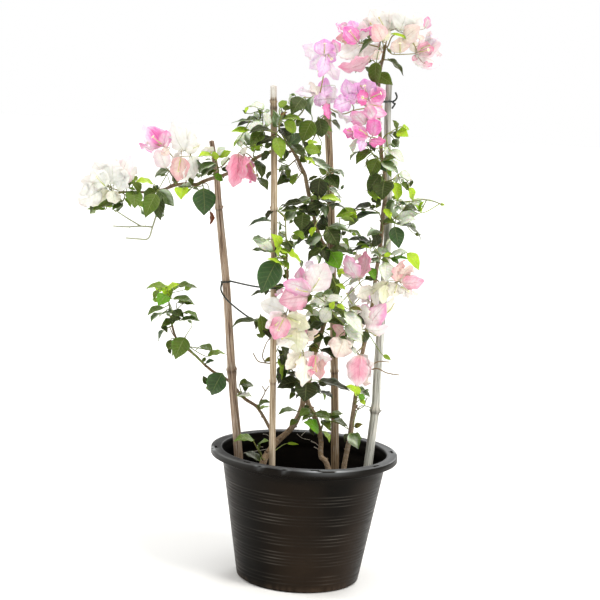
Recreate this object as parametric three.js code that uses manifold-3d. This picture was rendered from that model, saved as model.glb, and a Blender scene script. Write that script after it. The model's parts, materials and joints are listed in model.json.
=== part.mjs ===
// A potted bougainvillea on four canes. Millimetres, +Z up. The origin is the centre of the pot's base, on the
// surface that it stands on; -Y is the side that is seen first.
import * as THREE from "three";
import { mergeVertices } from "three/addons/utils/BufferGeometryUtils.js";
import Module from "manifold-3d";

const wasm = await Module();
wasm.setup();

// ---- driving dimensions ----
const POT_H = 209; // pot height
const RIM_R = 150; // outer radius of the rim
const RIM_IN_R = 132.2; // inner radius of the rim
const RIM_H = 10.7; // height of the rim's band
const WALL = 3; // wall of the pot
const BASE_R = 98.4; // outer radius of the wall at the base
const TOP_R = 132; // outer radius of the wall under the rim
const WALL_TOP_Z = 196; // where the wall meets the stepped collar
const FLOOR_Z = 6; // top of the pot's floor
const HOLES = 6; // drainage holes
const HOLE_R = 6;
const HOLE_AT = 52; // radius of the circle of holes
const SLOTS = 8; // slots through the rim
const SOIL_Z = 140; // top of the potting mix
const GAP = 0.3; // clearance between pieces that touch
const STEM_SIDES = 5;
const CANE_SIDES = 7;
const NODE_BULGE = 0.9; // how far a cane swells at a node
const STALK_R = 0.85; // leaf stalks and bract stalks
const LEAF_T = 1.0; // thickest place of a leaf
const BRACT_T = 0.9; // thickest place of a bract
const WIRE_R = 0.85; // tie wire

// ---- the plant's tables: [x, y, z, radius] along each line ----
const STEMS = {
  stem_left: [[-70.7,-36,125.2,6],[-65.4,-32,186.6,5.4],[-56.2,-28,207.4,5.2],[-45.3,-22,223,5],[-26.4,-12,240.5,4.8],[-16.5,-6,254.4,4.6],[-9.4,0,272.7,4.3],[-6.9,2,290.4,4],[-12.4,-4,330.3,3.4],[-21.2,-18,375.8,3],[-31.4,-38,419.9,2.7],[-36.9,-56,453.8,2.4],[-39.2,-70,483.6,2.1]],
  stem_centre: [[52.5,-18,124.5,4.6],[38.4,-14,186.8,4.4],[27.1,-10,201.6,4.2],[25.9,-6,223.6,4.2],[20.8,0,245,4.1],[11.4,8,265.7,4],[0.6,14,285.2,3.9],[0.7,16,311.1,3.7],[7,14,355.9,3.4],[15.9,10,394.5,3.2],[20.9,6,432.6,3.1],[20.4,3,481.2,3.1],[17.5,0,529.3,3.1],[6.9,-2,548,3.1],[-2.4,-4,571.5,3.2],[-18.1,-4,625.8,3.1],[-24.2,-4,649.1,3],[-31.2,-4,661.3,3],[-38.2,-5,675,2.9],[-49.4,-6,691.6,2.7]],
  stem_right: [[59.8,16,119.3,4.6],[65.7,13,182,4.2],[72.9,10,236,4],[76.6,6,292.8,3.7],[83.1,2,367.3,3.3],[89.6,0,416.5,3.2],[95,0,457,3.2],[97.2,0,497.2,3.3],[100.3,0,537.3,3.4],[101.9,-1,572.4,3.4],[101.9,-2,597.8,3.3],[103.5,-2,621.6,3.2],[101.7,-1,651.4,2.9],[95,0,682.4,2.8],[90.9,0,710.4,2.6],[86.5,-2,741.4,2.5],[83.8,-1,772.4,2.4],[83.1,0,795.6,2.3],[84,0,818.9,2.3],[86.7,0,837.6,2.3],[89.3,-1,857.8,2]],
  stem_left_arm: [[-48.9,-7.1,685.7,2.4],[-51.5,-8.5,683.8,2.4],[-66.9,-14,686.3,2.6],[-80.5,-26,682.9,2.8],[-98.3,-40,674.8,2.9],[-117.6,-44,660.8,2.9],[-137.3,-40,649.4,2.9],[-152.7,-36,642.8,2.8],[-180.3,-34,632.6,2.8],[-192.6,-33,626.4,2.7],[-208.2,-32,627,2.5],[-223.8,-31,623.7,2.4],[-240.5,-32,616.5,2.2],[-266.5,-34,610.5,1.9],[-278.9,-34,609.3,1.8],[-294.4,-35,609,1.7],[-311.5,-35,607.5,1.5]],
  stem_low_left: [[-47.5,-19,227.9,2.6],[-50.1,-17.7,229.9,2.6],[-58.7,-9,243.9,2.6],[-79,2,271.5,2.4],[-99.9,6,284.2,2.3],[-113.6,8,297.7,2.3],[-123.8,9,308.4,2.2],[-135.5,10,316.5,2.2],[-152,10,324.5,2.1],[-167,10,335.1,2],[-182.2,10,348.9,1.9],[-198.8,10,360.9,1.9],[-212.1,10,371.5,1.8],[-219.1,10,384.1,1.8],[-222.9,10,396.8,1.7],[-226,10,411.2,1.5]],
};
const CANES = {
  stake_left_bamboo: [[-173.3,-8,694,3.9],[-167.1,-8,664.7,4.3],[-161.6,-8,633.6,4.7],[-156.8,-9,592.2,5.5],[-139.3,-11,475.3,6.2],[-130.9,-12,403.9,6.3],[-122.9,-12,331.8,6.5],[-116.5,-13,280.5,6.5],[-106.2,-14,206.2,6.9],[-92.1,-14.8,80,7]],
  stake_front_cane: [[-79.7,-62,785.1,5],[-73.3,-63,680.4,4.9],[-68.7,-65,596.2,5.1],[-61.8,-67,457,5],[-43.8,-74.9,72,5]],
  stake_centre_bamboo: [[1.6,48,779.7,5.6],[11.3,49,696,6],[20.9,51,588.9,6.2],[42.8,54,316.4,6.3],[59.2,56.9,70,6.6]],
  stake_right_bamboo: [[99.6,22,798,5],[100.4,22,749.5,5.2],[103.5,22,702.4,5.4],[110,22,623.5,5.8],[113.2,22,535.7,6.2],[111.2,22,398.1,6.6],[110.3,17,325.4,6.7],[110.6,13,285.2,6.8],[104.3,1,192.9,7],[100.2,-4,108,7.1]],
};
const BARE_TWIGS = {
  bare_twig_left_arm: [[[-246.9,-32.8,612,1.15],[-246.3,-33,609.5,1.11],[-248.1,-34,599.1,1.06],[-251,-35,580.3,1.02],[-256.8,-37,556.6,0.98],[-262.9,-38,538.3,0.94],[-279.9,-39,537,0.89],[-297,-40,537.4,0.85]],[[-256.8,-37,556.6,0.95],[-274.7,-38,556.9,0.88],[-296.2,-40,554.9,0.82],[-317.8,-42,555.1,0.75]],[[-274.7,-38,556.9,0.9],[-295.6,-36,567.6,0.8],[-316.7,-34,579.5,0.7]]],
  bare_twig_low_left: [[[-77.4,1.2,273.7,1.1],[-75.9,0.5,275.7,1.04],[-75.8,0,281.9,0.98],[-73.3,0,286.9,0.92],[-68.3,-2,299.8,0.86],[-73.6,-3,308.7,0.8]],[[-68.3,-2,299.8,0.9],[-62.5,0,308.8,0.7]]],
  bare_twig_centre_left: [[[-23,-15.5,367.1,1.2],[-25.4,-15.7,366.5,1.13],[-34.5,-14,356.7,1.07],[-53.1,-16,349.5,1],[-68.9,-18,348.9,0.93],[-81.7,-20,351.7,0.87],[-90.3,-22,364.4,0.8]],[[-68.9,-18,348.9,0.9],[-75.2,-14,359.1,0.83],[-70.8,-8,377.8,0.77],[-65,-4,387.1,0.7]]],
  bare_twig_right: [[[84,3.1,336.2,1.2],[86.6,2.9,335.9,1.12],[94.3,2,341.9,1.04],[108.3,0,347.2,0.96],[124.6,-2,341.2,0.88],[143.8,-4,339.4,0.8]],[[94.3,2,341.9,0.9],[107.8,4,357,0.82],[127,4,358.1,0.75]]],
};
const TIES = {
  tie_wire_left: {
    loops: [[[-131.5,-11,475.3],[-133,-15.6,475.2],[-136.8,-18.4,474.7],[-141.6,-18.4,474.2],[-145.4,-15.6,473.6],[-146.9,-11,473.4],[-145.4,-6.5,473.5],[-141.5,-3.6,473.9],[-136.8,-3.6,474.5],[-132.9,-6.5,475]],[[-56.1,-66.7,476.1],[-57.4,-70.5,476.1],[-60.7,-72.9,476],[-64.7,-72.9,475.8],[-68,-70.5,475.6],[-69.2,-66.7,475.5],[-68,-62.8,475.5],[-64.7,-60.5,475.6],[-60.7,-60.5,475.8],[-57.4,-62.8,476]]],
    tails: [[[-131.5,-11,475.3],[-110.9,-29.4,474.2],[-90.4,-47.8,473.8],[-69.2,-66.7,475.5]],[[-145.4,-6.5,473.5],[-146,-9.5,470.5],[-145.9,-22,461.9],[-138.9,-24,450.7],[-128.1,-26,441.2],[-114.1,-28,431.2],[-97.7,-32,421.6],[-83.1,-38,417.7]]],
  },
  tie_wire_right: {
    loops: [[[105.5,18.2,770.9],[106.6,21.5,770.9],[106,24.9,770.9],[103.7,27.6,770.9],[100.4,28.7,770.8],[97,28.1,770.8],[94.3,25.8,770.8],[80.6,1.2,769.6],[80,-1.9,769.6],[81.7,-4.5,769.6],[84.7,-5.1,769.7],[87.3,-3.4,769.7]]],
    tails: [[[106.6,21.5,770.9],[110.6,19.5,772.9],[113.1,14,778.5],[110.2,12,785.4]],[[106.6,21.3,770.7],[109.6,17.5,767.9],[110.6,12,767.5],[106.2,10,760.2]]],
  },
};
// Heights of the nodes on each cane.
const CANE_NODES = {
  stake_left_bamboo: [591, 339, 150],
  stake_front_cane: [762, 588, 330],
  stake_centre_bamboo: [560, 330],
  stake_right_bamboo: [620, 440, 276],
};

// Shoots and flower clusters. Rows, in the order in which the skin grows:
// ["twig", points, radii]; ["branch", face, points, radii]; ["join", face, face, points];
// ["blade", face, kind, base, tip, face normal, width, arch, fold].
const SHOOTS = {
  bract_cluster_left_tip: [
    ["twig",[[-310.2,-37.1,609],[-314.4,-42.5,611.9],[-321,-47.1,614.6],[-326.2,-52,619.1]],[1.38,1.21,1.13,1.03]],
    ["branch",3,[[-311.8,-41.4,604.3],[-315.4,-46.1,602.2],[-320.4,-50,603.9]],[1,0.95,0.92]],
    ["branch",6,[[-312.7,-33.4,618.2],[-310.9,-24.5,624.3],[-308.4,-15.5,630.3],[-304.7,-6.3,635],[-299.5,3,638.1]],[1.25,1.2,1.13,1.06,0.98]],
    ["blade",16,1,[-328.5,-64,616.7],[-349.2,-72,640.6],[0.084,-0.965,-0.25],30.3,0.144,0.08],
    ["blade",38,1,[-309.9,-64,612.4],[-297.5,-70,646.5],[-0.552,-0.832,0.053],29.2,0.09,0.13],
    ["blade",91,2,[-317.9,-57.5,620.8],[-320.3,-63.5,660.1],[0.109,0.982,0.157],38.3,0.089,0.08],
    ["blade",19,2,[-326.7,-55,620.1],[-348.4,-59,654.5],[-0.035,-0.99,-0.137],38.5,0.092,0.15],
    ["blade",35,2,[-304.2,-56.5,622.3],[-294.2,-60.5,668.4],[0.62,0.782,-0.067],34.4,0.111,0.15],
    ["blade",133,2,[-337,-56,611.8],[-371.2,-60,591.6],[-0.205,0.966,0.156],35.3,0.132,0.11],
    ["blade",10,1,[-318.9,-58.5,611.5],[-312.7,-71.2,591.9],[0.221,-0.785,0.579],24,0.088,0.07],
    ["blade",134,2,[-340.2,-52,619.9],[-373.8,-33.3,620.7],[-0.456,-0.805,-0.379],26.6,0.119,0.15],
    ["blade",130,2,[-325.6,-48.5,610.5],[-361.6,-38.5,586.7],[-0.223,0.73,0.646],35.4,0.145,0.11],
    ["blade",17,1,[-302.8,-50,626.6],[-286.4,-31.8,649.7],[0.28,0.648,-0.708],25.6,0.084,0.14],
    ["blade",57,1,[-306.2,-12.6,628.8],[-287.8,11.6,617.7],[0.193,0.286,0.939],25,0.057,0.15],
    ["blade",65,1,[-305.8,0.6,638],[-333.4,20.9,649.6],[0.476,0.824,-0.307],28.8,0.054,0.09],
    ["blade",306,1,[-303,4,640.4],[-312.8,30.3,661.2],[0.886,0.442,-0.138],28.5,0.058,0.14],
    ["blade",69,1,[-299.2,7.8,636.8],[-297.3,39.4,628.1],[-0.995,0.034,-0.091],24.8,0.09,0.14],
    ["blade",326,1,[-298.3,-12.8,639.4],[-306,19.4,639.6],[0.627,0.155,-0.763],24.1,0.062,0.14],
  ],
  bract_cluster_left_upper: [
    ["twig",[[-222,-32.9,627.2],[-223.2,-37,633.3],[-223.9,-41.1,639.6],[-224.6,-44.7,646.2],[-225.3,-47.6,653.1],[-226.1,-50.3,660.1],[-228,-52.6,666.9],[-232.8,-53.9,672.5],[-237.9,-55,678],[-243,-56,683.4]],[1.49,1.38,1.33,1.3,1.28,1.24,1.21,1.14,1.08,1.03]],
    ["branch",36,[[-222.7,-51.9,671],[-217.8,-52.4,676.5],[-212.2,-54,681.3]],[1.12,1.08,1.03]],
    ["branch",35,[[-221.1,-50.7,667.8],[-214.7,-49.9,669.6],[-208,-49.9,670.4],[-201.2,-50,670.9]],[1,0.97,0.94,0.92]],
    ["branch",94,[[-202.5,-38.7,677],[-202.2,-27.4,682.9],[-202.2,-15.8,688.4],[-202.7,-3.9,693.1],[-204,8.6,695.6],[-206,21.2,696.7]],[1.26,1.22,1.16,1.1,1.05,0.98]],
    ["blade",52,2,[-244.2,-68,683.8],[-282.1,-50.4,684],[-0.146,-0.323,0.935],28.6,0.12,0.06],
    ["blade",51,2,[-242.9,-66,684.6],[-267.5,-78,713.3],[0.088,-0.944,-0.319],33.3,0.109,0.14],
    ["blade",71,2,[-215.5,-64,669.2],[-217.9,-70,631.9],[-0.157,-0.973,0.166],31.8,0.117,0.25],
    ["blade",162,1,[-240.6,-64.4,682],[-239.2,-77.2,710.3],[0.38,-0.775,-0.504],21.4,0.11,0.11],
    ["blade",74,2,[-210,-62,680.2],[-198.4,-68,719.2],[0.411,0.912,0.018],32.6,0.149,0.15],
    ["blade",55,2,[-248.3,-58,685.5],[-278.4,-46.7,714.1],[0.308,-0.728,0.612],32.3,0.134,0.1],
    ["blade",191,2,[-212.3,-62.5,679.3],[-230.9,-66.5,723.5],[0.391,0.887,0.245],36.5,0.134,0.13],
    ["blade",99,2,[-199.9,-58,670.6],[-196.4,-39,635.1],[-0.685,0.668,0.29],28.7,0.079,0.15],
    ["blade",73,1,[-209.6,-55.9,679.1],[-187.3,-40.6,689.1],[0.598,-0.793,-0.118],21.6,0.13,0.08],
    ["blade",98,1,[-202.1,-51,658.6],[-209.7,-67.5,633.7],[-0.881,0.472,-0.044],23,0.111,0.13],
    ["blade",25,2,[-239.2,-55,649.8],[-251.8,-74.9,680.6],[0.034,-0.846,-0.532],27.4,0.113,0.12],
    ["blade",304,1,[-183.2,-43,671.6],[-167.7,-55.5,686.9],[0.052,-0.746,-0.663],19.7,0.107,0.07],
    ["blade",121,1,[-205.9,-4.5,689.8],[-227.4,22.9,679.8],[0.457,0.034,-0.889],27.4,0.088,0.18],
    ["blade",132,1,[-208,14.2,696.5],[-240.6,18.3,701.5],[0.187,0.427,0.885],26.7,0.096,0.14],
    ["blade",425,1,[-209,20.8,697.3],[-235.1,45.1,704.2],[0.641,0.531,0.555],26.6,0.106,0.19],
    ["blade",136,1,[-207,23.9,694],[-216.3,48.2,669.4],[-0.125,0.682,0.721],26.8,0.063,0.17],
    ["blade",456,1,[-208.4,44.4,692.9],[-217.3,71.9,667.8],[-0.927,-0.367,-0.074],28,0.055,0.12],
  ],
  bract_cluster_mid_left: [
    ["twig",[[-37,-71.4,481.4],[-33.9,-75.7,482.5],[-31.7,-80.8,487.2],[-29.4,-86,491.8],[-25.8,-91.4,494.4],[-20.5,-95.4,491.9],[-15.3,-98.5,487.8],[-10.4,-101.4,483.2],[-5.6,-104,478.3]],[1.26,1.2,1.18,1.16,1.14,1.12,1.09,1.06,1.03]],
    ["branch",24,[[-28.4,-87.9,486.9],[-29.6,-85.8,479.2],[-31,-84.5,471.4],[-33,-84.7,463.7],[-35.5,-86.7,456.3],[-38.1,-89.7,449.3],[-40.2,-93.2,442.4],[-40.7,-98,436]],[1.24,1.22,1.2,1.17,1.15,1.13,1.09,1.03]],
    ["branch",74,[[-23.4,-79.5,465.7],[-13.5,-73.8,469.4],[-4,-67.6,473.5],[5,-61,477.9],[13.1,-53.3,482.4],[20.4,-44.9,486.9]],[1.26,1.22,1.16,1.1,1.05,0.98]],
    ["blade",98,2,[-42.8,-114,437.5],[-56.8,-124,404.3],[-0.164,-0.923,0.348],32.9,0.077,0.13],
    ["blade",49,2,[-5.5,-110,477.5],[-48,-118,490.7],[0.046,-0.913,-0.406],31.3,0.144,0.15],
    ["blade",163,2,[-4.1,-108,479.7],[16.1,-114,524.4],[0.116,-0.976,-0.183],43.8,0.091,0.08],
    ["blade",136,2,[-39.8,-105.9,438.1],[-2.5,-118.7,425.1],[-0.361,-0.921,-0.148],31.4,0.073,0.15],
    ["blade",161,2,[-9.7,-101,469.9],[-52.7,-105,461.1],[-0.009,0.928,-0.373],42.4,0.109,0.1],
    ["blade",95,2,[-44.2,-104,445.2],[-80.4,-87.8,454],[-0.407,-0.913,0.005],33.1,0.107,0.08],
    ["blade",48,2,[-7.1,-84.1,478.7],[-22.8,-100.5,514.3],[0.611,0.581,0.537],33.6,0.146,0.11],
    ["blade",96,2,[-45.5,-100,439.1],[-71.5,-119.8,421.3],[0.672,-0.717,-0.186],29.6,0.085,0.12],
    ["blade",313,1,[-43.5,-94.4,442],[-52.6,-83.7,423.9],[0.092,0.863,0.498],19,0.103,0.07],
    ["blade",118,1,[2.4,-64.1,480.3],[9.2,-68.8,516.1],[-0.279,0.944,0.175],30.1,0.067,0.13],
    ["blade",129,1,[14.9,-46.6,485.6],[3.7,-18.7,497.3],[0.934,0.287,0.215],25.9,0.086,0.14],
    ["blade",135,1,[17,-35.6,487.6],[7.9,-9.6,508.7],[0.63,0.609,-0.481],26.8,0.097,0.15],
    ["blade",371,1,[20.1,-42.5,491.4],[18.6,-15.7,520.8],[0.647,0.58,-0.495],31.7,0.101,0.11],
    ["blade",405,1,[18.5,-24.8,484.6],[6.3,5.5,482.1],[0.095,0.121,0.988],25.5,0.055,0.2],
  ],
  bract_cluster_mid_low: [
    ["twig",[[-9.2,-5.7,311.4],[-9.1,-8.4,310.9],[-9.2,-15.9,312.2],[-9.3,-23.4,313.5],[-9.4,-30.8,314.8],[-9.5,-38.3,316.3],[-9.7,-45.7,317.7],[-9.8,-53.1,319.4],[-9.9,-60.3,321.8],[-10,-67.6,324.2],[-10.1,-73.3,328.8],[-10.1,-77.4,334.9],[-10,-78.5,342.4],[-10,-79.7,349.9],[-9.7,-82.1,357.1],[-9.4,-85.2,364],[-9.4,-88.1,371],[-10.3,-90.6,378.1],[-12.7,-92.3,385],[-15.7,-93.5,391.9],[-18.3,-94.5,399],[-20.5,-95.3,406.2],[-22.6,-96,413.5]],[1.38,1.32,1.31,1.31,1.3,1.3,1.29,1.28,1.28,1.26,1.25,1.24,1.23,1.21,1.2,1.18,1.16,1.14,1.13,1.1,1.08,1.06,1.03]],
    ["branch",79,[[-6.5,-82,358.4],[-2.9,-84.1,364.7],[0.8,-86.7,370.7],[5,-90.2,375.9],[9.3,-94,380.7]],[1.01,0.99,0.98,0.94,0.92]],
    ["branch",97,[[-14.3,-79.3,377.3],[-19.2,-69.7,381.2],[-24.4,-60.5,386],[-30.1,-52.1,391.3]],[1.24,1.16,1.08,0.98]],
    ["blade",119,2,[-9.8,-112,379.6],[-10.9,-122,333.2],[-0.712,0.69,-0.132],33.8,0.101,0.14],
    ["blade",133,1,[-23.6,-107,419.7],[-20,-115,384.1],[0.244,0.951,-0.189],37.7,0.119,0.09],
    ["blade",108,2,[-13.2,-106,384.6],[-36,-123.1,359],[0.621,-0.783,-0.033],28.3,0.141,0.15],
    ["blade",164,1,[8.4,-109,381.7],[0.4,-115,348.1],[0.611,-0.791,-0.005],25.8,0.102,0.15],
    ["blade",163,1,[11.9,-93.1,375.3],[17.5,-111.5,343.9],[-0.734,-0.635,0.241],27.6,0.074,0.09],
    ["blade",129,1,[-26.9,-107.9,410.4],[-50.3,-125.6,395.6],[-0.013,-0.631,0.776],25.5,0.138,0.08],
    ["blade",115,1,[-8.8,-98.9,400.5],[10,-115.8,420],[0.792,0.42,-0.444],22.9,0.096,0.1],
    ["blade",278,1,[10.6,-98.1,379.3],[32.5,-111.9,376.6],[0.461,0.625,0.629],20.6,0.098,0.15],
    ["blade",105,1,[-12.5,-95.9,376.4],[-24.9,-87.5,371.4],[0.577,0.786,-0.221],15.9,0.126,0.08],
    ["blade",181,1,[-18.5,-64.6,386.4],[-3.3,-48.2,413.6],[-0.854,0.486,0.186],27.4,0.089,0.15],
    ["blade",188,1,[-29.3,-56.8,393.8],[-40.8,-65.9,428.3],[-0.389,0.915,0.11],30.1,0.059,0.1],
    ["blade",184,1,[-30,-50,389.2],[-40.1,-19.3,384.9],[-0.017,0.131,0.991],24.1,0.104,0.13],
    ["blade",189,1,[-28.6,-50.5,394.7],[-14.6,-35,427.2],[-0.606,0.787,-0.112],28.6,0.073,0.14],
    ["blade",410,1,[-33.7,-56.1,393.1],[-67.4,-52.2,403.9],[0.015,0.954,-0.3],28.9,0.099,0.11],
    ["blade",411,1,[-34.3,-25.4,389],[-68.2,-16.8,403.8],[-0.301,0.345,-0.889],27.5,0.078,0.12],
  ],
  bract_cluster_mid_right: [
    ["twig",[[84.5,-2.9,393.8],[82.6,-6.5,394],[79,-13,394.3],[75.4,-19.5,394.7],[71.9,-26,395],[68.4,-32.6,395.4],[64.9,-39.1,395.9],[61.7,-45.8,396.6],[58.4,-52.4,397.3],[56.1,-59.3,398.7],[54.3,-66.2,400.6],[53.5,-73.1,403.3],[52.7,-80,406]],[1.26,1.18,1.17,1.16,1.15,1.15,1.14,1.13,1.12,1.1,1.08,1.06,1.03]],
    ["twig",[[84.2,-2.8,382.7],[83.2,-7.4,382.7],[81.4,-15.1,382.5],[79.7,-22.7,382.4],[78,-30.4,382.2],[76.3,-38,382],[74.8,-45.7,381.9],[73.4,-53.4,381.6],[72.7,-61.2,381.4],[73.9,-68.8,380.8],[76.9,-76,380.1]],[1.15,1.12,1.1,1.09,1.09,1.09,1.08,1.08,1.07,1.06,1.03]],
    ["branch",38,[[64,-33.1,400.9],[65.1,-23.1,405.9],[65.9,-13.4,411.6],[66.5,-4.2,418],[66.7,4.6,425.1]],[1.25,1.2,1.13,1.06,0.98]],
    ["join",5,75,[[84,-4.3,389],[83.9,-4.3,387.7]]],
    ["blade",73,1,[49.3,-92,408.5],[40.1,-104,378.8],[-0.265,0.92,-0.29],39.6,0.096,0.12],
    ["blade",135,2,[76.3,-90,382.4],[74.4,-100,334.8],[-0.204,0.96,-0.193],41.3,0.134,0.3],
    ["blade",70,1,[50.4,-83.9,408.1],[31.7,-68.2,423.3],[-0.643,-0.766,-0.018],21.7,0.13,0.08],
    ["blade",204,2,[79.2,-79.4,381.5],[94.5,-94.8,348.4],[-0.802,-0.584,-0.129],28.2,0.112,0.08],
    ["blade",68,1,[53.6,-81.4,408.2],[61.8,-92.8,392.9],[-0.192,0.726,-0.661],15.5,0.129,0.08],
    ["blade",158,1,[66.6,-15.1,417.2],[70.7,-26.8,452.7],[-0.272,0.904,0.33],30.8,0.086,0.17],
    ["blade",160,1,[68.9,4.4,419.6],[84.8,34.4,407.2],[-0.801,0.534,0.269],27,0.101,0.11],
    ["blade",166,1,[66.5,5.3,426.4],[64.4,40.2,426.5],[0.363,-0.058,0.93],30.8,0.053,0.2],
    ["blade",322,1,[69.3,6.2,426.8],[93.8,21.2,442.2],[-0.654,0.414,0.634],25.1,0.055,0.08],
    ["blade",325,1,[69.4,19.8,422.3],[85.8,50.5,414.1],[-0.884,0.416,-0.212],27.1,0.065,0.2],
  ],
  bract_cluster_mid_upper: [
    ["twig",[[94.6,-3.9,473.8],[92.2,-10.8,474.2],[89.6,-18.2,474.7],[86.9,-25.6,475.3],[84.2,-33,476.2],[81.2,-40.2,477.5],[77.4,-46.4,480.4],[73.2,-51.3,484.9],[69.7,-55.6,490.5],[67.8,-58,497.7]],[1.26,1.2,1.18,1.17,1.16,1.15,1.13,1.1,1.08,1.03]],
    ["branch",30,[[76.7,-43.1,471.2],[72,-46.3,465.1],[67.2,-49.8,459.4],[62,-54,454.5]],[1.01,0.99,0.97,0.92]],
    ["branch",15,[[89.8,-8.3,471.8],[90.7,3.5,469],[91.8,15.4,466.7],[92.9,27.4,465.1],[94.2,39.5,464],[95.8,51.5,464],[97.4,63.6,464.3]],[1.28,1.23,1.18,1.14,1.09,1.03,0.98]],
    ["blade",54,2,[65.8,-70,499.8],[45.2,-74,533.3],[0.371,0.867,0.333],28.9,0.095,0.14],
    ["blade",53,2,[69.8,-66,498.8],[76.8,-59.2,540.5],[-0.754,-0.617,0.226],32.5,0.101,0.15],
    ["blade",80,1,[61.8,-62,454],[56.8,-45.9,478.3],[-0.805,-0.557,0.204],21,0.079,0.12],
    ["blade",79,1,[58.6,-38.2,464.8],[58,-48.5,483.3],[0.765,-0.573,-0.295],16,0.074,0.12],
    ["blade",62,1,[88.3,-51,460.3],[65.6,-36.3,466.5],[-0.546,-0.59,-0.594],21,0.135,0.11],
    ["blade",109,1,[96.2,34.5,465.5],[126.4,49.7,477.2],[-0.525,0.537,0.66],27.9,0.065,0.11],
    ["blade",121,1,[101.5,57.9,464.8],[136.5,61.3,469.3],[0.025,0.691,-0.722],28.5,0.095,0.17],
    ["blade",245,1,[101.3,67.7,464.2],[124.5,91.4,462.8],[0.678,-0.676,-0.288],26.7,0.07,0.13],
    ["blade",123,1,[95.9,68.6,462],[87,97.8,448.2],[-0.89,-0.059,0.453],25.5,0.095,0.09],
    ["blade",280,1,[99.9,65.2,460.7],[118.5,76.8,433.6],[-0.053,0.93,0.364],28.4,0.068,0.18],
  ],
  bract_cluster_right: [
    ["twig",[[97.2,-4.1,475.4],[98.8,-11.3,476.1],[100.3,-18.7,477.7],[102.6,-25.7,479.6],[106.8,-31.2,482.3],[112.5,-35,485.7],[118.6,-38.2,488.9],[125,-41.2,491.6],[131.7,-44,494.2]],[1.38,1.28,1.24,1.22,1.18,1.15,1.12,1.08,1.03]],
    ["twig",[[93.2,-4.2,445.2],[92.4,-10.5,443.1],[91.2,-16.7,438.7],[90,-22.7,434.1],[88.8,-28.6,429.3],[87.6,-34.4,424.2],[86.5,-40,419.1]],[1.15,1.1,1.09,1.08,1.07,1.05,1.03]],
    ["branch",25,[[101.9,-24.3,488.8],[94.8,-15.4,494],[88.4,-6.1,499.4],[82.7,3.6,504.8],[78.4,14.1,509.8],[75.2,25.2,514.5]],[1.26,1.22,1.16,1.1,1.05,0.98]],
    ["join",5,51,[[96.9,-5.5,470.4],[96.1,-5.6,463.7],[95.4,-5.6,458.7],[94.2,-5.6,451.1]]],
    ["blade",87,2,[84.6,-70,421.2],[116.6,-90,429.2],[0.186,0.606,0.774],29.7,0.146,0.06],
    ["blade",82,2,[86.4,-64,421.2],[113.2,-68,461.7],[0.429,0.882,-0.196],33.2,0.072,0.07],
    ["blade",40,1,[110.9,-62,489.7],[107.7,-70,460.9],[0.493,-0.851,0.182],21,0.123,0.13],
    ["blade",159,1,[87.5,-60,417.5],[108.9,-73.6,414.5],[-0.516,-0.708,-0.482],19,0.076,0.1],
    ["blade",46,2,[129.2,-58,497.3],[133.6,-77.2,533.3],[0.783,-0.504,-0.365],31.1,0.144,0.08],
    ["blade",182,2,[85.3,-65.9,424.6],[80.9,-85.7,460.1],[0.823,0.447,0.351],29,0.081,0.16],
    ["blade",241,2,[113.7,-54.2,494.1],[90.2,-38.9,462],[0.101,0.918,0.384],29.2,0.111,0.14],
    ["blade",81,1,[85.7,-56,449.1],[75.4,-48.3,455.3],[0.04,0.66,-0.75],11.1,0.132,0.14],
    ["blade",49,1,[135.9,-54,493.3],[170.1,-60,499.2],[0.103,0.93,0.352],26.1,0.091,0.14],
    ["blade",27,1,[91.6,-52,481.1],[66.1,-68.9,470.1],[0.601,-0.773,-0.203],24.3,0.095,0.11],
    ["blade",332,1,[133.4,-47.3,498.8],[148.9,-64.3,522.6],[0.287,-0.683,-0.672],24.5,0.074,0.13],
    ["blade",48,1,[128.5,-50,490.7],[118.1,-63.4,472.4],[0.363,-0.839,0.406],24,0.089,0.13],
    ["blade",21,1,[98,-51,479.8],[97.3,-65.7,457.4],[0.681,0.603,-0.416],18.5,0.108,0.08],
    ["blade",335,1,[143.1,-48,482.8],[164,-64.1,469.6],[0.35,-0.277,0.895],21.2,0.11,0.08],
    ["blade",47,1,[133.3,-51.9,486.6],[153.3,-66,477.8],[-0.133,-0.654,0.745],20.5,0.139,0.08],
    ["blade",44,1,[130.6,-36.1,494],[149.3,-49.5,506.1],[-0.133,-0.761,-0.635],19.3,0.099,0.09],
    ["blade",107,1,[80.5,1.3,501.9],[44.9,14.4,494.4],[0.156,0.775,0.612],28.3,0.088,0.16],
    ["blade",118,1,[74.1,22.2,508.8],[56.6,42.7,490.6],[-0.841,-0.435,0.32],23.4,0.068,0.16],
    ["blade",119,1,[76.8,25.3,512.1],[83.8,59.2,500.6],[-0.625,-0.131,-0.769],27.5,0.087,0.13],
    ["blade",124,1,[75.7,43.5,512.1],[75.6,78.6,503.9],[0.857,-0.117,-0.501],27.1,0.054,0.17],
  ],
  bract_cluster_top_left: [
    ["twig",[[86.2,-2.5,852.9],[80.1,-7.3,853.6],[73.9,-12,854.5],[67.5,-16.2,855.7],[60.8,-19.9,857.1],[53.8,-23.3,857.8],[46.6,-26,857.1]],[1.38,1.26,1.23,1.18,1.15,1.1,1.03]],
    ["branch",1,[[80.8,-7.9,847.6],[76.3,-12.7,842.6],[71.1,-18.1,839.1],[65.7,-24,836.9]],[1.13,1.1,1.07,1.03]],
    ["branch",54,[[75.5,-2.7,841.7],[75.6,8.7,841.9],[74.9,20,842],[72.8,31.1,840.7],[69.5,41.7,838.1]],[1.25,1.2,1.13,1.06,0.98]],
    ["blade",34,1,[45.4,-38,859.1],[20.9,-48,880.2],[0.353,-0.935,-0.034],27.1,0.08,0.14],
    ["blade",28,1,[48,-36,854],[16.6,-44,836.9],[-0.029,-0.884,0.467],29.2,0.137,0.16],
    ["blade",37,2,[44.1,-34,856.1],[12.3,-14.2,864.6],[-0.555,-0.686,-0.471],28.6,0.134,0.08],
    ["blade",62,2,[66.1,-34,836.8],[17.2,-34,818],[-0.298,0.556,0.776],36.3,0.146,0.11],
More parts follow.
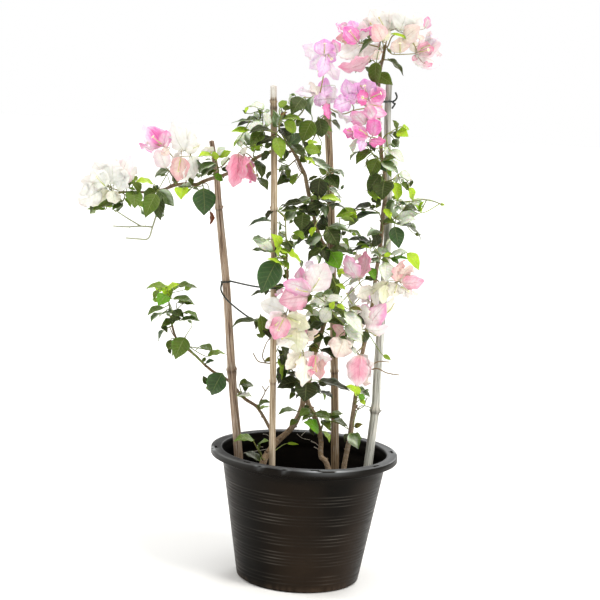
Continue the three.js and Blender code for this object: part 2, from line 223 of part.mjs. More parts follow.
    ["blade",9,1,[75,-32,867.7],[48.3,-49.5,880.2],[-0.118,-0.448,-0.886],24.9,0.093,0.07],
    ["blade",36,1,[44.9,-19,861.8],[31.5,-23,891.3],[-0.238,0.971,0.023],32.1,0.087,0.06],
    ["blade",199,1,[46.9,-28,864],[52.4,-45,891.1],[-0.694,-0.665,-0.276],23.5,0.139,0.06],
    ["blade",46,1,[82.8,-28,844.7],[65.1,-39.2,837.4],[-0.603,0.682,0.414],17.7,0.094,0.14],
    ["blade",25,2,[52.5,-29,847.5],[19.1,-46.8,833.2],[-0.181,-0.389,0.903],29.1,0.113,0.12],
    ["blade",11,1,[81.8,-9.6,857.3],[57.3,8.2,840],[0.089,0.732,0.675],25.7,0.12,0.11],
    ["blade",83,1,[71,22.5,839],[39.1,23.8,813.2],[0.598,0.345,-0.724],31.3,0.082,0.09],
    ["blade",90,1,[67.4,38.1,838.5],[33.2,41.7,832.9],[0.177,0.153,-0.972],28,0.095,0.09],
    ["blade",92,1,[71.9,44.1,840],[81.8,77.2,848.2],[0.514,0.057,-0.856],26.5,0.083,0.21],
    ["blade",93,1,[66.4,46.3,838.6],[30.4,64.4,843.4],[0.449,0.893,-0.002],33.3,0.057,0.15],
    ["blade",324,1,[67.3,62.8,836],[41.1,72.8,814.1],[-0.42,0.523,0.742],26.7,0.108,0.19],
    ["blade",310,1,[69.6,45.9,840.2],[80,82.4,857.6],[-0.734,-0.131,0.666],30.9,0.086,0.12],
  ],
  bract_cluster_top_right: [
    ["twig",[[90.5,-3.3,854],[93.2,-7,856.7],[95.2,-9.1,863.7],[97.7,-11.7,870.3],[102,-16.3,874],[108.1,-20.4,874.1],[115.3,-21.6,872.2],[122.1,-22.1,869.1],[128.3,-22.1,864.9],[133.1,-22,859.1],[136.7,-22,852.4]],[1.38,1.31,1.29,1.26,1.23,1.2,1.17,1.14,1.1,1.07,1.03]],
    ["branch",3,[[95.1,-9.7,847.7],[100.2,-14.2,844.2],[107.4,-17.1,843.9],[114.8,-19.2,844.5],[122.4,-20.7,845.2],[130.1,-21.4,846.1],[137.8,-22,847.1]],[1.01,1,0.98,0.97,0.95,0.93,0.92]],
    ["branch",48,[[131.8,-11,864.1],[135.5,0.3,862.5],[138.4,11.7,860.6],[139.9,23,857.4],[140.1,34,852.8]],[1.25,1.2,1.13,1.06,0.98]],
    ["blade",100,1,[138.5,-32,849.3],[162.2,-47.8,857.9],[-0.341,-0.789,-0.51],23.4,0.128,0.08],
    ["blade",61,1,[136.6,-29,846.9],[150.5,-14.4,826.4],[-0.017,0.819,0.573],21,0.099,0.14],
    ["blade",83,1,[111.1,-30,846.2],[108.4,-38,869.5],[0.22,-0.93,-0.294],30.5,0.129,0.11],
    ["blade",136,2,[135.6,-31,845.8],[174.3,-15.2,830.1],[-0.439,0.862,-0.252],33.2,0.114,0.09],
    ["blade",162,1,[137.6,-28.6,843.8],[130.8,-35.1,835],[-0.048,0.822,-0.567],9.7,0.099,0.08],
    ["blade",76,2,[113.6,-32,865.4],[137.8,-51.4,887.4],[0.667,0.741,-0.08],30.4,0.075,0.13],
    ["blade",157,2,[137.2,-28.1,850.8],[173,-41.7,864.8],[-0.472,-0.816,0.333],32.1,0.085,0.11],
    ["blade",99,1,[136.2,-20.5,848.2],[131.8,-9.3,866.9],[-0.049,0.847,-0.53],17.8,0.098,0.07],
    ["blade",280,1,[142.4,-1,845.3],[165.6,-20,825.1],[-0.379,0.416,-0.826],28.7,0.11,0.13],
    ["blade",55,1,[147.5,-22,862.9],[166.8,-35.3,871.4],[0.631,0.668,-0.395],19.7,0.132,0.14],
    ["blade",104,1,[155.5,-15.5,866.5],[156.7,-25.7,883.1],[0.783,0.554,0.283],14.4,0.089,0.07],
    ["blade",123,1,[143.7,16.2,858.1],[174.5,31.1,845.1],[0.32,-0.905,-0.28],27.4,0.075,0.09],
    ["blade",134,1,[143.4,32.6,856.7],[168.6,53,872.4],[0.18,0.452,-0.874],29,0.079,0.15],
    ["blade",130,1,[143.4,33.6,850.2],[164.8,48.4,826.9],[-0.396,0.895,0.205],27.9,0.07,0.13],
    ["blade",365,1,[143.5,45.4,854],[164.1,69.8,860.8],[-0.773,0.624,0.117],24.5,0.103,0.19],
    ["blade",135,1,[143.1,50.8,851.1],[166.7,70.1,828.6],[-0.537,-0.274,-0.798],28.3,0.085,0.15],
  ],
  bract_cluster_top_white: [
    ["twig",[[89.3,-3.9,857.6],[89.7,-8.9,860.3],[90.5,-12.2,866.6],[91.5,-15.8,872.6],[93.6,-19.5,878.3],[99.3,-21.2,881.8],[106,-22,884.2]],[1.38,1.26,1.23,1.18,1.13,1.08,1.03]],
    ["branch",3,[[86.4,-8.3,861.9],[83.6,-12.5,866.3],[81.3,-16.5,871.2],[79.5,-20,876.7]],[1.13,1.1,1.07,1.03]],
    ["branch",32,[[107.2,-11.6,886.8],[109.8,-1.2,889.6],[112.2,9.4,891.7],[114.4,20.2,891.6],[116.2,30.9,889.4]],[1.25,1.2,1.13,1.06,0.98]],
    ["blade",11,1,[82.3,-49,863.2],[67.2,-65.6,886.1],[-0.435,0.841,0.321],28.8,0.118,0.09],
    ["blade",47,1,[85.1,-36.5,862.9],[88.9,-23.5,884.8],[0.194,0.828,-0.526],19.3,0.071,0.1],
    ["blade",29,2,[88.3,-30,877.7],[60,-34,910],[0.202,-0.978,0.056],33.7,0.089,0.12],
    ["blade",36,2,[108.9,-30,880.4],[117.9,-34,916.3],[-0.168,0.974,0.15],36.9,0.132,0.1],
    ["blade",27,2,[93.1,-20.6,879.9],[91.3,-24.5,918.9],[0.279,0.954,0.111],33.8,0.124,0.12],
    ["blade",37,2,[115.1,-18,878],[140,-35,903.1],[0.477,0.871,0.117],32.1,0.082,0.06],
    ["blade",62,1,[77.2,-13,882.1],[50.3,-30.8,895.2],[0.313,-0.822,-0.476],27.3,0.084,0.13],
    ["blade",157,1,[147.2,-27,886.4],[150.7,-37.9,903.7],[-0.698,-0.66,-0.277],15.3,0.136,0.07],
    ["blade",26,1,[100.3,-14.5,882.6],[104.3,-33.2,912.5],[-0.269,0.8,0.536],25.4,0.133,0.14],
    ["blade",35,2,[117.5,-17.5,877.3],[151.9,1.2,889],[0.523,-0.572,-0.632],28.9,0.13,0.08],
    ["blade",83,1,[110.3,12.8,893.5],[82.4,25.5,911.4],[-0.468,0.19,-0.863],26.3,0.056,0.15],
    ["blade",90,1,[111.7,30.8,889],[89.2,54,881.9],[0.451,0.171,-0.876],25.1,0.055,0.11],
    ["blade",92,1,[115.1,32,893.3],[111,56.5,915.1],[0.861,0.411,-0.3],24.6,0.102,0.12],
    ["blade",93,1,[118.7,32.8,890.5],[144.8,52.1,901.9],[-0.111,-0.389,0.915],25.3,0.107,0.13],
    ["blade",357,1,[118.8,31.6,885.2],[137.4,36.7,855.9],[-0.746,0.549,-0.378],26.7,0.052,0.09],
    ["blade",325,1,[117.1,42.9,891.8],[121.8,79.2,911.1],[0.94,0.055,-0.336],33.9,0.056,0.13],
  ],
  bract_cluster_upper_lilac: [
    ["twig",[[-44.9,-6.3,692.6],[-43.4,-6.4,693.1],[-38.4,-7,698.6],[-33.3,-7.5,704.1],[-28.3,-8,709.6],[-23.3,-8.5,715.1],[-18.3,-9.1,720.6],[-13.3,-9.7,726.2],[-8.4,-10.3,731.7],[-3.8,-11.6,737.5],[0.8,-12.9,743.2],[4.7,-15,748.9],[6,-20.2,754],[3.2,-26.6,756],[-0.5,-32.9,757.7],[-4.1,-38.2,761],[-7.5,-41.2,766.8],[-8.5,-42.2,774],[-7.7,-42.3,781.4],[-6.6,-42.1,788.8],[-5.6,-42,796.2],[-4.9,-41.9,803.7],[-4.4,-41.9,811.1],[-4.2,-42.4,818.6],[-4.4,-43.2,826],[-4.6,-44,833.4]],[1.61,1.54,1.52,1.51,1.51,1.49,1.48,1.48,1.47,1.46,1.45,1.44,1.43,1.4,1.38,1.35,1.3,1.26,1.24,1.21,1.18,1.16,1.13,1.09,1.07,1.03]],
    ["twig",[[81.1,-3.4,761.1],[75.1,-6.6,760.4],[68.5,-10.2,759.3],[62,-13.8,758.1],[55.5,-17.4,756.9],[49,-21.1,755.5],[43,-25.1,753.4],[37.3,-29.3,750.8],[31.4,-33.5,748.5],[24.6,-36.4,748.6],[17.6,-38.1,750.9],[11,-39.7,754.2],[4.1,-39.2,757.1],[-2.5,-36,758.7]],[1.26,1.22,1.21,1.21,1.2,1.18,1.18,1.16,1.15,1.13,1.12,1.09,1.06,1.03]],
    ["branch",185,[[45.3,-27.7,758.8],[43.1,-33.4,762.5],[40.5,-38.9,766.3],[37.6,-44,770.3]],[1.01,0.99,0.95,0.92]],
    ["branch",133,[[-5.2,-28.8,814.3],[-6.2,-15.7,815.8],[-7.4,-2.7,818.4],[-8.9,10,821.9]],[1.24,1.16,1.08,0.98]],
    ["join",231,89,[[-2,-35.5,758.9],[-1.6,-35.1,759.1]]],
    ["blade",108,1,[2.4,-58,763.9],[7.7,-64,739.2],[0.742,-0.598,0.303],20.2,0.086,0.07],
    ["blade",151,1,[-3.2,-56,834.1],[-10.5,-62,801.9],[-0.653,0.757,0.007],26.1,0.085,0.08],
    ["blade",256,1,[1.3,-58.5,770],[-18.3,-46.3,764.9],[0.545,0.829,-0.122],20.7,0.124,0.11],
    ["blade",253,1,[38.2,-54,768.9],[13.5,-60,757.7],[-0.082,0.943,-0.323],28.6,0.125,0.09],
    ["blade",147,1,[-5.6,-52,836.3],[-7.1,-58,861],[0.246,-0.945,-0.215],33.4,0.143,0.15],
    ["blade",148,1,[-8.4,-50,832.3],[-26.6,-34.8,814.7],[-0.522,-0.834,-0.181],22.3,0.13,0.1],
    ["blade",321,1,[-0.4,-50,838.1],[13.9,-60.4,828.2],[-0.556,-0.828,0.073],17.5,0.112,0.16],
    ["blade",96,1,[-0.2,-41,772],[-0.4,-22.7,802.5],[0.333,-0.808,0.486],24.8,0.129,0.07],
    ["blade",255,1,[38.9,-49.5,773.9],[29.3,-56,801.1],[0.191,0.947,0.259],23.8,0.133,0.12],
    ["blade",150,1,[2.7,-46,826.2],[17.6,-27.4,798.9],[0.416,0.629,0.656],27.2,0.131,0.09],
    ["blade",98,2,[-6.5,-35.5,773.1],[-46,-48.1,779.4],[-0.276,0.439,-0.855],29.7,0.06,0.06],
    ["blade",247,1,[49,-49,770.2],[30.8,-60.1,774.6],[0.426,-0.837,-0.345],19.1,0.078,0.13],
    ["blade",222,1,[3.4,-46,762.3],[7.2,-36.9,776.9],[-0.241,-0.794,0.558],13.3,0.071,0.07],
    ["blade",146,1,[-13.1,-43.7,832.9],[-39.4,-25.8,848.5],[-0.65,-0.709,-0.273],28,0.085,0.12],
    ["blade",105,1,[-10.4,-44,773.7],[-24.7,-28.6,795],[-0.501,0.505,-0.703],21,0.093,0.12],
    ["blade",215,1,[19.4,-40.5,752.4],[43,-57.2,738.8],[0.635,0.331,0.698],24.5,0.102,0.12],
    ["blade",273,1,[-6.3,-8.8,820.4],[-3.1,7.6,853.9],[-0.436,0.823,-0.363],30.5,0.068,0.11],
    ["blade",280,1,[-11,4.6,825.6],[-27.7,4.8,857.4],[-0.562,0.771,-0.299],28.4,0.053,0.21],
    ["blade",597,1,[-9.4,8.8,825.3],[-16.9,27.6,860.3],[0.515,0.796,-0.318],30.2,0.068,0.17],
    ["blade",281,1,[-7.2,12.9,824],[6.7,37.3,841.5],[0.899,-0.255,-0.357],23.9,0.052,0.1],
    ["blade",619,1,[-12.3,6.7,827.1],[-34.5,14.9,855.3],[-0.442,0.715,-0.542],27.9,0.069,0.21],
    ["blade",633,1,[-9.6,13.7,821],[-12.7,49.1,810.1],[0.996,0.089,-0.031],26.9,0.06,0.18],
  ],
  bract_cluster_upper_pink: [
    ["twig",[[86.6,-4.8,731.2],[84.3,-11.1,732.2],[81.7,-17.3,735.3],[79.1,-23,739.3],[76.4,-27.8,744.2],[73.9,-32.4,749.4],[71.7,-36.9,754.8],[70,-41.3,760.5],[68.6,-45.6,766.3],[67.3,-50,772.1]],[1.49,1.38,1.35,1.31,1.29,1.25,1.23,1.21,1.17,1.15]],
    ["twig",[[90,-3.4,710.1],[88.1,-10.8,710.6],[86.1,-18.3,712],[83.9,-25.7,713.3],[80.9,-32.8,714.4],[76.9,-39.5,715.1],[72.5,-46,715.6]],[1.38,1.29,1.26,1.24,1.22,1.18,1.15]],
    ["branch",22,[[73.6,-18.2,749],[69.8,-9.7,754.9],[65.6,-0.9,760.2],[60.6,8.2,763.8],[54.8,17.4,765.1]],[1.25,1.2,1.13,1.06,0.98]],
    ["join",5,57,[[87.4,-5.6,723.2],[88.4,-5.2,717.4]]],
    ["blade",55,2,[63.4,-62,765.9],[97.2,-43.9,752.3],[0.552,-0.745,0.376],29.7,0.114,0.12],
    ["blade",93,1,[69.5,-62,717.6],[43,-79.3,730.3],[0.613,-0.745,0.264],24.6,0.2,0.11],
    ["blade",143,1,[64.6,-60,772.8],[47.8,-74,778.1],[0.649,-0.759,0.048],25.3,0.106,0.15],
    ["blade",53,1,[68.4,-58,774.5],[92.5,-66,786.6],[-0.363,-0.925,0.114],28.5,0.128,0.14],
    ["blade",90,1,[59,-58,716],[56.9,-71.9,693.6],[-0.644,0.676,-0.358],20,0.122,0.06],
    ["blade",88,1,[75.9,-56.5,717.8],[75.7,-73.5,746.4],[-0.281,-0.825,-0.49],25.3,0.15,0.08],
    ["blade",48,1,[62.8,-61,763.6],[76.6,-76,743.4],[-0.5,-0.822,0.271],20.6,0.11,0.1],
    ["blade",92,1,[71.7,-56,709.8],[96.4,-71.2,710.3],[-0.373,-0.583,0.722],21.5,0.075,0.07],
    ["blade",187,1,[66.3,-51,775.1],[57.3,-59,804.2],[-0.186,-0.931,-0.313],31.7,0.119,0.08],
    ["blade",272,1,[52,-54,719.3],[29.3,-67.5,721.5],[0.436,-0.627,0.646],20.5,0.109,0.15],
    ["blade",292,1,[62.1,-37,776.2],[42.1,-53.6,795.7],[0.755,-0.6,0.265],24.7,0.083,0.15],
    ["blade",41,1,[65.2,-50,743.7],[91.8,-66.9,737.3],[-0.43,-0.362,-0.827],22.5,0.112,0.1],
    ["blade",114,1,[64.2,-0.4,764.4],[55.2,-5.7,801.4],[-0.972,0.063,-0.228],31.1,0.073,0.11],
    ["blade",121,1,[53.3,14.1,767.4],[22.8,13.9,791.5],[-0.613,0.139,-0.777],28.8,0.064,0.16],
    ["blade",123,1,[56.9,19.3,768.9],[61.5,44.9,794.2],[-0.933,-0.156,0.325],27.8,0.097,0.13],
    ["blade",375,1,[52.3,7.5,768.7],[30.8,18,802.9],[-0.636,0.529,-0.562],31.2,0.096,0.1],
    ["blade",124,1,[49.7,19,765.6],[18.7,28.3,768.8],[0.11,0.026,0.994],26,0.083,0.11],
    ["blade",393,1,[54.3,19.1,768.5],[57.1,47.1,790.8],[-0.922,-0.194,0.334],28.8,0.059,0.22],
  ],
  bract_pair_left_hanging: [
    ["twig",[[-106.7,-45.1,672.4],[-110.3,-50.3,676.5],[-114.8,-55.8,679.7],[-119,-61.9,681.9],[-122.9,-68.5,683],[-127.3,-74,680.9]],[1.26,1.18,1.16,1.13,1.1,1.03]],
    ["branch",20,[[-120.2,-60.4,672.7],[-117.3,-52.7,662.9],[-113.3,-44.9,653.6],[-107.9,-37.3,644.9]],[1.24,1.15,1.07,0.98]],
    ["blade",31,2,[-127.1,-80,680.4],[-131.8,-84,628.5],[-0.551,0.834,-0.014],37.5,0.1,0.15],
    ["blade",28,2,[-114.5,-80.5,675],[-100.8,-66.6,637.5],[0.86,-0.492,0.132],32.5,0.12,0.15],
    ["blade",27,1,[-125,-75,681],[-114.5,-82.9,689.6],[-0.686,-0.699,0.202],11.3,0.13,0.08],
    ["blade",22,2,[-118.2,-85,676.5],[-117.2,-104.8,644.1],[0.745,0.579,-0.332],26.1,0.084,0.14],
    ["blade",55,1,[-112.9,-35.8,647],[-134,-10.3,642.8],[-0.124,-0.258,-0.958],27.2,0.073,0.19],
    ["blade",56,1,[-107.7,-33.9,645.1],[-104.9,2.8,647.2],[0.995,-0.071,-0.075],29.1,0.092,0.1],
  ],
  leaf_shoot_base_left: [
    ["twig",[[-65,-37,196.3],[-66.2,-43.2,199],[-66.9,-49.2,203],[-67.9,-54.8,207.4],[-70.5,-58.6,212.8],[-74.2,-60.1,218.8],[-77.6,-61.1,225.1],[-81,-62,231.5]],[1.38,1.28,1.24,1.22,1.17,1.12,1.08,1.03]],
    ["blade",43,1,[-81,-66,234],[-111.8,-77.4,233.1],[0.093,-0.322,0.942],22.9,0.14,0.15],
    ["blade",18,1,[-70.7,-60,199.4],[-97.2,-41.9,208.2],[0.167,-0.223,0.96],22,0.092,0.17],
    ["blade",14,0,[-71.9,-52,216.9],[-73.9,-57.9,227.7],[0.756,-0.623,-0.199],6.3,0.1,0.24],
    ["blade",26,1,[-73.8,-48.5,220.8],[-56.8,-60.2,233.3],[-0.623,-0.075,0.779],16.3,0.092,0.2],
  ],
  leaf_shoot_centre_left: [
    ["twig",[[-40,-72.6,482.4],[-41.1,-76.6,483.2],[-41.5,-80,490],[-41.9,-83.1,496.8],[-42.4,-85.9,503.8],[-43,-88,511.1],[-43.7,-89.3,518.5],[-44.4,-90.4,525.9],[-45.1,-91.4,533.4],[-45.9,-92,540.9],[-46.6,-92.1,548.4],[-47.3,-92.1,555.9],[-48,-92,563.5],[-48.6,-92,571],[-49.3,-92,578.5],[-50.5,-92,586],[-54.1,-92,592.5],[-60.4,-92,596.6]],[1.95,1.83,1.79,1.76,1.72,1.68,1.63,1.59,1.54,1.49,1.45,1.41,1.37,1.32,1.28,1.22,1.13,1.03]],
    ["branch",40,[[-50.8,-91.4,525.5],[-56.2,-92.7,530.2],[-60.1,-94,536.3]],[1.26,1.14,1.03]],
    ["branch",121,[[-57.4,-81.8,535.2],[-55.4,-70,535.7],[-52.7,-58.3,536.2],[-49.3,-46.8,536.4],[-44.3,-35.9,535.7],[-38.5,-25.5,534.3]],[1.26,1.22,1.16,1.1,1.05,0.98]],
    ["branch",137,[[-55,-53.1,535.5],[-55.7,-40.7,535.3],[-56.6,-28.2,535.6],[-57.9,-15.9,536.5],[-59.5,-3.6,537.9],[-62.1,8.4,540.1],[-64.9,20.2,542.7]],[1.28,1.23,1.18,1.14,1.09,1.03,0.98]],
    ["blade",118,1,[-59.2,-104,522.8],[-80.6,-110,471.7],[-0.206,-0.958,0.199],39.2,0.05,0.12],
    ["blade",36,1,[-49.5,-106,515.2],[-75.8,-113.9,524.5],[0.385,-0.219,0.897],18,0.12,0.16],
    ["blade",112,0,[-58,-99,527.7],[-54.2,-109.5,545.8],[-0.884,-0.46,-0.082],14.2,0.109,0.13],
    ["blade",122,0,[-71.4,-97,535.2],[-99.5,-103.8,535.8],[0.087,-0.266,0.96],18.2,0.071,0.13],
    ["blade",125,1,[-57.1,-102,539.1],[-22.5,-102,521.6],[0.428,-0.278,0.86],26.6,0.08,0.26],
    ["blade",243,0,[-53.1,-96,521.5],[-40.1,-107.1,509.7],[0.326,-0.483,0.813],14,0.093,0.26],
    ["blade",259,1,[-66.4,-91,534.5],[-97.8,-91,552.2],[0.314,-0.776,0.547],20.1,0.06,0.25],
    ["blade",52,0,[-56,-92,544],[-68.9,-108.5,563.2],[0.687,-0.711,-0.151],18.3,0.12,0.13],
    ["blade",111,0,[-53.8,-87.8,528.2],[-42.4,-78.1,515.5],[0.816,-0.416,0.402],13.6,0.068,0.13],
    ["blade",320,1,[-60.8,-71.1,526.1],[-65.6,-88.7,550.6],[0.879,-0.452,-0.152],19.4,0.114,0.17],
    ["blade",64,0,[-78,-86,552.1],[-99,-98.9,552.9],[0.138,-0.165,0.977],17.6,0.091,0.12],
    ["blade",62,1,[-46.5,-89,551.9],[-40.2,-105,537.8],[-0.005,-0.662,0.749],19.6,0.077,0.21],
    ["blade",33,1,[-48,-78,505.9],[-41,-67.1,487.9],[0.908,-0.404,0.11],14.9,0.065,0.24],
    ["blade",70,1,[-59,-84,567.6],[-61.6,-73.8,583.5],[0.923,-0.236,0.303],12.3,0.095,0.22],
    ["blade",3,0,[-48.4,-70,483.1],[-58.5,-79.2,472.8],[-0.231,-0.602,0.764],11,0.062,0.22],
    ["blade",406,1,[-71.9,-74.4,475.4],[-74.3,-81.2,465.2],[-0.124,-0.811,0.572],8,0.107,0.18],
    ["blade",0,1,[-68.2,-51.5,467.9],[-96.9,-69,461.4],[-0.144,-0.125,0.982],22.2,0.071,0.13],
    ["blade",91,0,[-70.2,-63.9,596.1],[-80,-71.9,580.6],[-0.597,-0.492,0.634],13.8,0.114,0.16],
    ["blade",79,1,[-71.2,-44,576.5],[-108.6,-44,565.8],[-0.273,-0.135,0.953],26.3,0.12,0.22],
    ["blade",135,0,[-48.6,-62.9,533.6],[-28.9,-53.9,525.7],[0.415,-0.121,0.901],15.3,0.088,0.16],
    ["blade",163,1,[-57.2,-52.6,535.2],[-79.7,-35.2,531.2],[0.221,0.481,0.849],20,0.08,0.13],
    ["blade",169,1,[-57.2,-49.4,535.5],[-68.9,-30.7,529.9],[0.356,0.529,0.77],15.5,0.099,0.1],
    ["blade",150,1,[-49.5,-37.8,537.6],[-65.4,-16.4,546.3],[0.441,-0.038,0.897],19.1,0.102,0.2],
    ["blade",156,0,[-47.3,-29,532.9],[-66.3,-11.4,522.6],[-0.239,0.283,0.929],18.2,0.109,0.19],
    ["blade",546,0,[-40.8,-18.5,533.3],[-50.2,10.6,529.3],[-0.42,-0.01,0.908],20.4,0.097,0.2],
    ["blade",175,0,[-58.4,-35,538.4],[-72.1,-26.7,555.1],[0.767,-0.03,0.641],15.5,0.08,0.14],
    ["blade",180,0,[-63.2,-23,534.8],[-88.3,-7.9,531.3],[-0.154,-0.028,0.988],18.3,0.092,0.11],
    ["blade",187,1,[-61.8,-1.7,533.6],[-71,14.1,519.7],[-0.584,0.315,0.748],15.6,0.069,0.21],
    ["blade",193,1,[-63.3,4.7,542.8],[-74.9,10.4,561.2],[0.856,0.199,0.478],15.4,0.087,0.09],
    ["blade",196,0,[-59.7,13.6,537.8],[-40.2,29,518.8],[0.569,0.245,0.785],22.5,0.091,0.13],
    ["blade",202,0,[-64.7,28.3,539.4],[-63.6,57.8,527.5],[-0.371,0.358,0.857],22.3,0.094,0.18],
  ],
  leaf_shoot_centre_low: [
    ["twig",[[12.9,7.3,380.8],[12.9,1.9,381],[13.4,-5.6,382.7],[13.9,-13,384.5],[14.4,-20.5,386.4],[14.9,-27.8,388.6],[15.6,-35,391.3],[16.4,-41.3,395.4],[17.3,-46.3,401],[18.5,-49.8,407.7],[19.8,-53.2,414.5],[21.3,-56.7,421.2],[23,-60,427.9]],[1.61,1.43,1.39,1.37,1.33,1.31,1.28,1.24,1.18,1.13,1.07,1,0.92]],
    ["branch",39,[[12.2,-44.3,391.6],[8.6,-50.5,390.9],[4.5,-56.4,389.8],[-0.4,-61.5,388.1],[-5.8,-66,386.2]],[1.09,1.03,0.97,0.89,0.8]],
    ["branch",88,[[4.2,-40.1,392.4],[0.5,-28.2,393.8],[-3.5,-16.4,394.4],[-7.9,-4.9,392.7],[-12.7,6,388.8]],[1.25,1.2,1.13,1.06,0.98]],
    ["blade",73,1,[19.8,-72,427.9],[-8.5,-80,407.9],[-0.454,-0.392,0.8],23.9,0.06,0.22],
    ["blade",70,0,[11.3,-70,441.2],[-12.5,-85.7,438.2],[0.174,-0.434,0.884],17.7,0.059,0.16],
    ["blade",136,0,[24.4,-66,429.7],[47.6,-82.7,425.7],[-0.064,-0.317,0.946],20.2,0.061,0.2],
    ["blade",90,0,[11.4,-54,386],[-4.5,-40.6,375.7],[-0.729,-0.524,0.441],16.2,0.055,0.21],
    ["blade",60,0,[16.4,-62,407.3],[4,-77.4,393.3],[-0.01,-0.668,0.745],16,0.081,0.18],
    ["blade",102,0,[0.6,-60,384],[13.3,-68.4,379.8],[-0.336,-0.775,0.535],8,0.066,0.18],
    ["blade",179,1,[16.3,-58,382.2],[38.4,-76.9,374.1],[-0.008,-0.404,0.915],18.8,0.117,0.23],
    ["blade",59,0,[27.6,-56,403.9],[23.6,-68.4,389.9],[-0.129,-0.726,0.675],13.6,0.078,0.21],
    ["blade",64,1,[-4.1,-50,437.5],[10,-33,412],[0.746,-0.665,-0.033],21.1,0.08,0.24],
    ["blade",116,0,[-2.7,-30.4,400.5],[-18.9,-21.9,425.3],[0.73,0.634,0.257],21.6,0.089,0.12],
    ["blade",253,0,[0.5,-24,400.4],[3.9,-14.1,432],[-0.551,-0.778,0.302],21.4,0.075,0.13],
    ["blade",127,0,[-0.1,-16.5,398.2],[14.3,-1.7,420.3],[-0.702,-0.291,0.65],19,0.061,0.2],
    ["blade",125,0,[-10.1,-11.6,394.9],[-33.6,-8.1,398],[0.188,0.491,0.851],15,0.073,0.17],
    ["blade",133,0,[-7.1,-0.2,398],[-6.6,20.2,413.8],[0.072,-0.613,0.787],16.5,0.084,0.08],
    ["blade",135,0,[-13.8,8.6,393.1],[-17,15.9,412.1],[0.547,-0.548,0.633],14.4,0.052,0.18],
    ["blade",314,0,[-11.9,11.7,393],[-9.2,31.9,408.1],[-0.543,-0.454,0.706],16.2,0.057,0.18],
  ],
  leaf_shoot_centre_mid: [
    ["twig",[[6,-6.2,549.3],[5.6,-13.8,549.2],[4.8,-21.6,549.8],[4,-29.3,550.5],[3.2,-37.1,551.4],[2.3,-44.7,552.6],[0.1,-52,554.1],[-6.6,-55.7,555.2],[-14,-58,556.2]],[1.49,1.32,1.28,1.23,1.18,1.13,1.06,0.99,0.92]],
    ["twig",[[16.3,-4.5,536],[16.9,-10.3,537.2],[16.6,-17,540.5],[16.4,-23.8,543.9],[16.1,-30.4,547.5],[15.9,-36.8,551.3],[15.6,-42.6,556.2],[15.3,-47.5,561.8],[16.5,-52.1,567.6],[22,-55.9,570.7],[29.1,-58.1,571.8],[36.5,-59.3,571.4],[43.9,-60,570.5]],[1.72,1.55,1.51,1.47,1.45,1.41,1.37,1.31,1.24,1.15,1.07,1,0.92]],
    ["branch",53,[[16.2,-15.6,535.9],[15.4,-23.6,535.9],[14.5,-31.5,535.9],[13.3,-39.4,536.5],[11.2,-46.9,538.3],[8.6,-54,540.7]],[1.22,1.18,1.14,1.08,1,0.92]],
    ["branch",15,[[1.3,-9.8,551.3],[-2.2,2.2,552.7],[-5.3,14.4,553.9],[-7.9,26.7,555],[-10,39,555.7],[-11.1,51.6,555.5],[-11,64.1,554.2],[-10.4,76.6,552.5]],[1.28,1.24,1.2,1.16,1.12,1.07,1.02,0.98]],
    ["branch",174,[[-2.2,21.9,549.5],[0.5,33.2,545.3],[4,44.2,541],[8.8,54.2,535.7],[14.7,63.2,529.7]],[1.25,1.2,1.13,1.06,0.98]],
    ["join",5,51,[[9,-7.2,544.7],[13.3,-6.5,540]]],
    ["blade",115,1,[8.5,-74,541.2],[-13.5,-76.5,521.6],[-0.483,-0.616,0.622],19.2,0.14,0.18],
    ["blade",108,1,[6.6,-73,561.1],[-15.7,-55.9,545.7],[-0.677,-0.711,0.191],20.8,0.1,0.25],
    ["blade",42,0,[1.3,-70,532.6],[4.4,-79.9,517.6],[0.662,-0.555,0.504],11.5,0.092,0.25],
    ["blade",160,1,[20.9,-70,540.7],[49.5,-76.1,537.6],[-0.015,-0.51,0.86],20.4,0.12,0.2],
    ["blade",96,1,[14.3,-66,574],[33.7,-66,545.7],[0.229,-0.961,0.157],30.2,0.08,0.16],
    ["blade",49,0,[-19.3,-64,555.7],[-38.2,-79.3,564.5],[0.66,-0.48,0.578],17,0.109,0.12],
    ["blade",149,1,[9.8,-62.5,546.4],[-12.9,-49.3,537.5],[-0.529,-0.414,0.741],19.2,0.102,0.18],
    ["blade",48,1,[-18.6,-62,556.3],[-31.9,-51.4,543.6],[-0.779,-0.397,0.485],14.6,0.068,0.22],
    ["blade",123,0,[45.4,-62,570.8],[68.1,-68.9,563.5],[0.226,-0.259,0.939],17,0.1,0.15],
    ["blade",159,1,[19.5,-62,539.1],[38.2,-62,511.3],[0.234,-0.959,0.158],31.1,0.08,0.1],
    ["blade",321,1,[15.4,-55.9,573.7],[49,-73.5,570.5],[-0.163,-0.375,0.913],20.9,0.1,0.19],
    ["blade",121,0,[38.6,-60,557],[49.8,-48.9,541],[0.865,-0.323,0.384],15.1,0.18,0.12],
    ["blade",147,1,[33.5,-58,486.3],[48.5,-68.5,479.2],[0.16,-0.392,0.906],12.4,0.065,0.2],
    ["blade",141,0,[46.2,-56,508.7],[34,-66.7,502.3],[0.177,-0.65,0.739],11.3,0.073,0.12],
    ["blade",35,0,[8.3,-62.9,544.7],[18.9,-73.5,521.5],[0.104,-0.886,0.452],17.6,0.067,0.12],
    ["blade",153,1,[23.8,-46,495.3],[38.1,-46,464.6],[0.734,-0.586,0.343],22.9,0.114,0.11],
    ["blade",173,0,[-1.7,9.6,547.1],[4.4,17.6,527.3],[0.712,0.548,0.439],15.4,0.064,0.09],
    ["blade",181,0,[-11,21.4,557.4],[-29.8,31.1,569.8],[0.641,0.461,0.614],17.4,0.066,0.2],
    ["blade",185,0,[-8,32.6,550.3],[-5.5,48.7,524.5],[0.244,0.812,0.531],18.9,0.09,0.15],
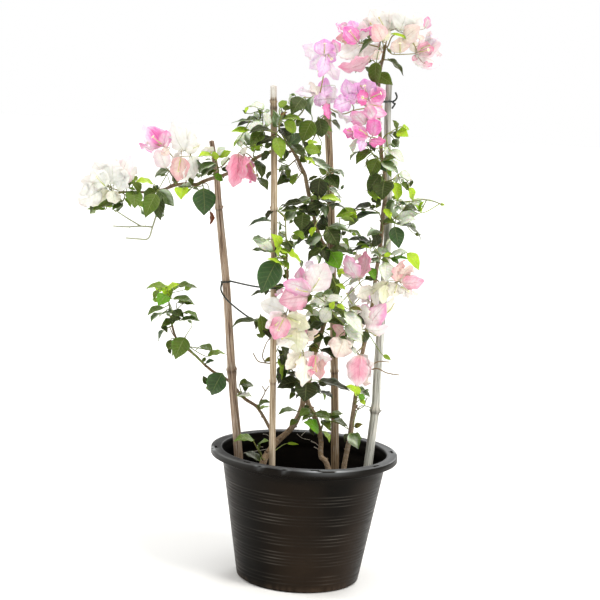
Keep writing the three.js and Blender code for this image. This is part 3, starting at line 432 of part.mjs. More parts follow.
    ["blade",190,0,[-13.9,42,560.4],[-33.1,52.9,584.6],[0.442,-0.631,0.637],21.7,0.081,0.18],
    ["blade",194,0,[-14.5,54.7,560.6],[-28.3,64.2,582.2],[0.619,-0.489,0.615],18.8,0.082,0.14],
    ["blade",200,0,[-16.2,67.8,557],[-35.9,83.8,567.5],[0.4,-0.104,0.91],17.5,0.057,0.13],
    ["blade",209,0,[-11.9,82.8,555.9],[-18.7,111.6,571.6],[0.363,-0.378,0.852],21.7,0.085,0.21],
    ["blade",217,0,[-0.5,27.7,542.4],[0.3,22.5,517.5],[-0.969,0.235,-0.081],16.5,0.061,0.17],
    ["blade",222,0,[2.9,36.1,541.1],[16.1,43.3,515.8],[-0.028,0.965,0.259],19.9,0.083,0.16],
    ["blade",230,1,[-0.7,45.6,543],[-16.2,62.2,546.5],[0.05,-0.164,0.985],15,0.078,0.19],
    ["blade",228,0,[4.4,48.8,534.6],[-5.1,62.2,514.6],[-0.522,0.621,0.584],17.8,0.064,0.09],
    ["blade",231,0,[2,57.7,535.9],[-20,76,533],[-0.249,-0.15,0.957],18.1,0.1,0.08],
    ["blade",613,0,[7.4,63.3,534.3],[-7.2,87.7,537.6],[-0.178,-0.236,0.955],17.8,0.074,0.2],
    ["blade",240,0,[14,67.5,526.5],[10.4,90.6,509.6],[0.349,0.589,0.729],18.5,0.074,0.2],
  ],
  leaf_shoot_centre_upper: [
    ["twig",[[-11.5,-8,607.5],[-9.8,-15.1,608.8],[-8.3,-22.3,610.9],[-6.7,-29.2,613.8],[-4.8,-35,618.3],[-2.8,-40,623.8],[-1.1,-44.2,629.9],[-0.4,-46.6,637.1],[0.8,-47.9,644.5],[5.3,-48.2,650.4],[11.2,-48,655.2]],[1.72,1.52,1.46,1.41,1.36,1.3,1.24,1.17,1.09,1,0.92]],
    ["branch",9,[[-14.1,-21.9,607.6],[-18.7,-27.4,606.2],[-23.4,-32.7,604.5],[-28.4,-37.6,602.5],[-34.1,-41.4,599.9],[-40.6,-44,597.8],[-47.3,-46,595.9]],[1.44,1.38,1.32,1.24,1.13,1.02,0.92]],
    ["twig",[[-8.2,-8.1,586.6],[-10.4,-14.6,586.8],[-12.9,-21.4,587.7],[-15.4,-28.1,588.7],[-17.9,-34.8,589.5],[-20.6,-41.5,590.1],[-23.7,-48,589.7]],[1.15,1.06,1.05,1.02,1,0.98,0.92]],
    ["branch",23,[[-0.4,-33.2,611.6],[5.7,-36.4,609.1],[12.4,-38.8,607.4],[19.5,-40.5,606.6],[26.6,-42,606.1]],[1.08,1.01,0.94,0.87,0.8]],
    ["branch",167,[[20.8,-29.8,611.4],[18.5,-18.4,616.6],[15.7,-7.4,622.1],[12.2,3.3,627.8],[7.2,13.4,633.5],[1.2,23,639.1]],[1.26,1.22,1.16,1.1,1.05,0.98]],
    ["branch",162,[[15,-28.4,608.7],[13,-16.8,610.6],[10.5,-5.4,613],[7.7,5.8,615.8],[4.5,16.9,619],[0.1,27.3,622.7],[-4.7,37.5,626.7]],[1.28,1.23,1.18,1.14,1.09,1.03,0.98]],
    ["join",5,106,[[-10.6,-9.6,602.8],[-10.1,-9.6,597.9],[-9.4,-9.6,592.2]]],
    ["blade",142,1,[-23.7,-66,591.9],[-23.8,-86,569],[-0.236,-0.731,0.64],27.7,0.072,0.1],
    ["blade",35,1,[2.5,-60,617.7],[34.3,-64.7,613.7],[0.065,-0.351,0.934],22,0.14,0.15],
    ["blade",52,1,[-0.9,-58,649.7],[-1.8,-48.1,613.5],[-0.256,-0.934,-0.248],29.5,0.06,0.19],
    ["blade",137,0,[-30.4,-58,599.4],[-59.3,-60.5,593.3],[-0.159,-0.38,0.911],18.8,0.07,0.15],
    ["blade",160,0,[-4.9,-61,573.3],[-9.5,-72.2,560.1],[-0.445,-0.598,0.666],12.6,0.081,0.12],
    ["blade",41,0,[-13,-56,620.4],[-1.9,-48.8,615.1],[0.568,-0.82,0.074],7.2,0.106,0.18],
    ["blade",33,1,[-24.8,-56,609.6],[-58.3,-56,600.8],[-0.231,-0.432,0.872],21.8,0.08,0.16],
    ["blade",30,0,[2.7,-54,614.9],[21.7,-42.5,610.5],[0.393,-0.318,0.863],15.7,0.12,0.16],
    ["blade",282,0,[-23.4,-49.6,587.9],[-34.1,-40.3,593.9],[-0.353,-0.749,0.561],12.8,0.071,0.25],
    ["blade",158,1,[-13.9,-52,609.2],[-40.5,-32.2,608.5],[-0.289,-0.357,0.888],23.6,0.104,0.15],
    ["blade",159,0,[-7.6,-52,580.1],[-24.8,-52,555.7],[-0.238,-0.956,0.169],19.2,0.104,0.22],
    ["blade",60,1,[12,-48.9,653.7],[28.4,-66.9,634.3],[-0.031,-0.742,0.67],22.5,0.1,0.16],
    ["blade",163,1,[6.2,-50.5,610.2],[-19.3,-59.8,595.5],[-0.182,-0.656,0.732],21,0.082,0.17],
    ["blade",98,0,[-30.8,-43,577.9],[-23.4,-60,558.1],[0.616,-0.468,0.634],17.1,0.111,0.16],
    ["blade",47,1,[14.2,-44,631.2],[35.6,-25.6,617.1],[0.644,-0.178,0.744],22.4,0.06,0.19],
    ["blade",151,0,[4.7,-42.5,608],[11.9,-58.9,588.8],[0.293,-0.67,0.682],16.1,0.085,0.17],
    ["blade",450,1,[14.2,-47,605],[44.7,-47,600.5],[0.142,-0.202,0.969],20.4,0.14,0.2],
    ["blade",140,0,[2.8,-40,589],[16,-27.6,577.7],[0.711,-0.701,0.063],13.9,0.105,0.16],
    ["blade",153,0,[7.5,-35.1,607.4],[5.7,-26.5,592.7],[-0.895,-0.425,-0.132],12.2,0.103,0.2],
    ["blade",183,0,[12,-19.2,620.2],[-10.6,-17,634.2],[0.47,-0.346,0.812],18.6,0.092,0.09],
    ["blade",187,0,[18.1,-5.6,616.2],[22.9,22.8,601.9],[-0.258,0.467,0.846],23,0.061,0.19],
    ["blade",194,0,[10.2,-2.7,621.5],[-15.3,9.6,611.6],[-0.356,0.014,0.934],18.7,0.056,0.19],
    ["blade",197,0,[13.9,3.1,632.4],[20.1,8.5,659.5],[-0.936,-0.233,0.263],18.7,0.107,0.1],
    ["blade",206,0,[6,7.6,627.8],[-7.9,25.4,613.7],[-0.214,0.499,0.84],18.6,0.078,0.17],
    ["blade",204,0,[4.7,24.5,632.5],[2.8,46.7,625.7],[-0.293,0.258,0.92],15.3,0.065,0.16],
    ["blade",210,0,[-2.4,28.6,635.9],[-13.4,45.7,626],[0.019,0.508,0.861],14.9,0.067,0.2],
    ["blade",223,0,[14.1,-9.3,609],[23.6,9.4,596.9],[0.394,0.35,0.85],16,0.066,0.16],
    ["blade",231,0,[5.8,2,617.4],[-16.9,9.9,639.5],[0.542,-0.445,0.713],22.8,0.053,0.12],
    ["blade",237,0,[3.6,6.5,613.6],[-25.7,17.7,600.7],[-0.234,0.404,0.884],24.1,0.052,0.15],
    ["blade",235,0,[10.1,21.5,615.2],[24.7,41.3,606.2],[-0.093,0.47,0.878],18.6,0.067,0.21],
    ["blade",241,0,[4.2,42.8,624.7],[10.6,46.5,647.6],[0.478,0.837,-0.267],16.3,0.093,0.18],
    ["blade",247,0,[-0.9,33.3,620.1],[-2.2,54.7,603.8],[0.009,0.605,0.796],17.3,0.092,0.19],
    ["blade",253,0,[-5.8,44.2,625.4],[-9.6,67.1,620.7],[-0.247,0.155,0.957],15.6,0.061,0.17],
  ],
  leaf_shoot_crown_centre: [
    ["twig",[[-43.4,-9.8,683],[-43.5,-13.5,683.2],[-46.3,-19.7,687.1],[-49,-25.8,691.1],[-51.7,-31.9,695.1],[-54.5,-38.1,699.2],[-57.1,-44.3,703.1],[-59.6,-50.6,707],[-61.9,-57.1,710.7],[-63.8,-64,713.9],[-65.4,-71,716.9],[-66.7,-78.2,719.8],[-67.6,-85.1,723.4],[-67.7,-90.2,729.1],[-65.8,-91.8,736.5],[-62.5,-92.4,743.5],[-58.5,-92,750.2]],[2.07,1.86,1.83,1.79,1.76,1.74,1.7,1.68,1.64,1.61,1.56,1.52,1.46,1.37,1.26,1.15,1.03]],
    ["branch",44,[[-57.5,-55.7,716],[-53.6,-56.5,722.3],[-49.6,-57.4,728.5],[-45.3,-58.7,734.4],[-40.7,-60.5,739.9],[-36.1,-62.5,745.4],[-32.1,-64.3,751.4],[-29.5,-65.3,758.2],[-27.5,-66,765.4]],[1.67,1.6,1.53,1.47,1.4,1.32,1.24,1.14,1.03]],
    ["branch",147,[[-34,-56.9,757.3],[-39.6,-48.2,752.6],[-45.3,-39.3,748.4],[-50.9,-30.1,744.7],[-56.5,-20.8,741.4],[-62.1,-11.3,738.7],[-67.6,-1.5,736.9],[-73,8.4,735.3]],[1.28,1.24,1.2,1.16,1.12,1.07,1.02,0.98]],
    ["blade",80,1,[-60.4,-90,732.2],[-41.5,-72,716.9],[0.717,-0.694,0.065],19.9,0.15,0.13],
    ["blade",75,0,[-72.2,-85,724.6],[-77,-98.8,749.5],[0.659,-0.704,-0.264],18.5,0.067,0.25],
    ["blade",85,0,[-65.4,-88,740.9],[-56,-81.1,747.4],[-0.123,-0.58,0.805],6.7,0.076,0.22],
    ["blade",72,1,[-71.3,-86,708.8],[-61.1,-86,676.1],[0.308,-0.946,0.096],22.3,0.08,0.22],
    ["blade",206,0,[-62.3,-84,737.3],[-33.4,-91.4,737.6],[-0.118,-0.422,0.899],18.3,0.094,0.15],
    ["blade",74,0,[-63.6,-85,735],[-66.2,-72.5,751.2],[0.637,-0.557,0.533],13.9,0.098,0.11],
    ["blade",87,0,[-67.7,-80,752.7],[-58,-67.9,765.2],[-0.081,-0.684,0.725],13.4,0.07,0.24],
    ["blade",152,1,[-33.8,-78,769.7],[-49.7,-96.4,745.8],[0.088,-0.816,0.571],26.7,0.1,0.11],
    ["blade",148,1,[-18.2,-78,736.6],[-31.5,-78,702.5],[-0.232,-0.968,0.09],28.3,0.08,0.1],
    ["blade",123,0,[-52.9,-72,756.4],[-33.4,-87.3,750.3],[-0.1,-0.477,0.873],17.3,0.114,0.25],
    ["blade",68,0,[-66.2,-74.5,722.4],[-49.6,-89.5,702.7],[0.306,-0.617,0.725],20.6,0.075,0.18],
    ["blade",151,1,[-19.5,-69,772.7],[-21.8,-89.6,745.7],[-0.727,-0.515,0.454],22.4,0.104,0.17],
    ["blade",117,0,[-53.1,-66,759.4],[-53.8,-75.1,774.6],[0.733,-0.599,-0.323],10.8,0.072,0.14],
    ["blade",47,0,[-58.6,-62,691.9],[-57.3,-76.3,673.5],[0.702,-0.537,0.468],14.3,0.119,0.21],
    ["blade",165,0,[-36.5,-38.9,754.6],[-20.9,-16.9,765.4],[-0.554,-0.015,0.832],18.9,0.053,0.2],
    ["blade",173,0,[-48.5,-39.5,741.4],[-55.5,-48.2,718.9],[-0.952,0.22,0.211],15.8,0.065,0.2],
    ["blade",177,0,[-50.3,-28.4,735.6],[-46.6,-25.5,706.8],[-0.706,0.708,-0.017],20.4,0.106,0.1],
    ["blade",185,0,[-60.4,-20.8,737.9],[-78.3,-25,720.5],[-0.702,0.057,0.71],18.1,0.056,0.13],
    ["blade",191,0,[-67.8,-11.3,737.8],[-92.3,-14.2,734],[-0.162,0.099,0.982],17.1,0.106,0.19],
    ["blade",190,0,[-62,2.2,734.3],[-45.2,14.8,726],[0.361,0.128,0.924],15.2,0.106,0.1],
  ],
  leaf_shoot_crown_left: [
    ["twig",[[-49.5,-9.6,691.3],[-50.4,-14.9,691.8],[-52.8,-21.5,694.4],[-55.3,-28.1,697.1],[-57.8,-34.7,699.8],[-60.3,-41.4,702.3],[-62.7,-48.1,704.8],[-65,-54.9,707],[-67.2,-61.8,709.2],[-69.4,-68.7,711.3],[-71.6,-75.6,713.4],[-74.7,-82.2,715.4],[-79,-87.8,717.1],[-85.8,-90.1,717.9],[-93.3,-90,718.7],[-99.2,-90.2,723.2],[-105.2,-90,727.7],[-112.2,-90,730.5]],[2.18,1.98,1.93,1.9,1.86,1.83,1.81,1.77,1.74,1.7,1.68,1.63,1.58,1.51,1.41,1.31,1.18,1.03]],
    ["branch",63,[[-77.7,-73.4,710],[-83.7,-71.1,706.4],[-89.3,-69.2,702.1],[-94.6,-67.6,697.2],[-99.4,-66.1,691.8],[-102.9,-65,685.5],[-105.4,-64,678.6]],[1.33,1.29,1.24,1.2,1.15,1.09,1.03]],
    ["branch",80,[[-92.9,-84.6,725.2],[-92.7,-79.6,732],[-93.3,-77.2,739.8],[-94.9,-78,748.1]],[1.08,1.01,0.91,0.8]],
    ["branch",82,[[-90.9,-77.2,717.8],[-90.4,-64.3,717.4],[-90.4,-51.3,717.6],[-91,-38.4,718.3],[-92.8,-25.7,719.6],[-95.4,-13.1,721.2]],[1.26,1.22,1.16,1.1,1.05,0.98]],
    ["branch",203,[[-96,-7.2,720.1],[-97.7,4.3,719.7],[-98.7,15.8,719.3],[-99.3,27.4,719.1],[-99,39,718.6],[-97.1,50.4,717.5],[-94.6,61.6,716.3]],[1.28,1.23,1.18,1.14,1.09,1.03,0.98]],
    ["blade",73,1,[-80.8,-94,719.9],[-111.8,-108.1,715.6],[0.028,-0.351,0.936],22,0.05,0.25],
    ["blade",150,0,[-91,-87.8,724.6],[-115.4,-98.1,720.3],[0.331,-0.886,0.325],17.2,0.1,0.13],
    ["blade",76,0,[-85.9,-84,724.6],[-90.6,-70.3,748.2],[0.694,-0.555,0.459],17.3,0.093,0.11],
    ["blade",60,1,[-76.6,-81,706.8],[-100.6,-97.9,695.5],[-0.005,-0.55,0.835],20.3,0.061,0.25],
    ["blade",148,1,[-91.5,-82,715.1],[-109.6,-96,693.4],[-0.063,-0.813,0.579],21.8,0.106,0.2],
    ["blade",308,0,[-112.9,-80,716.1],[-140.2,-80,713.8],[-0.072,-0.523,0.849],16.7,0.05,0.16],
    ["blade",159,1,[-100.1,-80,733.5],[-140.9,-80,727.7],[-0.14,-0.124,0.982],25.2,0,0.12],
    ["blade",171,1,[-92.1,-78,750.1],[-120.1,-60.1,750.1],[-0.167,-0.28,0.945],21.6,0.12,0.23],
    ["blade",160,1,[-109.6,-65,729.5],[-131.3,-79.5,720.4],[-0.138,-0.372,0.918],17,0.1,0.12],
    ["blade",355,1,[-116.5,-76,751.4],[-120.3,-82.1,742.2],[-0.151,-0.793,0.591],5.8,0.094,0.26],
    ["blade",339,0,[-97.4,-74.5,734.2],[-101.7,-84.3,750.1],[0.952,-0.295,0.078],12,0.097,0.22],
    ["blade",142,1,[-103.8,-76,685.3],[-110,-81.2,691.3],[0.563,-0.818,-0.119],6.3,0.103,0.19],
    ["blade",130,1,[-124,-74,690.2],[-122.7,-61,714.2],[-0.608,-0.685,0.402],16.4,0.078,0.15],
    ["blade",125,1,[-94.9,-75.5,688.9],[-110.7,-66.1,691.4],[-0.168,-0.507,0.845],12.1,0.076,0.26],
    ["blade",340,0,[-98.8,-80.3,731.8],[-118,-91.9,733.5],[0.241,-0.339,0.91],16.2,0.08,0.21],
    ["blade",105,0,[-79.4,-72,684.3],[-92.9,-58.2,670.6],[-0.792,-0.578,0.196],14.8,0.101,0.13],
    ["blade",103,0,[-127.8,-70,700.5],[-136.7,-60.8,687.4],[-0.872,-0.319,0.372],12.1,0.062,0.18],
    ["blade",146,1,[-98.8,-68,671.5],[-88.5,-81.8,645.4],[0.637,-0.549,0.54],22.3,0.062,0.1],
    ["blade",144,1,[-127.8,-68,699.6],[-114.7,-77.4,690.9],[0.421,-0.232,0.877],11.5,0.077,0.19],
    ["blade",503,0,[-95.1,-66,644.8],[-79.9,-80.1,626.7],[0.396,-0.535,0.746],19.3,0.04,0.24],
    ["blade",181,1,[-92.4,-63.9,714.2],[-99.3,-49.3,692.1],[-0.566,0.583,0.582],18.4,0.082,0.14],
    ["blade",185,1,[-93.4,-54.2,713.5],[-106.9,-40.3,697.5],[-0.627,0.254,0.737],15.9,0.069,0.13],
    ["blade",190,0,[-92.1,-44.5,714.3],[-103.6,-25.7,692],[-0.442,0.561,0.7],20,0.066,0.14],
    ["blade",195,0,[-87.5,-38.1,721.6],[-71.6,-27.5,737.7],[-0.589,-0.272,0.761],15.6,0.077,0.11],
    ["blade",198,0,[-96.2,-31.3,718.4],[-124.6,-22.7,715.7],[-0.127,-0.108,0.986],19,0.103,0.11],
    ["blade",204,0,[-97.8,-21.1,718.2],[-124.4,-4.6,709],[-0.268,0.099,0.958],21.4,0.108,0.13],
    ["blade",212,1,[-97.6,-11.1,717.2],[-107,-0.5,696.9],[-0.433,0.698,0.57],16.2,0.084,0.18],
    ["blade",223,0,[-100.7,10,721.8],[-115.1,21.6,734.4],[0.707,0.127,0.695],15,0.078,0.21],
    ["blade",227,0,[-101.3,20.3,712],[-110.5,33.1,684.8],[-0.118,0.882,0.456],19.8,0.05,0.15],
    ["blade",233,0,[-99.8,29.7,713.8],[-101.8,44.7,693.5],[-0.444,0.698,0.561],18.1,0.108,0.08],
    ["blade",238,1,[-93.3,40.4,721.1],[-68.7,58.6,730.8],[-0.577,0.398,0.713],23,0.066,0.17],
    ["blade",239,0,[-100,47,710.3],[-106,57.7,681.1],[-0.067,0.932,0.356],20.2,0.071,0.15],
    ["blade",247,0,[-100.2,55.8,715.6],[-116.4,73.8,707.7],[0.096,0.474,0.875],16.1,0.082,0.16],
    ["blade",251,0,[-96.5,65,708.5],[-102.9,76.3,682.2],[-0.125,0.9,0.417],21.1,0.09,0.21],
  ],
  leaf_shoot_crown_lower: [
    ["twig",[[-40.3,-7,672.1],[-45.3,-11.1,667.5],[-50.1,-15.5,662.8],[-55.5,-20.3,659.3],[-59.8,-23.8,653.7],[-63,-26,646.6]],[1.49,1.28,1.18,1.09,1.01,0.92]],
    ["twig",[[-29.4,-6.5,652.8],[-33,-11.3,647.9],[-36.8,-15.8,642.4],[-42.3,-20,638.1]],[1.15,0.98,0.89,0.8]],
    ["branch",25,[[-60.9,-12.9,646.6],[-61.2,-1.3,641.9],[-61.5,10.8,638.1],[-62,23,635.1],[-62.5,35.4,633]],[1.25,1.2,1.13,1.06,0.98]],
    ["join",1,37,[[-39.1,-7.6,667.4],[-36.6,-7.4,662.4],[-33,-7.2,656]]],
    ["blade",47,0,[-48.8,-30,645.3],[-66.5,-46.2,634.4],[0.172,-0.672,0.721],16.8,0.092,0.19],
    ["blade",48,1,[-42.8,-28,634.6],[-35.4,-12.1,653.6],[-0.545,-0.526,0.653],17.2,0.088,0.24],
    ["blade",21,1,[-62.4,-24,664.4],[-48.6,-41.9,645.3],[0.513,-0.411,0.754],18,0.102,0.25],
    ["blade",24,1,[-75.9,-24,653.5],[-82.7,-33.6,639.7],[-0.554,-0.53,0.641],11.1,0.096,0.16],
    ["blade",17,1,[-56.2,-13,661.8],[-64.8,-21.6,650.9],[-0.352,-0.58,0.735],10.1,0.096,0.24],
    ["blade",14,0,[-59,-10,653.7],[-50,-24.2,637.9],[0.365,-0.582,0.727],16.3,0.109,0.16],
    ["blade",64,0,[-56,4.7,639.8],[-37.8,17.2,635.6],[0.005,0.313,0.95],15.3,0.096,0.16],
    ["blade",75,0,[-59.5,26.4,639.7],[-50.4,45.3,656.2],[-0.833,-0.076,0.548],17.7,0.053,0.17],
    ["blade",77,0,[-56.9,30.4,634.7],[-32,46.6,643.7],[-0.206,-0.153,0.967],20.6,0.074,0.19],
    ["blade",82,0,[-56.7,40.5,633.6],[-37,57.9,635.4],[-0.308,0.249,0.918],18.8,0.089,0.17],
  ],
  leaf_shoot_crown_right: [
    ["twig",[[-45,-9,688.3],[-41.7,-15.3,688.8],[-37.8,-21.5,688.7],[-32.3,-25.6,690.2],[-26.1,-26,694],[-20.7,-25.3,698.8],[-16.2,-24.2,704.4],[-12.9,-24.4,710.8],[-10.4,-25.3,717.5],[-8.5,-25.9,724.5],[-8.2,-25.3,731.7],[-9.1,-24,738.8]],[1.84,1.63,1.56,1.48,1.39,1.32,1.25,1.18,1.14,1.08,1,0.92]],
    ["branch",21,[[-30.1,-31.7,686.9],[-27.9,-37.8,683.6],[-24.7,-43.1,679.9],[-19.8,-46.3,675.6],[-14,-47.3,671.5],[-7.7,-48.1,667.9],[-1,-49,665.2],[6,-49.8,663.3],[13,-50.8,661.7],[20.1,-52,660.6]],[1.33,1.29,1.24,1.2,1.14,1.09,1.03,0.97,0.89,0.8]],
    ["branch",49,[[-8.9,-13.5,721.2],[-8.4,-1.6,723.6],[-8.6,10.3,726.4],[-10.2,22.1,729],[-13.5,33.6,731.4]],[1.25,1.2,1.13,1.06,0.98]],
    ["blade",15,1,[-48.2,-64,697.9],[-26.3,-80.1,679.3],[0.283,-0.536,0.795],22.5,0.05,0.23],
    ["blade",83,1,[-30.1,-64,702.8],[-21.9,-57.2,694.6],[0.538,-0.829,-0.156],8.7,0.119,0.19],
    ["blade",86,0,[-26.5,-62,693.7],[-2.3,-57.7,688],[0.236,-0.925,0.297],17.8,0.1,0.25],
    ["blade",88,1,[-28.8,-60,680.5],[-9,-70.5,669.9],[0.311,-0.318,0.896],17.6,0.05,0.16],
    ["blade",64,1,[-7.7,-58,740.5],[-1.2,-39.8,710.4],[0.338,-0.835,-0.434],24.7,0.06,0.22],
    ["blade",80,0,[-23.7,-56,699],[-5.4,-44.9,701.9],[0.08,-0.373,0.924],14.6,0.109,0.23],
    ["blade",92,1,[-16.5,-55.5,679.4],[15.6,-55.5,657.4],[0.534,-0.327,0.78],27.6,0.04,0.13],
    ["blade",122,1,[14,-50.3,663.6],[36.5,-69.5,651.8],[0.318,-0.143,0.937],21.2,0.106,0.22],
    ["blade",121,0,[15.7,-46,657.7],[37.8,-32.9,655.9],[0.154,-0.124,0.98],18,0.118,0.11],
    ["blade",108,0,[-1.8,-44,666.6],[18.8,-31.4,660.9],[0.461,-0.393,0.796],15.4,0.116,0.2],
    ["blade",66,1,[12.6,-44,736.7],[26.7,-32.6,723.4],[0.78,-0.399,0.482],14.5,0.097,0.11],
    ["blade",67,1,[10.4,-40,749.5],[18.5,-46.9,741.7],[0.123,-0.679,0.724],6.6,0.075,0.24],
    ["blade",136,1,[-3.6,-2.2,719.5],[12.5,10.5,709.1],[0.493,0.086,0.866],14.9,0.07,0.08],
    ["blade",143,0,[-12.4,6.3,722],[-29.5,28,713.1],[-0.312,0.143,0.939],20.6,0.086,0.21],
    ["blade",141,0,[-3.6,11.5,724.5],[14.9,24.1,719.2],[-0.149,0.562,0.814],14.6,0.081,0.1],
    ["blade",147,0,[-5.4,19.6,725.3],[7.4,36.3,717.4],[0.344,0.174,0.923],14.8,0.051,0.12],
    ["blade",153,0,[-11.7,32.9,724.9],[-12.6,53.9,707.5],[-0.382,0.58,0.719],17.1,0.109,0.1],
    ["blade",159,0,[-17.1,38.2,729.7],[-34,59.6,721.8],[-0.074,0.293,0.953],20.4,0.075,0.18],
  ],
  leaf_shoot_left_hanging: [
    ["twig",[[-183.1,-37.3,629.8],[-181.2,-46.2,627.8],[-179.3,-54,623.1]],[1.38,1.17,1.03]],
    ["branch",5,[[-176.3,-40.1,629.6],[-172.2,-42.3,624.4],[-170.8,-43.6,617.3],[-170,-44.8,610.1],[-169.3,-45.8,602.9],[-168.6,-46.9,595.6],[-167.9,-48,588.4]],[0.66,0.63,0.62,0.61,0.6,0.59,0.57]],
    ["twig",[[-208.4,-35.4,626.2],[-208.2,-41.6,624.9],[-208.1,-47.9,623.6],[-209.4,-54,622.1]],[1.26,1.09,1.01,0.92]],
    ["branch",71,[[-208,-40.6,629],[-207.2,-29.9,635.3],[-206.6,-18.9,641.1],[-206.1,-7.7,646.6],[-205.9,3.7,651.6],[-206.1,15.6,655.2],[-206.7,27.8,657.1],[-207.6,40.2,658.4]],[1.28,1.24,1.2,1.16,1.12,1.07,1.02,0.98]],
    ["join",3,62,[[-189.1,-38.2,626],[-196.6,-37.6,624.8],[-202,-37.2,625.5]]],
    ["blade",13,1,[-179.1,-58,623.3],[-175.2,-62,581.4],[0.296,-0.948,0.118],37.4,0.04,0.06],
    ["blade",76,0,[-210.8,-56,621.4],[-212,-70,604.6],[-0.112,-0.76,0.64],27.1,0.056,0.6],
    ["blade",9,1,[-198.8,-51.9,623.4],[-221,-36.1,620.3],[-0.422,-0.437,0.794],17.1,0.067,0.17],
    ["blade",56,0,[-167.8,-48.1,587],[-166.7,-51,566.2],[0.89,-0.442,0.114],13.9,0.116,0.23],
    ["blade",63,1,[-196.2,-44,621.4],[-186.4,-49.9,619.3],[-0.22,-0.638,0.738],5.8,0.107,0.14],
    ["blade",0,1,[-197.7,-37,626.3],[-205.4,-45.7,638.8],[0.821,-0.56,0.115],11.7,0.089,0.16],
    ["blade",91,1,[-209.7,-24,642.2],[-224.5,-16.6,665.6],[0.48,-0.704,0.523],19,0.108,0.1],
    ["blade",97,0,[-210.5,-11.8,646],[-228.2,-0.5,657.3],[0.668,0.475,0.573],15.6,0.105,0.16],
    ["blade",101,0,[-202.3,-1.2,647.7],[-184.6,15.7,646.1],[-0.126,0.221,0.967],16.2,0.069,0.15],
    ["blade",109,0,[-209,8.6,650.7],[-225.9,28.9,643.7],[-0.18,0.184,0.966],19,0.065,0.16],
    ["blade",113,0,[-201.5,19,653.5],[-180.9,29.9,644.9],[0.08,0.523,0.848],16.3,0.075,0.17],
    ["blade",121,0,[-210.7,28.8,656],[-240.1,38,648.6],[0.031,0.686,0.727],22.4,0.082,0.13],
    ["blade",125,0,[-210,43.9,656],[-221.6,61.5,644.8],[0.127,0.59,0.797],14.9,0.084,0.09],
  ],
  leaf_shoot_left_inner: [
    ["twig",[[-160.8,-37.4,643.3],[-158.4,-41,649.2],[-159.4,-44.1,656.4],[-163.1,-46.1,663.6],[-166.8,-46,671.2]],[1.72,1.44,1.3,1.18,1.03]],
    ["branch",11,[[-152.6,-40.9,657.8],[-147.8,-39.7,664.1],[-143.2,-38,670.6]],[1.06,0.94,0.8]],
    ["branch",42,[[-139.6,-28.9,665.8],[-133.2,-18.8,665],[-126.4,-9.1,664.7],[-119,0.2,664.7],[-110.6,8.7,664.8],[-101.5,16.5,665]],[1.26,1.22,1.16,1.1,1.05,0.98]],
    ["blade",16,1,[-161.5,-58,658.2],[-186.9,-42.9,636.6],[-0.72,-0.43,0.545],24.3,0.06,0.3],
    ["blade",82,1,[-162.8,-54,661.9],[-187.9,-70.2,646.6],[-0.211,-0.473,0.856],20.8,0.1,0.3],
    ["blade",10,1,[-164.2,-52,642.3],[-149.8,-39.9,635.5],[0.695,-0.601,0.394],13.3,0.104,0.18],
    ["blade",22,1,[-165.6,-53,672.4],[-188.4,-70.7,674.2],[0.227,-0.194,0.954],19,0.06,0.25],
    ["blade",21,1,[-161.3,-56,667.4],[-168,-44.9,680.4],[0.218,-0.683,0.697],11.2,0.067,0.19],
    ["blade",128,1,[-174.4,-50,643.9],[-161.2,-58.9,652.1],[-0.672,-0.605,0.427],11.9,0.09,0.13],
    ["blade",23,0,[-158.1,-48,671],[-140.7,-35.5,681.5],[0.057,-0.687,0.724],15.2,0.074,0.17],
    ["blade",0,1,[-188.2,-44,648.2],[-191.4,-54.8,666.3],[0.977,-0.21,0.049],14.2,0.051,0.1],
    ["blade",27,1,[-152.7,-35,657.5],[-143.2,-24,672.3],[-0.397,-0.594,0.7],12.5,0.082,0.2],
    ["blade",25,1,[-161.4,-40,675.3],[-147.8,-53.6,687.2],[-0.783,-0.615,0.094],14.5,0.084,0.16],
    ["blade",31,1,[-153.3,-36,654.4],[-141.8,-43.5,649.3],[-0.311,-0.814,0.491],8,0.11,0.24],
    ["blade",54,0,[-136.9,-17.3,661.8],[-145.3,2.8,645.6],[-0.582,0.346,0.736],19,0.105,0.18],
    ["blade",263,0,[-134.7,-8.7,664.6],[-150,14.8,663.8],[-0.148,-0.06,0.987],18.7,0.052,0.17],
    ["blade",63,0,[-123.5,-6.8,661],[-107.8,5.1,637.2],[0.077,0.871,0.485],19.8,0.106,0.18],
    ["blade",66,1,[-122,1.1,658.9],[-124.8,12.8,639.9],[-0.546,0.678,0.493],15.1,0.091,0.08],
    ["blade",70,1,[-107.3,4.2,660.4],[-84.4,2.2,647.1],[0.493,-0.104,0.864],16.7,0.058,0.16],
    ["blade",77,0,[-109,14.6,660.9],[-112.4,30.9,643.9],[-0.618,0.501,0.606],16.1,0.087,0.11],
  ],
  leaf_shoot_left_mid: [
    ["twig",[[-249.4,-35.9,613.5],[-251.1,-42.1,611.9],[-251.1,-48,607.7]],[1.61,1.3,1.15]],
    ["twig",[[-226,-33.2,625.5],[-227.4,-38.1,631.1],[-228.5,-43,636.9],[-230.9,-47.5,642.5],[-235.2,-50.6,647.7],[-241,-49,652.3],[-245.8,-46,657.4]],[1.61,1.43,1.35,1.26,1.15,1.01,0.92]],
    ["branch",26,[[-224.5,-30.3,636.4],[-220.8,-18.6,637.1],[-216.7,-7.1,638.1],[-212.2,4.3,639.4],[-207.3,15.4,641],[-201.6,26.1,642.8],[-194.9,36.2,644.9],[-187.8,46,647.1]],[1.28,1.24,1.2,1.16,1.12,1.07,1.02,0.98]],
    ["join",1,15,[[-244.3,-36.9,615.4],[-240.5,-36.5,617.6],[-235.8,-35.8,620.7],[-231.9,-35,623.4]]],
    ["blade",36,1,[-251.2,-64,610.4],[-265.4,-76,574.3],[-0.064,-0.939,0.337],26.3,0.08,0.14],
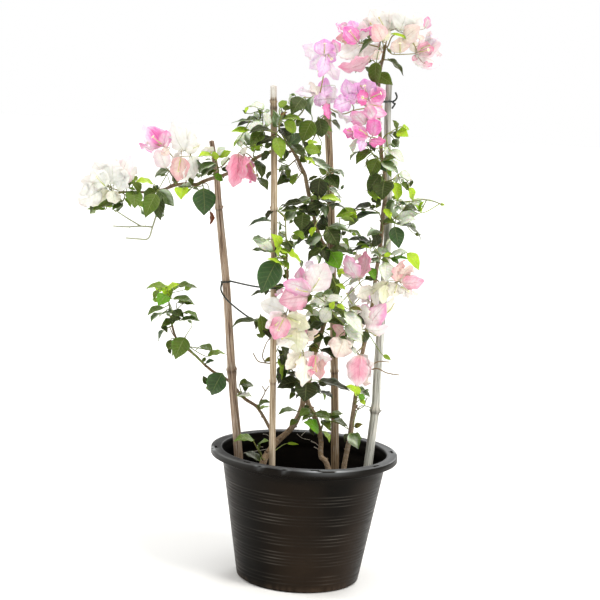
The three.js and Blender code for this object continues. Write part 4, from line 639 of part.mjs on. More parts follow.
    ["blade",13,1,[-244.9,-56,607.1],[-244.7,-56,569.1],[-0.562,-0.827,-0.003],25.1,0.06,0.17],
    ["blade",30,1,[-234.5,-53.5,646.4],[-258.6,-38.5,633.8],[-0.62,-0.446,0.645],19.5,0.12,0.12],
    ["blade",17,1,[-223.6,-54,628.2],[-232.7,-66.3,646.9],[0.915,-0.338,0.22],17,0.07,0.3],
    ["blade",8,1,[-252.5,-52,613.3],[-274.6,-34,599.1],[-0.691,-0.696,0.194],20.1,0.108,0.17],
    ["blade",4,1,[-257.9,-49,624.4],[-288.8,-56.2,622.3],[0.034,-0.409,0.912],19.6,0.2,0.14],
    ["blade",2,1,[-249.4,-53,615.1],[-223.5,-53,591.8],[0.248,-0.929,0.275],22.6,0.12,0.19],
    ["blade",201,1,[-253.8,-46,612.1],[-258.8,-38.7,622.9],[0.337,-0.701,0.629],7,0.069,0.23],
    ["blade",3,0,[-252.7,-40.3,613.7],[-252.9,-34.2,623.4],[-0.151,-0.839,0.522],7.2,0.078,0.21],
    ["blade",72,0,[-217.6,1.3,635.6],[-229.6,18,622.2],[-0.149,0.55,0.822],17,0.102,0.16],
    ["blade",280,0,[-216.7,12.7,636.5],[-235.4,30.8,625.5],[0.019,0.533,0.846],19,0.061,0.19],
    ["blade",84,0,[-207.1,20.3,638.5],[-209,41.9,623.6],[0.163,0.568,0.806],16.6,0.088,0.13],
    ["blade",92,0,[-195.1,25.8,643.2],[-168.7,19.9,644.1],[0.084,0.51,0.856],18.5,0.078,0.13],
    ["blade",96,0,[-199,42.5,641.2],[-212,63.9,629.3],[0.245,0.583,0.775],19,0.104,0.12],
    ["blade",100,0,[-184.1,47.3,646.7],[-161.1,55.5,644.7],[-0.147,0.608,0.78],16.9,0.081,0.16],
  ],
  leaf_shoot_left_tip: [
    ["twig",[[-290.2,-38,609.2],[-294.5,-41.4,609.4],[-302.4,-43,608.6],[-309.8,-46.2,606.9],[-317.5,-48.4,607.3],[-323.7,-48,612.5],[-329,-48,618.7]],[1.72,1.47,1.37,1.3,1.2,1.06,0.92]],
    ["branch",8,[[-300.8,-47.2,601.4],[-305.3,-50,593.9]],[1.06,0.92]],
    ["branch",25,[[-323.2,-37.8,602.9],[-328.8,-27.3,598.5],[-335.2,-17.1,594.2],[-342.2,-7.3,589.9],[-350.5,1.2,585.3],[-359.4,8.9,580.5]],[1.26,1.21,1.16,1.1,1.05,0.98]],
    ["blade",26,0,[-328.8,-34.3,608.5],[-340.2,-41.7,609.9],[0.548,-0.792,0.27],9.6,0.081,0.19],
    ["blade",3,1,[-287.4,-58,612.5],[-281.6,-80,587.5],[0.236,-0.702,0.672],27.9,0.1,0.15],
    ["blade",30,1,[-331.1,-25.3,620.3],[-356.2,-25.3,573.2],[-0.718,-0.58,0.384],30,0.06,0.35],
    ["blade",103,0,[-276,-57.5,613.1],[-288.1,-71.7,627.2],[0.779,-0.626,0.042],16,0.116,0.18],
    ["blade",46,1,[-302.3,-56,595.3],[-344.9,-56,578.1],[-0.34,-0.414,0.844],28,0.1,0.25],
    ["blade",50,0,[-302.6,-52.5,591.5],[-317.8,-64.4,582.6],[-0.173,-0.476,0.862],14.8,0.053,0.22],
    ["blade",37,1,[-331.2,-44.1,621.4],[-338,-49.5,616.8],[0.313,-0.814,0.49],8,0.074,0.1],
    ["blade",10,1,[-297,-50,617.6],[-291.3,-55.3,625.2],[-0.436,-0.857,-0.274],6.4,0.083,0.16],
    ["blade",6,1,[-285.4,-35.1,634.4],[-297.5,-52.1,617.8],[-0.2,-0.609,0.768],17.5,0.1,0.1],
    ["blade",62,0,[-323.9,-22.5,597.4],[-310.1,-0.2,591],[0.302,0.083,0.95],17.2,0.089,0.13],
    ["blade",60,1,[-337.1,-21.7,596.9],[-367,-19,599.7],[0.13,0.605,0.786],21.1,0.088,0.21],
    ["blade",71,1,[-341.2,-13.8,591.2],[-364.4,-20.1,580.2],[-0.372,-0.205,0.905],17.7,0.076,0.21],
    ["blade",74,0,[-345.2,-5.5,595.7],[-363.3,9.4,615.1],[0.623,-0.219,0.751],20.2,0.095,0.12],
    ["blade",78,0,[-348.3,-2.2,591.5],[-363.7,5.7,609.4],[0.765,0.037,0.643],17,0.082,0.19],
    ["blade",85,1,[-352.5,5.6,586.8],[-358.8,25.7,597.8],[-0.376,-0.531,0.759],15,0.062,0.17],
    ["blade",87,0,[-361.4,14.6,581.9],[-370.3,39.7,588],[0.047,-0.221,0.974],17.7,0.104,0.16],
  ],
  leaf_shoot_low_centre: [
    ["twig",[[7.3,5.6,273.6],[7.8,-1,273.8],[9.3,-8,272.1],[12.3,-14.5,271.1],[16.9,-20.2,271.2],[22.2,-25,271.8],[28.2,-29.1,272.6],[34.9,-31.8,273.5],[41.8,-34,274.5]],[1.38,1.23,1.18,1.15,1.1,1.06,1.02,0.97,0.92]],
    ["branch",3,[[4.2,-4.1,274.8],[1.4,-10.8,275.1],[-1.6,-17.5,275.4],[-5,-24,275.6],[-9.1,-30,275.6]],[1.12,1.08,1.05,1,0.92]],
    ["twig",[[23.3,-5.6,243.3],[24.6,-11.7,247.3],[25.4,-17.4,252.4],[27.7,-22.8,257.3],[32.3,-27.1,261.5],[38.8,-30.3,263.7],[46.2,-31.5,262.6],[53.5,-32,260.3],[60.4,-32.1,256.9],[66.9,-32,252.9]],[1.26,1.17,1.15,1.13,1.09,1.06,1.02,0.99,0.95,0.92]],
    ["branch",35,[[23.8,-12.8,270],[25.1,-0.6,268.4],[25.9,11.7,267.3],[26,24.1,266.5],[24.8,36.4,265.9],[22.7,48.6,265.5]],[1.26,1.22,1.16,1.1,1.05,0.98]],
    ["branch",168,[[23.6,56.9,262.7],[24.6,68.6,259.3],[26.4,79.6,254.5],[29.4,89.1,247.4]],[1.24,1.16,1.07,0.98]],
    ["join",5,82,[[10.4,2.6,269.4],[14.1,0.1,263],[16.3,-1.3,259.3],[18.4,-2.9,255.5],[21.4,-5.2,249.3]]],
    ["blade",79,1,[16.4,-47,273.3],[41,-32.7,261.3],[0.488,-0.108,0.866],19.4,0.08,0.24],
    ["blade",34,0,[9.2,-42,275.9],[-6.8,-56.7,267.5],[-0.078,-0.426,0.902],14.3,0.091,0.14],
    ["blade",75,1,[13.1,-40,277.3],[38.5,-53.2,273.5],[-0.051,-0.367,0.929],18.5,0.08,0.13],
    ["blade",99,1,[21.1,-40,248.7],[-2.1,-58.6,266.6],[0.745,-0.464,0.48],24.5,0.1,0.1],
    ["blade",49,0,[41.5,-39.4,274.9],[58.4,-25,276.8],[0.055,-0.283,0.958],16.1,0.1,0.19],
    ["blade",80,0,[-14.7,-38,264.8],[-26,-49.9,256.1],[-0.039,-0.562,0.826],12.1,0.093,0.13],
    ["blade",98,0,[25.9,-36,248.1],[39.3,-49.1,234],[0.564,-0.265,0.782],15.7,0.085,0.25],
    ["blade",21,0,[3.2,-36,283.1],[-10.3,-50.4,272.4],[0.029,-0.614,0.789],15.8,0.066,0.11],
    ["blade",28,1,[24.9,-34,265.4],[38.2,-50.4,252],[0.221,-0.506,0.834],16.3,0.075,0.23],
    ["blade",115,1,[43.9,-33,265.5],[70.7,-16.7,249],[0.575,-0.124,0.809],21.7,0.1,0.12],
    ["blade",332,0,[-3.9,-26.9,282.5],[3.8,-34.1,286],[-0.613,-0.788,0.066],8.2,0.051,0.2],
    ["blade",77,1,[-13.8,-28,275.7],[-45.1,-43,272.1],[-0.078,-0.075,0.994],23.9,0.12,0.22],
    ["blade",67,0,[2.7,-22,263.2],[12.7,-30.2,255.8],[-0.16,-0.764,0.625],9.8,0.076,0.13],
    ["blade",60,0,[6.8,-14,247.1],[13.9,-22.7,236.4],[0.005,-0.775,0.632],8.2,0.082,0.24],
    ["blade",144,0,[27.1,-1,264.6],[41.5,8.1,237.7],[0.871,0.061,0.487],21.7,0.054,0.21],
    ["blade",150,1,[31.4,7.7,264.7],[59.4,17.1,249.9],[0.236,0.553,0.799],23.7,0.09,0.21],
    ["blade",159,0,[32.1,16.5,265.7],[53.2,26.9,252.6],[0.432,0.093,0.897],17.9,0.102,0.08],
    ["blade",164,1,[19.2,34.3,261.9],[-0.5,46.1,248.9],[-0.322,0.406,0.855],18.5,0.08,0.16],
    ["blade",175,1,[24.5,51.4,261.6],[30.9,69.4,246.6],[0.202,0.614,0.763],15.7,0.097,0.13],
    ["blade",181,0,[28.5,69,257.3],[57.6,75.7,241.9],[0.381,0.333,0.863],23.2,0.075,0.14],
    ["blade",188,0,[20,75.8,254.5],[-2.7,86.4,240.7],[-0.227,0.552,0.802],18.1,0.077,0.09],
    ["blade",192,0,[28.2,77.5,252.4],[41.9,80.3,232.1],[0.767,0.312,0.56],16.4,0.053,0.1],
    ["blade",194,1,[24.9,84.4,249],[9.3,91.3,230.9],[-0.734,0.099,0.672],17.4,0.106,0.13],
    ["blade",198,0,[35.3,94.4,246.7],[55.1,112.2,244.6],[-0.083,0.212,0.974],16.9,0.107,0.08],
  ],
  leaf_shoot_low_left_base: [
    ["twig",[[-132,6.2,315.3],[-133.6,-0.4,317.7],[-136.6,-6.3,321.3],[-138,-12,326.1]],[1.49,1.28,1.18,1.03]],
    ["twig",[[-101.7,3.2,288.2],[-102.4,-0.9,292],[-105.8,-3.3,297.3],[-108,-5.7,303],[-109.4,-8,309.1]],[1.26,1.12,1.05,0.99,0.92]],
    ["twig",[[-75,-1,271.9],[-76.7,-2,277.8],[-72.1,-6,283.3]],[1.15,0.93,0.8]],
    ["join",5,21,[[-126.1,4.8,311.7],[-121.8,4.5,308.3],[-116.7,4,303.2],[-113.5,3.8,300.1],[-109.4,3.3,296.1],[-106.2,3,292.9]]],
    ["join",0,53,[[-126.1,4.8,311.8],[-120.4,4.4,307.2],[-115.2,4,302.1],[-111.3,3.7,298.3],[-107,3.3,294.1],[-103.5,3,290.9],[-98.6,2.4,286.8],[-92.4,1.5,283.2],[-86.6,0.7,280.3],[-80.4,-0.2,277]]],
    ["blade",19,1,[-137.2,-14,328.1],[-153.7,-14,290.7],[-0.248,-0.963,0.109],34.5,0.1,0.26],
    ["blade",45,1,[-109.4,-10,310.3],[-87.4,6.8,306],[0.463,-0.402,0.79],19.7,0.1,0.24],
    ["blade",195,0,[-101.7,-6,311.7],[-99.8,-17,299.2],[0.348,-0.675,0.65],11.2,0.085,0.12],
    ["blade",165,1,[-78.8,-6,273.9],[-59.2,-19.6,287.5],[-0.639,-0.174,0.749],18.9,0.118,0.23],
    ["blade",35,0,[-111.4,-16,292.7],[-87.9,-32.7,296],[-0.226,-0.127,0.966],18.7,0.075,0.18],
    ["blade",46,0,[-77.6,-0.6,269.8],[-57.6,12,274],[-0.107,-0.041,0.993],16.9,0.051,0.1],
    ["blade",30,0,[-111.2,-3,291.8],[-99.4,-10.5,288.3],[-0.2,-0.655,0.729],7.2,0.117,0.24],
  ],
  leaf_shoot_low_left_mid: [
    ["twig",[[-224.7,8.5,394.7],[-229.8,5.1,392.5],[-234.7,2,389.3]],[1.26,1.02,0.92]],
    ["twig",[[-194.5,9.4,361.3],[-194.8,8.5,367.1],[-198.5,7.1,373.3],[-200.8,4,379.6]],[1.38,1.15,1.03,0.92]],
    ["branch",16,[[-196.8,20.6,365.1],[-198.8,32.7,363.7],[-200.5,45,363.1],[-202,57.2,363.3],[-203,69.5,364.3]],[1.25,1.2,1.13,1.06,0.98]],
    ["join",1,15,[[-223.5,7,388],[-221,6.3,383.4],[-217.7,5.9,379],[-212.3,6,373.7],[-206.6,6.7,370],[-202.9,7.4,368.1],[-199,8.2,365.9]]],
    ["blade",33,1,[-200.1,-6,380.4],[-213.6,-16.6,346.7],[-0.118,-0.933,0.34],31.2,0.12,0.12],
    ["blade",12,1,[-238,0,396.7],[-228.1,-8.5,387.3],[0.078,-0.696,0.714],10.5,0.108,0.22],
    ["blade",19,1,[-156.4,0,360.2],[-184.1,19.8,357.7],[-0.192,-0.147,0.97],21.1,0.2,0.15],
    ["blade",0,1,[-217.9,2,407.2],[-238,-9.1,396.4],[-0.155,-0.531,0.833],17.9,0.08,0.11],
    ["blade",13,1,[-235.4,2,387.6],[-244.4,13.5,368.3],[-0.922,-0.295,0.252],17.3,0.083,0.18],
    ["blade",14,0,[-165.9,2,339],[-151.3,-7,345.5],[-0.573,-0.43,0.698],11.4,0.114,0.17],
    ["blade",110,1,[-163.3,2.5,350.5],[-133.4,10.9,354],[-0.047,-0.242,0.969],21.6,0.16,0.14],
    ["blade",109,1,[-169.6,-3.9,342.2],[-166.3,1.5,349.6],[-0.018,-0.801,0.598],6.6,0.1,0.24],
    ["blade",42,0,[-202.3,30.5,357.8],[-214.4,37.4,339.5],[-0.566,0.575,0.59],16.4,0.076,0.14],
    ["blade",49,1,[-204.4,36.3,362.8],[-227.9,40.8,360],[-0.08,0.204,0.976],17,0.104,0.16],
    ["blade",266,0,[-204.8,46.9,358.3],[-224.5,57.5,338.9],[-0.379,0.57,0.729],18.9,0.079,0.16],
    ["blade",58,1,[-205.7,66.3,358.3],[-215.7,78.7,342.2],[-0.044,0.776,0.629],14.4,0.052,0.14],
    ["blade",64,0,[-206.8,72.3,362.4],[-227.3,87,352.3],[0.128,0.675,0.726],18.8,0.073,0.2],
  ],
  leaf_shoot_low_left_top: [
    ["twig",[[-223.6,10,411.7],[-222.1,10.1,415.2],[-226.1,10.1,421.5],[-228.9,9.7,428.2],[-229.9,8.5,435.5],[-231.2,7.9,442.7],[-233.2,8,449.8]],[1.72,1.51,1.43,1.35,1.25,1.15,1.03]],
    ["branch",3,[[-217.7,5.1,414.5],[-211.2,0.8,417.1],[-203.8,-2,419.1]],[1.08,1.01,0.92]],
    ["branch",31,[[-233.6,19.2,445.2],[-235.7,30.5,446.1],[-238.3,41.7,447.1],[-241.4,52.7,448.1],[-245.3,63.5,448.9],[-250.7,73.7,449.1],[-256.7,83.6,449.1]],[1.28,1.23,1.18,1.14,1.09,1.03,0.98]],
    ["blade",33,0,[-232.5,-8,447.1],[-243.7,-24,431.1],[0.145,-0.75,0.645],22.9,0.117,0.19],
    ["blade",52,1,[-206.6,-8,419.8],[-179.8,-23.3,414.7],[0.107,-0.138,0.985],21.3,0.12,0.23],
    ["blade",34,1,[-230.7,1.9,442.7],[-240.1,17.8,460.2],[0.138,-0.696,0.705],16.8,0.16,0.25],
    ["blade",46,1,[-209.3,-6,407.3],[-176.6,-21.8,410.7],[-0.187,-0.179,0.966],24.5,0.08,0.24],
    ["blade",21,1,[-235.8,-4,426.4],[-260,-19.8,413.6],[-0.217,-0.392,0.894],20.8,0.14,0.15],
    ["blade",16,0,[-225.2,-4,420.5],[-202.1,-21.8,414],[-0.029,-0.377,0.926],21.2,0.098,0.19],
    ["blade",136,1,[-231,-2,454.5],[-213.1,-14,466.6],[-0.69,-0.477,0.544],15.6,0.1,0.2],
    ["blade",142,1,[-235.3,0,458.8],[-265.9,5.7,454.7],[-0.183,-0.317,0.931],20.1,0.1,0.23],
    ["blade",28,1,[-222.5,0,440.2],[-186.3,0,433.5],[0.175,-0.3,0.938],23.6,0.12,0.19],
    ["blade",36,1,[-220.5,2,461],[-184.6,2,460.6],[0.009,-0.245,0.969],23.8,0.06,0.18],
    ["blade",13,0,[-236.8,2,417.4],[-255.1,-17.1,404.7],[-0.409,-0.202,0.89],20.7,0.1,0.18],
    ["blade",29,0,[-228.4,8.2,440.1],[-222.2,-3.8,457.6],[-0.817,-0.576,0.019],14.9,0.059,0.22],
    ["blade",73,0,[-229.8,35,448.9],[-202.1,46.3,460.8],[-0.42,0.085,0.904],22.1,0.059,0.2],
    ["blade",74,1,[-233.7,43.8,448.9],[-212.6,57.5,458],[-0.49,0.187,0.851],18.7,0.077,0.21],
    ["blade",76,1,[-240.9,51,443.8],[-243.4,58.6,421],[0.722,0.677,0.146],15.5,0.05,0.08],
    ["blade",85,0,[-239.8,60,449.3],[-219.8,72.4,453.7],[-0.366,0.27,0.891],16.8,0.085,0.19],
    ["blade",89,0,[-250.2,66.3,448.5],[-273.2,71.4,445.6],[-0.052,0.305,0.951],15.4,0.07,0.15],
    ["blade",99,0,[-256.2,92.4,447.7],[-254.3,125.5,442.5],[-0.081,0.16,0.984],20.8,0.057,0.08],
  ],
  leaf_shoot_low_right: [
    ["twig",[[72.4,5.3,231.9],[72.6,-0.3,233.8],[73.1,-5.4,238.2],[73.7,-11.5,240.5],[74.3,-18,242.2]],[1.26,1.16,1.12,1.07,1.03]],
    ["blade",25,0,[70.8,-24,244.1],[85.4,-34.4,222.1],[0.08,-0.881,0.467],22.2,0.14,0.18],
    ["blade",16,1,[69.5,-18,241.9],[62.8,-29.7,230.2],[-0.036,-0.695,0.718],12.3,0.105,0.22],
    ["blade",23,0,[75.3,-14.3,239.7],[89.5,-26.7,237.6],[-0.325,-0.599,0.732],12.4,0.116,0.12],
  ],
  leaf_shoot_mid_left: [
    ["twig",[[-35.1,-40.8,421.8],[-41.1,-44,421.5],[-47.3,-48,423.2],[-53.5,-52.2,424.5],[-59.5,-56.4,423.3],[-65.6,-60.1,421.3],[-72.3,-61.6,424.3],[-79.5,-62.1,425.8],[-86.9,-62,424.4]],[1.38,1.26,1.23,1.21,1.16,1.1,1.05,0.99,0.92]],
    ["blade",45,1,[-79.5,-80,433.5],[-75.9,-84,398.4],[0.593,-0.791,0.15],21.7,0.073,0.25],
    ["blade",46,1,[-87.7,-74,423.6],[-125.9,-74,413.5],[-0.25,-0.191,0.949],26.3,0.08,0.22],
    ["blade",39,0,[-74,-75,415.1],[-62.7,-91,399.5],[0.359,-0.511,0.781],15.4,0.053,0.13],
    ["blade",1,0,[-59.4,-46,361.5],[-71.5,-54.1,357.4],[0.332,-0.772,0.541],8.1,0.091,0.13],
  ],
  leaf_shoot_mid_pale: [
    ["twig",[[21,0,463.2],[21.1,-2.9,463],[21.2,-10.6,462.6],[21.3,-18.3,462.1],[21.5,-26,461.7],[21.6,-33.7,461.2],[21.7,-41.4,460.7],[21.9,-49.2,460.2],[22.2,-56.9,459.7],[22.5,-64.6,459.1],[23.3,-72.2,458.4],[24.9,-79.7,457.3],[27.3,-86.6,455],[26,-92,449.9]],[1.72,1.55,1.53,1.51,1.48,1.47,1.45,1.44,1.41,1.39,1.36,1.3,1.2,1.03]],
    ["branch",55,[[28.2,-72.4,459.5],[33.7,-76.8,460],[39.4,-81,459.3],[45,-84.6,456.9],[50.5,-88,453.9]],[1.3,1.22,1.13,1.02,0.92]],
    ["branch",71,[[27.8,-73.2,448.8],[29.8,-63.6,441.4],[32.3,-53.6,434.6],[35.8,-43.5,428.4],[40,-33.4,422.7]],[1.25,1.2,1.13,1.06,0.98]],
    ["branch",124,[[36,-45.2,429.4],[39.9,-35.4,423.9],[43.6,-25.2,419.2],[46.9,-14.6,415.2],[49.7,-3.6,411.7]],[1.25,1.2,1.13,1.06,0.98]],
    ["blade",70,1,[-2.1,-100,471.8],[-24.7,-93.2,451],[-0.617,-0.638,0.461],21,0.08,0.17],
    ["blade",74,1,[26.5,-98,453.9],[13.5,-80.7,428.1],[-0.516,-0.809,-0.282],23.7,0.08,0.21],
    ["blade",196,1,[26.3,-100,453.6],[31.8,-106.5,465.4],[-0.503,-0.778,-0.378],10.2,0.07,0.17],
    ["blade",57,1,[-17.2,-94,453.1],[0.2,-109,445.4],[0.08,-0.38,0.921],16.2,0.118,0.2],
    ["blade",192,0,[35.4,-100,457.8],[50.5,-90.7,451.9],[0.539,-0.413,0.734],11.6,0.094,0.18],
    ["blade",73,1,[24,-92,458.3],[-2.2,-79.1,460.5],[-0.245,-0.621,0.744],17.5,0.119,0.11],
    ["blade",106,1,[47.7,-92,448],[79,-92,414.1],[0.558,-0.651,0.514],28.3,0.06,0.13],
    ["blade",62,1,[18.9,-90,466.3],[47.9,-101.1,466.3],[-0.217,-0.564,0.797],19.4,0.1,0.12],
    ["blade",72,1,[27.4,-86,452.9],[63,-86,425.5],[0.594,-0.24,0.768],30,0.06,0.22],
    ["blade",110,0,[53.7,-86,452.2],[74.9,-98.7,452.1],[-0.108,-0.186,0.977],16.7,0.065,0.25],
    ["blade",79,1,[50.7,-84,426],[80.1,-84,399.6],[0.354,-0.848,0.394],22.5,0.058,0.16],
    ["blade",63,1,[14.1,-78,471.4],[36.5,-60.8,462.6],[0.575,-0.375,0.727],21.1,0.111,0.22],
    ["blade",32,1,[54.6,-28.3,483.9],[75,-44.7,497.2],[-0.695,-0.357,0.625],19.4,0.067,0.22],
    ["blade",98,0,[77.9,-60,496.2],[97,-48.8,495.9],[0.237,-0.385,0.892],15.1,0.051,0.25],
    ["blade",14,1,[81.6,-56,514.7],[92.9,-72.8,497.8],[0.178,-0.635,0.752],16.5,0.099,0.19],
    ["blade",122,0,[26.7,-60.8,446.1],[17.4,-31.7,453.8],[0.166,-0.202,0.965],21.4,0.086,0.14],
    ["blade",118,0,[34.2,-58.5,441.2],[51.6,-43.7,445.8],[-0.411,0.208,0.887],14.8,0.051,0.19],
    ["blade",128,0,[28.8,-49.2,437.8],[18.6,-24,443.5],[0.251,-0.117,0.961],17.9,0.068,0.13],
    ["blade",134,1,[30.7,-47.6,431.1],[14.3,-29.1,422.1],[0.189,0.561,0.806],18.2,0.106,0.2],
    ["blade",152,1,[34.4,-50.6,435.5],[32.1,-28.2,455],[0.5,-0.539,0.678],20.4,0.055,0.15],
    ["blade",153,1,[34,-31.8,428.4],[21.3,-5.9,432.9],[-0.101,-0.235,0.967],20.4,0.062,0.16],
    ["blade",141,0,[34.6,-27.3,422.2],[17,-7.5,420.7],[0.136,0.194,0.972],18.7,0.083,0.09],
    ["blade",148,0,[39.5,-39.8,422.2],[47.9,-43.2,393.9],[-0.345,0.914,-0.213],20.2,0.069,0.1],
    ["blade",489,0,[37.2,-27.9,423.6],[22.6,-9.6,427.3],[0.295,0.047,0.954],16.2,0.109,0.16],
    ["blade",155,0,[42.4,-26.3,412.4],[41.3,-21.6,384.3],[0.32,0.936,0.143],20.4,0.075,0.14],
    ["blade",164,1,[52.5,-24.1,416.7],[79.9,-28.3,406.9],[0.317,0.139,0.938],20.1,0.067,0.21],
    ["blade",163,0,[40.6,-9.7,416.4],[25,7,418.3],[0.209,0.083,0.974],16.1,0.052,0.12],
    ["blade",167,0,[49,-11.1,409.7],[55.5,-14.8,384],[-0.57,-0.821,-0.027],18.8,0.066,0.18],
    ["blade",172,0,[54,-2.8,409.5],[81.8,2.5,395.1],[0.352,0.419,0.837],21.4,0.105,0.15],
  ],
  leaf_shoot_mid_right: [
    ["twig",[[87.7,-3.9,410.5],[86.1,-10.7,411],[84.4,-18.3,412],[82.7,-25.9,413.1],[81,-33.5,414.3],[79,-41,415.6],[76.6,-48.2,417.5],[73.5,-54.8,420.4],[70.3,-60,425.2],[67.8,-62,432.4]],[1.61,1.41,1.38,1.35,1.31,1.26,1.22,1.14,1.05,0.92]],
    ["branch",46,[[64.6,-50.1,426.7],[57.6,-42.1,430.9],[50.9,-34,435.2],[44.5,-25.6,439.6],[38.5,-17.1,444],[33,-8.2,448.4],[28.2,1.3,452.7],[24.7,11.3,456.7],[21.3,21.5,460.6]],[1.29,1.25,1.22,1.18,1.14,1.1,1.07,1.02,0.98]],
    ["blade",58,1,[43.7,-96,409.6],[54.5,-102.9,407.4],[-0.241,-0.615,0.751],6.5,0.113,0.26],
    ["blade",48,0,[63.4,-78.5,395.4],[56.3,-89,381.1],[-0.463,-0.591,0.661],11.9,0.076,0.21],
    ["blade",42,0,[65.2,-78,392.3],[70.3,-86,381.4],[0.062,-0.79,0.61],7.2,0.069,0.11],
    ["blade",54,1,[68.2,-66,424.3],[77.9,-79.7,400.4],[0.771,-0.368,0.519],19.5,0.063,0.1],
    ["blade",53,1,[78,-68,415.8],[87.4,-53.8,396.7],[0.489,-0.797,-0.354],16,0.11,0.14],
    ["blade",55,1,[68.9,-62,440.3],[83.7,-46.6,423.1],[0.837,-0.441,0.324],18,0.091,0.13],
    ["blade",52,1,[55.8,-54,454.1],[69.8,-38.4,435.4],[0.846,-0.48,0.233],17.2,0.12,0.22],
    ["blade",77,0,[41,-23.7,444.5],[21.5,-28.8,470.7],[0.805,-0.022,0.593],20.6,0.068,0.2],
    ["blade",81,1,[40.3,-13.6,441.1],[43.5,8.9,431.7],[0.163,0.361,0.918],17,0.071,0.09],
    ["blade",87,1,[36.7,-5.6,444.4],[49.6,20.4,428.4],[0.482,0.272,0.833],23.4,0.074,0.12],
    ["blade",97,1,[30.9,4.2,452],[46.1,34.1,450.8],[-0.192,0.136,0.972],21.6,0.077,0.2],
    ["blade",103,0,[27.5,12.9,458.2],[40.6,29,469.5],[-0.124,-0.501,0.856],14.9,0.107,0.15],
    ["blade",110,0,[22.2,22.8,467.2],[26.6,28.9,498.4],[0.185,0.959,-0.215],20,0.095,0.17],
  ],
  leaf_shoot_right_fan: [
    ["twig",[[101.1,-5.6,582.5],[99.9,-11.9,584.1],[98.8,-18.3,587.8],[97.5,-24.6,591.6],[95.9,-30.7,595.6],[92.1,-35.3,599.9],[85.9,-38.2,602.9],[78.9,-40.1,604.3],[71.5,-41.2,603.8],[64.1,-42,602.8]],[1.38,1.28,1.24,1.22,1.18,1.12,1.06,1.01,0.97,0.92]],
    ["twig",[[99.8,-4.5,550.2],[97.9,-11.8,550.2],[96.1,-19.2,550.2],[93.9,-26.5,550.2],[90.5,-33.2,550.1],[84.7,-38,549.7]],[1.38,1.24,1.21,1.17,1.12,1.03]],
    ["twig",[[101.1,-4.1,531.3],[103.3,-11.9,530.8],[105.4,-19.8,530.2],[108,-27.5,529.6],[113.3,-33.5,530],[120.4,-37.5,529.9],[128.1,-40,528.9]],[1.26,1.16,1.13,1.09,1.05,0.98,0.92]],
    ["branch",65,[[91.2,-3.4,548.2],[84.8,5.9,546.2],[78.9,15.4,543.8],[73.7,25.2,541],[69.9,35,536.7],[67,44.9,531.7]],[1.26,1.21,1.16,1.1,1.03,0.98]],
    ["branch",102,[[107,-15,533.2],[106.1,-3.7,536.7],[104.6,7.7,539.9],[102.4,19,542.7],[98.7,30.2,544],[94.1,41.1,544.4]],[1.26,1.22,1.16,1.1,1.05,0.98]],
    ["join",5,57,[[100.8,-6.8,575.8],[100.6,-6.5,569.1],[100.3,-6.4,564.3],[99.9,-6.1,557.4]]],
    ["join",202,89,[[101.2,-6.9,575.7],[101.5,-6.7,570.6],[101.6,-6.5,564.2],[101.7,-6.3,559],[101.8,-6.1,551.9],[101.7,-5.9,544.6],[101.7,-5.7,538.9]]],
    ["blade",116,1,[108.7,-60,524.5],[109.5,-68.2,495.1],[0.186,-0.946,0.268],27.9,0.06,0.45],
    ["blade",87,0,[82.7,-58,545.4],[68.4,-66.4,547],[0.292,-0.326,0.899],11,0.075,0.22],
    ["blade",55,1,[56.2,-56,599.6],[50.5,-43.3,582.7],[-0.465,-0.776,-0.427],15.2,0.063,0.15],
    ["blade",86,1,[87.8,-43.1,548],[52.1,-43.1,535.1],[-0.33,-0.261,0.907],23.5,0.04,0.24],
    ["blade",325,1,[105.3,-54,533],[117,-46.3,538.3],[0.282,-0.798,0.533],8,0.069,0.22],
    ["blade",334,1,[82.5,-54,526.2],[100,-65,524.6],[-0.119,-0.333,0.935],14,0.12,0.19],
    ["blade",53,1,[57,-47.5,601.2],[26.8,-47.5,588.6],[-0.305,-0.61,0.731],23,0.06,0.11],
    ["blade",324,1,[84.7,-55,539.7],[98.8,-65.1,532.3],[0.303,-0.257,0.918],12.3,0.105,0.2],
    ["blade",41,1,[81.3,-50,609.9],[50.5,-35.5,599.9],[-0.397,-0.237,0.887],24.7,0.1,0.13],
    ["blade",82,1,[84.2,-48.5,552.4],[45.2,-48.5,554],[0.041,-0.235,0.971],23.8,0.08,0.25],
    ["blade",125,1,[140.8,-50,540.1],[160.4,-50,513.9],[0.506,-0.776,0.378],22.9,0.12,0.23],
    ["blade",121,1,[116.6,-50,529.3],[130.9,-40.8,521.3],[0.649,-0.505,0.569],13.3,0.101,0.21],
    ["blade",35,1,[93.7,-48,598.8],[44.1,-48,572.6],[-0.459,-0.181,0.87],30,0.14,0.15],
    ["blade",110,1,[116.3,-48,536.1],[141.7,-58.5,543.4],[-0.39,-0.357,0.849],17.3,0.084,0.1],
    ["blade",326,1,[100.5,-62.9,529.8],[112.9,-71.3,525.2],[-0.132,-0.621,0.772],7.8,0.092,0.24],
    ["blade",52,1,[48.7,-38.5,601.7],[59.7,-46.3,595.9],[-0.309,-0.809,0.5],9.6,0.063,0.23],
    ["blade",427,0,[84.2,-50.5,549.3],[60.4,-68,550.5],[0.116,-0.092,0.989],21.1,0.066,0.15],
    ["blade",120,1,[113.2,-44.5,538.7],[84.1,-35.9,536.1],[-0.209,-0.447,0.87],19.5,0.04,0.22],
    ["blade",469,1,[118.4,-46,529.8],[142.5,-58.2,530.9],[-0.108,-0.12,0.987],18.7,0.067,0.15],
    ["blade",17,1,[98.8,-44,569.9],[76,-61.7,563.2],[0.013,-0.367,0.93],19.2,0.119,0.13],
    ["blade",80,1,[94.2,-38,547.1],[87.5,-53.7,570.1],[0.592,-0.736,-0.329],19.7,0.058,0.15],
    ["blade",143,1,[84.4,15,546.1],[100.6,30.8,552.9],[-0.597,0.293,0.747],15.2,0.052,0.22],
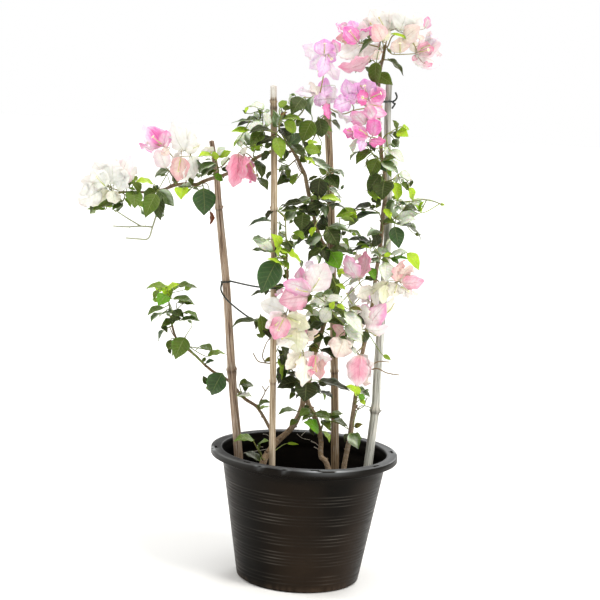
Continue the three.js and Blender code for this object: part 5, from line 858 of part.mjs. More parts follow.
    ["blade",146,1,[73,20,548.3],[57.4,29.9,562.8],[0.718,0.124,0.685],16.3,0.056,0.13],
    ["blade",149,0,[76.7,30.7,540.2],[91.8,58.9,536],[0.375,-0.064,0.925],22.4,0.079,0.15],
    ["blade",155,0,[70,34.8,541.3],[64,53.8,556.7],[0.836,-0.165,0.524],16.3,0.067,0.19],
    ["blade",162,0,[70.5,48.3,533.2],[89.7,56,542.8],[0.024,-0.418,0.908],15.4,0.087,0.16],
    ["blade",683,0,[70.5,52.3,532.8],[80.7,73.7,536.1],[-0.217,-0.044,0.975],15.8,0.086,0.13],
    ["blade",179,0,[109.9,2.7,543.3],[126.8,10.4,564.4],[-0.795,0.281,0.537],17.9,0.066,0.13],
    ["blade",183,0,[100.5,11.4,546.2],[85.2,11.8,569.2],[0.469,0.832,0.296],18.9,0.077,0.09],
    ["blade",192,1,[97.2,27.1,549.3],[84.6,35.2,569.9],[0.845,0.389,0.367],16.7,0.078,0.13],
    ["blade",193,0,[102.6,37.8,538.8],[120.2,53.8,520.6],[-0.06,0.779,0.624],19.2,0.092,0.19],
    ["blade",199,0,[95.9,47.4,543.2],[102.2,69.9,539.1],[0.247,0.106,0.963],15.5,0.076,0.14],
  ],
  leaf_shoot_right_low: [
    ["twig",[[103.6,-5.3,579.3],[106.1,-11.8,579.9],[108.5,-18.5,581.2],[111.1,-24.9,583],[114.5,-30.2,586.2],[118.7,-33,591.2],[123.9,-34.9,595.8],[130.1,-35.9,599.3],[136.8,-36.1,601.8],[143.7,-36,603.8]],[1.61,1.41,1.37,1.31,1.25,1.17,1.08,0.99,0.9,0.8]],
    ["twig",[[104.2,-6.1,609.3],[106.5,-13.1,610.7],[108.8,-20,613.2],[112.9,-26.2,613.6],[118.8,-30.5,611.2],[125.3,-33.7,612.8],[131.2,-35.5,617.4],[138.3,-36.9,619.8],[145.9,-37.8,620.4],[153.4,-38.9,621.9],[160.8,-40,623.8]],[1.26,1.14,1.1,1.05,1,0.94,0.9,0.85,0.79,0.75,0.69]],
    ["branch",117,[[168.8,-41.4,623.4],[176.7,-42.1,622.3],[184.5,-42,619.9],[192.1,-42,617.2]],[0.67,0.63,0.61,0.57]],
    ["branch",37,[[125.4,-23.5,595.6],[126.9,-12,594.8],[128.8,-0.6,593.4],[131.5,10.1,590.1],[135,20,585.1]],[1.25,1.2,1.13,1.06,0.98]],
    ["branch",159,[[131.1,5,598.2],[134.4,16.7,602],[137.4,28.5,605.3],[140,40.6,608.3],[142.2,53,610.2],[143.3,65.6,610.1],[144,78.3,609.2]],[1.28,1.23,1.18,1.14,1.09,1.03,0.98]],
    ["join",1,61,[[104,-6.9,584],[103.8,-7.2,591.6],[103.8,-7.3,596.2],[104.1,-7.4,603.6]]],
    ["blade",95,1,[116.3,-50,619.6],[107.5,-33.4,598.4],[-0.839,-0.539,-0.076],19.1,0.06,0.17],
    ["blade",78,1,[102.7,-41.5,606.6],[111.7,-53.2,591],[0.281,-0.683,0.674],14.3,0.068,0.14],
    ["blade",123,1,[154.6,-46,605.2],[128.8,-63.2,606.6],[0.28,-0.346,0.896],20.3,0.16,0.24],
    ["blade",35,1,[119,-46,579.8],[127.7,-54,546.8],[0.146,-0.952,0.269],24.8,0.06,0.1],
    ["blade",55,0,[158.2,-41,603.5],[160.8,-52,622.3],[-0.968,-0.25,-0.009],13.9,0.108,0.19],
    ["blade",21,1,[102.3,-44,588],[118.8,-57.1,586.2],[-0.361,-0.557,0.748],15.1,0.116,0.22],
    ["blade",140,0,[159.1,-39,603.4],[142.8,-24.4,616.1],[0.389,-0.32,0.864],17.2,0.096,0.23],
    ["blade",29,1,[121.3,-40.5,584.9],[165,-40.5,560.1],[0.485,-0.194,0.853],30,0.14,0.11],
    ["blade",253,0,[125.3,-42,618],[134.5,-48.3,614.3],[-0.297,-0.768,0.568],5.9,0.104,0.12],
    ["blade",34,1,[123.8,-40,594.4],[154.5,-40,600.8],[-0.067,-0.945,0.319],17.7,0.1,0.21],
    ["blade",83,0,[118.2,-40,608.9],[128.9,-46.8,606.9],[-0.318,-0.688,0.652],6.4,0.119,0.24],
    ["blade",131,1,[188,-36.7,617.8],[195.6,-38.7,616.8],[-0.2,-0.924,0.326],4.8,0.077,0.16],
    ["blade",27,1,[126.6,-57.9,584.4],[149.6,-76.5,595.9],[-0.666,-0.462,0.586],18.6,0.12,0.2],
    ["blade",81,0,[120.4,-30.2,613.2],[142.6,-15.3,615.4],[0.127,-0.424,0.897],17.9,0.055,0.24],
    ["blade",97,0,[144.7,-28,618.8],[162.8,-43,614],[-0.352,-0.643,0.68],14.6,0.111,0.24],
    ["blade",48,1,[145,-34,584.9],[154,-26.3,574.6],[0.716,-0.69,0.106],7.9,0.084,0.16],
    ["blade",154,0,[131.4,-14,598.9],[154,-2.8,615],[-0.643,0.262,0.72],19.8,0.053,0.22],
    ["blade",156,0,[131.7,-8,594.4],[152.6,5.1,602.8],[-0.183,-0.214,0.96],18.1,0.097,0.09],
    ["blade",179,0,[138.7,8.1,597.1],[159.3,13.3,597.6],[-0.101,-0.25,0.963],16.1,0.076,0.13],
    ["blade",165,1,[137.7,5.3,593.5],[160.8,11.9,595.9],[-0.056,-0.161,0.985],15.4,0.105,0.09],
    ["blade",162,0,[135.3,8,587.1],[155.7,5.1,569.3],[0.655,-0.021,0.755],18.9,0.05,0.16],
    ["blade",173,0,[139.6,26.2,587.2],[159.1,51.8,595.6],[0.029,-0.333,0.942],21.5,0.096,0.2],
    ["blade",186,0,[138.2,16.4,600.9],[151.4,32.3,590.2],[0.137,0.477,0.868],15.9,0.05,0.16],
    ["blade",192,0,[145.5,31.8,605.9],[168.2,38.1,606.6],[-0.03,-0.005,1],15.4,0.094,0.12],
    ["blade",198,0,[141.6,45.7,603.9],[146.9,62,589],[0.367,0.561,0.742],16,0.065,0.17],
    ["blade",207,0,[138.4,64.5,608.5],[120.8,80.9,601.2],[-0.373,0.012,0.928],17.5,0.106,0.09],
    ["blade",210,0,[149.7,70.6,608.3],[171.1,77.9,603.1],[0.013,0.559,0.829],15.5,0.1,0.21],
    ["blade",216,0,[149.5,84.6,608],[170.7,109,603.2],[-0.086,0.262,0.961],20.6,0.074,0.1],
  ],
  leaf_shoot_right_mid: [
    ["twig",[[102.1,-5.1,645.8],[101.6,-13.4,646.5],[101.1,-21.6,647.6],[100.4,-29.9,648.8],[99.3,-38,650.4]],[1.61,1.4,1.35,1.25,1.15]],
    ["branch",1,[[104.1,-12.4,646.6],[106.2,-19.7,647.4],[108.9,-26.6,648.9],[113.2,-31.5,652.6],[119.3,-34.9,655.5],[126.5,-37.2,655.8],[132.8,-38.9,652.4],[137.5,-40,646.5]],[1.44,1.38,1.31,1.22,1.12,1.02,0.91,0.8]],
    ["twig",[[102,-6,618.6],[99.4,-13.5,618.6],[96.9,-21.1,618.5],[93.5,-28.2,617.6],[88.5,-34,615.3]],[1.15,1.05,1.02,0.98,0.92]],
    ["branch",97,[[90.6,-21.5,618.7],[91.7,-10.1,621.4],[92.9,1.5,623.5],[94.2,13.1,624.7],[95.8,24.6,623.5],[97.4,36,620.9]],[1.26,1.22,1.16,1.1,1.05,0.98]],
    ["join",5,76,[[102.3,-6.9,638.1],[102.2,-7.1,632.5],[102,-7.3,625.3]]],
    ["blade",25,1,[98.6,-56,649.9],[95.5,-78,622.8],[-0.234,-0.742,0.628],34.9,0.06,0.12],
    ["blade",22,1,[92.1,-50.5,659.2],[73.1,-50.5,628.8],[-0.469,-0.834,0.292],23.2,0.06,0.25],
    ["blade",100,0,[84.6,-48,620],[95.5,-58.7,612.1],[-0.108,-0.656,0.747],11.7,0.097,0.23],
    ["blade",24,0,[79.8,-46,635.8],[88,-60.6,619.5],[-0.066,-0.76,0.647],16.7,0.063,0.2],
    ["blade",60,0,[124.9,-44,646.8],[139.5,-33.1,634.5],[0.74,-0.539,0.403],14.9,0.105,0.24],
    ["blade",94,0,[95,-44,616.4],[87.6,-51.6,606.5],[0.034,-0.805,0.592],8,0.072,0.12],
    ["blade",53,1,[113.3,-42,647.6],[123.5,-32.7,618],[0.707,-0.707,0.021],22.9,0.08,0.19],
    ["blade",58,0,[121,-42,661.2],[142.8,-24.8,650.5],[0.673,-0.55,0.495],17.9,0.14,0.17],
    ["blade",74,0,[137.9,-40,640.3],[145.6,-24.9,620.2],[0.816,-0.567,-0.116],16.6,0.1,0.13],
    ["blade",23,0,[88.9,-40,629.7],[96.1,-32.9,619.5],[0.475,-0.842,-0.255],7.2,0.075,0.19],
    ["blade",68,0,[142.9,-34.5,651.9],[139.3,-41.4,641.3],[-0.234,-0.777,0.584],6.6,0.081,0.14],
    ["blade",112,0,[89.8,-10.9,629.1],[84.8,-2.9,656.6],[-0.977,-0.172,-0.128],20.2,0.11,0.1],
    ["blade",158,0,[90.5,-11.1,628.2],[83.8,2.3,655.3],[0.829,-0.392,0.398],21.1,0.051,0.16],
    ["blade",121,0,[89,5.5,624.6],[71.6,21.4,629.3],[0.194,-0.076,0.978],15.4,0.054,0.15],
    ["blade",135,0,[97.7,32.1,629.9],[103.1,47.6,653.9],[0.135,-0.845,0.517],20.5,0.07,0.16],
    ["blade",137,0,[101.5,39.5,624.1],[117.5,53.1,636.5],[-0.668,0.117,0.735],15.8,0.092,0.15],
  ],
  leaf_shoot_right_top: [
    ["twig",[[93.5,-4,694.8],[93.5,-9.3,698.6],[93.2,-13.6,705.1],[93.6,-18.8,710.9],[95.5,-23.7,716.6],[100,-27.6,721.5],[106.8,-30.1,724.2],[114.2,-32,726]],[1.84,1.56,1.44,1.35,1.24,1.12,1.01,0.92]],
    ["twig",[[93.3,-3.9,682.1],[90.2,-10.9,682.3],[87,-17.8,683.2],[83.1,-23.7,685.8],[78.7,-28.1,690.3],[74.2,-32,695.1]],[1.26,1.12,1.07,1.01,0.97,0.92]],
    ["twig",[[100.6,-5,661],[101.3,-11.7,664],[101.3,-17.7,669.1],[100.4,-23.2,674.8],[98.6,-28,680.8]],[1.26,1.12,1.06,0.99,0.92]],
    ["branch",97,[[95.7,-14.2,673.3],[91.7,-3.6,670.1],[88.1,7.3,667.5],[85.2,18.4,665.1],[83.4,29.8,663.1],[82.5,41.3,661.2]],[1.26,1.22,1.16,1.1,1.05,0.98]],
    ["branch",118,[[87.7,12.6,668.6],[85.2,24.8,667.8],[83,37,666.5],[81.2,49.1,664.2],[80.2,60.7,659.8],[79.7,71.7,654.1]],[1.26,1.21,1.16,1.1,1.03,0.98]],
    ["join",0,45,[[93,-4.9,689.9],[92.9,-5.2,688.5]]],
    ["join",5,77,[[94.4,-5,689.7],[95.7,-5.2,682.6],[96.9,-5.3,677],[98.1,-5.5,672.1],[99.6,-5.7,665.8]]],
    ["blade",74,1,[91.5,-54,677.9],[119.3,-54,665.6],[0.251,-0.783,0.569],17.4,0.08,0.17],
    ["blade",230,1,[86.7,-50,683.6],[77.2,-39.6,656.2],[-0.385,-0.899,-0.207],24,0.06,0.2],
    ["blade",75,1,[74.4,-48,696.6],[52.3,-59.4,674.4],[-0.38,-0.614,0.692],21.1,0.08,0.18],
    ["blade",67,0,[94.7,-46,681.5],[113.9,-58.2,686.3],[-0.482,-0.471,0.738],15.3,0.106,0.13],
    ["blade",72,1,[54.2,-44,712.2],[47.5,-58.5,689.4],[-0.752,-0.435,0.496],19.8,0.1,0.16],
    ["blade",101,1,[99.8,-41,678.5],[119.5,-53.6,674.1],[-0.084,-0.441,0.894],16.8,0.066,0.14],
    ["blade",61,0,[87.6,-42.5,674.7],[100,-54.8,665.3],[-0.297,-0.75,0.591],12.9,0.084,0.16],
    ["blade",71,0,[58.5,-42,693.1],[42.1,-55.1,678.9],[-0.568,-0.161,0.807],16.3,0.073,0.19],
    ["blade",69,1,[68.5,-40,707.5],[81.9,-54.4,695],[0.174,-0.549,0.818],14.4,0.051,0.12],
    ["blade",358,0,[95.3,-40,699.8],[107.7,-26.8,686],[0.757,-0.651,0.053],13.7,0.053,0.19],
    ["blade",100,0,[103.6,-40,667],[108.6,-47.5,656.1],[-0.021,-0.827,0.561],7.2,0.11,0.17],
    ["blade",36,1,[107.2,-38,722],[119.6,-29.9,715.4],[0.634,-0.685,0.359],10.8,0.095,0.17],
    ["blade",43,0,[115.4,-36,727.7],[130.6,-49.3,720.6],[-0.44,-0.761,0.476],19.2,0.1,0.17],
    ["blade",29,0,[105,-36,696.3],[128.7,-36,678.3],[0.331,-0.837,0.436],18.6,0.1,0.19],
    ["blade",40,0,[114.7,-34,727.6],[106.2,-44.6,743.6],[0.863,-0.486,0.138],14.7,0.056,0.14],
    ["blade",35,0,[110.3,-31,714.2],[117.5,-42.2,701.9],[-0.127,-0.769,0.626],12.8,0.068,0.19],
    ["blade",114,0,[87.6,2.2,660.8],[79.2,7.6,635.7],[0.473,0.881,0.033],18.1,0.057,0.14],
    ["blade",127,1,[83.8,25.9,657.3],[82.8,32.1,634.6],[0.719,0.677,0.153],15.7,0.067,0.18],
    ["blade",138,0,[83.8,43.5,656.3],[89.7,53.3,635],[0.012,0.907,0.421],16.1,0.083,0.12],
    ["blade",145,0,[85.9,24.7,663.5],[88.2,37.9,633.6],[-0.659,0.706,0.26],22.9,0.051,0.13],
    ["blade",155,0,[90.2,33.8,669.7],[115.6,46.5,680.1],[-0.425,0.113,0.898],19.4,0.068,0.11],
    ["blade",157,0,[89.2,42.3,664.2],[110.1,53.6,657.4],[0.056,0.432,0.9],16.3,0.086,0.19],
    ["blade",513,1,[84.5,50.9,657.1],[92.9,59.2,634.5],[0.846,0.315,0.43],16.5,0.062,0.13],
    ["blade",168,0,[85,58.3,663.8],[106.5,75.7,670.5],[-0.06,-0.292,0.954],18.8,0.103,0.21],
    ["blade",173,0,[82.1,68.2,660.9],[93.7,96.4,675.7],[-0.059,-0.443,0.894],23.3,0.102,0.21],
    ["blade",175,0,[80.1,79.1,656.2],[81.3,102.5,662.8],[0.316,-0.273,0.908],16.1,0.103,0.19],
  ],
  leaf_shoot_stem_right: [
    ["twig",[[76.4,1.4,287.4],[76.7,-1.7,290.8],[77.2,-1.6,298.3],[77.8,-5.4,304.2],[78.4,-12,307.9]],[1.77,1.5,1.39,1.26,1.13]],
    ["twig",[[79.2,4,275.8],[82,1.3,279],[84.7,-1,284.5],[90.1,-5.2,286.3],[96,-9,286.7],[102.2,-12,284.9]],[1.13,1,0.94,0.88,0.84,0.76]],
    ["join",3,27,[[78.2,1.2,282.7],[78.5,1.6,281.4]]],
    ["blade",25,0,[76.4,-26,307.2],[58.4,-42.6,323.8],[0.789,-0.358,0.498],19.6,0.12,0.25],
    ["blade",21,0,[79.7,-24,306.2],[92.3,-16.3,300.6],[0.578,-0.791,0.201],9.8,0.053,0.18],
    ["blade",88,0,[79,-22,306.6],[76.7,-11.8,321.5],[0.575,-0.632,0.519],11.6,0.076,0.19],
    ["blade",16,0,[84.5,-15,298.3],[92.6,-22.2,291.2],[-0.155,-0.775,0.613],8.2,0.093,0.17],
    ["blade",24,0,[81,-12,317.7],[91.2,-5.1,310.5],[0.59,-0.805,0.062],7.4,0.075,0.13],
    ["blade",29,0,[77.9,-8,252.5],[90.1,-16.1,259],[-0.612,-0.765,0.2],9.1,0.096,0.11],
    ["blade",18,0,[85,-1,309.4],[99.5,-11.5,302.5],[-0.039,-0.587,0.808],11.9,0.097,0.17],
  ],
  leaf_shoot_top: [
    ["twig",[[85.2,-3,834.6],[83,-8.3,832.6],[80.2,-13.1,829],[77.7,-17.6,825],[77.9,-19.3,818.8],[79,-20,812.4]],[1.72,1.44,1.31,1.22,1.13,1.03]],
    ["branch",1,[[89,-6.9,834.8],[92.9,-10.7,834.9],[96.6,-14.4,834],[100.3,-18,832]],[1.2,1.12,1.02,0.92]],
    ["twig",[[87.3,-3.4,849.2],[85.9,-8.5,851.4],[85.3,-12.7,856.5],[84.1,-17.2,861.2],[81,-22,864.5]],[1.26,1.13,1.07,1.01,0.92]],
    ["branch",79,[[74.5,-11.8,867.5],[67.8,-1.6,870.2],[60.7,8.4,872.6],[53.1,18.2,874.2],[44.6,27.2,873.7],[35.6,35.7,872]],[1.26,1.22,1.16,1.1,1.05,0.98]],
    ["join",34,62,[[85.4,-4.5,839.3],[86.1,-4.6,844.2]]],
    ["blade",16,1,[69.4,-13,832.6],[43.5,-13,813.6],[-0.483,-0.58,0.656],19.9,0.14,0.26],
    ["blade",82,1,[75.2,-46,830.3],[76.1,-46,791.3],[-0.548,-0.837,-0.013],24.6,0.06,0.15],
    ["blade",31,1,[79.7,-22,810.9],[102.3,-38.9,797.6],[-0.339,-0.818,0.465],21.8,0.1,0.1],
    ["blade",47,1,[94.5,-20,836.3],[120,-20,812.4],[0.614,-0.437,0.657],21.5,0.05,0.23],
    ["blade",176,1,[83.4,-16,806.5],[85.3,-21.6,797.3],[0.087,-0.84,0.536],6.4,0.085,0.14],
    ["blade",33,1,[92,-2,851.7],[100.4,4,846.1],[0.569,-0.822,-0.02],5.9,0.057,0.22],
    ["blade",97,1,[65.6,-4,877.9],[61.2,-3.5,899.9],[-0.258,0.965,-0.053],15.3,0.063,0.19],
    ["blade",98,1,[58.3,2.8,872.9],[25.9,-1.3,880.3],[0.144,0.457,0.878],21.5,0.052,0.12],
    ["blade",105,1,[61.6,14.6,876.3],[70.3,32.5,890.1],[-0.317,-0.475,0.821],17,0.1,0.15],
    ["blade",284,1,[56.3,20.9,872.9],[64.5,41.1,868],[0.053,0.215,0.975],15.7,0.082,0.1],
    ["blade",110,0,[42.7,19,871.9],[24,7.2,864.8],[-0.175,-0.289,0.941],16.1,0.091,0.15],
    ["blade",113,0,[39.6,32.6,865.6],[32.2,41.4,844.2],[-0.884,0.236,0.403],16.7,0.064,0.21],
    ["blade",119,0,[31.2,36.3,870.6],[10.3,39,863.9],[-0.32,-0.22,0.922],14.8,0.066,0.09],
  ],
  leaf_shoot_under_bracts: [
    ["twig",[[-8.1,-3.9,296.5],[-9,-10.3,297.5],[-10.2,-17.2,300.4],[-11.3,-24,303.5],[-12.3,-30.5,307.2],[-12.7,-36.4,311.8],[-12.7,-41.5,317.4],[-13.2,-46,323.4],[-15.9,-49.3,329.6],[-19.5,-51.6,335.8],[-23.5,-53.6,342],[-27.6,-55.1,348.1],[-31.3,-56.2,354.6],[-34.7,-56.9,361.3],[-37.9,-57.5,368.1],[-41.1,-58,374.9]],[1.95,1.76,1.7,1.67,1.62,1.56,1.51,1.44,1.36,1.28,1.21,1.14,1.08,1.02,0.98,0.92]],
    ["twig",[[-5.4,-3.8,305.2],[-2.2,-8.5,306.7],[0.8,-13.8,310.7],[3.7,-19.1,314.7],[6.8,-24.4,318.7],[10.1,-29.6,322.5],[13.9,-34.8,325.9],[18,-40,329]],[1.38,1.21,1.17,1.14,1.1,1.06,0.99,0.92]],
    ["branch",79,[[-30.8,-46.9,368],[-25.4,-36.7,371.7],[-19.7,-26.7,375.7],[-13.7,-17.1,380],[-7.5,-7.7,384.5],[-0.5,1,389.2],[7.3,8.8,394.3],[15.4,16.3,399.4]],[1.28,1.24,1.2,1.16,1.12,1.08,1.02,0.98]],
    ["join",1,95,[[-6.5,-5.3,300.1],[-6.1,-5.3,300.9]]],
    ["blade",59,1,[-4.2,-71.9,332],[-4.8,-85.3,303.6],[0.238,-0.881,0.409],39.3,0.1,0.25],
    ["blade",72,1,[-33,-64,343.9],[-15.4,-75.5,338.4],[0.026,-0.404,0.915],13.4,0.095,0.14],
    ["blade",53,1,[-15.1,-62,330.3],[-48.8,-62,318],[-0.251,-0.682,0.687],25.5,0.107,0.2],
    ["blade",88,1,[-50.6,-62,365.5],[-41.7,-62,331.2],[0.936,-0.255,0.243],22.9,0.053,0.14],
    ["blade",47,0,[-21.2,-60,312.9],[-28.3,-68.6,302.2],[-0.002,-0.779,0.627],8.9,0.117,0.13],
    ["blade",80,1,[-34.4,-56,367],[-46.1,-71.4,386.3],[0.863,-0.487,0.135],18.2,0.054,0.12],
    ["blade",49,0,[0.9,-56,324.6],[20.6,-39.6,311.4],[0.73,-0.526,0.437],18.2,0.115,0.2],
    ["blade",75,1,[-33.7,-52,353.7],[-47.7,-52,322.6],[-0.674,-0.674,0.303],23.9,0.069,0.24],
    ["blade",241,1,[16.2,-55,332.4],[66.5,-55,317.8],[0.271,-0.231,0.934],30,0.04,0.24],
    ["blade",64,1,[-39.9,-46.5,350.7],[-49.9,-58.8,379.2],[0.863,-0.498,0.087],20.9,0.069,0.18],
    ["blade",136,1,[-28,-44,360.6],[-33,-25.4,333],[-0.808,-0.547,-0.22],20.8,0.114,0.26],
    ["blade",125,1,[18.8,-44,313.8],[39.5,-61.5,307.2],[0.181,-0.152,0.972],17.8,0.055,0.17],
    ["blade",127,0,[20.5,-40,313.1],[26.7,-49.7,300.1],[0.801,-0.226,0.554],12,0.1,0.26],
    ["blade",152,1,[-19.3,-33.8,379.6],[-2.2,-33.5,406.9],[-0.848,-0.012,0.53],22.3,0.097,0.22],
    ["blade",162,0,[-12.7,-10,379.9],[-17.1,17.1,371.8],[0.048,0.293,0.955],18,0.083,0.1],
    ["blade",170,0,[-1,-7.3,387.3],[21.5,-10.3,396.4],[-0.271,0.483,0.833],17,0.076,0.11],
    ["blade",176,0,[0.5,3.3,395.4],[1.1,11.1,427.2],[0.939,0.33,-0.1],22.2,0.066,0.19],
    ["blade",181,1,[6.5,11.3,400.2],[2.9,29.9,426.5],[0.443,-0.703,0.557],21.8,0.08,0.17],
    ["blade",184,1,[15.3,17.7,404.4],[15.2,24.3,428.2],[0.817,-0.554,0.159],17.3,0.095,0.18],
  ],
};

// ---- shapes ----
// A solid for joining and cutting, from a closed geometry.
function solidOf(geometry) {
  let g = geometry.index ? geometry.toNonIndexed() : geometry.clone();
  g.deleteAttribute("normal");
  g.deleteAttribute("uv");
  g = mergeVertices(g, 1e-4);
  return new wasm.Manifold(
    new wasm.Mesh({ numProp: 3, vertProperties: new Float32Array(g.attributes.position.array), triVerts: new Uint32Array(g.index.array) }),
  );
}

// The geometry of a joined solid.
function geometryOf(solid) {
  const m = solid.getMesh();
  const g = new THREE.BufferGeometry();
  const p = new Float32Array(m.numVert * 3);
  for (let i = 0; i < m.numVert; i++) p.set(m.vertProperties.subarray(i * m.numProp, i * m.numProp + 3), i * 3);
  g.setAttribute("position", new THREE.BufferAttribute(p, 3));
  g.setIndex(new THREE.BufferAttribute(new Uint32Array(m.triVerts), 1));
  const flat = g.toNonIndexed();
  flat.computeVertexNormals();
  return flat;
}

// A tapering round bar along a line of points: [x, y, z] with a radius at each, flat caps, sides corners round.
// closed joins the last ring to the first.
function barGeometry(points, radii, sides, closed = false) {
  const P = points.map((p) => new THREE.Vector3(...p));
  const n = P.length;
  const tangent = (i) => {
    const a = closed ? P[(i + n - 1) % n] : P[Math.max(i - 1, 0)];
    const b = closed ? P[(i + 1) % n] : P[Math.min(i + 1, n - 1)];
    return b.clone().sub(a).normalize();
  };
  const pos = [], idx = [];
  let u = new THREE.Vector3(0, 1, 0);
  if (Math.abs(tangent(0).dot(u)) > 0.8) u = new THREE.Vector3(1, 0, 0);
  let t0 = tangent(0);
  u.sub(t0.clone().multiplyScalar(u.dot(t0))).normalize();
  const first = u.clone();
  const frames = [];
  for (let i = 0; i < n; i++) {
    const t = tangent(i);
    u.applyQuaternion(new THREE.Quaternion().setFromUnitVectors(t0, t));
    u.sub(t.clone().multiplyScalar(u.dot(t))).normalize();
    t0 = t;
    frames.push([t.clone(), u.clone()]);
  }
  let twist = 0;
  if (closed) {
    const back = u.clone().applyQuaternion(new THREE.Quaternion().setFromUnitVectors(frames[n - 1][0], frames[0][0]));
    const v = frames[0][0].clone().cross(first);
    twist = Math.atan2(back.dot(v), back.dot(first));
  }
  for (let i = 0; i < n; i++) {
    const [t, uu] = frames[i];
    const v = t.clone().cross(uu);
    for (let k = 0; k < sides; k++) {
      const a = (2 * Math.PI * k) / sides - (twist * i) / n;
      const q = P[i].clone().addScaledVector(uu, Math.cos(a) * radii[i]).addScaledVector(v, Math.sin(a) * radii[i]);
      pos.push(q.x, q.y, q.z);
    }
  }
  const rings = closed ? n : n - 1;
  for (let i = 0; i < rings; i++)
    for (let k = 0; k < sides; k++) {
      const a = i * sides + k, b = i * sides + ((k + 1) % sides), j = ((i + 1) % n) * sides;
      const c = j + k, d = j + ((k + 1) % sides);
      idx.push(a, b, d, a, d, c);
    }
  if (!closed)
    for (let k = 1; k < sides - 1; k++) {
      idx.push(0, k + 1, k);
      const o = (n - 1) * sides;
      idx.push(o, o + k, o + k + 1);
    }
  const g = new THREE.BufferGeometry();
  g.setAttribute("position", new THREE.BufferAttribute(new Float32Array(pos), 3));
  g.setIndex(idx);
  return g;
}


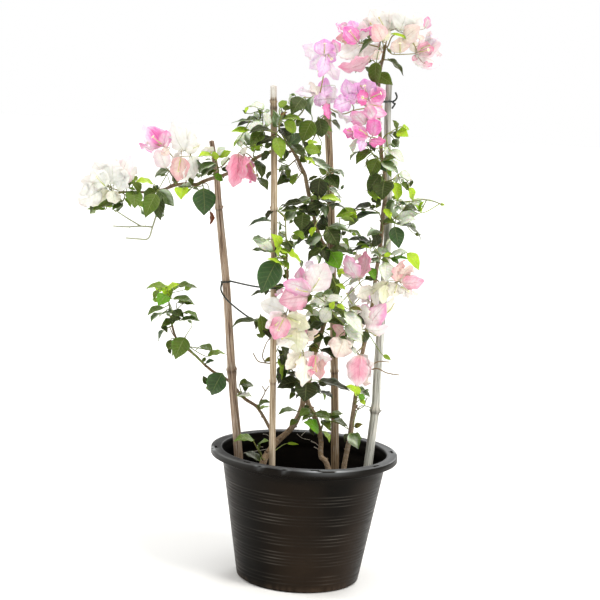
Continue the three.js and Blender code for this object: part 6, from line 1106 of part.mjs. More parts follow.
// A shoot is one closed skin, grown face by face: three-sided twigs, and on their faces the stalks with their blades.
class Shoot {
  constructor() {
    this.V = [];
    this.F = [];
  }
  vertex(v) {
    this.V.push(v.clone());
    return this.V.length - 1;
  }
  centre(f) {
    const [a, b, c] = this.F[f];
    return this.V[a].clone().add(this.V[b]).add(this.V[c]).multiplyScalar(1 / 3);
  }
  normal(f) {
    const [a, b, c] = this.F[f].map((i) => this.V[i]);
    return b.clone().sub(a).cross(c.clone().sub(a)).normalize();
  }
  // The three corners of a face, turned so that they meet the next ring with the least twist.
  opened(f, next) {
    const r = this.F[f];
    this.F[f] = null;
    let best = null;
    for (let k = 0; k < 3; k++) {
      const q = [r[k], r[(k + 1) % 3], r[(k + 2) % 3]];
      const d = q.reduce((s, i, j) => s + this.V[i].distanceTo(next[j]), 0);
      if (!best || d < best[0]) best = [d, q];
    }
    return best[1];
  }
  walls(a, b) {
    for (let k = 0; k < 3; k++) {
      const j = (k + 1) % 3;
      this.F.push([a[k], a[j], b[j]], [a[k], b[j], b[k]]);
    }
  }
  // A tapering twig through points. With a face it grows out of that face; with a second face it ends in it.
  twig(points, radii, face, endFace) {
    const P = points.map((p) => new THREE.Vector3(...p));
    const n = P.length;
    const tangent = (i) => P[Math.min(i + 1, n - 1)].clone().sub(P[Math.max(i - 1, 0)]).normalize();
    let t0 = tangent(0);
    let u = new THREE.Vector3(0, 1, 0);
    if (Math.abs(t0.dot(u)) > 0.8) u = new THREE.Vector3(1, 0, 0);
    u.addScaledVector(t0, -u.dot(t0)).normalize();
    const rings = [];
    for (let i = 0; i < n; i++) {
      const t = tangent(i);
      u.applyQuaternion(new THREE.Quaternion().setFromUnitVectors(t0, t));
      u.addScaledVector(t, -u.dot(t)).normalize();
      t0 = t;
      const v = t.clone().cross(u);
      rings.push([0, 1, 2].map((k) => P[i].clone().addScaledVector(u, Math.cos(k * 2.0943951) * radii[i]).addScaledVector(v, Math.sin(k * 2.0943951) * radii[i])));
    }
    let last;
    if (face === undefined || face === null) {
      last = rings.shift().map((v) => this.vertex(v));
      this.F.push([last[0], last[2], last[1]]);
    } else {
      last = this.opened(face, rings[0]);
    }
    for (const r of rings) {
      const now = r.map((v) => this.vertex(v));
      this.walls(last, now);
      last = now;
    }
    if (endFace === undefined || endFace === null) {
      this.F.push([last[0], last[1], last[2]]);
    } else {
      // the end face is seen from the other side, so its corners run the other way round
      const e = this.F[endFace];
      this.F[endFace] = null;
      const back = [e[0], e[2], e[1]];
      let best = null;
      for (let k = 0; k < 3; k++) {
        const q = [back[k], back[(k + 1) % 3], back[(k + 2) % 3]];
        const d = q.reduce((s, i, j) => s + this.V[i].distanceTo(this.V[last[j]]), 0);
        if (!best || d < best[0]) best = [d, q];
      }
      this.walls(last, best[1]);
    }
  }
  // A blade on a stalk that grows out of a face. kind: 0 small leaf, 1 leaf, 2 bract. The blade is a lens,
  // thickest along the midrib and sharp at its edges; a leaf arches and a bract is cupped.
  blade(face, kind, B, T, N, width, arch, fold) {
    const b0 = new THREE.Vector3(...B), t0 = new THREE.Vector3(...T), n = new THREE.Vector3(...N).normalize();
    const axis = t0.clone().sub(b0), L = axis.length();
    axis.normalize();
    n.addScaledVector(axis, -n.dot(axis)).normalize();
    const s = axis.clone().cross(n);
    const half = (u) => (kind === 2 ? 0.5 * Math.sin(Math.PI * u ** 0.8) ** 0.62 : 0.5 * Math.sin(Math.PI * u ** 0.72) ** 0.9) * width;
    const mid = (u) => b0.clone().addScaledVector(axis, u * L).addScaledVector(n, (kind === 2 ? -1 : 1) * arch * L * 4 * u * (1 - u));
    const th = (kind === 2 ? BRACT_T : LEAF_T) / 2;
    let b;
    if (kind === 0) {
      const m = mid(0.2), h = half(0.2);
      b = this.opened(face, [m.clone().addScaledVector(s, -h), m.clone().addScaledVector(s, h), m.clone().addScaledVector(n, -1)]);
    } else {
      const ring = [b0.clone().addScaledVector(s, -STALK_R).addScaledVector(n, STALK_R * 0.55), b0.clone().addScaledVector(s, STALK_R).addScaledVector(n, STALK_R * 0.55), b0.clone().addScaledVector(n, -STALK_R)];
      const a = this.opened(face, ring);
      b = ring.map((v) => this.vertex(v));
      this.walls(a, b);
    }
    const rows = (kind === 2 ? [0.26, 0.68] : [0.4]).map((u) => {
      const m = mid(u), h = half(u);
      const edge = (q) => this.vertex(m.clone().addScaledVector(s, q * h * Math.cos(fold)).addScaledVector(n, h * Math.sin(fold)));
      return { L: edge(-1), R: edge(1), T: this.vertex(m.clone().addScaledVector(n, th)), B: this.vertex(m.clone().addScaledVector(n, -th)) };
    });
    const tip = this.vertex(t0);
    const f = rows[0], e = rows[rows.length - 1];
    const add = (...q) => { for (let i = 0; i < q.length; i += 3) this.F.push([q[i], q[i + 1], q[i + 2]]); };
    add(b[0], b[1], f.T, b[0], f.T, f.L, b[1], f.R, f.T, b[2], f.L, f.B, b[2], b[0], f.L, b[2], f.B, f.R, b[2], f.R, b[1]);
    for (let i = 0; i + 1 < rows.length; i++) {
      const p = rows[i], q = rows[i + 1];
      add(p.L, q.T, q.L, p.L, p.T, q.T, p.T, q.R, q.T, p.T, p.R, q.R, p.B, q.L, q.B, p.B, p.L, q.L, p.R, q.B, q.R, p.R, p.B, q.B);
    }
    add(e.L, e.T, tip, e.T, e.R, tip, e.B, e.L, tip, e.R, e.B, tip);
  }
  geometry() {
    const g = new THREE.BufferGeometry();
    const p = [];
    for (const f of this.F) if (f) for (const i of f) p.push(this.V[i].x, this.V[i].y, this.V[i].z);
    g.setAttribute("position", new THREE.BufferAttribute(new Float32Array(p), 3));
    g.computeVertexNormals();
    return g;
  }
}

// ---- pieces ----
const colours = {
  pot: [0x1f1c1a, 0.42], soil: [0x1a120c, 0.95],
  bamboo_brown: [0x9a7f66, 0.6], cane_tan: [0xb89a77, 0.6], bamboo_grey: [0xbdbfae, 0.55],
  bark: [0x8a6a4f, 0.85], bare: [0xa09a7c, 0.8], wire: [0x1c2320, 0.45],
  leaf: [0x3f6a2c, 0.5], leaf_dark: [0x23401d, 0.45], leaf_pale: [0x8fb05a, 0.5],
  bract_white: [0xf3f0ea, 0.6], bract_pink: [0xf0a8c8, 0.6], bract_cream: [0xf2e6c4, 0.6], bract_lilac: [0xe8b4e6, 0.6],
};
const materials = Object.fromEntries(
  Object.entries(colours).map(([k, [color, roughness]]) => [k, new THREE.MeshStandardMaterial({ name: k, color, roughness, metalness: 0 })]),
);
const root = new THREE.Group();
root.name = "potted_bougainvillea";
function add(name, geometry, material, parent = root) {
  const m = new THREE.Mesh(geometry, materials[material]);
  m.name = name;
  parent.add(m);
  return m;
}

// Pot: one lathed wall with its floor, foot, stepped collar and flat rim, then the drainage holes and the rim's slots.
const wallR = (z) => BASE_R + ((TOP_R - BASE_R) * z) / WALL_TOP_Z;
{
  const z1 = POT_H - RIM_H;
  const profile = [
    [0, 0], [24, 0], [26, 2.5], [83, 2.5], [85, 0], [95, 0], [wallR(2.5), 2.5],
    [wallR(WALL_TOP_Z - 6), WALL_TOP_Z - 6], [TOP_R + 1.6, WALL_TOP_Z - 4.5], [TOP_R + 2.4, z1],
    [RIM_R - 0.8, z1], [RIM_R, z1 + 1], [RIM_R, POT_H - 1], [RIM_R - 0.9, POT_H], [RIM_IN_R + 1.4, POT_H],
    [RIM_IN_R, POT_H - 1.6], [RIM_IN_R - 1.6, z1 - 1], [wallR(WALL_TOP_Z - 6) - WALL, WALL_TOP_Z - 7], [wallR(FLOOR_Z + 3) - WALL, FLOOR_Z + 3],
    [wallR(FLOOR_Z) - WALL - 3, FLOOR_Z], [0, FLOOR_Z],
  ].map(([r, z]) => new THREE.Vector2(r, z));
  const lathe = new THREE.LatheGeometry(profile, 36);
  lathe.rotateX(Math.PI / 2); // the lathe's axis onto Z
  let pot = solidOf(lathe);
  for (let i = 0; i < HOLES; i++) {
    const a = ((i + 0.5) / HOLES) * 2 * Math.PI;
    const h = new THREE.CylinderGeometry(HOLE_R, HOLE_R, 14, 8);
    h.rotateX(Math.PI / 2);
    h.translate(HOLE_AT * Math.cos(a), HOLE_AT * Math.sin(a), FLOOR_Z - 1);
    pot = pot.subtract(solidOf(h));
  }
  for (let i = 0; i < SLOTS; i++) {
    const a = (i / SLOTS) * 2 * Math.PI + 0.12;
    const s = new THREE.BoxGeometry(4, 13, RIM_H * 3);
    s.translate((RIM_R + RIM_IN_R) / 2 + 3.2, 0, POT_H);
    s.rotateZ(a);
    pot = pot.subtract(solidOf(s));
  }
  add("pot", geometryOf(pot), "pot");
}

// Canes, tapering and swollen at their nodes.
const bars = {};
for (const [name, line] of Object.entries(CANES)) {
  // evenly cut at the given points and at each node's three rings
  const pts = line.map((p) => p.slice());
  for (const z of CANE_NODES[name])
    for (const [dz, swell] of [[7, 0], [0, NODE_BULGE], [-7, 0]]) {
      const zz = z + dz;
      for (let i = 0; i + 1 < pts.length; i++) {
        const [a, b] = [pts[i], pts[i + 1]];
        if (a[2] > zz && zz > b[2]) {
          const t = (a[2] - zz) / (a[2] - b[2]);
          const q = a.map((v, k) => v + (b[k] - v) * t);
          q[3] += swell;
          pts.splice(i + 1, 0, q);
          break;
        }
      }
    }
  bars[name] = [pts.map((p) => p.slice(0, 3)), pts.map((p) => p[3])];
  add(name, barGeometry(...bars[name], CANE_SIDES), name === "stake_front_cane" ? "cane_tan" : name === "stake_right_bamboo" ? "bamboo_grey" : "bamboo_brown");
}
// Woody stems.
for (const [name, line] of Object.entries(STEMS)) {
  bars[name] = [line.map((p) => p.slice(0, 3)), line.map((p) => p[3])];
  add(name, barGeometry(...bars[name], STEM_SIDES), "bark");
}

// Potting mix: a plug that fills the pot, with a socket for each cane and stem.
{
  const low = FLOOR_Z + GAP;
  const profile = [
    [0, low], [wallR(FLOOR_Z) - WALL - 4, low], [wallR(FLOOR_Z + 3) - WALL - 0.6, FLOOR_Z + 3], [wallR(SOIL_Z - 3) - WALL - 0.6, SOIL_Z - 3],
    [96, SOIL_Z], [45, SOIL_Z + 1.5], [0, SOIL_Z + 0.5],
  ].map(([r, z]) => new THREE.Vector2(r, z));
  const lathe = new THREE.LatheGeometry(profile, 24);
  lathe.rotateX(Math.PI / 2);
  let soil = solidOf(lathe);
  for (const [name, [P, R]] of Object.entries(bars)) {
    if (Math.min(...P.map((p) => p[2])) > SOIL_Z) continue;
    const sides = CANES[name] ? CANE_SIDES : STEM_SIDES;
    const ends = P.map((p) => new THREE.Vector3(...p));
    // the socket follows the same line and runs a little past its foot
    const foot = ends[0].z < ends[ends.length - 1].z ? 0 : ends.length - 1;
    const next = foot === 0 ? 1 : foot - 1;
    const past = ends[foot].clone().sub(ends[next]).setLength(GAP * 1.5);
    ends[foot].add(past);
    soil = soil.subtract(solidOf(barGeometry(ends.map((v) => v.toArray()), R.map((r) => r + GAP * 1.7), sides)));
  }
  add("potting_mix", geometryOf(soil), "soil");
}

// Bare twigs and tie wires, each joined into one body.
function joined(list) {
  return list.reduce((a, b) => a.add(b));
}
for (const [name, lines] of Object.entries(BARE_TWIGS))
  add(name, geometryOf(joined(lines.map((l) => solidOf(barGeometry(l.map((p) => p.slice(0, 3)), l.map((p) => p[3]), 4))))), "bare");
for (const [name, { loops, tails }] of Object.entries(TIES)) {
  const wire = (l, closed) => solidOf(barGeometry(l, l.map(() => WIRE_R), 4, closed));
  add(name, geometryOf(joined([...loops.map((l) => wire(l, true)), ...tails.map((l) => wire(l, false))])), "wire");
}

// Leaf shoots and flower clusters.
const tone = (name) =>
  name.startsWith("bract") ? (/white|left_tip/.test(name) ? "bract_white" : /lilac/.test(name) ? "bract_lilac" : /mid_low|right$/.test(name) ? "bract_cream" : "bract_pink")
  : /pale|low_left_top/.test(name) ? "leaf_pale" : /centre|crown/.test(name) ? "leaf_dark" : "leaf";
const foliage = new THREE.Group();
root.add(foliage);
for (const [name, rows] of Object.entries(SHOOTS)) {
  const s = new Shoot();
  for (const [what, ...r] of rows) {
    if (what === "twig") s.twig(r[0], r[1]);
    else if (what === "branch") s.twig(r[1], r[2], r[0]);
    else if (what === "join") s.twig(r[2], r[2].map(() => STALK_R), r[0], r[1]);
    else s.blade(...r);
  }
  add(name, s.geometry(), tone(name), foliage);
}

export default root;
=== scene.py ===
"""A potted bougainvillea on four canes, in a round black nursery pot. Metres in Blender; the tables are in millimetres, in the row frame."""
import json
import math

import bmesh
import bpy
import numpy as np
from mathutils import Matrix, Vector


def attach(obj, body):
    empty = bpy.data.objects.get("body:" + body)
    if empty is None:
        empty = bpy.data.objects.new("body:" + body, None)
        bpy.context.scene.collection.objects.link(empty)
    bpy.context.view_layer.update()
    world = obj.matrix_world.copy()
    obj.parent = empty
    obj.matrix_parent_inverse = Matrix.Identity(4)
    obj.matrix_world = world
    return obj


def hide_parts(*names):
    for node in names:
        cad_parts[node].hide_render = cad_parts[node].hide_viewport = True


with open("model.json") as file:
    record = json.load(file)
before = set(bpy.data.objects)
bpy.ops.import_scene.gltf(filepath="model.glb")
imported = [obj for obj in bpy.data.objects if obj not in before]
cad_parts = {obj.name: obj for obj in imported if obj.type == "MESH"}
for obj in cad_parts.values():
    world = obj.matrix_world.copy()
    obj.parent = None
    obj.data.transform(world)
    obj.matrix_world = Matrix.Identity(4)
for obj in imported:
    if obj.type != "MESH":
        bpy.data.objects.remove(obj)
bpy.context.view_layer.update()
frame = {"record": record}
MM = 0.001

# centre lines and radii of the canes and the woody stems
BARS = {
    "stem_left": ((-70.7,-36,125.2,6),(-65.4,-32,186.6,5.4),(-56.2,-28,207.4,5.2),(-45.3,-22,223,5),(-26.4,-12,240.5,4.8),(-16.5,-6,254.4,4.6),(-9.4,0,272.7,4.3),(-6.9,2,290.4,4),(-12.4,-4,330.3,3.4),(-21.2,-18,375.8,3),(-31.4,-38,419.9,2.7),(-36.9,-56,453.8,2.4),(-39.2,-70,483.6,2.1)),
    "stem_centre": ((52.5,-18,124.5,4.6),(38.4,-14,186.8,4.4),(27.1,-10,201.6,4.2),(25.9,-6,223.6,4.2),(20.8,0,245,4.1),(11.4,8,265.7,4),(0.6,14,285.2,3.9),(0.7,16,311.1,3.7),(7,14,355.9,3.4),(15.9,10,394.5,3.2),(20.9,6,432.6,3.1),(20.4,3,481.2,3.1),(17.5,0,529.3,3.1),(6.9,-2,548,3.1),(-2.4,-4,571.5,3.2),(-18.1,-4,625.8,3.1),(-24.2,-4,649.1,3),(-31.2,-4,661.3,3),(-38.2,-5,675,2.9),(-49.4,-6,691.6,2.7)),
    "stem_right": ((59.8,16,119.3,4.6),(65.7,13,182,4.2),(69,12,207.2,4.1),(72.9,10,236,4),(74.9,8,267.8,3.9),(76.6,6,292.8,3.7),(79.3,4,326,3.5),(83.1,2,367.3,3.3),(89.6,0,416.5,3.2),(95,0,457,3.2),(97.2,0,497.2,3.3),(100.3,0,537.3,3.4),(101.9,-1,572.4,3.4),(101.9,-2,597.8,3.3),(103.5,-2,621.6,3.2),(101.7,-1,651.4,2.9),(95,0,682.4,2.8),(90.9,0,710.4,2.6),(86.5,-2,741.4,2.5),(83.8,-1,772.4,2.4),(83.1,0,795.6,2.3),(84,0,818.9,2.3),(86.7,0,837.6,2.3),(89.3,-1,857.8,2)),
    "stem_left_arm": ((-48.9,-7.1,685.7,2.4),(-51.5,-8.5,683.8,2.4),(-66.9,-14,686.3,2.6),(-80.5,-26,682.9,2.8),(-98.3,-40,674.8,2.9),(-117.6,-44,660.8,2.9),(-137.3,-40,649.4,2.9),(-152.7,-36,642.8,2.8),(-166.5,-35,638.1,2.8),(-180.3,-34,632.6,2.8),(-192.6,-33,626.4,2.7),(-208.2,-32,627,2.5),(-223.8,-31,623.7,2.4),(-240.5,-32,616.5,2.2),(-251.2,-33,613.7,2.1),(-266.5,-34,610.5,1.9),(-278.9,-34,609.3,1.8),(-294.4,-35,609,1.7),(-311.5,-35,607.5,1.5)),
    "stem_low_left": ((-47.5,-19,227.9,2.6),(-50.1,-17.7,229.9,2.6),(-58.7,-9,243.9,2.6),(-79,2,271.5,2.4),(-99.9,6,284.2,2.3),(-113.6,8,297.7,2.3),(-123.8,9,308.4,2.2),(-135.5,10,316.5,2.2),(-152,10,324.5,2.1),(-167,10,335.1,2),(-182.2,10,348.9,1.9),(-198.8,10,360.9,1.9),(-212.1,10,371.5,1.8),(-219.1,10,384.1,1.8),(-222.9,10,396.8,1.7),(-226,10,411.2,1.5)),
    "stake_left_bamboo": ((-173.3,-8,694,3.9),(-167.1,-8,664.7,4.3),(-161.6,-8,633.6,4.7),(-156.8,-9,592.2,5.5),(-146.6,-10,524.1,6.1),(-139.3,-11,475.3,6.2),(-130.9,-12,403.9,6.3),(-122.9,-12,331.8,6.5),(-116.5,-13,280.5,6.5),(-106.2,-14,206.2,6.9),(-92.1,-14.8,80,7)),
    "stake_front_cane": ((-79.7,-62,785.1,5),(-78.2,-62,757.9,4.9),(-73.3,-63,680.4,4.9),(-68.7,-65,596.2,5.1),(-61.8,-67,457,5),(-43.8,-74.9,72,5)),
    "stake_centre_bamboo": ((1.6,48,779.7,5.6),(11.3,49,696,6),(20.9,51,588.9,6.2),(42.8,54,316.4,6.3),(52.3,56,170.9,6.5),(59.2,56.9,70,6.6)),
    "stake_right_bamboo": ((99.6,22,798,5),(100.4,22,749.5,5.2),(103.5,22,702.4,5.4),(110,22,623.5,5.8),(113.2,22,535.7,6.2),(111.2,22,398.1,6.6),(110.3,17,325.4,6.7),(110.6,13,285.2,6.8),(104.3,1,192.9,7),(100.2,-4,108,7.1)),
}
BARE = {
    "bare_twig_left_arm": (((-246.9,-32.8,612,1.15),(-246.3,-33,609.5,1.11),(-248.1,-34,599.1,1.06),(-251,-35,580.3,1.02),(-256.8,-37,556.6,0.98),(-262.9,-38,538.3,0.94),(-279.9,-39,537,0.89),(-297,-40,537.4,0.85)),((-256.8,-37,556.6,0.95),(-274.7,-38,556.9,0.88),(-296.2,-40,554.9,0.82),(-317.8,-42,555.1,0.75)),((-274.7,-38,556.9,0.9),(-295.6,-36,567.6,0.8),(-316.7,-34,579.5,0.7))),
    "bare_twig_low_left": (((-77.4,1.2,273.7,1.1),(-75.9,0.5,275.7,1.04),(-75.8,0,281.9,0.98),(-73.3,0,286.9,0.92),(-68.3,-2,299.8,0.86),(-73.6,-3,308.7,0.8)),((-68.3,-2,299.8,0.9),(-62.5,0,308.8,0.7))),
    "bare_twig_centre_left": (((-23,-15.5,367.1,1.2),(-25.4,-15.7,366.5,1.13),(-34.5,-14,356.7,1.07),(-53.1,-16,349.5,1),(-68.9,-18,348.9,0.93),(-81.7,-20,351.7,0.87),(-90.3,-22,364.4,0.8)),((-68.9,-18,348.9,0.9),(-75.2,-14,359.1,0.83),(-70.8,-8,377.8,0.77),(-65,-4,387.1,0.7))),
    "bare_twig_right": (((84,3.1,336.2,1.2),(86.6,2.9,335.9,1.12),(94.3,2,341.9,1.04),(108.3,0,347.2,0.96),(124.6,-2,341.2,0.88),(143.8,-4,339.4,0.8)),((94.3,2,341.9,0.9),(107.8,4,357,0.82),(127,4,358.1,0.75))),
}
# loops and tails of the wire ties
TIES = {
    "tie_wire_left": ((((-131.5,-11,475.3),(-133,-15.6,475.2),(-136.8,-18.4,474.7),(-141.6,-18.4,474.2),(-145.4,-15.6,473.6),(-146.9,-11,473.4),(-145.4,-6.5,473.5),(-141.5,-3.6,473.9),(-136.8,-3.6,474.5),(-132.9,-6.5,475)),((-56.1,-66.7,476.1),(-57.4,-70.5,476.1),(-60.7,-72.9,476),(-64.7,-72.9,475.8),(-68,-70.5,475.6),(-69.2,-66.7,475.5),(-68,-62.8,475.5),(-64.7,-60.5,475.6),(-60.7,-60.5,475.8),(-57.4,-62.8,476))), (((-131.5,-11,475.3),(-110.9,-29.4,474.2),(-90.4,-47.8,473.8),(-69.2,-66.7,475.5)),((-145.4,-6.5,473.5),(-146,-9.5,470.5),(-145.9,-22,461.9),(-138.9,-24,450.7),(-128.1,-26,441.2),(-114.1,-28,431.2),(-97.7,-32,421.6),(-83.1,-38,417.7)))),
    "tie_wire_right": ((((105.5,18.2,770.9),(106.6,21.5,770.9),(106,24.9,770.9),(103.7,27.6,770.9),(100.4,28.7,770.8),(97,28.1,770.8),(94.3,25.8,770.8),(80.6,1.2,769.6),(80,-1.9,769.6),(81.7,-4.5,769.6),(84.7,-5.1,769.7),(87.3,-3.4,769.7)),), (((106.6,21.5,770.9),(110.6,19.5,772.9),(113.1,14,778.5),(110.2,12,785.4)),((106.6,21.3,770.7),(109.6,17.5,767.9),(110.6,12,767.5),(106.2,10,760.2)))),
}
ROOTS = (((-68.6,40,221.1,0.5),(-63.6,40,220.6,0.44),(-58.6,40,218.4,0.38)),((-13.2,30,226.6,0.55),(-4.7,30,220.4,0.484),(8.5,30,217.9,0.418)),((-6.5,28,224.1,0.45),(-2,28,229.3,0.396),(1.1,28,232.8,0.342)),((-95.8,-30,203.9,0.5),(-86.4,-30,206.9,0.44),(-76.9,-30,208.3,0.38),(-58.1,-30,212.7,0.32)),((-75.8,-32,218.6,0.45),(-70.9,-32,216.4,0.396),(-66.1,-32,215.9,0.342)),((9.9,8,221.2,0.9),(16.5,8,218.3,0.792),(23.3,8,213.7,0.684)),((15.3,6,212.1,0.9),(20.3,6,209.9,0.792),(25.3,6,206,0.684)),((35.5,-5,196,1),(39.1,-5,189.6,0.88),(42.6,-5,184.9,0.76)))
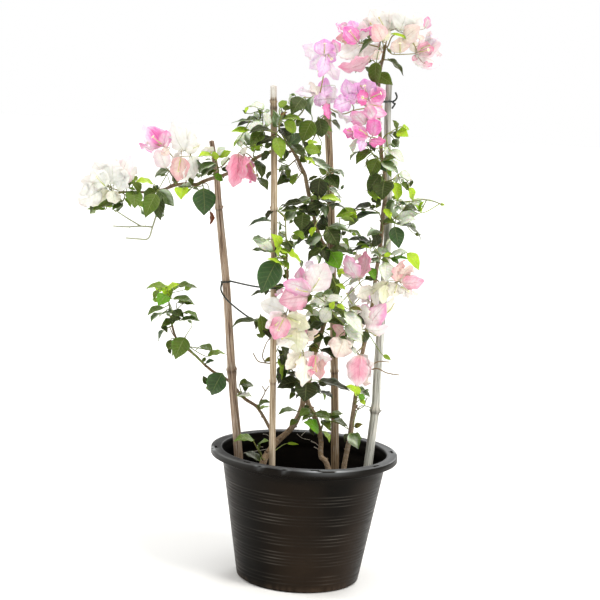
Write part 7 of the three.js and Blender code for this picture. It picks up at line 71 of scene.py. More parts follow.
# leaf shoots (l) and flower clusters (b). T, B and J are a twig, a side twig and a joining twig: points, radii.
# X is a blade: base, tip, facing, width, arch, fold, kind and colour, whether it is at the back, and where its stalk starts.
SHOOTS = {
    "bract_cluster_left_tip": ("b", [
        ("T",((-310.2,-37.1,609),(-314.4,-42.5,611.9),(-321,-47.1,614.6),(-326.2,-52,619.1)),(1.38,1.21,1.13,1.03)),
        ("B",((-311.8,-41.4,604.3),(-315.4,-46.1,602.2),(-320.4,-50,603.9)),(1,0.95,0.92)),
        ("B",((-312.7,-33.4,618.2),(-310.9,-24.5,624.3),(-308.4,-15.5,630.3),(-304.7,-6.3,635),(-299.5,3,638.1)),(1.25,1.2,1.13,1.06,0.98)),
        ("X",(-328.5,-64,616.7),(-349.2,-72,640.6),(0.084,-0.965,-0.25),30.3,0.144,0.08,"Bw*",0,(-324.4,-50.8,617.1)),
        ("X",(-309.9,-64,612.4),(-297.5,-70,646.5),(-0.552,-0.832,0.053),29.2,0.09,0.13,"Bw",0,(-320.4,-50,603.9)),
        ("X",(-317.9,-57.5,620.8),(-320.3,-63.5,660.1),(0.109,0.982,0.157),38.3,0.089,0.08,"Bw",0,(-317.3,-54.4,607)),
        ("X",(-326.7,-55,620.1),(-348.4,-59,654.5),(-0.035,-0.99,-0.137),38.5,0.092,0.15,"Bw",0,(-326.2,-52,619.1)),
        ("X",(-304.2,-56.5,622.3),(-294.2,-60.5,668.4),(0.62,0.782,-0.067),34.4,0.111,0.15,"Bk",0,(-318.4,-49.1,603.3)),
        ("X",(-337,-56,611.8),(-371.2,-60,591.6),(-0.205,0.966,0.156),35.3,0.132,0.11,"Bw",0,(-326.9,-53,619.1)),
        ("X",(-318.9,-58.5,611.5),(-312.7,-71.2,591.9),(0.221,-0.785,0.579),24,0.088,0.07,"Bc",0,(-318.7,-46,613.2)),
        ("X",(-340.2,-52,619.9),(-373.8,-33.3,620.7),(-0.456,-0.805,-0.379),26.6,0.119,0.15,"Bw",0,(-326.9,-53.6,619.8)),
        ("X",(-325.6,-48.5,610.5),(-361.6,-38.5,586.7),(-0.223,0.73,0.646),35.4,0.145,0.11,"By",0,(-326.7,-54.5,619.4)),
        ("X",(-302.8,-50,626.6),(-286.4,-31.8,649.7),(0.28,0.648,-0.708),25.6,0.084,0.14,"Bw",0,(-322.8,-48.3,616.6)),
        ("X",(-306.2,-12.6,628.8),(-287.8,11.6,617.7),(0.193,0.286,0.939),25,0.057,0.15,"Bw",1,(-307.2,-12.1,631.3)),
        ("X",(-305.8,0.6,638),(-333.4,20.9,649.6),(0.476,0.824,-0.307),28.8,0.054,0.09,"Bc",1,(-303.4,-3.1,636.4)),
        ("X",(-303,4,640.4),(-312.8,30.3,661.2),(0.886,0.442,-0.138),28.5,0.058,0.14,"Bw",1,(-303.7,1.6,638.2)),
        ("X",(-299.2,7.8,636.8),(-297.3,39.4,628.1),(-0.995,0.034,-0.091),24.8,0.09,0.14,"Bc",1,(-299.5,3,638.1)),
        ("X",(-298.3,-12.8,639.4),(-306,19.4,639.6),(0.627,0.155,-0.763),24.1,0.062,0.14,"Bc",1,(-302.4,2.6,639.5)),
        ("X",(-351.5,-44.9,617),(-361.2,-52.7,599.7),(0.629,-0.777,-0.024),17.6,0.081,0.18,"Bh",0,(-321,-47.1,614.6)),
        ("X",(-367.5,-46.2,600.8),(-360,-44.2,582),(0.104,-0.99,-0.099),19.1,0.06,0.13,"Bw",0,(-340.2,-52,619.9)),
        ("X",(-349.3,-68.1,620),(-369.8,-64.4,597.6),(-0.483,-0.845,0.231),23.8,0.127,0.24,"Bw",0,(-340.2,-52,619.9)),
        ("X",(-356.4,-50.7,592.1),(-372.7,-41.8,590.6),(-0.513,-0.604,-0.611),15.7,0.071,0.26,"Bh",0,(-340.2,-52,619.9)),
    ]),
    "bract_cluster_left_upper": ("b", [
        ("T",((-222,-32.9,627.2),(-223.2,-37,633.3),(-223.9,-41.1,639.6),(-224.6,-44.7,646.2),(-225.3,-47.6,653.1),(-226.1,-50.3,660.1),(-228,-52.6,666.9),(-232.8,-53.9,672.5),(-237.9,-55,678),(-243,-56,683.4)),(1.49,1.38,1.33,1.3,1.28,1.24,1.21,1.14,1.08,1.03)),
        ("B",((-222.7,-51.9,671),(-217.8,-52.4,676.5),(-212.2,-54,681.3)),(1.12,1.08,1.03)),
        ("B",((-221.1,-50.7,667.8),(-214.7,-49.9,669.6),(-208,-49.9,670.4),(-201.2,-50,670.9)),(1,0.97,0.94,0.92)),
        ("B",((-202.5,-38.7,677),(-202.2,-27.4,682.9),(-202.2,-15.8,688.4),(-202.7,-3.9,693.1),(-204,8.6,695.6),(-206,21.2,696.7)),(1.26,1.22,1.16,1.1,1.05,0.98)),
        ("X",(-244.2,-68,683.8),(-282.1,-50.4,684),(-0.146,-0.323,0.935),28.6,0.12,0.06,"Bm",0,(-241.5,-56.1,681.3)),
        ("X",(-242.9,-66,684.6),(-267.5,-78,713.3),(0.088,-0.944,-0.319),33.3,0.109,0.14,"Bx*",0,(-239.4,-55.9,679.9)),
        ("X",(-215.5,-64,669.2),(-217.9,-70,631.9),(-0.157,-0.973,0.166),31.8,0.117,0.25,"Bs",0,(-214.4,-54,679.9)),
        ("X",(-240.6,-64.4,682),(-239.2,-77.2,710.3),(0.38,-0.775,-0.504),21.4,0.11,0.11,"Bm",0,(-239.3,-59.2,680.3)),
        ("X",(-210,-62,680.2),(-198.4,-68,719.2),(0.411,0.912,0.018),32.6,0.149,0.15,"Bw",0,(-212.2,-54,681.3)),
        ("X",(-248.3,-58,685.5),(-278.4,-46.7,714.1),(0.308,-0.728,0.612),32.3,0.134,0.1,"Be",0,(-243,-56,683.4)),
        ("X",(-212.3,-62.5,679.3),(-230.9,-66.5,723.5),(0.391,0.887,0.245),36.5,0.134,0.13,"Bw",0,(-213.1,-57.9,677.2)),
        ("X",(-199.9,-58,670.6),(-196.4,-39,635.1),(-0.685,0.668,0.29),28.7,0.079,0.15,"Bw",0,(-201.2,-50,670.9)),
        ("X",(-209.6,-55.9,679.1),(-187.3,-40.6,689.1),(0.598,-0.793,-0.118),21.6,0.13,0.08,"Bw",0,(-213.6,-53.5,679.3)),
        ("X",(-202.1,-51,658.6),(-209.7,-67.5,633.7),(-0.881,0.472,-0.044),23,0.111,0.13,"Bw",0,(-203.4,-50,670.2)),
        ("X",(-239.2,-55,649.8),(-251.8,-74.9,680.6),(0.034,-0.846,-0.532),27.4,0.113,0.12,"Bk",0,(-226.3,-48.5,655.3)),
        ("X",(-183.2,-43,671.6),(-167.7,-55.5,686.9),(0.052,-0.746,-0.663),19.7,0.107,0.07,"Bw",0,(-200.7,-52.2,671.2)),
        ("X",(-205.9,-4.5,689.8),(-227.4,22.9,679.8),(0.457,0.034,-0.889),27.4,0.088,0.18,"Bu",1,(-203.1,-7.8,691.2)),
        ("X",(-208,14.2,696.5),(-240.6,18.3,701.5),(0.187,0.427,0.885),26.7,0.096,0.14,"Bw",1,(-205.2,12.7,696.2)),
        ("X",(-209,20.8,697.3),(-235.1,45.1,704.2),(0.641,0.531,0.555),26.6,0.106,0.19,"Bw",1,(-207.5,16.7,696.6)),
        ("X",(-207,23.9,694),(-216.3,48.2,669.4),(-0.125,0.682,0.721),26.8,0.063,0.17,"Bw",1,(-206,21.2,696.7)),
        ("X",(-208.4,44.4,692.9),(-217.3,71.9,667.8),(-0.927,-0.367,-0.074),28,0.055,0.12,"Bk",1,(-205.9,22.3,696.2)),
        ("X",(-233.7,-71.3,680.8),(-245.1,-72.6,671.1),(0.087,-0.996,0.033),14,0.066,0.17,"Bh",0,(-243,-56,683.4)),
        ("X",(-219.3,-65.9,677.7),(-227.4,-55.9,661.6),(0.705,-0.393,-0.59),20,0.081,0.23,"Bw",0,(-212.2,-54,681.3)),
    ]),
    "bract_cluster_mid_left": ("b", [
        ("T",((-37,-71.4,481.4),(-33.9,-75.7,482.5),(-31.7,-80.8,487.2),(-29.4,-86,491.8),(-25.8,-91.4,494.4),(-20.5,-95.4,491.9),(-15.3,-98.5,487.8),(-10.4,-101.4,483.2),(-5.6,-104,478.3)),(1.26,1.2,1.18,1.16,1.14,1.12,1.09,1.06,1.03)),
        ("B",((-28.4,-87.9,486.9),(-29.6,-85.8,479.2),(-31,-84.5,471.4),(-33,-84.7,463.7),(-35.5,-86.7,456.3),(-38.1,-89.7,449.3),(-40.2,-93.2,442.4),(-40.7,-98,436)),(1.24,1.22,1.2,1.17,1.15,1.13,1.09,1.03)),
        ("B",((-23.4,-79.5,465.7),(-13.5,-73.8,469.4),(-4,-67.6,473.5),(5,-61,477.9),(13.1,-53.3,482.4),(20.4,-44.9,486.9)),(1.26,1.22,1.16,1.1,1.05,0.98)),
        ("X",(-42.8,-114,437.5),(-56.8,-124,404.3),(-0.164,-0.923,0.348),32.9,0.077,0.13,"Bp",0,(-40.7,-98,436)),
        ("X",(-5.5,-110,477.5),(-48,-118,490.7),(0.046,-0.913,-0.406),31.3,0.144,0.15,"Bm*",0,(-5.6,-104,478.3)),
        ("X",(-4.1,-108,479.7),(16.1,-114,524.4),(0.116,-0.976,-0.183),43.8,0.091,0.08,"Bk",0,(-5.4,-105.8,478.4)),
        ("X",(-39.8,-105.9,438.1),(-2.5,-118.7,425.1),(-0.361,-0.921,-0.148),31.4,0.073,0.15,"By",0,(-41.6,-103.7,436.8)),
        ("X",(-9.7,-101,469.9),(-52.7,-105,461.1),(-0.009,0.928,-0.373),42.4,0.109,0.1,"Bp",0,(-5.5,-105.9,478.1)),
        ("X",(-44.2,-104,445.2),(-80.4,-87.8,454),(-0.407,-0.913,0.005),33.1,0.107,0.08,"Bw",0,(-40.1,-96.8,438.4)),
        ("X",(-7.1,-84.1,478.7),(-22.8,-100.5,514.3),(0.611,0.581,0.537),33.6,0.146,0.11,"Bm",0,(-7.4,-102.8,479.5)),
        ("X",(-45.5,-100,439.1),(-71.5,-119.8,421.3),(0.672,-0.717,-0.186),29.6,0.085,0.12,"Bk",0,(-40.8,-94.4,440)),
        ("X",(-43.5,-94.4,442),(-52.6,-83.7,423.9),(0.092,0.863,0.498),19,0.103,0.07,"Bh",0,(-42.5,-95.1,441.3)),
        ("X",(2.4,-64.1,480.3),(9.2,-68.8,516.1),(-0.279,0.944,0.175),30.1,0.067,0.13,"Bk",1,(1.6,-62.7,476.6)),
        ("X",(14.9,-46.6,485.6),(3.7,-18.7,497.3),(0.934,0.287,0.215),25.9,0.086,0.14,"Bp",1,(15.3,-50.5,484.4)),
        ("X",(17,-35.6,487.6),(7.9,-9.6,508.7),(0.63,0.609,-0.481),26.8,0.097,0.15,"Bk",1,(20.4,-44.9,486.9)),
        ("X",(20.1,-42.5,491.4),(18.6,-15.7,520.8),(0.647,0.58,-0.495),31.7,0.101,0.11,"Be",1,(17,-46.1,486.4)),
        ("X",(18.5,-24.8,484.6),(6.3,5.5,482.1),(0.095,0.121,0.988),25.5,0.055,0.2,"Bw",1,(20.4,-43.3,490)),
        ("X",(-13.9,-94.9,512.7),(-4.4,-95.4,524.5),(-0.032,-0.999,-0.01),14.3,0.045,0.24,"Be",0,(-10.4,-101.4,483.2)),
        ("X",(5,-40.7,492.6),(-2.7,-53.9,505.3),(-0.47,-0.451,-0.759),17.2,0.129,0.1,"Bk",0,(14.9,-46.6,485.6)),
        ("X",(-51.1,-82.6,477.1),(-55.8,-96.6,466.6),(-0.698,-0.27,0.663),16.2,0.045,0.14,"Bm",0,(-31,-84.5,471.4)),
    ]),
    "bract_cluster_mid_low": ("b", [
        ("T",((-9.2,-5.7,311.4),(-9.1,-8.4,310.9),(-9.2,-15.9,312.2),(-9.3,-23.4,313.5),(-9.4,-30.8,314.8),(-9.5,-38.3,316.3),(-9.7,-45.7,317.7),(-9.8,-53.1,319.4),(-9.9,-60.3,321.8),(-10,-67.6,324.2),(-10.1,-73.3,328.8),(-10.1,-77.4,334.9),(-10,-78.5,342.4),(-10,-79.7,349.9),(-9.7,-82.1,357.1),(-9.4,-85.2,364),(-9.4,-88.1,371),(-10.3,-90.6,378.1),(-12.7,-92.3,385),(-15.7,-93.5,391.9),(-18.3,-94.5,399),(-20.5,-95.3,406.2),(-22.6,-96,413.5)),(1.38,1.32,1.31,1.31,1.3,1.3,1.29,1.28,1.28,1.26,1.25,1.24,1.23,1.21,1.2,1.18,1.16,1.14,1.13,1.1,1.08,1.06,1.03)),
        ("B",((-6.5,-82,358.4),(-2.9,-84.1,364.7),(0.8,-86.7,370.7),(5,-90.2,375.9),(9.3,-94,380.7)),(1.01,0.99,0.98,0.94,0.92)),
        ("B",((-14.3,-79.3,377.3),(-19.2,-69.7,381.2),(-24.4,-60.5,386),(-30.1,-52.1,391.3)),(1.24,1.16,1.08,0.98)),
        ("X",(-9.8,-112,379.6),(-10.9,-122,333.2),(-0.712,0.69,-0.132),33.8,0.101,0.14,"Bc",0,(-16.1,-94.2,394.4)),
        ("X",(-23.6,-107,419.7),(-20,-115,384.1),(0.244,0.951,-0.189),37.7,0.119,0.09,"By",0,(-22.6,-96,413.5)),
        ("X",(-13.2,-106,384.6),(-36,-123.1,359),(0.621,-0.783,-0.033),28.3,0.141,0.15,"Bc",0,(-11.9,-92.4,382.6)),
        ("X",(8.4,-109,381.7),(0.4,-115,348.1),(0.611,-0.791,-0.005),25.8,0.102,0.15,"Bz",0,(9.3,-94,380.7)),
        ("X",(11.9,-93.1,375.3),(17.5,-111.5,343.9),(-0.734,-0.635,0.241),27.6,0.074,0.09,"Bs",0,(8.3,-92.7,378.8)),
        ("X",(-26.9,-107.9,410.4),(-50.3,-125.6,395.6),(-0.013,-0.631,0.776),25.5,0.138,0.08,"Bw",0,(-21.7,-95.8,408.5)),
        ("X",(-8.8,-98.9,400.5),(10,-115.8,420),(0.792,0.42,-0.444),22.9,0.096,0.1,"Bh",0,(-16.5,-93.2,394.4)),
        ("X",(10.6,-98.1,379.3),(32.5,-111.9,376.6),(0.461,0.625,0.629),20.6,0.098,0.15,"Bk",0,(10.5,-93.8,379)),
        ("X",(-12.5,-95.9,376.4),(-24.9,-87.5,371.4),(0.577,0.786,-0.221),15.9,0.126,0.08,"Bc",0,(-11.7,-91.4,380.2)),
        ("X",(-18.5,-64.6,386.4),(-3.3,-48.2,413.6),(-0.854,0.486,0.186),27.4,0.089,0.15,"Bp",1,(-20.4,-66.5,383.2)),
        ("X",(-29.3,-56.8,393.8),(-40.8,-65.9,428.3),(-0.389,0.915,0.11),30.1,0.059,0.1,"Bc",1,(-28.2,-55.2,390.1)),
        ("X",(-30,-50,389.2),(-40.1,-19.3,384.9),(-0.017,0.131,0.991),24.1,0.104,0.13,"Bp",1,(-27.8,-54.5,389.4)),
        ("X",(-28.6,-50.5,394.7),(-14.6,-35,427.2),(-0.606,0.787,-0.112),28.6,0.073,0.14,"Bc",1,(-30.1,-52.1,391.3)),
        ("X",(-33.7,-56.1,393.1),(-67.4,-52.2,403.9),(0.015,0.954,-0.3),28.9,0.099,0.11,"Bc",1,(-30.2,-51.7,392.5)),
        ("X",(-34.3,-25.4,389),(-68.2,-16.8,403.8),(-0.301,0.345,-0.889),27.5,0.078,0.12,"Bk",1,(-29.5,-50.7,393.3)),
        ("X",(-4.2,-82,360.9),(-14.1,-106.3,345.3),(0.695,-0.582,0.422),29.1,0.075,0.29,"Bs",0,(-6.5,-82,358.4)),
        ("X",(-2.3,-79.3,382.1),(-3.5,-93.9,373.5),(-0.101,-0.492,0.865),17.1,0.067,0.23,"Bk",0,(-14.3,-79.3,377.3)),
    ]),
    "bract_cluster_mid_right": ("b", [
        ("T",((84.5,-2.9,393.8),(82.6,-6.5,394),(79,-13,394.3),(75.4,-19.5,394.7),(71.9,-26,395),(68.4,-32.6,395.4),(64.9,-39.1,395.9),(61.7,-45.8,396.6),(58.4,-52.4,397.3),(56.1,-59.3,398.7),(54.3,-66.2,400.6),(53.5,-73.1,403.3),(52.7,-80,406)),(1.26,1.18,1.17,1.16,1.15,1.15,1.14,1.13,1.12,1.1,1.08,1.06,1.03)),
        ("T",((84.2,-2.8,382.7),(83.2,-7.4,382.7),(81.4,-15.1,382.5),(79.7,-22.7,382.4),(78,-30.4,382.2),(76.3,-38,382),(74.8,-45.7,381.9),(73.4,-53.4,381.6),(72.7,-61.2,381.4),(73.9,-68.8,380.8),(76.9,-76,380.1)),(1.15,1.12,1.1,1.09,1.09,1.09,1.08,1.08,1.07,1.06,1.03)),
        ("B",((64,-33.1,400.9),(65.1,-23.1,405.9),(65.9,-13.4,411.6),(66.5,-4.2,418),(66.7,4.6,425.1)),(1.25,1.2,1.13,1.06,0.98)),
        ("J",((84,-4.3,389),(83.9,-4.3,387.7)),(1,1)),
        ("X",(49.3,-92,408.5),(40.1,-104,378.8),(-0.265,0.92,-0.29),39.6,0.096,0.12,"Bh",0,(52.7,-80,406)),
        ("X",(76.3,-90,382.4),(74.4,-100,334.8),(-0.204,0.96,-0.193),41.3,0.134,0.3,"Bz",0,(76.9,-76,380.1)),
        ("X",(50.4,-83.9,408.1),(31.7,-68.2,423.3),(-0.643,-0.766,-0.018),21.7,0.13,0.08,"Bs",0,(52.5,-77.5,405.4)),
        ("X",(79.2,-79.4,381.5),(94.5,-94.8,348.4),(-0.802,-0.584,-0.129),28.2,0.112,0.08,"Bw",0,(76.9,-80.9,381.2)),
        ("X",(53.6,-81.4,408.2),(61.8,-92.8,392.9),(-0.192,0.726,-0.661),15.5,0.129,0.08,"Bc",0,(53.5,-77.7,405.4)),
        ("X",(66.6,-15.1,417.2),(70.7,-26.8,452.7),(-0.272,0.904,0.33),30.8,0.086,0.17,"Bk",1,(66.6,-10.5,414)),
        ("X",(68.9,4.4,419.6),(84.8,34.4,407.2),(-0.801,0.534,0.269),27,0.101,0.11,"Bh",1,(66.6,-0.9,419.9)),
        ("X",(66.5,5.3,426.4),(64.4,40.2,426.5),(0.363,-0.058,0.93),30.8,0.053,0.2,"Bk",1,(66.7,4.6,425.1)),
        ("X",(69.3,6.2,426.8),(93.8,21.2,442.2),(-0.654,0.414,0.634),25.1,0.055,0.08,"Bk",1,(66.7,5,425)),
        ("X",(69.4,19.8,422.3),(85.8,50.5,414.1),(-0.884,0.416,-0.212),27.1,0.065,0.2,"Bs",1,(66.1,5.2,425.7)),
        ("X",(75.5,-20,366.2),(80.4,-36.5,336.7),(-0.602,-0.748,0.28),31.4,0.055,0.17,"Bs",0,(79.7,-22.7,382.4)),
        ("X",(82.6,-81.1,357),(87.6,-58.1,330.6),(-0.797,-0.24,-0.554),29.6,0.104,0.1,"Bh",0,(72.7,-61.2,381.4)),
    ]),
    "bract_cluster_mid_upper": ("b", [
        ("T",((94.6,-3.9,473.8),(92.2,-10.8,474.2),(89.6,-18.2,474.7),(86.9,-25.6,475.3),(84.2,-33,476.2),(81.2,-40.2,477.5),(77.4,-46.4,480.4),(73.2,-51.3,484.9),(69.7,-55.6,490.5),(67.8,-58,497.7)),(1.26,1.2,1.18,1.17,1.16,1.15,1.13,1.1,1.08,1.03)),
        ("B",((76.7,-43.1,471.2),(72,-46.3,465.1),(67.2,-49.8,459.4),(62,-54,454.5)),(1.01,0.99,0.97,0.92)),
        ("B",((89.8,-8.3,471.8),(90.7,3.5,469),(91.8,15.4,466.7),(92.9,27.4,465.1),(94.2,39.5,464),(95.8,51.5,464),(97.4,63.6,464.3)),(1.28,1.23,1.18,1.14,1.09,1.03,0.98)),
        ("X",(65.8,-70,499.8),(45.2,-74,533.3),(0.371,0.867,0.333),28.9,0.095,0.14,"Bm",0,(68.2,-57.7,495)),
        ("X",(69.8,-66,498.8),(76.8,-59.2,540.5),(-0.754,-0.617,0.226),32.5,0.101,0.15,"Bp",0,(69.4,-56.9,492.8)),
        ("X",(61.8,-62,454),(56.8,-45.9,478.3),(-0.805,-0.557,0.204),21,0.079,0.12,"Bw",0,(62,-54,454.5)),
        ("X",(58.6,-38.2,464.8),(58,-48.5,483.3),(0.765,-0.573,-0.295),16,0.074,0.12,"Be",0,(63.3,-52.6,456.5)),
        ("X",(88.3,-51,460.3),(65.6,-36.3,466.5),(-0.546,-0.59,-0.594),21,0.135,0.11,"Bk",0,(75.6,-44.2,468.8)),
        ("X",(96.2,34.5,465.5),(126.4,49.7,477.2),(-0.525,0.537,0.66),27.9,0.065,0.11,"Bw",1,(93.9,31.4,465.1)),
        ("X",(101.5,57.9,464.8),(136.5,61.3,469.3),(0.025,0.691,-0.722),28.5,0.095,0.17,"Bw",1,(96.8,55.5,464.4)),
        ("X",(101.3,67.7,464.2),(124.5,91.4,462.8),(0.678,-0.676,-0.288),26.7,0.07,0.13,"Bl",1,(100.4,59.9,464.9)),
        ("X",(95.9,68.6,462),(87,97.8,448.2),(-0.89,-0.059,0.453),25.5,0.095,0.09,"Bl",1,(97.4,63.6,464.3)),
        ("X",(99.9,65.2,460.7),(118.5,76.8,433.6),(-0.053,0.93,0.364),28.4,0.068,0.18,"Be",1,(96.8,65.1,463.1)),
    ]),
    "bract_cluster_right": ("b", [
        ("T",((97.2,-4.1,475.4),(98.8,-11.3,476.1),(100.3,-18.7,477.7),(102.6,-25.7,479.6),(106.8,-31.2,482.3),(112.5,-35,485.7),(118.6,-38.2,488.9),(125,-41.2,491.6),(131.7,-44,494.2)),(1.38,1.28,1.24,1.22,1.18,1.15,1.12,1.08,1.03)),
        ("T",((93.2,-4.2,445.2),(92.4,-10.5,443.1),(91.2,-16.7,438.7),(90,-22.7,434.1),(88.8,-28.6,429.3),(87.6,-34.4,424.2),(86.5,-40,419.1)),(1.15,1.1,1.09,1.08,1.07,1.05,1.03)),
        ("B",((101.9,-24.3,488.8),(94.8,-15.4,494),(88.4,-6.1,499.4),(82.7,3.6,504.8),(78.4,14.1,509.8),(75.2,25.2,514.5)),(1.26,1.22,1.16,1.1,1.05,0.98)),
        ("J",((96.9,-5.5,470.4),(96.1,-5.6,463.7),(95.4,-5.6,458.7),(94.2,-5.6,451.1)),(1,1,1,1)),
        ("X",(84.6,-70,421.2),(116.6,-90,429.2),(0.186,0.606,0.774),29.7,0.146,0.06,"Bk",0,(86.5,-40,419.1)),
        ("X",(86.4,-64,421.2),(113.2,-68,461.7),(0.429,0.882,-0.196),33.2,0.072,0.07,"Bm",0,(87.4,-38.4,421)),
        ("X",(110.9,-62,489.7),(107.7,-70,460.9),(0.493,-0.851,0.182),21,0.123,0.13,"By",0,(122.5,-40.5,491.2)),
        ("X",(87.5,-60,417.5),(108.9,-73.6,414.5),(-0.516,-0.708,-0.482),19,0.076,0.1,"Bw",0,(86.2,-49.6,419.5)),
        ("X",(129.2,-58,497.3),(133.6,-77.2,533.3),(0.783,-0.504,-0.365),31.1,0.144,0.08,"Bs",0,(129.2,-43.4,493.8)),
        ("X",(85.3,-65.9,424.6),(80.9,-85.7,460.1),(0.823,0.447,0.351),29,0.081,0.16,"Bw",0,(86.9,-46.6,421.8)),
        ("X",(113.7,-54.2,494.1),(90.2,-38.9,462),(0.101,0.918,0.384),29.2,0.111,0.14,"By",0,(128.1,-47.6,495.1)),
        ("X",(85.7,-56,449.1),(75.4,-48.3,455.3),(0.04,0.66,-0.75),11.1,0.132,0.14,"Bm",0,(87.2,-36.7,422.9)),
        ("X",(135.9,-54,493.3),(170.1,-60,499.2),(0.103,0.93,0.352),26.1,0.091,0.14,"Bp",0,(131.7,-44,494.2)),
        ("X",(91.6,-52,481.1),(66.1,-68.9,470.1),(0.601,-0.773,-0.203),24.3,0.095,0.11,"Bc",0,(108.4,-33,483.3)),
        ("X",(133.4,-47.3,498.8),(148.9,-64.3,522.6),(0.287,-0.683,-0.672),24.5,0.074,0.13,"Bh",0,(134.7,-50.1,493.6)),
        ("X",(128.5,-50,490.7),(118.1,-63.4,472.4),(0.363,-0.839,0.406),24,0.089,0.13,"Bc",0,(129.6,-43.3,492.8)),
        ("X",(98,-51,479.8),(97.3,-65.7,457.4),(0.681,0.603,-0.416),18.5,0.108,0.08,"Bw",0,(103.5,-28,480.3)),
        ("X",(143.1,-48,482.8),(164,-64.1,469.6),(0.35,-0.277,0.895),21.2,0.11,0.08,"Bw",0,(133.3,-47.1,493.4)),
        ("X",(133.3,-51.9,486.6),(153.3,-66,477.8),(-0.133,-0.654,0.745),20.5,0.139,0.08,"Bw",0,(127.5,-41.8,492)),
        ("X",(130.6,-36.1,494),(149.3,-49.5,506.1),(-0.133,-0.761,-0.635),19.3,0.099,0.09,"Bc",0,(129.7,-42.5,493.4)),
        ("X",(80.5,1.3,501.9),(44.9,14.4,494.4),(0.156,0.775,0.612),28.3,0.088,0.16,"Bc",1,(84.8,0.7,502.5)),
        ("X",(74.1,22.2,508.8),(56.6,42.7,490.6),(-0.841,-0.435,0.32),23.4,0.068,0.16,"Bw",1,(77,17.9,510.9)),
        ("X",(76.8,25.3,512.1),(83.8,59.2,500.6),(-0.625,-0.131,-0.769),27.5,0.087,0.13,"By",1,(76.4,21.8,512.4)),
        ("X",(75.7,43.5,512.1),(75.6,78.6,503.9),(0.857,-0.117,-0.501),27.1,0.054,0.17,"Bp",1,(75.2,25.2,514.5)),
        ("X",(117.2,2.5,434.8),(125.3,3.8,465.1),(0.85,-0.485,-0.207),30.8,0.053,0.17,"Bc",0,(93.2,-4.2,445.2)),
        ("X",(72.9,5.5,525.9),(56.9,8.9,518.3),(-0.467,-0.402,0.787),18,0.096,0.25,"Bh",0,(77.3,17.8,511.4)),
        ("X",(154.4,-47.2,478.7),(165.3,-37,472.5),(0.726,-0.376,0.576),13.1,0.052,0.22,"Bc",0,(125,-41.2,491.6)),
    ]),
    "bract_cluster_top_left": ("b", [
        ("T",((86.2,-2.5,852.9),(80.1,-7.3,853.6),(73.9,-12,854.5),(67.5,-16.2,855.7),(60.8,-19.9,857.1),(53.8,-23.3,857.8),(46.6,-26,857.1)),(1.38,1.26,1.23,1.18,1.15,1.1,1.03)),
        ("B",((80.8,-7.9,847.6),(76.3,-12.7,842.6),(71.1,-18.1,839.1),(65.7,-24,836.9)),(1.13,1.1,1.07,1.03)),
        ("B",((75.5,-2.7,841.7),(75.6,8.7,841.9),(74.9,20,842),(72.8,31.1,840.7),(69.5,41.7,838.1)),(1.25,1.2,1.13,1.06,0.98)),
        ("X",(45.4,-38,859.1),(20.9,-48,880.2),(0.353,-0.935,-0.034),27.1,0.08,0.14,"Bv*",0,(49.2,-25.6,857)),
        ("X",(48,-36,854),(16.6,-44,836.9),(-0.029,-0.884,0.467),29.2,0.137,0.16,"Bw",0,(56.3,-22.7,857.2)),
        ("X",(44.1,-34,856.1),(12.3,-14.2,864.6),(-0.555,-0.686,-0.471),28.6,0.134,0.08,"Bs",0,(46.6,-26,857.1)),
        ("X",(66.1,-34,836.8),(17.2,-34,818),(-0.298,0.556,0.776),36.3,0.146,0.11,"Bp",0,(65.7,-24,836.9)),
        ("X",(75,-32,867.7),(48.3,-49.5,880.2),(-0.118,-0.448,-0.886),24.9,0.093,0.07,"Bv",0,(78.5,-9.4,854.2)),
        ("X",(44.9,-19,861.8),(31.5,-23,891.3),(-0.238,0.971,0.023),32.1,0.087,0.06,"Bl",0,(49,-25.1,857.9)),
        ("X",(46.9,-28,864),(52.4,-45,891.1),(-0.694,-0.665,-0.276),23.5,0.139,0.06,"Bw",0,(48.8,-22.9,859.6)),
        ("X",(82.8,-28,844.7),(65.1,-39.2,837.4),(-0.603,0.682,0.414),17.7,0.094,0.14,"Bh",0,(79.3,-9.9,846.4)),
        ("X",(52.5,-29,847.5),(19.1,-46.8,833.2),(-0.181,-0.389,0.903),29.1,0.113,0.12,"Bw",0,(58.4,-21,856.7)),
        ("X",(81.8,-9.6,857.3),(57.3,8.2,840),(0.089,0.732,0.675),25.7,0.12,0.11,"Bw",0,(77.7,-8.4,854.3)),
        ("X",(71,22.5,839),(39.1,23.8,813.2),(0.598,0.345,-0.724),31.3,0.082,0.09,"Bv",1,(73.6,23.7,841.9)),
        ("X",(67.4,38.1,838.5),(33.2,41.7,832.9),(0.177,0.153,-0.972),28,0.095,0.09,"Bw",1,(70.1,38,838.7)),
        ("X",(71.9,44.1,840),(81.8,77.2,848.2),(0.514,0.057,-0.856),26.5,0.083,0.21,"Bc",1,(70.6,38.3,839.5)),
        ("X",(66.4,46.3,838.6),(30.4,64.4,843.4),(0.449,0.893,-0.002),33.3,0.057,0.15,"Bk",1,(69.5,41.7,838.1)),
        ("X",(67.3,62.8,836),(41.1,72.8,814.1),(-0.42,0.523,0.742),26.7,0.108,0.19,"Bw",1,(70.3,42.6,839.2)),
        ("X",(69.6,45.9,840.2),(80,82.4,857.6),(-0.734,-0.131,0.666),30.9,0.086,0.12,"Bc",1,(67.9,39.6,838.8)),
        ("X",(19,-23,873.4),(9.6,-35.7,884.6),(0.82,-0.347,0.454),18.4,0.043,0.23,"Bm",0,(44.9,-19,861.8)),
        ("X",(28.6,-12.2,886.6),(16.4,-15.1,877.2),(0.359,-0.912,-0.199),12.6,0.117,0.12,"Bm",0,(44.9,-19,861.8)),
    ]),
    "bract_cluster_top_right": ("b", [
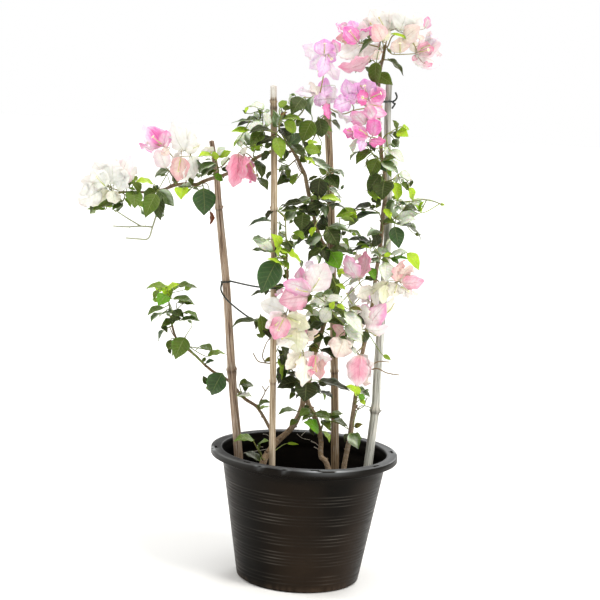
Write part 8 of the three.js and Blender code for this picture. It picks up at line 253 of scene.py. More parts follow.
        ("T",((90.5,-3.3,854),(93.2,-7,856.7),(95.2,-9.1,863.7),(97.7,-11.7,870.3),(102,-16.3,874),(108.1,-20.4,874.1),(115.3,-21.6,872.2),(122.1,-22.1,869.1),(128.3,-22.1,864.9),(133.1,-22,859.1),(136.7,-22,852.4)),(1.38,1.31,1.29,1.26,1.23,1.2,1.17,1.14,1.1,1.07,1.03)),
        ("B",((95.1,-9.7,847.7),(100.2,-14.2,844.2),(107.4,-17.1,843.9),(114.8,-19.2,844.5),(122.4,-20.7,845.2),(130.1,-21.4,846.1),(137.8,-22,847.1)),(1.01,1,0.98,0.97,0.95,0.93,0.92)),
        ("B",((131.8,-11,864.1),(135.5,0.3,862.5),(138.4,11.7,860.6),(139.9,23,857.4),(140.1,34,852.8)),(1.25,1.2,1.13,1.06,0.98)),
        ("X",(138.5,-32,849.3),(162.2,-47.8,857.9),(-0.341,-0.789,-0.51),23.4,0.128,0.08,"Bp*",0,(132.6,-22.1,846.3)),
        ("X",(136.6,-29,846.9),(150.5,-14.4,826.4),(-0.017,0.819,0.573),21,0.099,0.14,"Bw",0,(136.7,-22,852.4)),
        ("X",(111.1,-30,846.2),(108.4,-38,869.5),(0.22,-0.93,-0.294),30.5,0.129,0.11,"Bh*",0,(112.2,-18.9,844.7)),
        ("X",(135.6,-31,845.8),(174.3,-15.2,830.1),(-0.439,0.862,-0.252),33.2,0.114,0.09,"Bk",0,(133,-25.3,847)),
        ("X",(137.6,-28.6,843.8),(130.8,-35.1,835),(-0.048,0.822,-0.567),9.7,0.099,0.08,"Bp",0,(137.2,-22.7,841.1)),
        ("X",(113.6,-32,865.4),(137.8,-51.4,887.4),(0.667,0.741,-0.08),30.4,0.075,0.13,"Bh",0,(102.4,-15.7,844)),
        ("X",(137.2,-28.1,850.8),(173,-41.7,864.8),(-0.472,-0.816,0.333),32.1,0.085,0.11,"Bk",0,(136.3,-24.4,850.5)),
        ("X",(136.2,-20.5,848.2),(131.8,-9.3,866.9),(-0.049,0.847,-0.53),17.8,0.098,0.07,"Bc",0,(135.3,-21.3,846.9)),
        ("X",(142.4,-1,845.3),(165.6,-20,825.1),(-0.379,0.416,-0.826),28.7,0.11,0.13,"Bk",0,(136.8,-20.4,847.6)),
        ("X",(147.5,-22,862.9),(166.8,-35.3,871.4),(0.631,0.668,-0.395),19.7,0.132,0.14,"Be",0,(134.7,-22.3,857.1)),
        ("X",(155.5,-15.5,866.5),(156.7,-25.7,883.1),(0.783,0.554,0.283),14.4,0.089,0.07,"Bk",0,(137.8,-22,847.1)),
        ("X",(143.7,16.2,858.1),(174.5,31.1,845.1),(0.32,-0.905,-0.28),27.4,0.075,0.09,"Bp",1,(138.9,15.3,858.9)),
        ("X",(143.4,32.6,856.7),(168.6,53,872.4),(0.18,0.452,-0.874),29,0.079,0.15,"Bp",1,(140,30.6,854.9)),
        ("X",(143.4,33.6,850.2),(164.8,48.4,826.9),(-0.396,0.895,0.205),27.9,0.07,0.13,"Bk",1,(140.5,30.2,854.1)),
        ("X",(143.5,45.4,854),(164.1,69.8,860.8),(-0.773,0.624,0.117),24.5,0.103,0.19,"Bp",1,(142.7,33.2,855.1)),
        ("X",(143.1,50.8,851.1),(166.7,70.1,828.6),(-0.537,-0.274,-0.798),28.3,0.085,0.15,"Bp",1,(140.1,34,852.8)),
        ("X",(149.9,-44,831.8),(161.7,-32.3,832.6),(0.428,-0.43,0.795),12.9,0.096,0.1,"Bp",0,(137.6,-28.6,843.8)),
        ("X",(165.7,20.6,853.4),(180,14.5,847.1),(-0.514,-0.447,-0.732),15.6,0.074,0.27,"Bk",0,(143.4,32.6,856.7)),
        ("X",(133.4,-8.3,874.9),(149.4,2,872.4),(0.471,-0.524,0.71),18.2,0.09,0.16,"Bh",0,(131.8,-11,864.1)),
    ]),
    "bract_cluster_top_white": ("b", [
        ("T",((89.3,-3.9,857.6),(89.7,-8.9,860.3),(90.5,-12.2,866.6),(91.5,-15.8,872.6),(93.6,-19.5,878.3),(99.3,-21.2,881.8),(106,-22,884.2)),(1.38,1.26,1.23,1.18,1.13,1.08,1.03)),
        ("B",((86.4,-8.3,861.9),(83.6,-12.5,866.3),(81.3,-16.5,871.2),(79.5,-20,876.7)),(1.13,1.1,1.07,1.03)),
        ("B",((107.2,-11.6,886.8),(109.8,-1.2,889.6),(112.2,9.4,891.7),(114.4,20.2,891.6),(116.2,30.9,889.4)),(1.25,1.2,1.13,1.06,0.98)),
        ("X",(82.3,-49,863.2),(67.2,-65.6,886.1),(-0.435,0.841,0.321),28.8,0.118,0.09,"Bs",0,(90.6,-10.2,862.1)),
        ("X",(85.1,-36.5,862.9),(88.9,-23.5,884.8),(0.194,0.828,-0.526),19.3,0.071,0.1,"By",0,(84.4,-11.5,864.4)),
        ("X",(88.3,-30,877.7),(60,-34,910),(0.202,-0.978,0.056),33.7,0.089,0.12,"Bw",0,(95.8,-20.1,878.9)),
        ("X",(108.9,-30,880.4),(117.9,-34,916.3),(-0.168,0.974,0.15),36.9,0.132,0.1,"Bw",0,(103.8,-22.3,883.1)),
        ("X",(93.1,-20.6,879.9),(91.3,-24.5,918.9),(0.279,0.954,0.111),33.8,0.124,0.12,"Bw",0,(95.1,-20.6,879.6)),
        ("X",(115.1,-18,878),(140,-35,903.1),(0.477,0.871,0.117),32.1,0.082,0.06,"Bw",0,(106,-22,884.2)),
        ("X",(77.2,-13,882.1),(50.3,-30.8,895.2),(0.313,-0.822,-0.476),27.3,0.084,0.13,"Bw",0,(79.5,-20,876.7)),
        ("X",(147.2,-27,886.4),(150.7,-37.9,903.7),(-0.698,-0.66,-0.277),15.3,0.136,0.07,"Bm",0,(105,-24.4,881.8)),
        ("X",(100.3,-14.5,882.6),(104.3,-33.2,912.5),(-0.269,0.8,0.536),25.4,0.133,0.14,"Bw",0,(97.8,-20.1,880.5)),
        ("X",(117.5,-17.5,877.3),(151.9,1.2,889),(0.523,-0.572,-0.632),28.9,0.13,0.08,"Bw",0,(101.8,-21.5,882)),
        ("X",(110.3,12.8,893.5),(82.4,25.5,911.4),(-0.468,0.19,-0.863),26.3,0.056,0.15,"Bw",1,(112.4,13.1,892)),
        ("X",(111.7,30.8,889),(89.2,54,881.9),(0.451,0.171,-0.876),25.1,0.055,0.11,"Bw",1,(115.1,27.4,889.9)),
        ("X",(115.1,32,893.3),(111,56.5,915.1),(0.861,0.411,-0.3),24.6,0.102,0.12,"Bp",1,(115.6,27.4,890.7)),
        ("X",(118.7,32.8,890.5),(144.8,52.1,901.9),(-0.111,-0.389,0.915),25.3,0.107,0.13,"Bp",1,(116.2,30.9,889.4)),
        ("X",(118.8,31.6,885.2),(137.4,36.7,855.9),(-0.746,0.549,-0.378),26.7,0.052,0.09,"Bp",1,(117.2,31.6,889.2)),
        ("X",(117.1,42.9,891.8),(121.8,79.2,911.1),(0.94,0.055,-0.336),33.9,0.056,0.13,"Bw",1,(114.6,31.1,889.3)),
    ]),
    "bract_cluster_upper_lilac": ("b", [
        ("T",((-44.9,-6.3,692.6),(-43.4,-6.4,693.1),(-38.4,-7,698.6),(-33.3,-7.5,704.1),(-28.3,-8,709.6),(-23.3,-8.5,715.1),(-18.3,-9.1,720.6),(-13.3,-9.7,726.2),(-8.4,-10.3,731.7),(-3.8,-11.6,737.5),(0.8,-12.9,743.2),(4.7,-15,748.9),(6,-20.2,754),(3.2,-26.6,756),(-0.5,-32.9,757.7),(-4.1,-38.2,761),(-7.5,-41.2,766.8),(-8.5,-42.2,774),(-7.7,-42.3,781.4),(-6.6,-42.1,788.8),(-5.6,-42,796.2),(-4.9,-41.9,803.7),(-4.4,-41.9,811.1),(-4.2,-42.4,818.6),(-4.4,-43.2,826),(-4.6,-44,833.4)),(1.61,1.54,1.52,1.51,1.51,1.49,1.48,1.48,1.47,1.46,1.45,1.44,1.43,1.4,1.38,1.35,1.3,1.26,1.24,1.21,1.18,1.16,1.13,1.09,1.07,1.03)),
        ("T",((81.1,-3.4,761.1),(75.1,-6.6,760.4),(68.5,-10.2,759.3),(62,-13.8,758.1),(55.5,-17.4,756.9),(49,-21.1,755.5),(43,-25.1,753.4),(37.3,-29.3,750.8),(31.4,-33.5,748.5),(24.6,-36.4,748.6),(17.6,-38.1,750.9),(11,-39.7,754.2),(4.1,-39.2,757.1),(-2.5,-36,758.7)),(1.26,1.22,1.21,1.21,1.2,1.18,1.18,1.16,1.15,1.13,1.12,1.09,1.06,1.03)),
        ("B",((45.3,-27.7,758.8),(43.1,-33.4,762.5),(40.5,-38.9,766.3),(37.6,-44,770.3)),(1.01,0.99,0.95,0.92)),
        ("B",((-5.2,-28.8,814.3),(-6.2,-15.7,815.8),(-7.4,-2.7,818.4),(-8.9,10,821.9)),(1.24,1.16,1.08,0.98)),
        ("J",((-2,-35.5,758.9),(-1.6,-35.1,759.1)),(1,1)),
        ("X",(2.4,-58,763.9),(7.7,-64,739.2),(0.742,-0.598,0.303),20.2,0.086,0.07,"Bu",0,(-7.5,-42.8,778.9)),
        ("X",(-3.2,-56,834.1),(-10.5,-62,801.9),(-0.653,0.757,0.007),26.1,0.085,0.08,"Bl",0,(-4.6,-44,833.4)),
        ("X",(1.3,-58.5,770),(-18.3,-46.3,764.9),(0.545,0.829,-0.122),20.7,0.124,0.11,"Bl",0,(37.6,-44,770.3)),
        ("X",(38.2,-54,768.9),(13.5,-60,757.7),(-0.082,0.943,-0.323),28.6,0.125,0.09,"Bl",0,(38.5,-42.6,768.5)),
        ("X",(-5.6,-52,836.3),(-7.1,-58,861),(0.246,-0.945,-0.215),33.4,0.143,0.15,"Bl*",0,(-4.7,-44,828.4)),
        ("X",(-8.4,-50,832.3),(-26.6,-34.8,814.7),(-0.522,-0.834,-0.181),22.3,0.13,0.1,"Be",0,(-5.1,-43.8,830.9)),
        ("X",(-0.4,-50,838.1),(13.9,-60.4,828.2),(-0.556,-0.828,0.073),17.5,0.112,0.16,"Bl",0,(-4.5,-47.7,833.7)),
        ("X",(-0.2,-41,772),(-0.4,-22.7,802.5),(0.333,-0.808,0.486),24.8,0.129,0.07,"Bl",0,(-5.8,-40.7,764.7)),
        ("X",(38.9,-49.5,773.9),(29.3,-56,801.1),(0.191,0.947,0.259),23.8,0.133,0.12,"Bl",0,(39,-42.3,769.3)),
        ("X",(2.7,-46,826.2),(17.6,-27.4,798.9),(0.416,0.629,0.656),27.2,0.131,0.09,"Be",0,(-4.1,-44.2,830.9)),
        ("X",(-6.5,-35.5,773.1),(-46,-48.1,779.4),(-0.276,0.439,-0.855),29.7,0.06,0.06,"Be",0,(-8,-41.2,771.8)),
        ("X",(49,-49,770.2),(30.8,-60.1,774.6),(0.426,-0.837,-0.345),19.1,0.078,0.13,"Bl",0,(41.3,-37.4,764.6)),
        ("X",(3.4,-46,762.3),(7.2,-36.9,776.9),(-0.241,-0.794,0.558),13.3,0.071,0.07,"Bk",0,(6.2,-39.9,756)),
        ("X",(-13.1,-43.7,832.9),(-39.4,-25.8,848.5),(-0.65,-0.709,-0.273),28,0.085,0.12,"Be",0,(-4.3,-43.2,831)),
        ("X",(-10.4,-44,773.7),(-24.7,-28.6,795),(-0.501,0.505,-0.703),21,0.093,0.12,"Bc",0,(-8.5,-42.9,776.4)),
        ("X",(19.4,-40.5,752.4),(43,-57.2,738.8),(0.635,0.331,0.698),24.5,0.102,0.12,"Be",0,(15.6,-39.1,752.3)),
        ("X",(-6.3,-8.8,820.4),(-3.1,7.6,853.9),(-0.436,0.823,-0.363),30.5,0.068,0.11,"Bm",1,(-6,-11.4,817)),
        ("X",(-11,4.6,825.6),(-27.7,4.8,857.4),(-0.562,0.771,-0.299),28.4,0.053,0.21,"Bk",1,(-8.4,5.6,821.3)),
        ("X",(-9.4,8.8,825.3),(-16.9,27.6,860.3),(0.515,0.796,-0.318),30.2,0.068,0.17,"Bw",1,(-9.7,8.1,823.3)),
        ("X",(-7.2,12.9,824),(6.7,37.3,841.5),(0.899,-0.255,-0.357),23.9,0.052,0.1,"Bv",1,(-8.9,10,821.9)),
        ("X",(-12.3,6.7,827.1),(-34.5,14.9,855.3),(-0.442,0.715,-0.542),27.9,0.069,0.21,"Bw",1,(-10,7.1,825.4)),
        ("X",(-9.6,13.7,821),(-12.7,49.1,810.1),(0.996,0.089,-0.031),26.9,0.06,0.18,"Bw",1,(-8.9,11,822.7)),
        ("X",(14.1,-47,840.2),(7.2,-51.4,860.8),(-0.286,-0.906,-0.313),19.2,0.1,0.16,"Bm",0,(-4.4,-43.2,826)),
        ("X",(14.5,-53.2,788.8),(10.6,-45.4,763.7),(-0.855,-0.507,0.107),25.8,0.065,0.12,"Be",0,(-6.6,-42.1,788.8)),
    ]),
    "bract_cluster_upper_pink": ("b", [
        ("T",((86.6,-4.8,731.2),(84.3,-11.1,732.2),(81.7,-17.3,735.3),(79.1,-23,739.3),(76.4,-27.8,744.2),(73.9,-32.4,749.4),(71.7,-36.9,754.8),(70,-41.3,760.5),(68.6,-45.6,766.3),(67.3,-50,772.1)),(1.49,1.38,1.35,1.31,1.29,1.25,1.23,1.21,1.17,1.15)),
        ("T",((90,-3.4,710.1),(88.1,-10.8,710.6),(86.1,-18.3,712),(83.9,-25.7,713.3),(80.9,-32.8,714.4),(76.9,-39.5,715.1),(72.5,-46,715.6)),(1.38,1.29,1.26,1.24,1.22,1.18,1.15)),
        ("B",((73.6,-18.2,749),(69.8,-9.7,754.9),(65.6,-0.9,760.2),(60.6,8.2,763.8),(54.8,17.4,765.1)),(1.25,1.2,1.13,1.06,0.98)),
        ("J",((87.4,-5.6,723.2),(88.4,-5.2,717.4)),(1,1)),
        ("X",(63.4,-62,765.9),(97.2,-43.9,752.3),(0.552,-0.745,0.376),29.7,0.114,0.12,"Bm*",0,(67.3,-50,772.1)),
        ("X",(69.5,-62,717.6),(43,-79.3,730.3),(0.613,-0.745,0.264),24.6,0.2,0.11,"Bx",0,(72.5,-46,715.6)),
        ("X",(64.6,-60,772.8),(47.8,-74,778.1),(0.649,-0.759,0.048),25.3,0.106,0.15,"Bu*",0,(66.3,-54.1,770)),
        ("X",(68.4,-58,774.5),(92.5,-66,786.6),(-0.363,-0.925,0.114),28.5,0.128,0.14,"Bx*",0,(68.6,-47.5,768)),
        ("X",(59,-58,716),(56.9,-71.9,693.6),(-0.644,0.676,-0.358),20,0.122,0.06,"Bl",0,(73.5,-43.5,715.7)),
        ("X",(75.9,-56.5,717.8),(75.7,-73.5,746.4),(-0.281,-0.825,-0.49),25.3,0.15,0.08,"Bv",0,(74.5,-44.1,715.8)),
        ("X",(62.8,-61,763.6),(76.6,-76,743.4),(-0.5,-0.822,0.271),20.6,0.11,0.1,"Bm",0,(68.9,-44.7,763.9)),
        ("X",(71.7,-56,709.8),(96.4,-71.2,710.3),(-0.373,-0.583,0.722),21.5,0.075,0.07,"Bu",0,(74,-43.9,714.8)),
        ("X",(66.3,-51,775.1),(57.3,-59,804.2),(-0.186,-0.931,-0.313),31.7,0.119,0.08,"Bl*",0,(66.5,-52.9,772.5)),
        ("X",(52,-54,719.3),(29.3,-67.5,721.5),(0.436,-0.627,0.646),20.5,0.109,0.15,"Bv",0,(73.5,-46.9,712.6)),
        ("X",(62.1,-37,776.2),(42.1,-53.6,795.7),(0.755,-0.6,0.265),24.7,0.083,0.15,"Bl",0,(66.3,-50.2,774.3)),
        ("X",(65.2,-50,743.7),(91.8,-66.9,737.3),(-0.43,-0.362,-0.827),22.5,0.112,0.1,"Bw",0,(71.6,-38.8,756.5)),
        ("X",(64.2,-0.4,764.4),(55.2,-5.7,801.4),(-0.972,0.063,-0.228),31.1,0.073,0.11,"Bv",1,(63.9,1.9,762)),
        ("X",(53.3,14.1,767.4),(22.8,13.9,791.5),(-0.613,0.139,-0.777),28.8,0.064,0.16,"Bk",1,(56.3,14,764.8)),
        ("X",(56.9,19.3,768.9),(61.5,44.9,794.2),(-0.933,-0.156,0.325),27.8,0.097,0.13,"Bp",1,(57.1,14.5,765.1)),
        ("X",(52.3,7.5,768.7),(30.8,18,802.9),(-0.636,0.529,-0.562),31.2,0.096,0.1,"Be",1,(55.5,11.7,766.2)),
        ("X",(49.7,19,765.6),(18.7,28.3,768.8),(0.11,0.026,0.994),26,0.083,0.11,"Bm",1,(54.8,17.4,765.1)),
        ("X",(54.3,19.1,768.5),(57.1,47.1,790.8),(-0.922,-0.194,0.334),28.8,0.059,0.22,"Bk",1,(55.5,18.4,766.3)),
        ("X",(63.1,-43.1,734.4),(41.7,-61.6,753.5),(0.126,-0.799,-0.588),29.2,0.093,0.12,"Bm",0,(65.2,-50,743.7)),
    ]),
    "bract_pair_left_hanging": ("b", [
        ("T",((-106.7,-45.1,672.4),(-110.3,-50.3,676.5),(-114.8,-55.8,679.7),(-119,-61.9,681.9),(-122.9,-68.5,683),(-127.3,-74,680.9)),(1.26,1.18,1.16,1.13,1.1,1.03)),
        ("B",((-120.2,-60.4,672.7),(-117.3,-52.7,662.9),(-113.3,-44.9,653.6),(-107.9,-37.3,644.9)),(1.24,1.15,1.07,0.98)),
        ("X",(-127.1,-80,680.4),(-131.8,-84,628.5),(-0.551,0.834,-0.014),37.5,0.1,0.15,"Br",0,(-127.3,-74,680.9)),
        ("X",(-114.5,-80.5,675),(-100.8,-66.6,637.5),(0.86,-0.492,0.132),32.5,0.12,0.15,"Br",0,(-125.6,-72.2,681)),
        ("X",(-125,-75,681),(-114.5,-82.9,689.6),(-0.686,-0.699,0.202),11.3,0.13,0.08,"Bc",0,(-123.9,-70.7,682.2)),
        ("X",(-118.2,-85,676.5),(-117.2,-104.8,644.1),(0.745,0.579,-0.332),26.1,0.084,0.14,"Br",0,(-121.4,-66.5,682)),
        ("X",(-112.9,-35.8,647),(-134,-10.3,642.8),(-0.124,-0.258,-0.958),27.2,0.073,0.19,"Bu",1,(-110.2,-39.8,647.5)),
        ("X",(-107.7,-33.9,645.1),(-104.9,2.8,647.2),(0.995,-0.071,-0.075),29.1,0.092,0.1,"Bu",1,(-107.9,-37.3,644.9)),
    ]),
    "leaf_shoot_base_left": ("l", [
        ("T",((-65,-37,196.3),(-66.2,-43.2,199),(-66.9,-49.2,203),(-67.9,-54.8,207.4),(-70.5,-58.6,212.8),(-74.2,-60.1,218.8),(-77.6,-61.1,225.1),(-81,-62,231.5)),(1.38,1.28,1.24,1.22,1.17,1.12,1.08,1.03)),
        ("X",(-81,-66,234),(-111.8,-77.4,233.1),(0.093,-0.322,0.942),22.9,0.14,0.15,"LM",0,(-81,-62,231.5)),
        ("X",(-70.7,-60,199.4),(-97.2,-41.9,208.2),(0.167,-0.223,0.96),22,0.092,0.17,"LD",0,(-67.6,-53.4,205.4)),
        ("X",(-71.9,-52,216.9),(-73.9,-57.9,227.7),(0.756,-0.623,-0.199),6.3,0.1,0.24,"Lm",0,(-66.9,-52.8,206.2)),
        ("X",(-73.8,-48.5,220.8),(-56.8,-60.2,233.3),(-0.623,-0.075,0.779),16.3,0.092,0.2,"LM",0,(-72.4,-59.5,217.1)),
        ("X",(-28.4,-10,218.9),(-9.2,-12,218.8),(0,-0.8,0.6),5,0.05,0.2,"Ly",0,(-65,-37,196.3)),
    ]),
    "leaf_shoot_centre_left": ("l", [
        ("T",((-40,-72.6,482.4),(-41.1,-76.6,483.2),(-41.5,-80,490),(-41.9,-83.1,496.8),(-42.4,-85.9,503.8),(-43,-88,511.1),(-43.7,-89.3,518.5),(-44.4,-90.4,525.9),(-45.1,-91.4,533.4),(-45.9,-92,540.9),(-46.6,-92.1,548.4),(-47.3,-92.1,555.9),(-48,-92,563.5),(-48.6,-92,571),(-49.3,-92,578.5),(-50.5,-92,586),(-54.1,-92,592.5),(-60.4,-92,596.6)),(1.95,1.83,1.79,1.76,1.72,1.68,1.63,1.59,1.54,1.49,1.45,1.41,1.37,1.32,1.28,1.22,1.13,1.03)),
        ("B",((-50.8,-91.4,525.5),(-56.2,-92.7,530.2),(-60.1,-94,536.3)),(1.26,1.14,1.03)),
        ("B",((-57.4,-81.8,535.2),(-55.4,-70,535.7),(-52.7,-58.3,536.2),(-49.3,-46.8,536.4),(-44.3,-35.9,535.7),(-38.5,-25.5,534.3)),(1.26,1.22,1.16,1.1,1.05,0.98)),
        ("B",((-55,-53.1,535.5),(-55.7,-40.7,535.3),(-56.6,-28.2,535.6),(-57.9,-15.9,536.5),(-59.5,-3.6,537.9),(-62.1,8.4,540.1),(-64.9,20.2,542.7)),(1.28,1.23,1.18,1.14,1.09,1.03,0.98)),
        ("X",(-59.2,-104,522.8),(-80.6,-110,471.7),(-0.206,-0.958,0.199),39.2,0.05,0.12,"Lc",0,(-57.2,-93.7,532.3)),
        ("X",(-49.5,-106,515.2),(-75.8,-113.9,524.5),(0.385,-0.219,0.897),18,0.12,0.16,"Ly",0,(-43.6,-89.8,515.8)),
        ("X",(-58,-99,527.7),(-54.2,-109.5,545.8),(-0.884,-0.46,-0.082),14.2,0.109,0.13,"Ly",0,(-52.3,-92.4,527.2)),
        ("X",(-71.4,-97,535.2),(-99.5,-103.8,535.8),(0.087,-0.266,0.96),18.2,0.071,0.13,"Ld",0,(-60.1,-94,536.3)),
        ("X",(-57.1,-102,539.1),(-22.5,-102,521.6),(0.428,-0.278,0.86),26.6,0.08,0.26,"Ly",0,(-59.2,-89.7,536.5)),
        ("X",(-53.1,-96,521.5),(-40.1,-107.1,509.7),(0.326,-0.483,0.813),14,0.093,0.26,"Lg",0,(-52.6,-98,527.3)),
        ("X",(-66.4,-91,534.5),(-97.8,-91,552.2),(0.314,-0.776,0.547),20.1,0.06,0.25,"Lp",0,(-58.4,-92.6,537.3)),
        ("X",(-56,-92,544),(-68.9,-108.5,563.2),(0.687,-0.711,-0.151),18.3,0.12,0.13,"Ly",0,(-46.3,-91.2,538.4)),
        ("X",(-53.8,-87.8,528.2),(-42.4,-78.1,515.5),(0.816,-0.416,0.402),13.6,0.068,0.13,"Lg",0,(-54.7,-91.7,528.5)),
        ("X",(-60.8,-71.1,526.1),(-65.6,-88.7,550.6),(0.879,-0.452,-0.152),19.4,0.114,0.17,"Ld",0,(-51.1,-89.2,524.2)),
        ("X",(-78,-86,552.1),(-99,-98.9,552.9),(0.138,-0.165,0.977),17.6,0.091,0.12,"Lq",0,(-47.7,-91.6,553.3)),
        ("X",(-46.5,-89,551.9),(-40.2,-105,537.8),(-0.005,-0.662,0.749),19.6,0.077,0.21,"Ld",0,(-46.3,-91.8,553.5)),
        ("X",(-48,-78,505.9),(-41,-67.1,487.9),(0.908,-0.404,0.11),14.9,0.065,0.24,"Lm",0,(-44.1,-88.7,513.4)),
        ("X",(-59,-84,567.6),(-61.6,-73.8,583.5),(0.923,-0.236,0.303),12.3,0.095,0.22,"Lq",0,(-48.4,-91.5,560.9)),
        ("X",(-48.4,-70,483.1),(-58.5,-79.2,472.8),(-0.231,-0.602,0.764),11,0.062,0.22,"Ld",0,(-41.4,-74.1,482.3)),
        ("X",(-71.9,-74.4,475.4),(-74.3,-81.2,465.2),(-0.124,-0.811,0.572),8,0.107,0.18,"LD",0,(-47.9,-76.8,480.5)),
        ("X",(-68.2,-51.5,467.9),(-96.9,-69,461.4),(-0.144,-0.125,0.982),22.2,0.071,0.13,"Ld",0,(-40,-72.6,482.4)),
        ("X",(-70.2,-63.9,596.1),(-80,-71.9,580.6),(-0.597,-0.492,0.634),13.8,0.114,0.16,"LD",0,(-51.5,-91.3,588.2)),
        ("X",(-71.2,-44,576.5),(-108.6,-44,565.8),(-0.273,-0.135,0.953),26.3,0.12,0.22,"Lc",0,(-48.7,-91.3,573.5)),
        ("X",(-48.6,-62.9,533.6),(-28.9,-53.9,525.7),(0.415,-0.121,0.901),15.3,0.088,0.16,"Lm",1,(-54.5,-66.1,535.2)),
        ("X",(-57.2,-52.6,535.2),(-79.7,-35.2,531.2),(0.221,0.481,0.849),20,0.08,0.13,"LD",1,(-55.8,-58.7,535.2)),
        ("X",(-57.2,-49.4,535.5),(-68.9,-30.7,529.9),(0.356,0.529,0.77),15.5,0.099,0.1,"Lm",1,(-56.1,-44.9,535)),
        ("X",(-49.5,-37.8,537.6),(-65.4,-16.4,546.3),(0.441,-0.038,0.897),19.1,0.102,0.2,"Ld",1,(-46.5,-39.3,535.6)),
        ("X",(-47.3,-29,532.9),(-66.3,-11.4,522.6),(-0.239,0.283,0.929),18.2,0.109,0.19,"Lg",1,(-40.9,-28.8,534.5)),
        ("X",(-40.8,-18.5,533.3),(-50.2,10.6,529.3),(-0.42,-0.01,0.908),20.4,0.097,0.2,"Lm",1,(-42.6,-21.6,533.8)),
        ("X",(-58.4,-35,538.4),(-72.1,-26.7,555.1),(0.767,-0.03,0.641),15.5,0.08,0.14,"Lg",1,(-56.9,-32.4,535.1)),
        ("X",(-63.2,-23,534.8),(-88.3,-7.9,531.3),(-0.154,-0.028,0.988),18.3,0.092,0.11,"Ld",1,(-57.6,-24.2,536.2)),
        ("X",(-61.8,-1.7,533.6),(-71,14.1,519.7),(-0.584,0.315,0.748),15.6,0.069,0.21,"Lg",1,(-59.5,-7.8,537.1)),
        ("X",(-63.3,4.7,542.8),(-74.9,10.4,561.2),(0.856,0.199,0.478),15.4,0.087,0.09,"LD",1,(-61.8,4.3,539)),
        ("X",(-59.7,13.6,537.8),(-40.2,29,518.8),(0.569,0.245,0.785),22.5,0.091,0.13,"Ld",1,(-63,12.4,540.4)),
        ("X",(-64.7,28.3,539.4),(-63.6,57.8,527.5),(-0.371,0.358,0.857),22.3,0.094,0.18,"Ld",1,(-64.9,20.2,542.7)),
        ("X",(-37.1,-40.3,557.2),(-25.9,-55.3,552.7),(-0.609,-0.599,0.52),13.3,0.049,0.17,"Lg",0,(-44.3,-35.9,535.7)),
        ("X",(-46.4,-52.8,550.8),(-60.3,-33.5,559.5),(0.832,0.38,0.404),14.2,0.129,0.22,"Lp",0,(-46,-39.5,535.9)),
        ("X",(-34.8,-104.4,547.4),(-30.8,-105.1,554.2),(-0.335,-0.937,0.097),6.1,0.062,0.27,"Lq",1,(-47.3,-92.1,555.9)),
        ("X",(-56.2,-47.5,530.5),(-42.5,-50.8,524.5),(0.176,-0.62,0.764),10,0.11,0.24,"Ly",0,(-55,-53.1,535.5)),
        ("X",(-44.3,-71.7,493.7),(-50.3,-77.9,498.2),(0.681,-0.73,0.055),7.3,0.063,0.22,"Lm",1,(-41.1,-76.6,483.2)),
        ("X",(-24.2,-90.9,524.3),(-21.5,-88.8,511.8),(0.78,-0.621,0.077),9.7,0.11,0.09,"Lq",0,(-45.9,-92,540.9)),
        ("X",(-61.3,-93.5,599.1),(-54.3,-90.5,603.5),(0.132,-0.898,0.42),5,0.069,0.28,"Lq",1,(-54.1,-92,592.5)),
        ("X",(-58.5,-87.1,604.3),(-46.3,-84.1,606.4),(-0.148,-0.113,0.982),8,0.129,0.15,"LD",1,(-60.4,-92,596.6)),
        ("X",(-57.5,7.5,545.5),(-57.6,-3.1,558.1),(0.535,0.654,0.536),12.9,0.068,0.26,"Lp",0,(-63,12.3,541)),
        ("X",(-34.3,-38.4,535.5),(-30,-30.3,545),(-0.854,-0.06,0.517),8,0.11,0.22,"Lq",0,(-41.4,-30.7,535)),
        ("X",(-75.5,-5.1,541.2),(-75.2,2,548.6),(-0.617,-0.548,0.565),6.6,0.056,0.15,"Lp",1,(-60.4,0.4,538.6)),
    ]),
    "leaf_shoot_centre_low": ("l", [
        ("T",((12.9,7.3,380.8),(12.9,1.9,381),(13.4,-5.6,382.7),(13.9,-13,384.5),(14.4,-20.5,386.4),(14.9,-27.8,388.6),(15.6,-35,391.3),(16.4,-41.3,395.4),(17.3,-46.3,401),(18.5,-49.8,407.7),(19.8,-53.2,414.5),(21.3,-56.7,421.2),(23,-60,427.9)),(1.61,1.43,1.39,1.37,1.33,1.31,1.28,1.24,1.18,1.13,1.07,1,0.92)),
        ("B",((12.2,-44.3,391.6),(8.6,-50.5,390.9),(4.5,-56.4,389.8),(-0.4,-61.5,388.1),(-5.8,-66,386.2)),(1.09,1.03,0.97,0.89,0.8)),
        ("B",((4.2,-40.1,392.4),(0.5,-28.2,393.8),(-3.5,-16.4,394.4),(-7.9,-4.9,392.7),(-12.7,6,388.8)),(1.25,1.2,1.13,1.06,0.98)),
        ("X",(19.8,-72,427.9),(-8.5,-80,407.9),(-0.454,-0.392,0.8),23.9,0.06,0.22,"Ld",0,(23,-60,427.9)),
        ("X",(11.3,-70,441.2),(-12.5,-85.7,438.2),(0.174,-0.434,0.884),17.7,0.059,0.16,"Lp",0,(21.9,-58.7,425.9)),
        ("X",(24.4,-66,429.7),(47.6,-82.7,425.7),(-0.064,-0.317,0.946),20.2,0.061,0.2,"Lm",0,(21.9,-63.5,428.2)),
        ("X",(11.4,-54,386),(-4.5,-40.6,375.7),(-0.729,-0.524,0.441),16.2,0.055,0.21,"Ld",0,(7.6,-52.7,390.2)),
        ("X",(16.4,-62,407.3),(4,-77.4,393.3),(-0.01,-0.668,0.745),16,0.081,0.18,"Ld",0,(19.4,-52.6,411.9)),
        ("X",(0.6,-60,384),(13.3,-68.4,379.8),(-0.336,-0.775,0.535),8,0.066,0.18,"Lo",0,(-1.9,-63.2,387.2)),
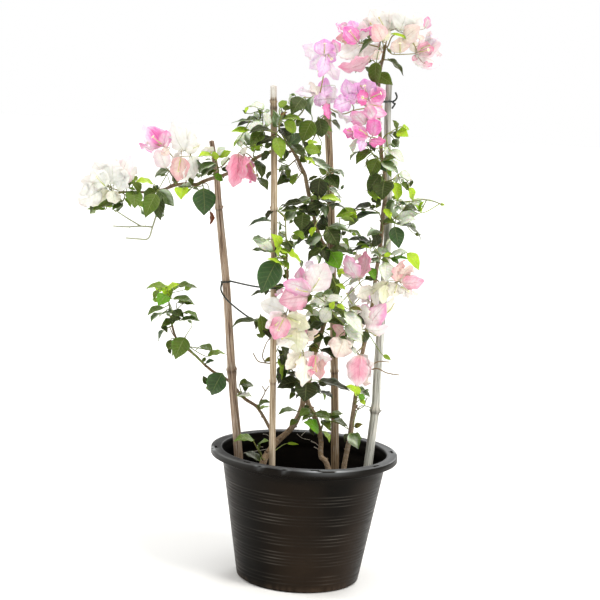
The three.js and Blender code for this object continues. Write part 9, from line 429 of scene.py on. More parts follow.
        ("X",(16.3,-58,382.2),(38.4,-76.9,374.1),(-0.008,-0.404,0.915),18.8,0.117,0.23,"LD",0,(5.8,-54.4,385.9)),
        ("X",(27.6,-56,403.9),(23.6,-68.4,389.9),(-0.129,-0.726,0.675),13.6,0.078,0.21,"Ld",0,(19.5,-51.1,409.8)),
        ("X",(-4.1,-50,437.5),(10,-33,412),(0.746,-0.665,-0.033),21.1,0.08,0.24,"Lm",0,(20.3,-55.4,419.2)),
        ("X",(-2.7,-30.4,400.5),(-18.9,-21.9,425.3),(0.73,0.634,0.257),21.6,0.089,0.12,"LD",1,(1.7,-32.2,394)),
        ("X",(0.5,-24,400.4),(3.9,-14.1,432),(-0.551,-0.778,0.302),21.4,0.075,0.13,"LD",1,(-0.6,-31.1,399.5)),
        ("X",(-0.1,-16.5,398.2),(14.3,-1.7,420.3),(-0.702,-0.291,0.65),19,0.061,0.2,"Lm",1,(-4.5,-12.4,394.2)),
        ("X",(-10.1,-11.6,394.9),(-33.6,-8.1,398),(0.188,0.491,0.851),15,0.073,0.17,"Ld",1,(-5.5,-12.7,394.1)),
        ("X",(-7.1,-0.2,398),(-6.6,20.2,413.8),(0.072,-0.613,0.787),16.5,0.084,0.08,"Lm",1,(-9.1,-1,391.7)),
        ("X",(-13.8,8.6,393.1),(-17,15.9,412.1),(0.547,-0.548,0.633),14.4,0.052,0.18,"Ld",1,(-12.7,6,388.8)),
        ("X",(-11.9,11.7,393),(-9.2,31.9,408.1),(-0.543,-0.454,0.706),16.2,0.057,0.18,"Ld",1,(-11,8.8,392.5)),
    ]),
    "leaf_shoot_centre_mid": ("l", [
        ("T",((6,-6.2,549.3),(5.6,-13.8,549.2),(4.8,-21.6,549.8),(4,-29.3,550.5),(3.2,-37.1,551.4),(2.3,-44.7,552.6),(0.1,-52,554.1),(-6.6,-55.7,555.2),(-14,-58,556.2)),(1.49,1.32,1.28,1.23,1.18,1.13,1.06,0.99,0.92)),
        ("T",((16.3,-4.5,536),(16.9,-10.3,537.2),(16.6,-17,540.5),(16.4,-23.8,543.9),(16.1,-30.4,547.5),(15.9,-36.8,551.3),(15.6,-42.6,556.2),(15.3,-47.5,561.8),(16.5,-52.1,567.6),(22,-55.9,570.7),(29.1,-58.1,571.8),(36.5,-59.3,571.4),(43.9,-60,570.5)),(1.72,1.55,1.51,1.47,1.45,1.41,1.37,1.31,1.24,1.15,1.07,1,0.92)),
        ("B",((16.2,-15.6,535.9),(15.4,-23.6,535.9),(14.5,-31.5,535.9),(13.3,-39.4,536.5),(11.2,-46.9,538.3),(8.6,-54,540.7)),(1.22,1.18,1.14,1.08,1,0.92)),
        ("B",((1.3,-9.8,551.3),(-2.2,2.2,552.7),(-5.3,14.4,553.9),(-7.9,26.7,555),(-10,39,555.7),(-11.1,51.6,555.5),(-11,64.1,554.2),(-10.4,76.6,552.5)),(1.28,1.24,1.2,1.16,1.12,1.07,1.02,0.98)),
        ("B",((-2.2,21.9,549.5),(0.5,33.2,545.3),(4,44.2,541),(8.8,54.2,535.7),(14.7,63.2,529.7)),(1.25,1.2,1.13,1.06,0.98)),
        ("J",((9,-7.2,544.7),(13.3,-6.5,540)),(1,1)),
        ("X",(8.5,-74,541.2),(-13.5,-76.5,521.6),(-0.483,-0.616,0.622),19.2,0.14,0.18,"Ld",0,(31.6,-58.3,571.1)),
        ("X",(6.6,-73,561.1),(-15.7,-55.9,545.7),(-0.677,-0.711,0.191),20.8,0.1,0.25,"Lq",0,(26.6,-57.5,572)),
        ("X",(1.3,-70,532.6),(4.4,-79.9,517.6),(0.662,-0.555,0.504),11.5,0.092,0.25,"Lq",0,(-4.5,-54.6,554.3)),
        ("X",(20.9,-70,540.7),(49.5,-76.1,537.6),(-0.015,-0.51,0.86),20.4,0.12,0.2,"Ld",0,(8.6,-54,540.7)),
        ("X",(14.3,-66,574),(33.7,-66,545.7),(0.229,-0.961,0.157),30.2,0.08,0.16,"Ld",0,(15.5,-50.4,566.1)),
        ("X",(-19.3,-64,555.7),(-38.2,-79.3,564.5),(0.66,-0.48,0.578),17,0.109,0.12,"Lg",0,(-14,-58,556.2)),
        ("X",(9.8,-62.5,546.4),(-12.9,-49.3,537.5),(-0.529,-0.414,0.741),19.2,0.102,0.18,"Ld",0,(12.4,-44.4,538)),
        ("X",(-18.6,-62,556.3),(-31.9,-51.4,543.6),(-0.779,-0.397,0.485),14.6,0.068,0.22,"Ld",0,(-11.6,-57.3,555.3)),
        ("X",(45.4,-62,570.8),(68.1,-68.9,563.5),(0.226,-0.259,0.939),17,0.1,0.15,"Lm",0,(43.9,-60,570.5)),
        ("X",(19.5,-62,539.1),(38.2,-62,511.3),(0.234,-0.959,0.158),31.1,0.08,0.1,"LG",0,(9.4,-51.8,539.4)),
        ("X",(15.4,-55.9,573.7),(49,-73.5,570.5),(-0.163,-0.375,0.913),20.9,0.1,0.19,"Lq",0,(14.8,-54.9,568.2)),
        ("X",(38.6,-60,557),(49.8,-48.9,541),(0.865,-0.323,0.384),15.1,0.18,0.12,"Lg",0,(38.9,-59.4,570.6)),
        ("X",(33.5,-58,486.3),(48.5,-68.5,479.2),(0.16,-0.392,0.906),12.4,0.065,0.2,"Ly",0,(13.7,-36.8,535.7)),
        ("X",(46.2,-56,508.7),(34,-66.7,502.3),(0.177,-0.65,0.739),11.3,0.073,0.12,"Ly",0,(14.8,-28.9,535.2)),
        ("X",(8.3,-62.9,544.7),(18.9,-73.5,521.5),(0.104,-0.886,0.452),17.6,0.067,0.12,"LD",0,(2,-47.4,552.8)),
        ("X",(23.8,-46,495.3),(38.1,-46,464.6),(0.734,-0.586,0.343),22.9,0.114,0.11,"Lm",0,(11.9,-44.5,537.1)),
        ("X",(-1.7,9.6,547.1),(4.4,17.6,527.3),(0.712,0.548,0.439),15.4,0.064,0.09,"LD",1,(-3.2,6.3,552.4)),
        ("X",(-11,21.4,557.4),(-29.8,31.1,569.8),(0.641,0.461,0.614),17.4,0.066,0.2,"Lm",1,(-6.7,18.3,554.6)),
        ("X",(-8,32.6,550.3),(-5.5,48.7,524.5),(0.244,0.812,0.531),18.9,0.09,0.15,"Lq",1,(-8.6,30.8,554.6)),
        ("X",(-13.9,42,560.4),(-33.1,52.9,584.6),(0.442,-0.631,0.637),21.7,0.081,0.18,"Lm",1,(-9.3,34.9,556.1)),
        ("X",(-14.5,54.7,560.6),(-28.3,64.2,582.2),(0.619,-0.489,0.615),18.8,0.082,0.14,"LD",1,(-11.3,47.4,555.2)),
        ("X",(-16.2,67.8,557),(-35.9,83.8,567.5),(0.4,-0.104,0.91),17.5,0.057,0.13,"LD",1,(-11.5,59.9,554.3)),
        ("X",(-11.9,82.8,555.9),(-18.7,111.6,571.6),(0.363,-0.378,0.852),21.7,0.085,0.21,"Ld",1,(-10.4,76.6,552.5)),
        ("X",(-0.5,27.7,542.4),(0.3,22.5,517.5),(-0.969,0.235,-0.081),16.5,0.061,0.17,"Ld",1,(0.2,29.2,546.4)),
        ("X",(2.9,36.1,541.1),(16.1,43.3,515.8),(-0.028,0.965,0.259),19.9,0.083,0.16,"LD",1,(1.7,36.6,543.2)),
        ("X",(-0.7,45.6,543),(-16.2,62.2,546.5),(0.05,-0.164,0.985),15,0.078,0.19,"Ld",1,(5.1,47.9,539.4)),
        ("X",(4.4,48.8,534.6),(-5.1,62.2,514.6),(-0.522,0.621,0.584),17.8,0.064,0.09,"LD",1,(5.6,47.3,538.7)),
        ("X",(2,57.7,535.9),(-20,76,533),(-0.249,-0.15,0.957),18.1,0.1,0.08,"Ld",1,(6.7,50.9,537.1)),
        ("X",(7.4,63.3,534.3),(-7.2,87.7,537.6),(-0.178,-0.236,0.955),17.8,0.074,0.2,"Ld",1,(4.7,56.8,530.4)),
        ("X",(14,67.5,526.5),(10.4,90.6,509.6),(0.349,0.589,0.729),18.5,0.074,0.2,"Lm",1,(14.7,63.2,529.7)),
        ("X",(16.6,-58.9,574),(-2.4,-36.8,578.6),(-0.701,-0.657,0.275),19.3,0.062,0.3,"LD",0,(15.3,-47.5,561.8)),
        ("X",(34.5,-65.2,589.6),(56.9,-58.7,583.2),(0.081,0.553,0.829),16.8,0.078,0.16,"Lg",0,(36.5,-59.3,571.4)),
        ("X",(47.6,-58.7,580.5),(63.7,-54.3,587.7),(-0.416,0.788,0.453),13.4,0.086,0.13,"LD",0,(22,-55.9,570.7)),
        ("X",(-12.5,13.9,541.8),(-19.9,10.2,544),(0.461,-0.529,0.713),5.7,0.113,0.18,"Ld",1,(-4.3,10.3,553.5)),
        ("X",(-14.6,29.1,553.4),(-17.3,32.9,544.6),(-0.353,0.836,0.421),7.3,0.126,0.27,"LD",1,(-10,39,555.7)),
        ("X",(53.2,-55.2,566.6),(61,-53,563.2),(0.311,-0.947,0.075),5.5,0.053,0.15,"Lg",1,(43.9,-60,570.5)),
        ("X",(36.9,-71.3,564.8),(44.4,-71.8,570.2),(-0.132,-0.987,0.091),6.8,0.044,0.1,"LD",1,(29.1,-58.1,571.8)),
        ("X",(38.1,-24.9,528.1),(46.5,-24.8,529.2),(-0.096,0.781,0.617),5.9,0.044,0.22,"Lg",1,(16.9,-10.3,537.2)),
    ]),
    "leaf_shoot_centre_upper": ("l", [
        ("T",((-11.5,-8,607.5),(-9.8,-15.1,608.8),(-8.3,-22.3,610.9),(-6.7,-29.2,613.8),(-4.8,-35,618.3),(-2.8,-40,623.8),(-1.1,-44.2,629.9),(-0.4,-46.6,637.1),(0.8,-47.9,644.5),(5.3,-48.2,650.4),(11.2,-48,655.2)),(1.72,1.52,1.46,1.41,1.36,1.3,1.24,1.17,1.09,1,0.92)),
        ("B",((-14.1,-21.9,607.6),(-18.7,-27.4,606.2),(-23.4,-32.7,604.5),(-28.4,-37.6,602.5),(-34.1,-41.4,599.9),(-40.6,-44,597.8),(-47.3,-46,595.9)),(1.44,1.38,1.32,1.24,1.13,1.02,0.92)),
        ("T",((-8.2,-8.1,586.6),(-10.4,-14.6,586.8),(-12.9,-21.4,587.7),(-15.4,-28.1,588.7),(-17.9,-34.8,589.5),(-20.6,-41.5,590.1),(-23.7,-48,589.7)),(1.15,1.06,1.05,1.02,1,0.98,0.92)),
        ("B",((-0.4,-33.2,611.6),(5.7,-36.4,609.1),(12.4,-38.8,607.4),(19.5,-40.5,606.6),(26.6,-42,606.1)),(1.08,1.01,0.94,0.87,0.8)),
        ("B",((20.8,-29.8,611.4),(18.5,-18.4,616.6),(15.7,-7.4,622.1),(12.2,3.3,627.8),(7.2,13.4,633.5),(1.2,23,639.1)),(1.26,1.22,1.16,1.1,1.05,0.98)),
        ("B",((15,-28.4,608.7),(13,-16.8,610.6),(10.5,-5.4,613),(7.7,5.8,615.8),(4.5,16.9,619),(0.1,27.3,622.7),(-4.7,37.5,626.7)),(1.28,1.23,1.18,1.14,1.09,1.03,0.98)),
        ("J",((-10.6,-9.6,602.8),(-10.1,-9.6,597.9),(-9.4,-9.6,592.2)),(1,1,1)),
        ("X",(-23.7,-66,591.9),(-23.8,-86,569),(-0.236,-0.731,0.64),27.7,0.072,0.1,"Ld",0,(-23.7,-48,589.7)),
        ("X",(2.5,-60,617.7),(34.3,-64.7,613.7),(0.065,-0.351,0.934),22,0.14,0.15,"Ly",0,(-1.6,-41.5,625.6)),
        ("X",(-0.9,-58,649.7),(-1.8,-48.1,613.5),(-0.256,-0.934,-0.248),29.5,0.06,0.19,"LD",0,(3.3,-48,648.8)),
        ("X",(-30.4,-58,599.4),(-59.3,-60.5,593.3),(-0.159,-0.38,0.911),18.8,0.07,0.15,"Lm",0,(-22.2,-46,590.1)),
        ("X",(-4.9,-61,573.3),(-9.5,-72.2,560.1),(-0.445,-0.598,0.666),12.6,0.081,0.12,"Ly",0,(10,-38,607.4)),
        ("X",(-13,-56,620.4),(-1.9,-48.8,615.1),(0.568,-0.82,0.074),7.2,0.106,0.18,"Lm",0,(-0.2,-45.2,632.1)),
        ("X",(-24.8,-56,609.6),(-58.3,-56,600.8),(-0.231,-0.432,0.872),21.8,0.08,0.16,"LD",0,(-2.8,-41.9,625.7)),
        ("X",(2.7,-54,614.9),(21.7,-42.5,610.5),(0.393,-0.318,0.863),15.7,0.12,0.16,"Lc",0,(-3.4,-38.9,621.4)),
        ("X",(-23.4,-49.6,587.9),(-34.1,-40.3,593.9),(-0.353,-0.749,0.561),12.8,0.071,0.25,"LM",0,(-23.3,-54.2,590.3)),
        ("X",(-13.9,-52,609.2),(-40.5,-32.2,608.5),(-0.289,-0.357,0.888),23.6,0.104,0.15,"Lq",0,(10.1,-38.4,608.3)),
        ("X",(-7.6,-52,580.1),(-24.8,-52,555.7),(-0.238,-0.956,0.169),19.2,0.104,0.22,"LD",0,(8,-36.8,608.2)),
        ("X",(12,-48.9,653.7),(28.4,-66.9,634.3),(-0.031,-0.742,0.67),22.5,0.1,0.16,"Ld",0,(9.3,-48.6,653.5)),
        ("X",(6.2,-50.5,610.2),(-19.3,-59.8,595.5),(-0.182,-0.656,0.732),21,0.082,0.17,"LD",0,(14.6,-39.8,606.9)),
        ("X",(-30.8,-43,577.9),(-23.4,-60,558.1),(0.616,-0.468,0.634),17.1,0.111,0.16,"Ld",0,(-42.7,-44.6,596.6)),
        ("X",(14.2,-44,631.2),(35.6,-25.6,617.1),(0.644,-0.178,0.744),22.4,0.06,0.19,"Lq",0,(0.6,-47.2,639.3)),
        ("X",(4.7,-42.5,608),(11.9,-58.9,588.8),(0.293,-0.67,0.682),16.1,0.085,0.17,"Lq",0,(1.3,-34.8,610.6)),
        ("X",(14.2,-47,605),(44.7,-47,600.5),(0.142,-0.202,0.969),20.4,0.14,0.2,"Ld",0,(12.7,-43.9,607.6)),
        ("X",(2.8,-40,589),(16,-27.6,577.7),(0.711,-0.701,0.063),13.9,0.105,0.16,"LD",0,(-21.2,-43.9,589.7)),
        ("X",(7.5,-35.1,607.4),(5.7,-26.5,592.7),(-0.895,-0.425,-0.132),12.2,0.103,0.2,"Lo",0,(1.7,-33.8,610.4)),
        ("X",(12,-19.2,620.2),(-10.6,-17,634.2),(0.47,-0.346,0.812),18.6,0.092,0.09,"Lm",1,(18.7,-22.2,614.5)),
        ("X",(18.1,-5.6,616.2),(22.9,22.8,601.9),(-0.258,0.467,0.846),23,0.061,0.19,"Lm",1,(17.2,-10.8,620)),
        ("X",(10.2,-2.7,621.5),(-15.3,9.6,611.6),(-0.356,0.014,0.934),18.7,0.056,0.19,"LD",1,(14,-4.1,624.2)),
        ("X",(13.9,3.1,632.4),(20.1,8.5,659.5),(-0.936,-0.233,0.263),18.7,0.107,0.1,"LD",1,(13.4,-0.6,626.5)),
        ("X",(6,7.6,627.8),(-7.9,25.4,613.7),(-0.214,0.499,0.84),18.6,0.078,0.17,"Lg",1,(4.7,16.3,635.5)),
        ("X",(4.7,24.5,632.5),(2.8,46.7,625.7),(-0.293,0.258,0.92),15.3,0.065,0.16,"Lm",1,(5.2,16.9,634.9)),
        ("X",(-2.4,28.6,635.9),(-13.4,45.7,626),(0.019,0.508,0.861),14.9,0.067,0.2,"Lg",1,(1.2,23,639.1)),
        ("X",(14.1,-9.3,609),(23.6,9.4,596.9),(0.394,0.35,0.85),16,0.066,0.16,"Ld",1,(12.2,-12.9,610.7)),
        ("X",(5.8,2,617.4),(-16.9,9.9,639.5),(0.542,-0.445,0.713),22.8,0.053,0.12,"Lm",1,(9,-1.9,614.2)),
        ("X",(3.6,6.5,613.6),(-25.7,17.7,600.7),(-0.234,0.404,0.884),24.1,0.052,0.15,"Ld",1,(6.1,9.3,617.1)),
        ("X",(10.1,21.5,615.2),(24.7,41.3,606.2),(-0.093,0.47,0.878),18.6,0.067,0.21,"LD",1,(6.6,9.7,616.2)),
        ("X",(4.2,42.8,624.7),(10.6,46.5,647.6),(0.478,0.837,-0.267),16.3,0.093,0.18,"Ld",1,(3,20.5,619.6)),
        ("X",(-0.9,33.3,620.1),(-2.2,54.7,603.8),(0.009,0.605,0.796),17.3,0.092,0.19,"Lm",1,(-1.5,30.9,623.5)),
        ("X",(-5.8,44.2,625.4),(-9.6,67.1,620.7),(-0.247,0.155,0.957),15.6,0.061,0.17,"Lm",1,(-4.7,37.5,626.7)),
        ("X",(-32.2,-50.2,599.2),(-0.7,-51,588.3),(0.261,-0.552,0.792),21.5,0.118,0.2,"LD",0,(-17.9,-34.8,589.5)),
        ("X",(-34.7,-51.9,597.3),(-53.3,-44.6,578.7),(-0.307,-0.949,-0.079),16.9,0.129,0.28,"Lq",0,(-20.6,-41.5,590.1)),
        ("X",(-4.7,-31.2,589.2),(-0.2,-39.5,600.5),(0.268,0.813,0.517),11.3,0.122,0.08,"LD",0,(-20.6,-41.5,590.1)),
        ("X",(34.2,12.3,628.9),(37.7,12.2,636.8),(-0.017,-1,0),5.2,0.129,0.2,"Lq",1,(8.9,10,631.6)),
        ("X",(22.4,-0.7,654.7),(31.9,0,652.8),(0.201,-0.563,0.801),6.1,0.047,0.17,"Lq",1,(7.2,13.4,633.5)),
        ("X",(33.3,-44,614.6),(27.8,-53.1,622.1),(0.903,-0.071,0.424),8.4,0.045,0.13,"Lq",0,(26.6,-42,606.1)),
        ("X",(-38.4,-40.8,579.9),(-44.7,-40.5,574.2),(-0.248,0.908,0.337),5.7,0.096,0.21,"Lq",1,(-23.7,-48,589.7)),
    ]),
    "leaf_shoot_crown_centre": ("l", [
        ("T",((-43.4,-9.8,683),(-43.5,-13.5,683.2),(-46.3,-19.7,687.1),(-49,-25.8,691.1),(-51.7,-31.9,695.1),(-54.5,-38.1,699.2),(-57.1,-44.3,703.1),(-59.6,-50.6,707),(-61.9,-57.1,710.7),(-63.8,-64,713.9),(-65.4,-71,716.9),(-66.7,-78.2,719.8),(-67.6,-85.1,723.4),(-67.7,-90.2,729.1),(-65.8,-91.8,736.5),(-62.5,-92.4,743.5),(-58.5,-92,750.2)),(2.07,1.86,1.83,1.79,1.76,1.74,1.7,1.68,1.64,1.61,1.56,1.52,1.46,1.37,1.26,1.15,1.03)),
        ("B",((-57.5,-55.7,716),(-53.6,-56.5,722.3),(-49.6,-57.4,728.5),(-45.3,-58.7,734.4),(-40.7,-60.5,739.9),(-36.1,-62.5,745.4),(-32.1,-64.3,751.4),(-29.5,-65.3,758.2),(-27.5,-66,765.4)),(1.67,1.6,1.53,1.47,1.4,1.32,1.24,1.14,1.03)),
        ("B",((-34,-56.9,757.3),(-39.6,-48.2,752.6),(-45.3,-39.3,748.4),(-50.9,-30.1,744.7),(-56.5,-20.8,741.4),(-62.1,-11.3,738.7),(-67.6,-1.5,736.9),(-73,8.4,735.3)),(1.28,1.24,1.2,1.16,1.12,1.07,1.02,0.98)),
        ("X",(-60.4,-90,732.2),(-41.5,-72,716.9),(0.717,-0.694,0.065),19.9,0.15,0.13,"Lg",0,(-65.8,-90.9,734)),
        ("X",(-72.2,-85,724.6),(-77,-98.8,749.5),(0.659,-0.704,-0.264),18.5,0.067,0.25,"Lq",0,(-68.4,-87.1,725.2)),
        ("X",(-65.4,-88,740.9),(-56,-81.1,747.4),(-0.123,-0.58,0.805),6.7,0.076,0.22,"Lr",0,(-64.7,-91.3,738.9)),
        ("X",(-71.3,-86,708.8),(-61.1,-86,676.1),(0.308,-0.946,0.096),22.3,0.08,0.22,"Lg",0,(-67.4,-83.2,721.5)),
        ("X",(-62.3,-84,737.3),(-33.4,-91.4,737.6),(-0.118,-0.422,0.899),18.3,0.094,0.15,"Lg",0,(-63.6,-90.8,735.3)),
        ("X",(-63.6,-85,735),(-66.2,-72.5,751.2),(0.637,-0.557,0.533),13.9,0.098,0.11,"Lq",0,(-66.9,-88.2,727.3)),
        ("X",(-67.7,-80,752.7),(-58,-67.9,765.2),(-0.081,-0.684,0.725),13.4,0.07,0.24,"Lg",0,(-65.2,-92.4,739)),
        ("X",(-33.8,-78,769.7),(-49.7,-96.4,745.8),(0.088,-0.816,0.571),26.7,0.1,0.11,"Ld",0,(-27.5,-66,765.4)),
        ("X",(-18.2,-78,736.6),(-31.5,-78,702.5),(-0.232,-0.968,0.09),28.3,0.08,0.1,"Lm",0,(-28.6,-66.1,760.5)),
        ("X",(-52.9,-72,756.4),(-33.4,-87.3,750.3),(-0.1,-0.477,0.873),17.3,0.114,0.25,"Lo",0,(-42.5,-59.2,738.5)),
        ("X",(-66.2,-74.5,722.4),(-49.6,-89.5,702.7),(0.306,-0.617,0.725),20.6,0.075,0.18,"LD",0,(-66.5,-82.6,722.5)),
        ("X",(-19.5,-69,772.7),(-21.8,-89.6,745.7),(-0.727,-0.515,0.454),22.4,0.104,0.17,"Lq",0,(-27.6,-65.8,762.8)),
        ("X",(-53.1,-66,759.4),(-53.8,-75.1,774.6),(0.733,-0.599,-0.323),10.8,0.072,0.14,"Lp",0,(-47,-57.5,732.8)),
        ("X",(-58.6,-62,691.9),(-57.3,-76.3,673.5),(0.702,-0.537,0.468),14.3,0.119,0.21,"Ld",0,(-59.6,-53.2,707.9)),
        ("X",(-36.5,-38.9,754.6),(-20.9,-16.9,765.4),(-0.554,-0.015,0.832),18.9,0.053,0.2,"Lm",1,(-41.1,-45.2,750.7)),
        ("X",(-48.5,-39.5,741.4),(-55.5,-48.2,718.9),(-0.952,0.22,0.211),15.8,0.065,0.2,"Ld",1,(-47.7,-36.6,747.1)),
        ("X",(-50.3,-28.4,735.6),(-46.6,-25.5,706.8),(-0.706,0.708,-0.017),20.4,0.106,0.1,"Lm",1,(-52.4,-26.9,743.1)),
        ("X",(-60.4,-20.8,737.9),(-78.3,-25,720.5),(-0.702,0.057,0.71),18.1,0.056,0.13,"LD",1,(-58.9,-18,740.5)),
        ("X",(-67.8,-11.3,737.8),(-92.3,-14.2,734),(-0.162,0.099,0.982),17.1,0.106,0.19,"Lq",1,(-64.4,-8.3,738.1)),
        ("X",(-62,2.2,734.3),(-45.2,14.8,726),(0.361,0.128,0.924),15.2,0.106,0.1,"Lm",1,(-65.3,-4.5,737.5)),
        ("X",(-52.8,-50.4,695.6),(-31.9,-30.9,715.3),(0.223,-0.808,0.546),19.5,0.051,0.25,"Lc",0,(-51.7,-31.9,695.1)),
        ("X",(-33.7,-4.1,676.6),(-21.4,-14.2,671.2),(-0.678,-0.679,-0.281),11.9,0.052,0.29,"Lm",0,(-43.4,-9.8,683)),
        ("X",(-65.5,-17.8,752.9),(-51.3,-18.8,751.7),(-0.04,-0.943,0.33),10,0.042,0.28,"Lm",0,(-62.1,-11.3,738.7)),
        ("X",(-66.7,-70.3,727),(-59.8,-79.3,725.5),(-0.634,-0.496,0.593),6.8,0.052,0.28,"LD",1,(-65.4,-71,716.9)),
        ("X",(-42.1,-11.8,725.5),(-30,-16.7,738),(-0.536,-0.82,0.202),12.2,0.081,0.26,"Lm",0,(-56.5,-20.8,741.4)),
        ("X",(-46.3,-32.1,772.9),(-53.6,-35.6,773.8),(-0.395,0.866,0.307),5.1,0.088,0.18,"Lq",1,(-48.1,-34.7,746.5)),
    ]),
    "leaf_shoot_crown_left": ("l", [
        ("T",((-49.5,-9.6,691.3),(-50.4,-14.9,691.8),(-52.8,-21.5,694.4),(-55.3,-28.1,697.1),(-57.8,-34.7,699.8),(-60.3,-41.4,702.3),(-62.7,-48.1,704.8),(-65,-54.9,707),(-67.2,-61.8,709.2),(-69.4,-68.7,711.3),(-71.6,-75.6,713.4),(-74.7,-82.2,715.4),(-79,-87.8,717.1),(-85.8,-90.1,717.9),(-93.3,-90,718.7),(-99.2,-90.2,723.2),(-105.2,-90,727.7),(-112.2,-90,730.5)),(2.18,1.98,1.93,1.9,1.86,1.83,1.81,1.77,1.74,1.7,1.68,1.63,1.58,1.51,1.41,1.31,1.18,1.03)),
        ("B",((-77.7,-73.4,710),(-83.7,-71.1,706.4),(-89.3,-69.2,702.1),(-94.6,-67.6,697.2),(-99.4,-66.1,691.8),(-102.9,-65,685.5),(-105.4,-64,678.6)),(1.33,1.29,1.24,1.2,1.15,1.09,1.03)),
        ("B",((-92.9,-84.6,725.2),(-92.7,-79.6,732),(-93.3,-77.2,739.8),(-94.9,-78,748.1)),(1.08,1.01,0.91,0.8)),
        ("B",((-90.9,-77.2,717.8),(-90.4,-64.3,717.4),(-90.4,-51.3,717.6),(-91,-38.4,718.3),(-92.8,-25.7,719.6),(-95.4,-13.1,721.2)),(1.26,1.22,1.16,1.1,1.05,0.98)),
        ("B",((-96,-7.2,720.1),(-97.7,4.3,719.7),(-98.7,15.8,719.3),(-99.3,27.4,719.1),(-99,39,718.6),(-97.1,50.4,717.5),(-94.6,61.6,716.3)),(1.28,1.23,1.18,1.14,1.09,1.03,0.98)),
        ("X",(-80.8,-94,719.9),(-111.8,-108.1,715.6),(0.028,-0.351,0.936),22,0.05,0.25,"LD",0,(-81.1,-88.3,718.2)),
        ("X",(-91,-87.8,724.6),(-115.4,-98.1,720.3),(0.331,-0.886,0.325),17.2,0.1,0.13,"Lp",0,(-93,-87.1,723.4)),
        ("X",(-85.9,-84,724.6),(-90.6,-70.3,748.2),(0.694,-0.555,0.459),17.3,0.093,0.11,"Lp",0,(-83.8,-88.5,717.9)),
        ("X",(-76.6,-81,706.8),(-100.6,-97.9,695.5),(-0.005,-0.55,0.835),20.3,0.061,0.25,"LD",0,(-70.9,-73.6,711.8)),
        ("X",(-91.5,-82,715.1),(-109.6,-96,693.4),(-0.063,-0.813,0.579),21.8,0.106,0.2,"Lm",0,(-93.2,-85.9,723.2)),
        ("X",(-112.9,-80,716.1),(-140.2,-80,713.8),(-0.072,-0.523,0.849),16.7,0.05,0.16,"Ly",0,(-93,-85.4,720.3)),
        ("X",(-100.1,-80,733.5),(-140.9,-80,727.7),(-0.14,-0.124,0.982),25.2,0,0.12,"Lq",0,(-93.4,-78.8,734.5)),
        ("X",(-92.1,-78,750.1),(-120.1,-60.1,750.1),(-0.167,-0.28,0.945),21.6,0.12,0.23,"Lp",0,(-94.9,-78,748.1)),
        ("X",(-109.6,-65,729.5),(-131.3,-79.5,720.4),(-0.138,-0.372,0.918),17,0.1,0.12,"Ld",0,(-93.4,-77.6,737)),
        ("X",(-116.5,-76,751.4),(-120.3,-82.1,742.2),(-0.151,-0.793,0.591),5.8,0.094,0.26,"Ly",0,(-94.2,-77.8,748.5)),
        ("X",(-97.4,-74.5,734.2),(-101.7,-84.3,750.1),(0.952,-0.295,0.078),12,0.097,0.22,"Lm",0,(-98.1,-78.9,735.5)),
        ("X",(-103.8,-76,685.3),(-110,-81.2,691.3),(0.563,-0.818,-0.119),6.3,0.103,0.19,"Lg",0,(-104.1,-65.2,683.3)),
        ("X",(-124,-74,690.2),(-122.7,-61,714.2),(-0.608,-0.685,0.402),16.4,0.078,0.15,"Lp",0,(-96.6,-67.6,695.5)),
        ("X",(-94.9,-75.5,688.9),(-110.7,-66.1,691.4),(-0.168,-0.507,0.845),12.1,0.076,0.26,"Ly",0,(-92.7,-68.7,698.5)),
        ("X",(-98.8,-80.3,731.8),(-118,-91.9,733.5),(0.241,-0.339,0.91),16.2,0.08,0.21,"Ld",0,(-95.5,-79.9,732.5)),
        ("X",(-79.4,-72,684.3),(-92.9,-58.2,670.6),(-0.792,-0.578,0.196),14.8,0.101,0.13,"Ld",0,(-75.7,-73.7,711.3)),
        ("X",(-127.8,-70,700.5),(-136.7,-60.8,687.4),(-0.872,-0.319,0.372),12.1,0.062,0.18,"Lg",0,(-112.2,-90,730.5)),
        ("X",(-98.8,-68,671.5),(-88.5,-81.8,645.4),(0.637,-0.549,0.54),22.3,0.062,0.1,"Ld",0,(-105.4,-64,678.6)),
        ("X",(-127.8,-68,699.6),(-114.7,-77.4,690.9),(0.421,-0.232,0.877),11.5,0.077,0.19,"Lg",0,(-103.9,-64.1,683.4)),
        ("X",(-95.1,-66,644.8),(-79.9,-80.1,626.7),(0.396,-0.535,0.746),19.3,0.04,0.24,"Ld",0,(-103.1,-65,676.4)),
        ("X",(-92.4,-63.9,714.2),(-99.3,-49.3,692.1),(-0.566,0.583,0.582),18.4,0.082,0.14,"Lq",1,(-91.2,-68.6,717.2)),
        ("X",(-93.4,-54.2,713.5),(-106.9,-40.3,697.5),(-0.627,0.254,0.737),15.9,0.069,0.13,"Lm",1,(-89.8,-55.6,717.2)),
        ("X",(-92.1,-44.5,714.3),(-103.6,-25.7,692),(-0.442,0.561,0.7),20,0.066,0.14,"Ld",1,(-90.6,-47,717.2)),
        ("X",(-87.5,-38.1,721.6),(-71.6,-27.5,737.7),(-0.589,-0.272,0.761),15.6,0.077,0.11,"Lm",1,(-90.8,-42.7,718.7)),
        ("X",(-96.2,-31.3,718.4),(-124.6,-22.7,715.7),(-0.127,-0.108,0.986),19,0.103,0.11,"Ld",1,(-92.1,-34.3,719)),
        ("X",(-97.8,-21.1,718.2),(-124.4,-4.6,709),(-0.268,0.099,0.958),21.4,0.108,0.13,"Ld",1,(-94.2,-21.6,720.4)),
        ("X",(-97.6,-11.1,717.2),(-107,-0.5,696.9),(-0.433,0.698,0.57),16.2,0.084,0.18,"Ld",1,(-96.4,-9.2,720.2)),
        ("X",(-100.7,10,721.8),(-115.1,21.6,734.4),(0.707,0.127,0.695),15,0.078,0.21,"Lm",1,(-98.6,8.1,719.9)),
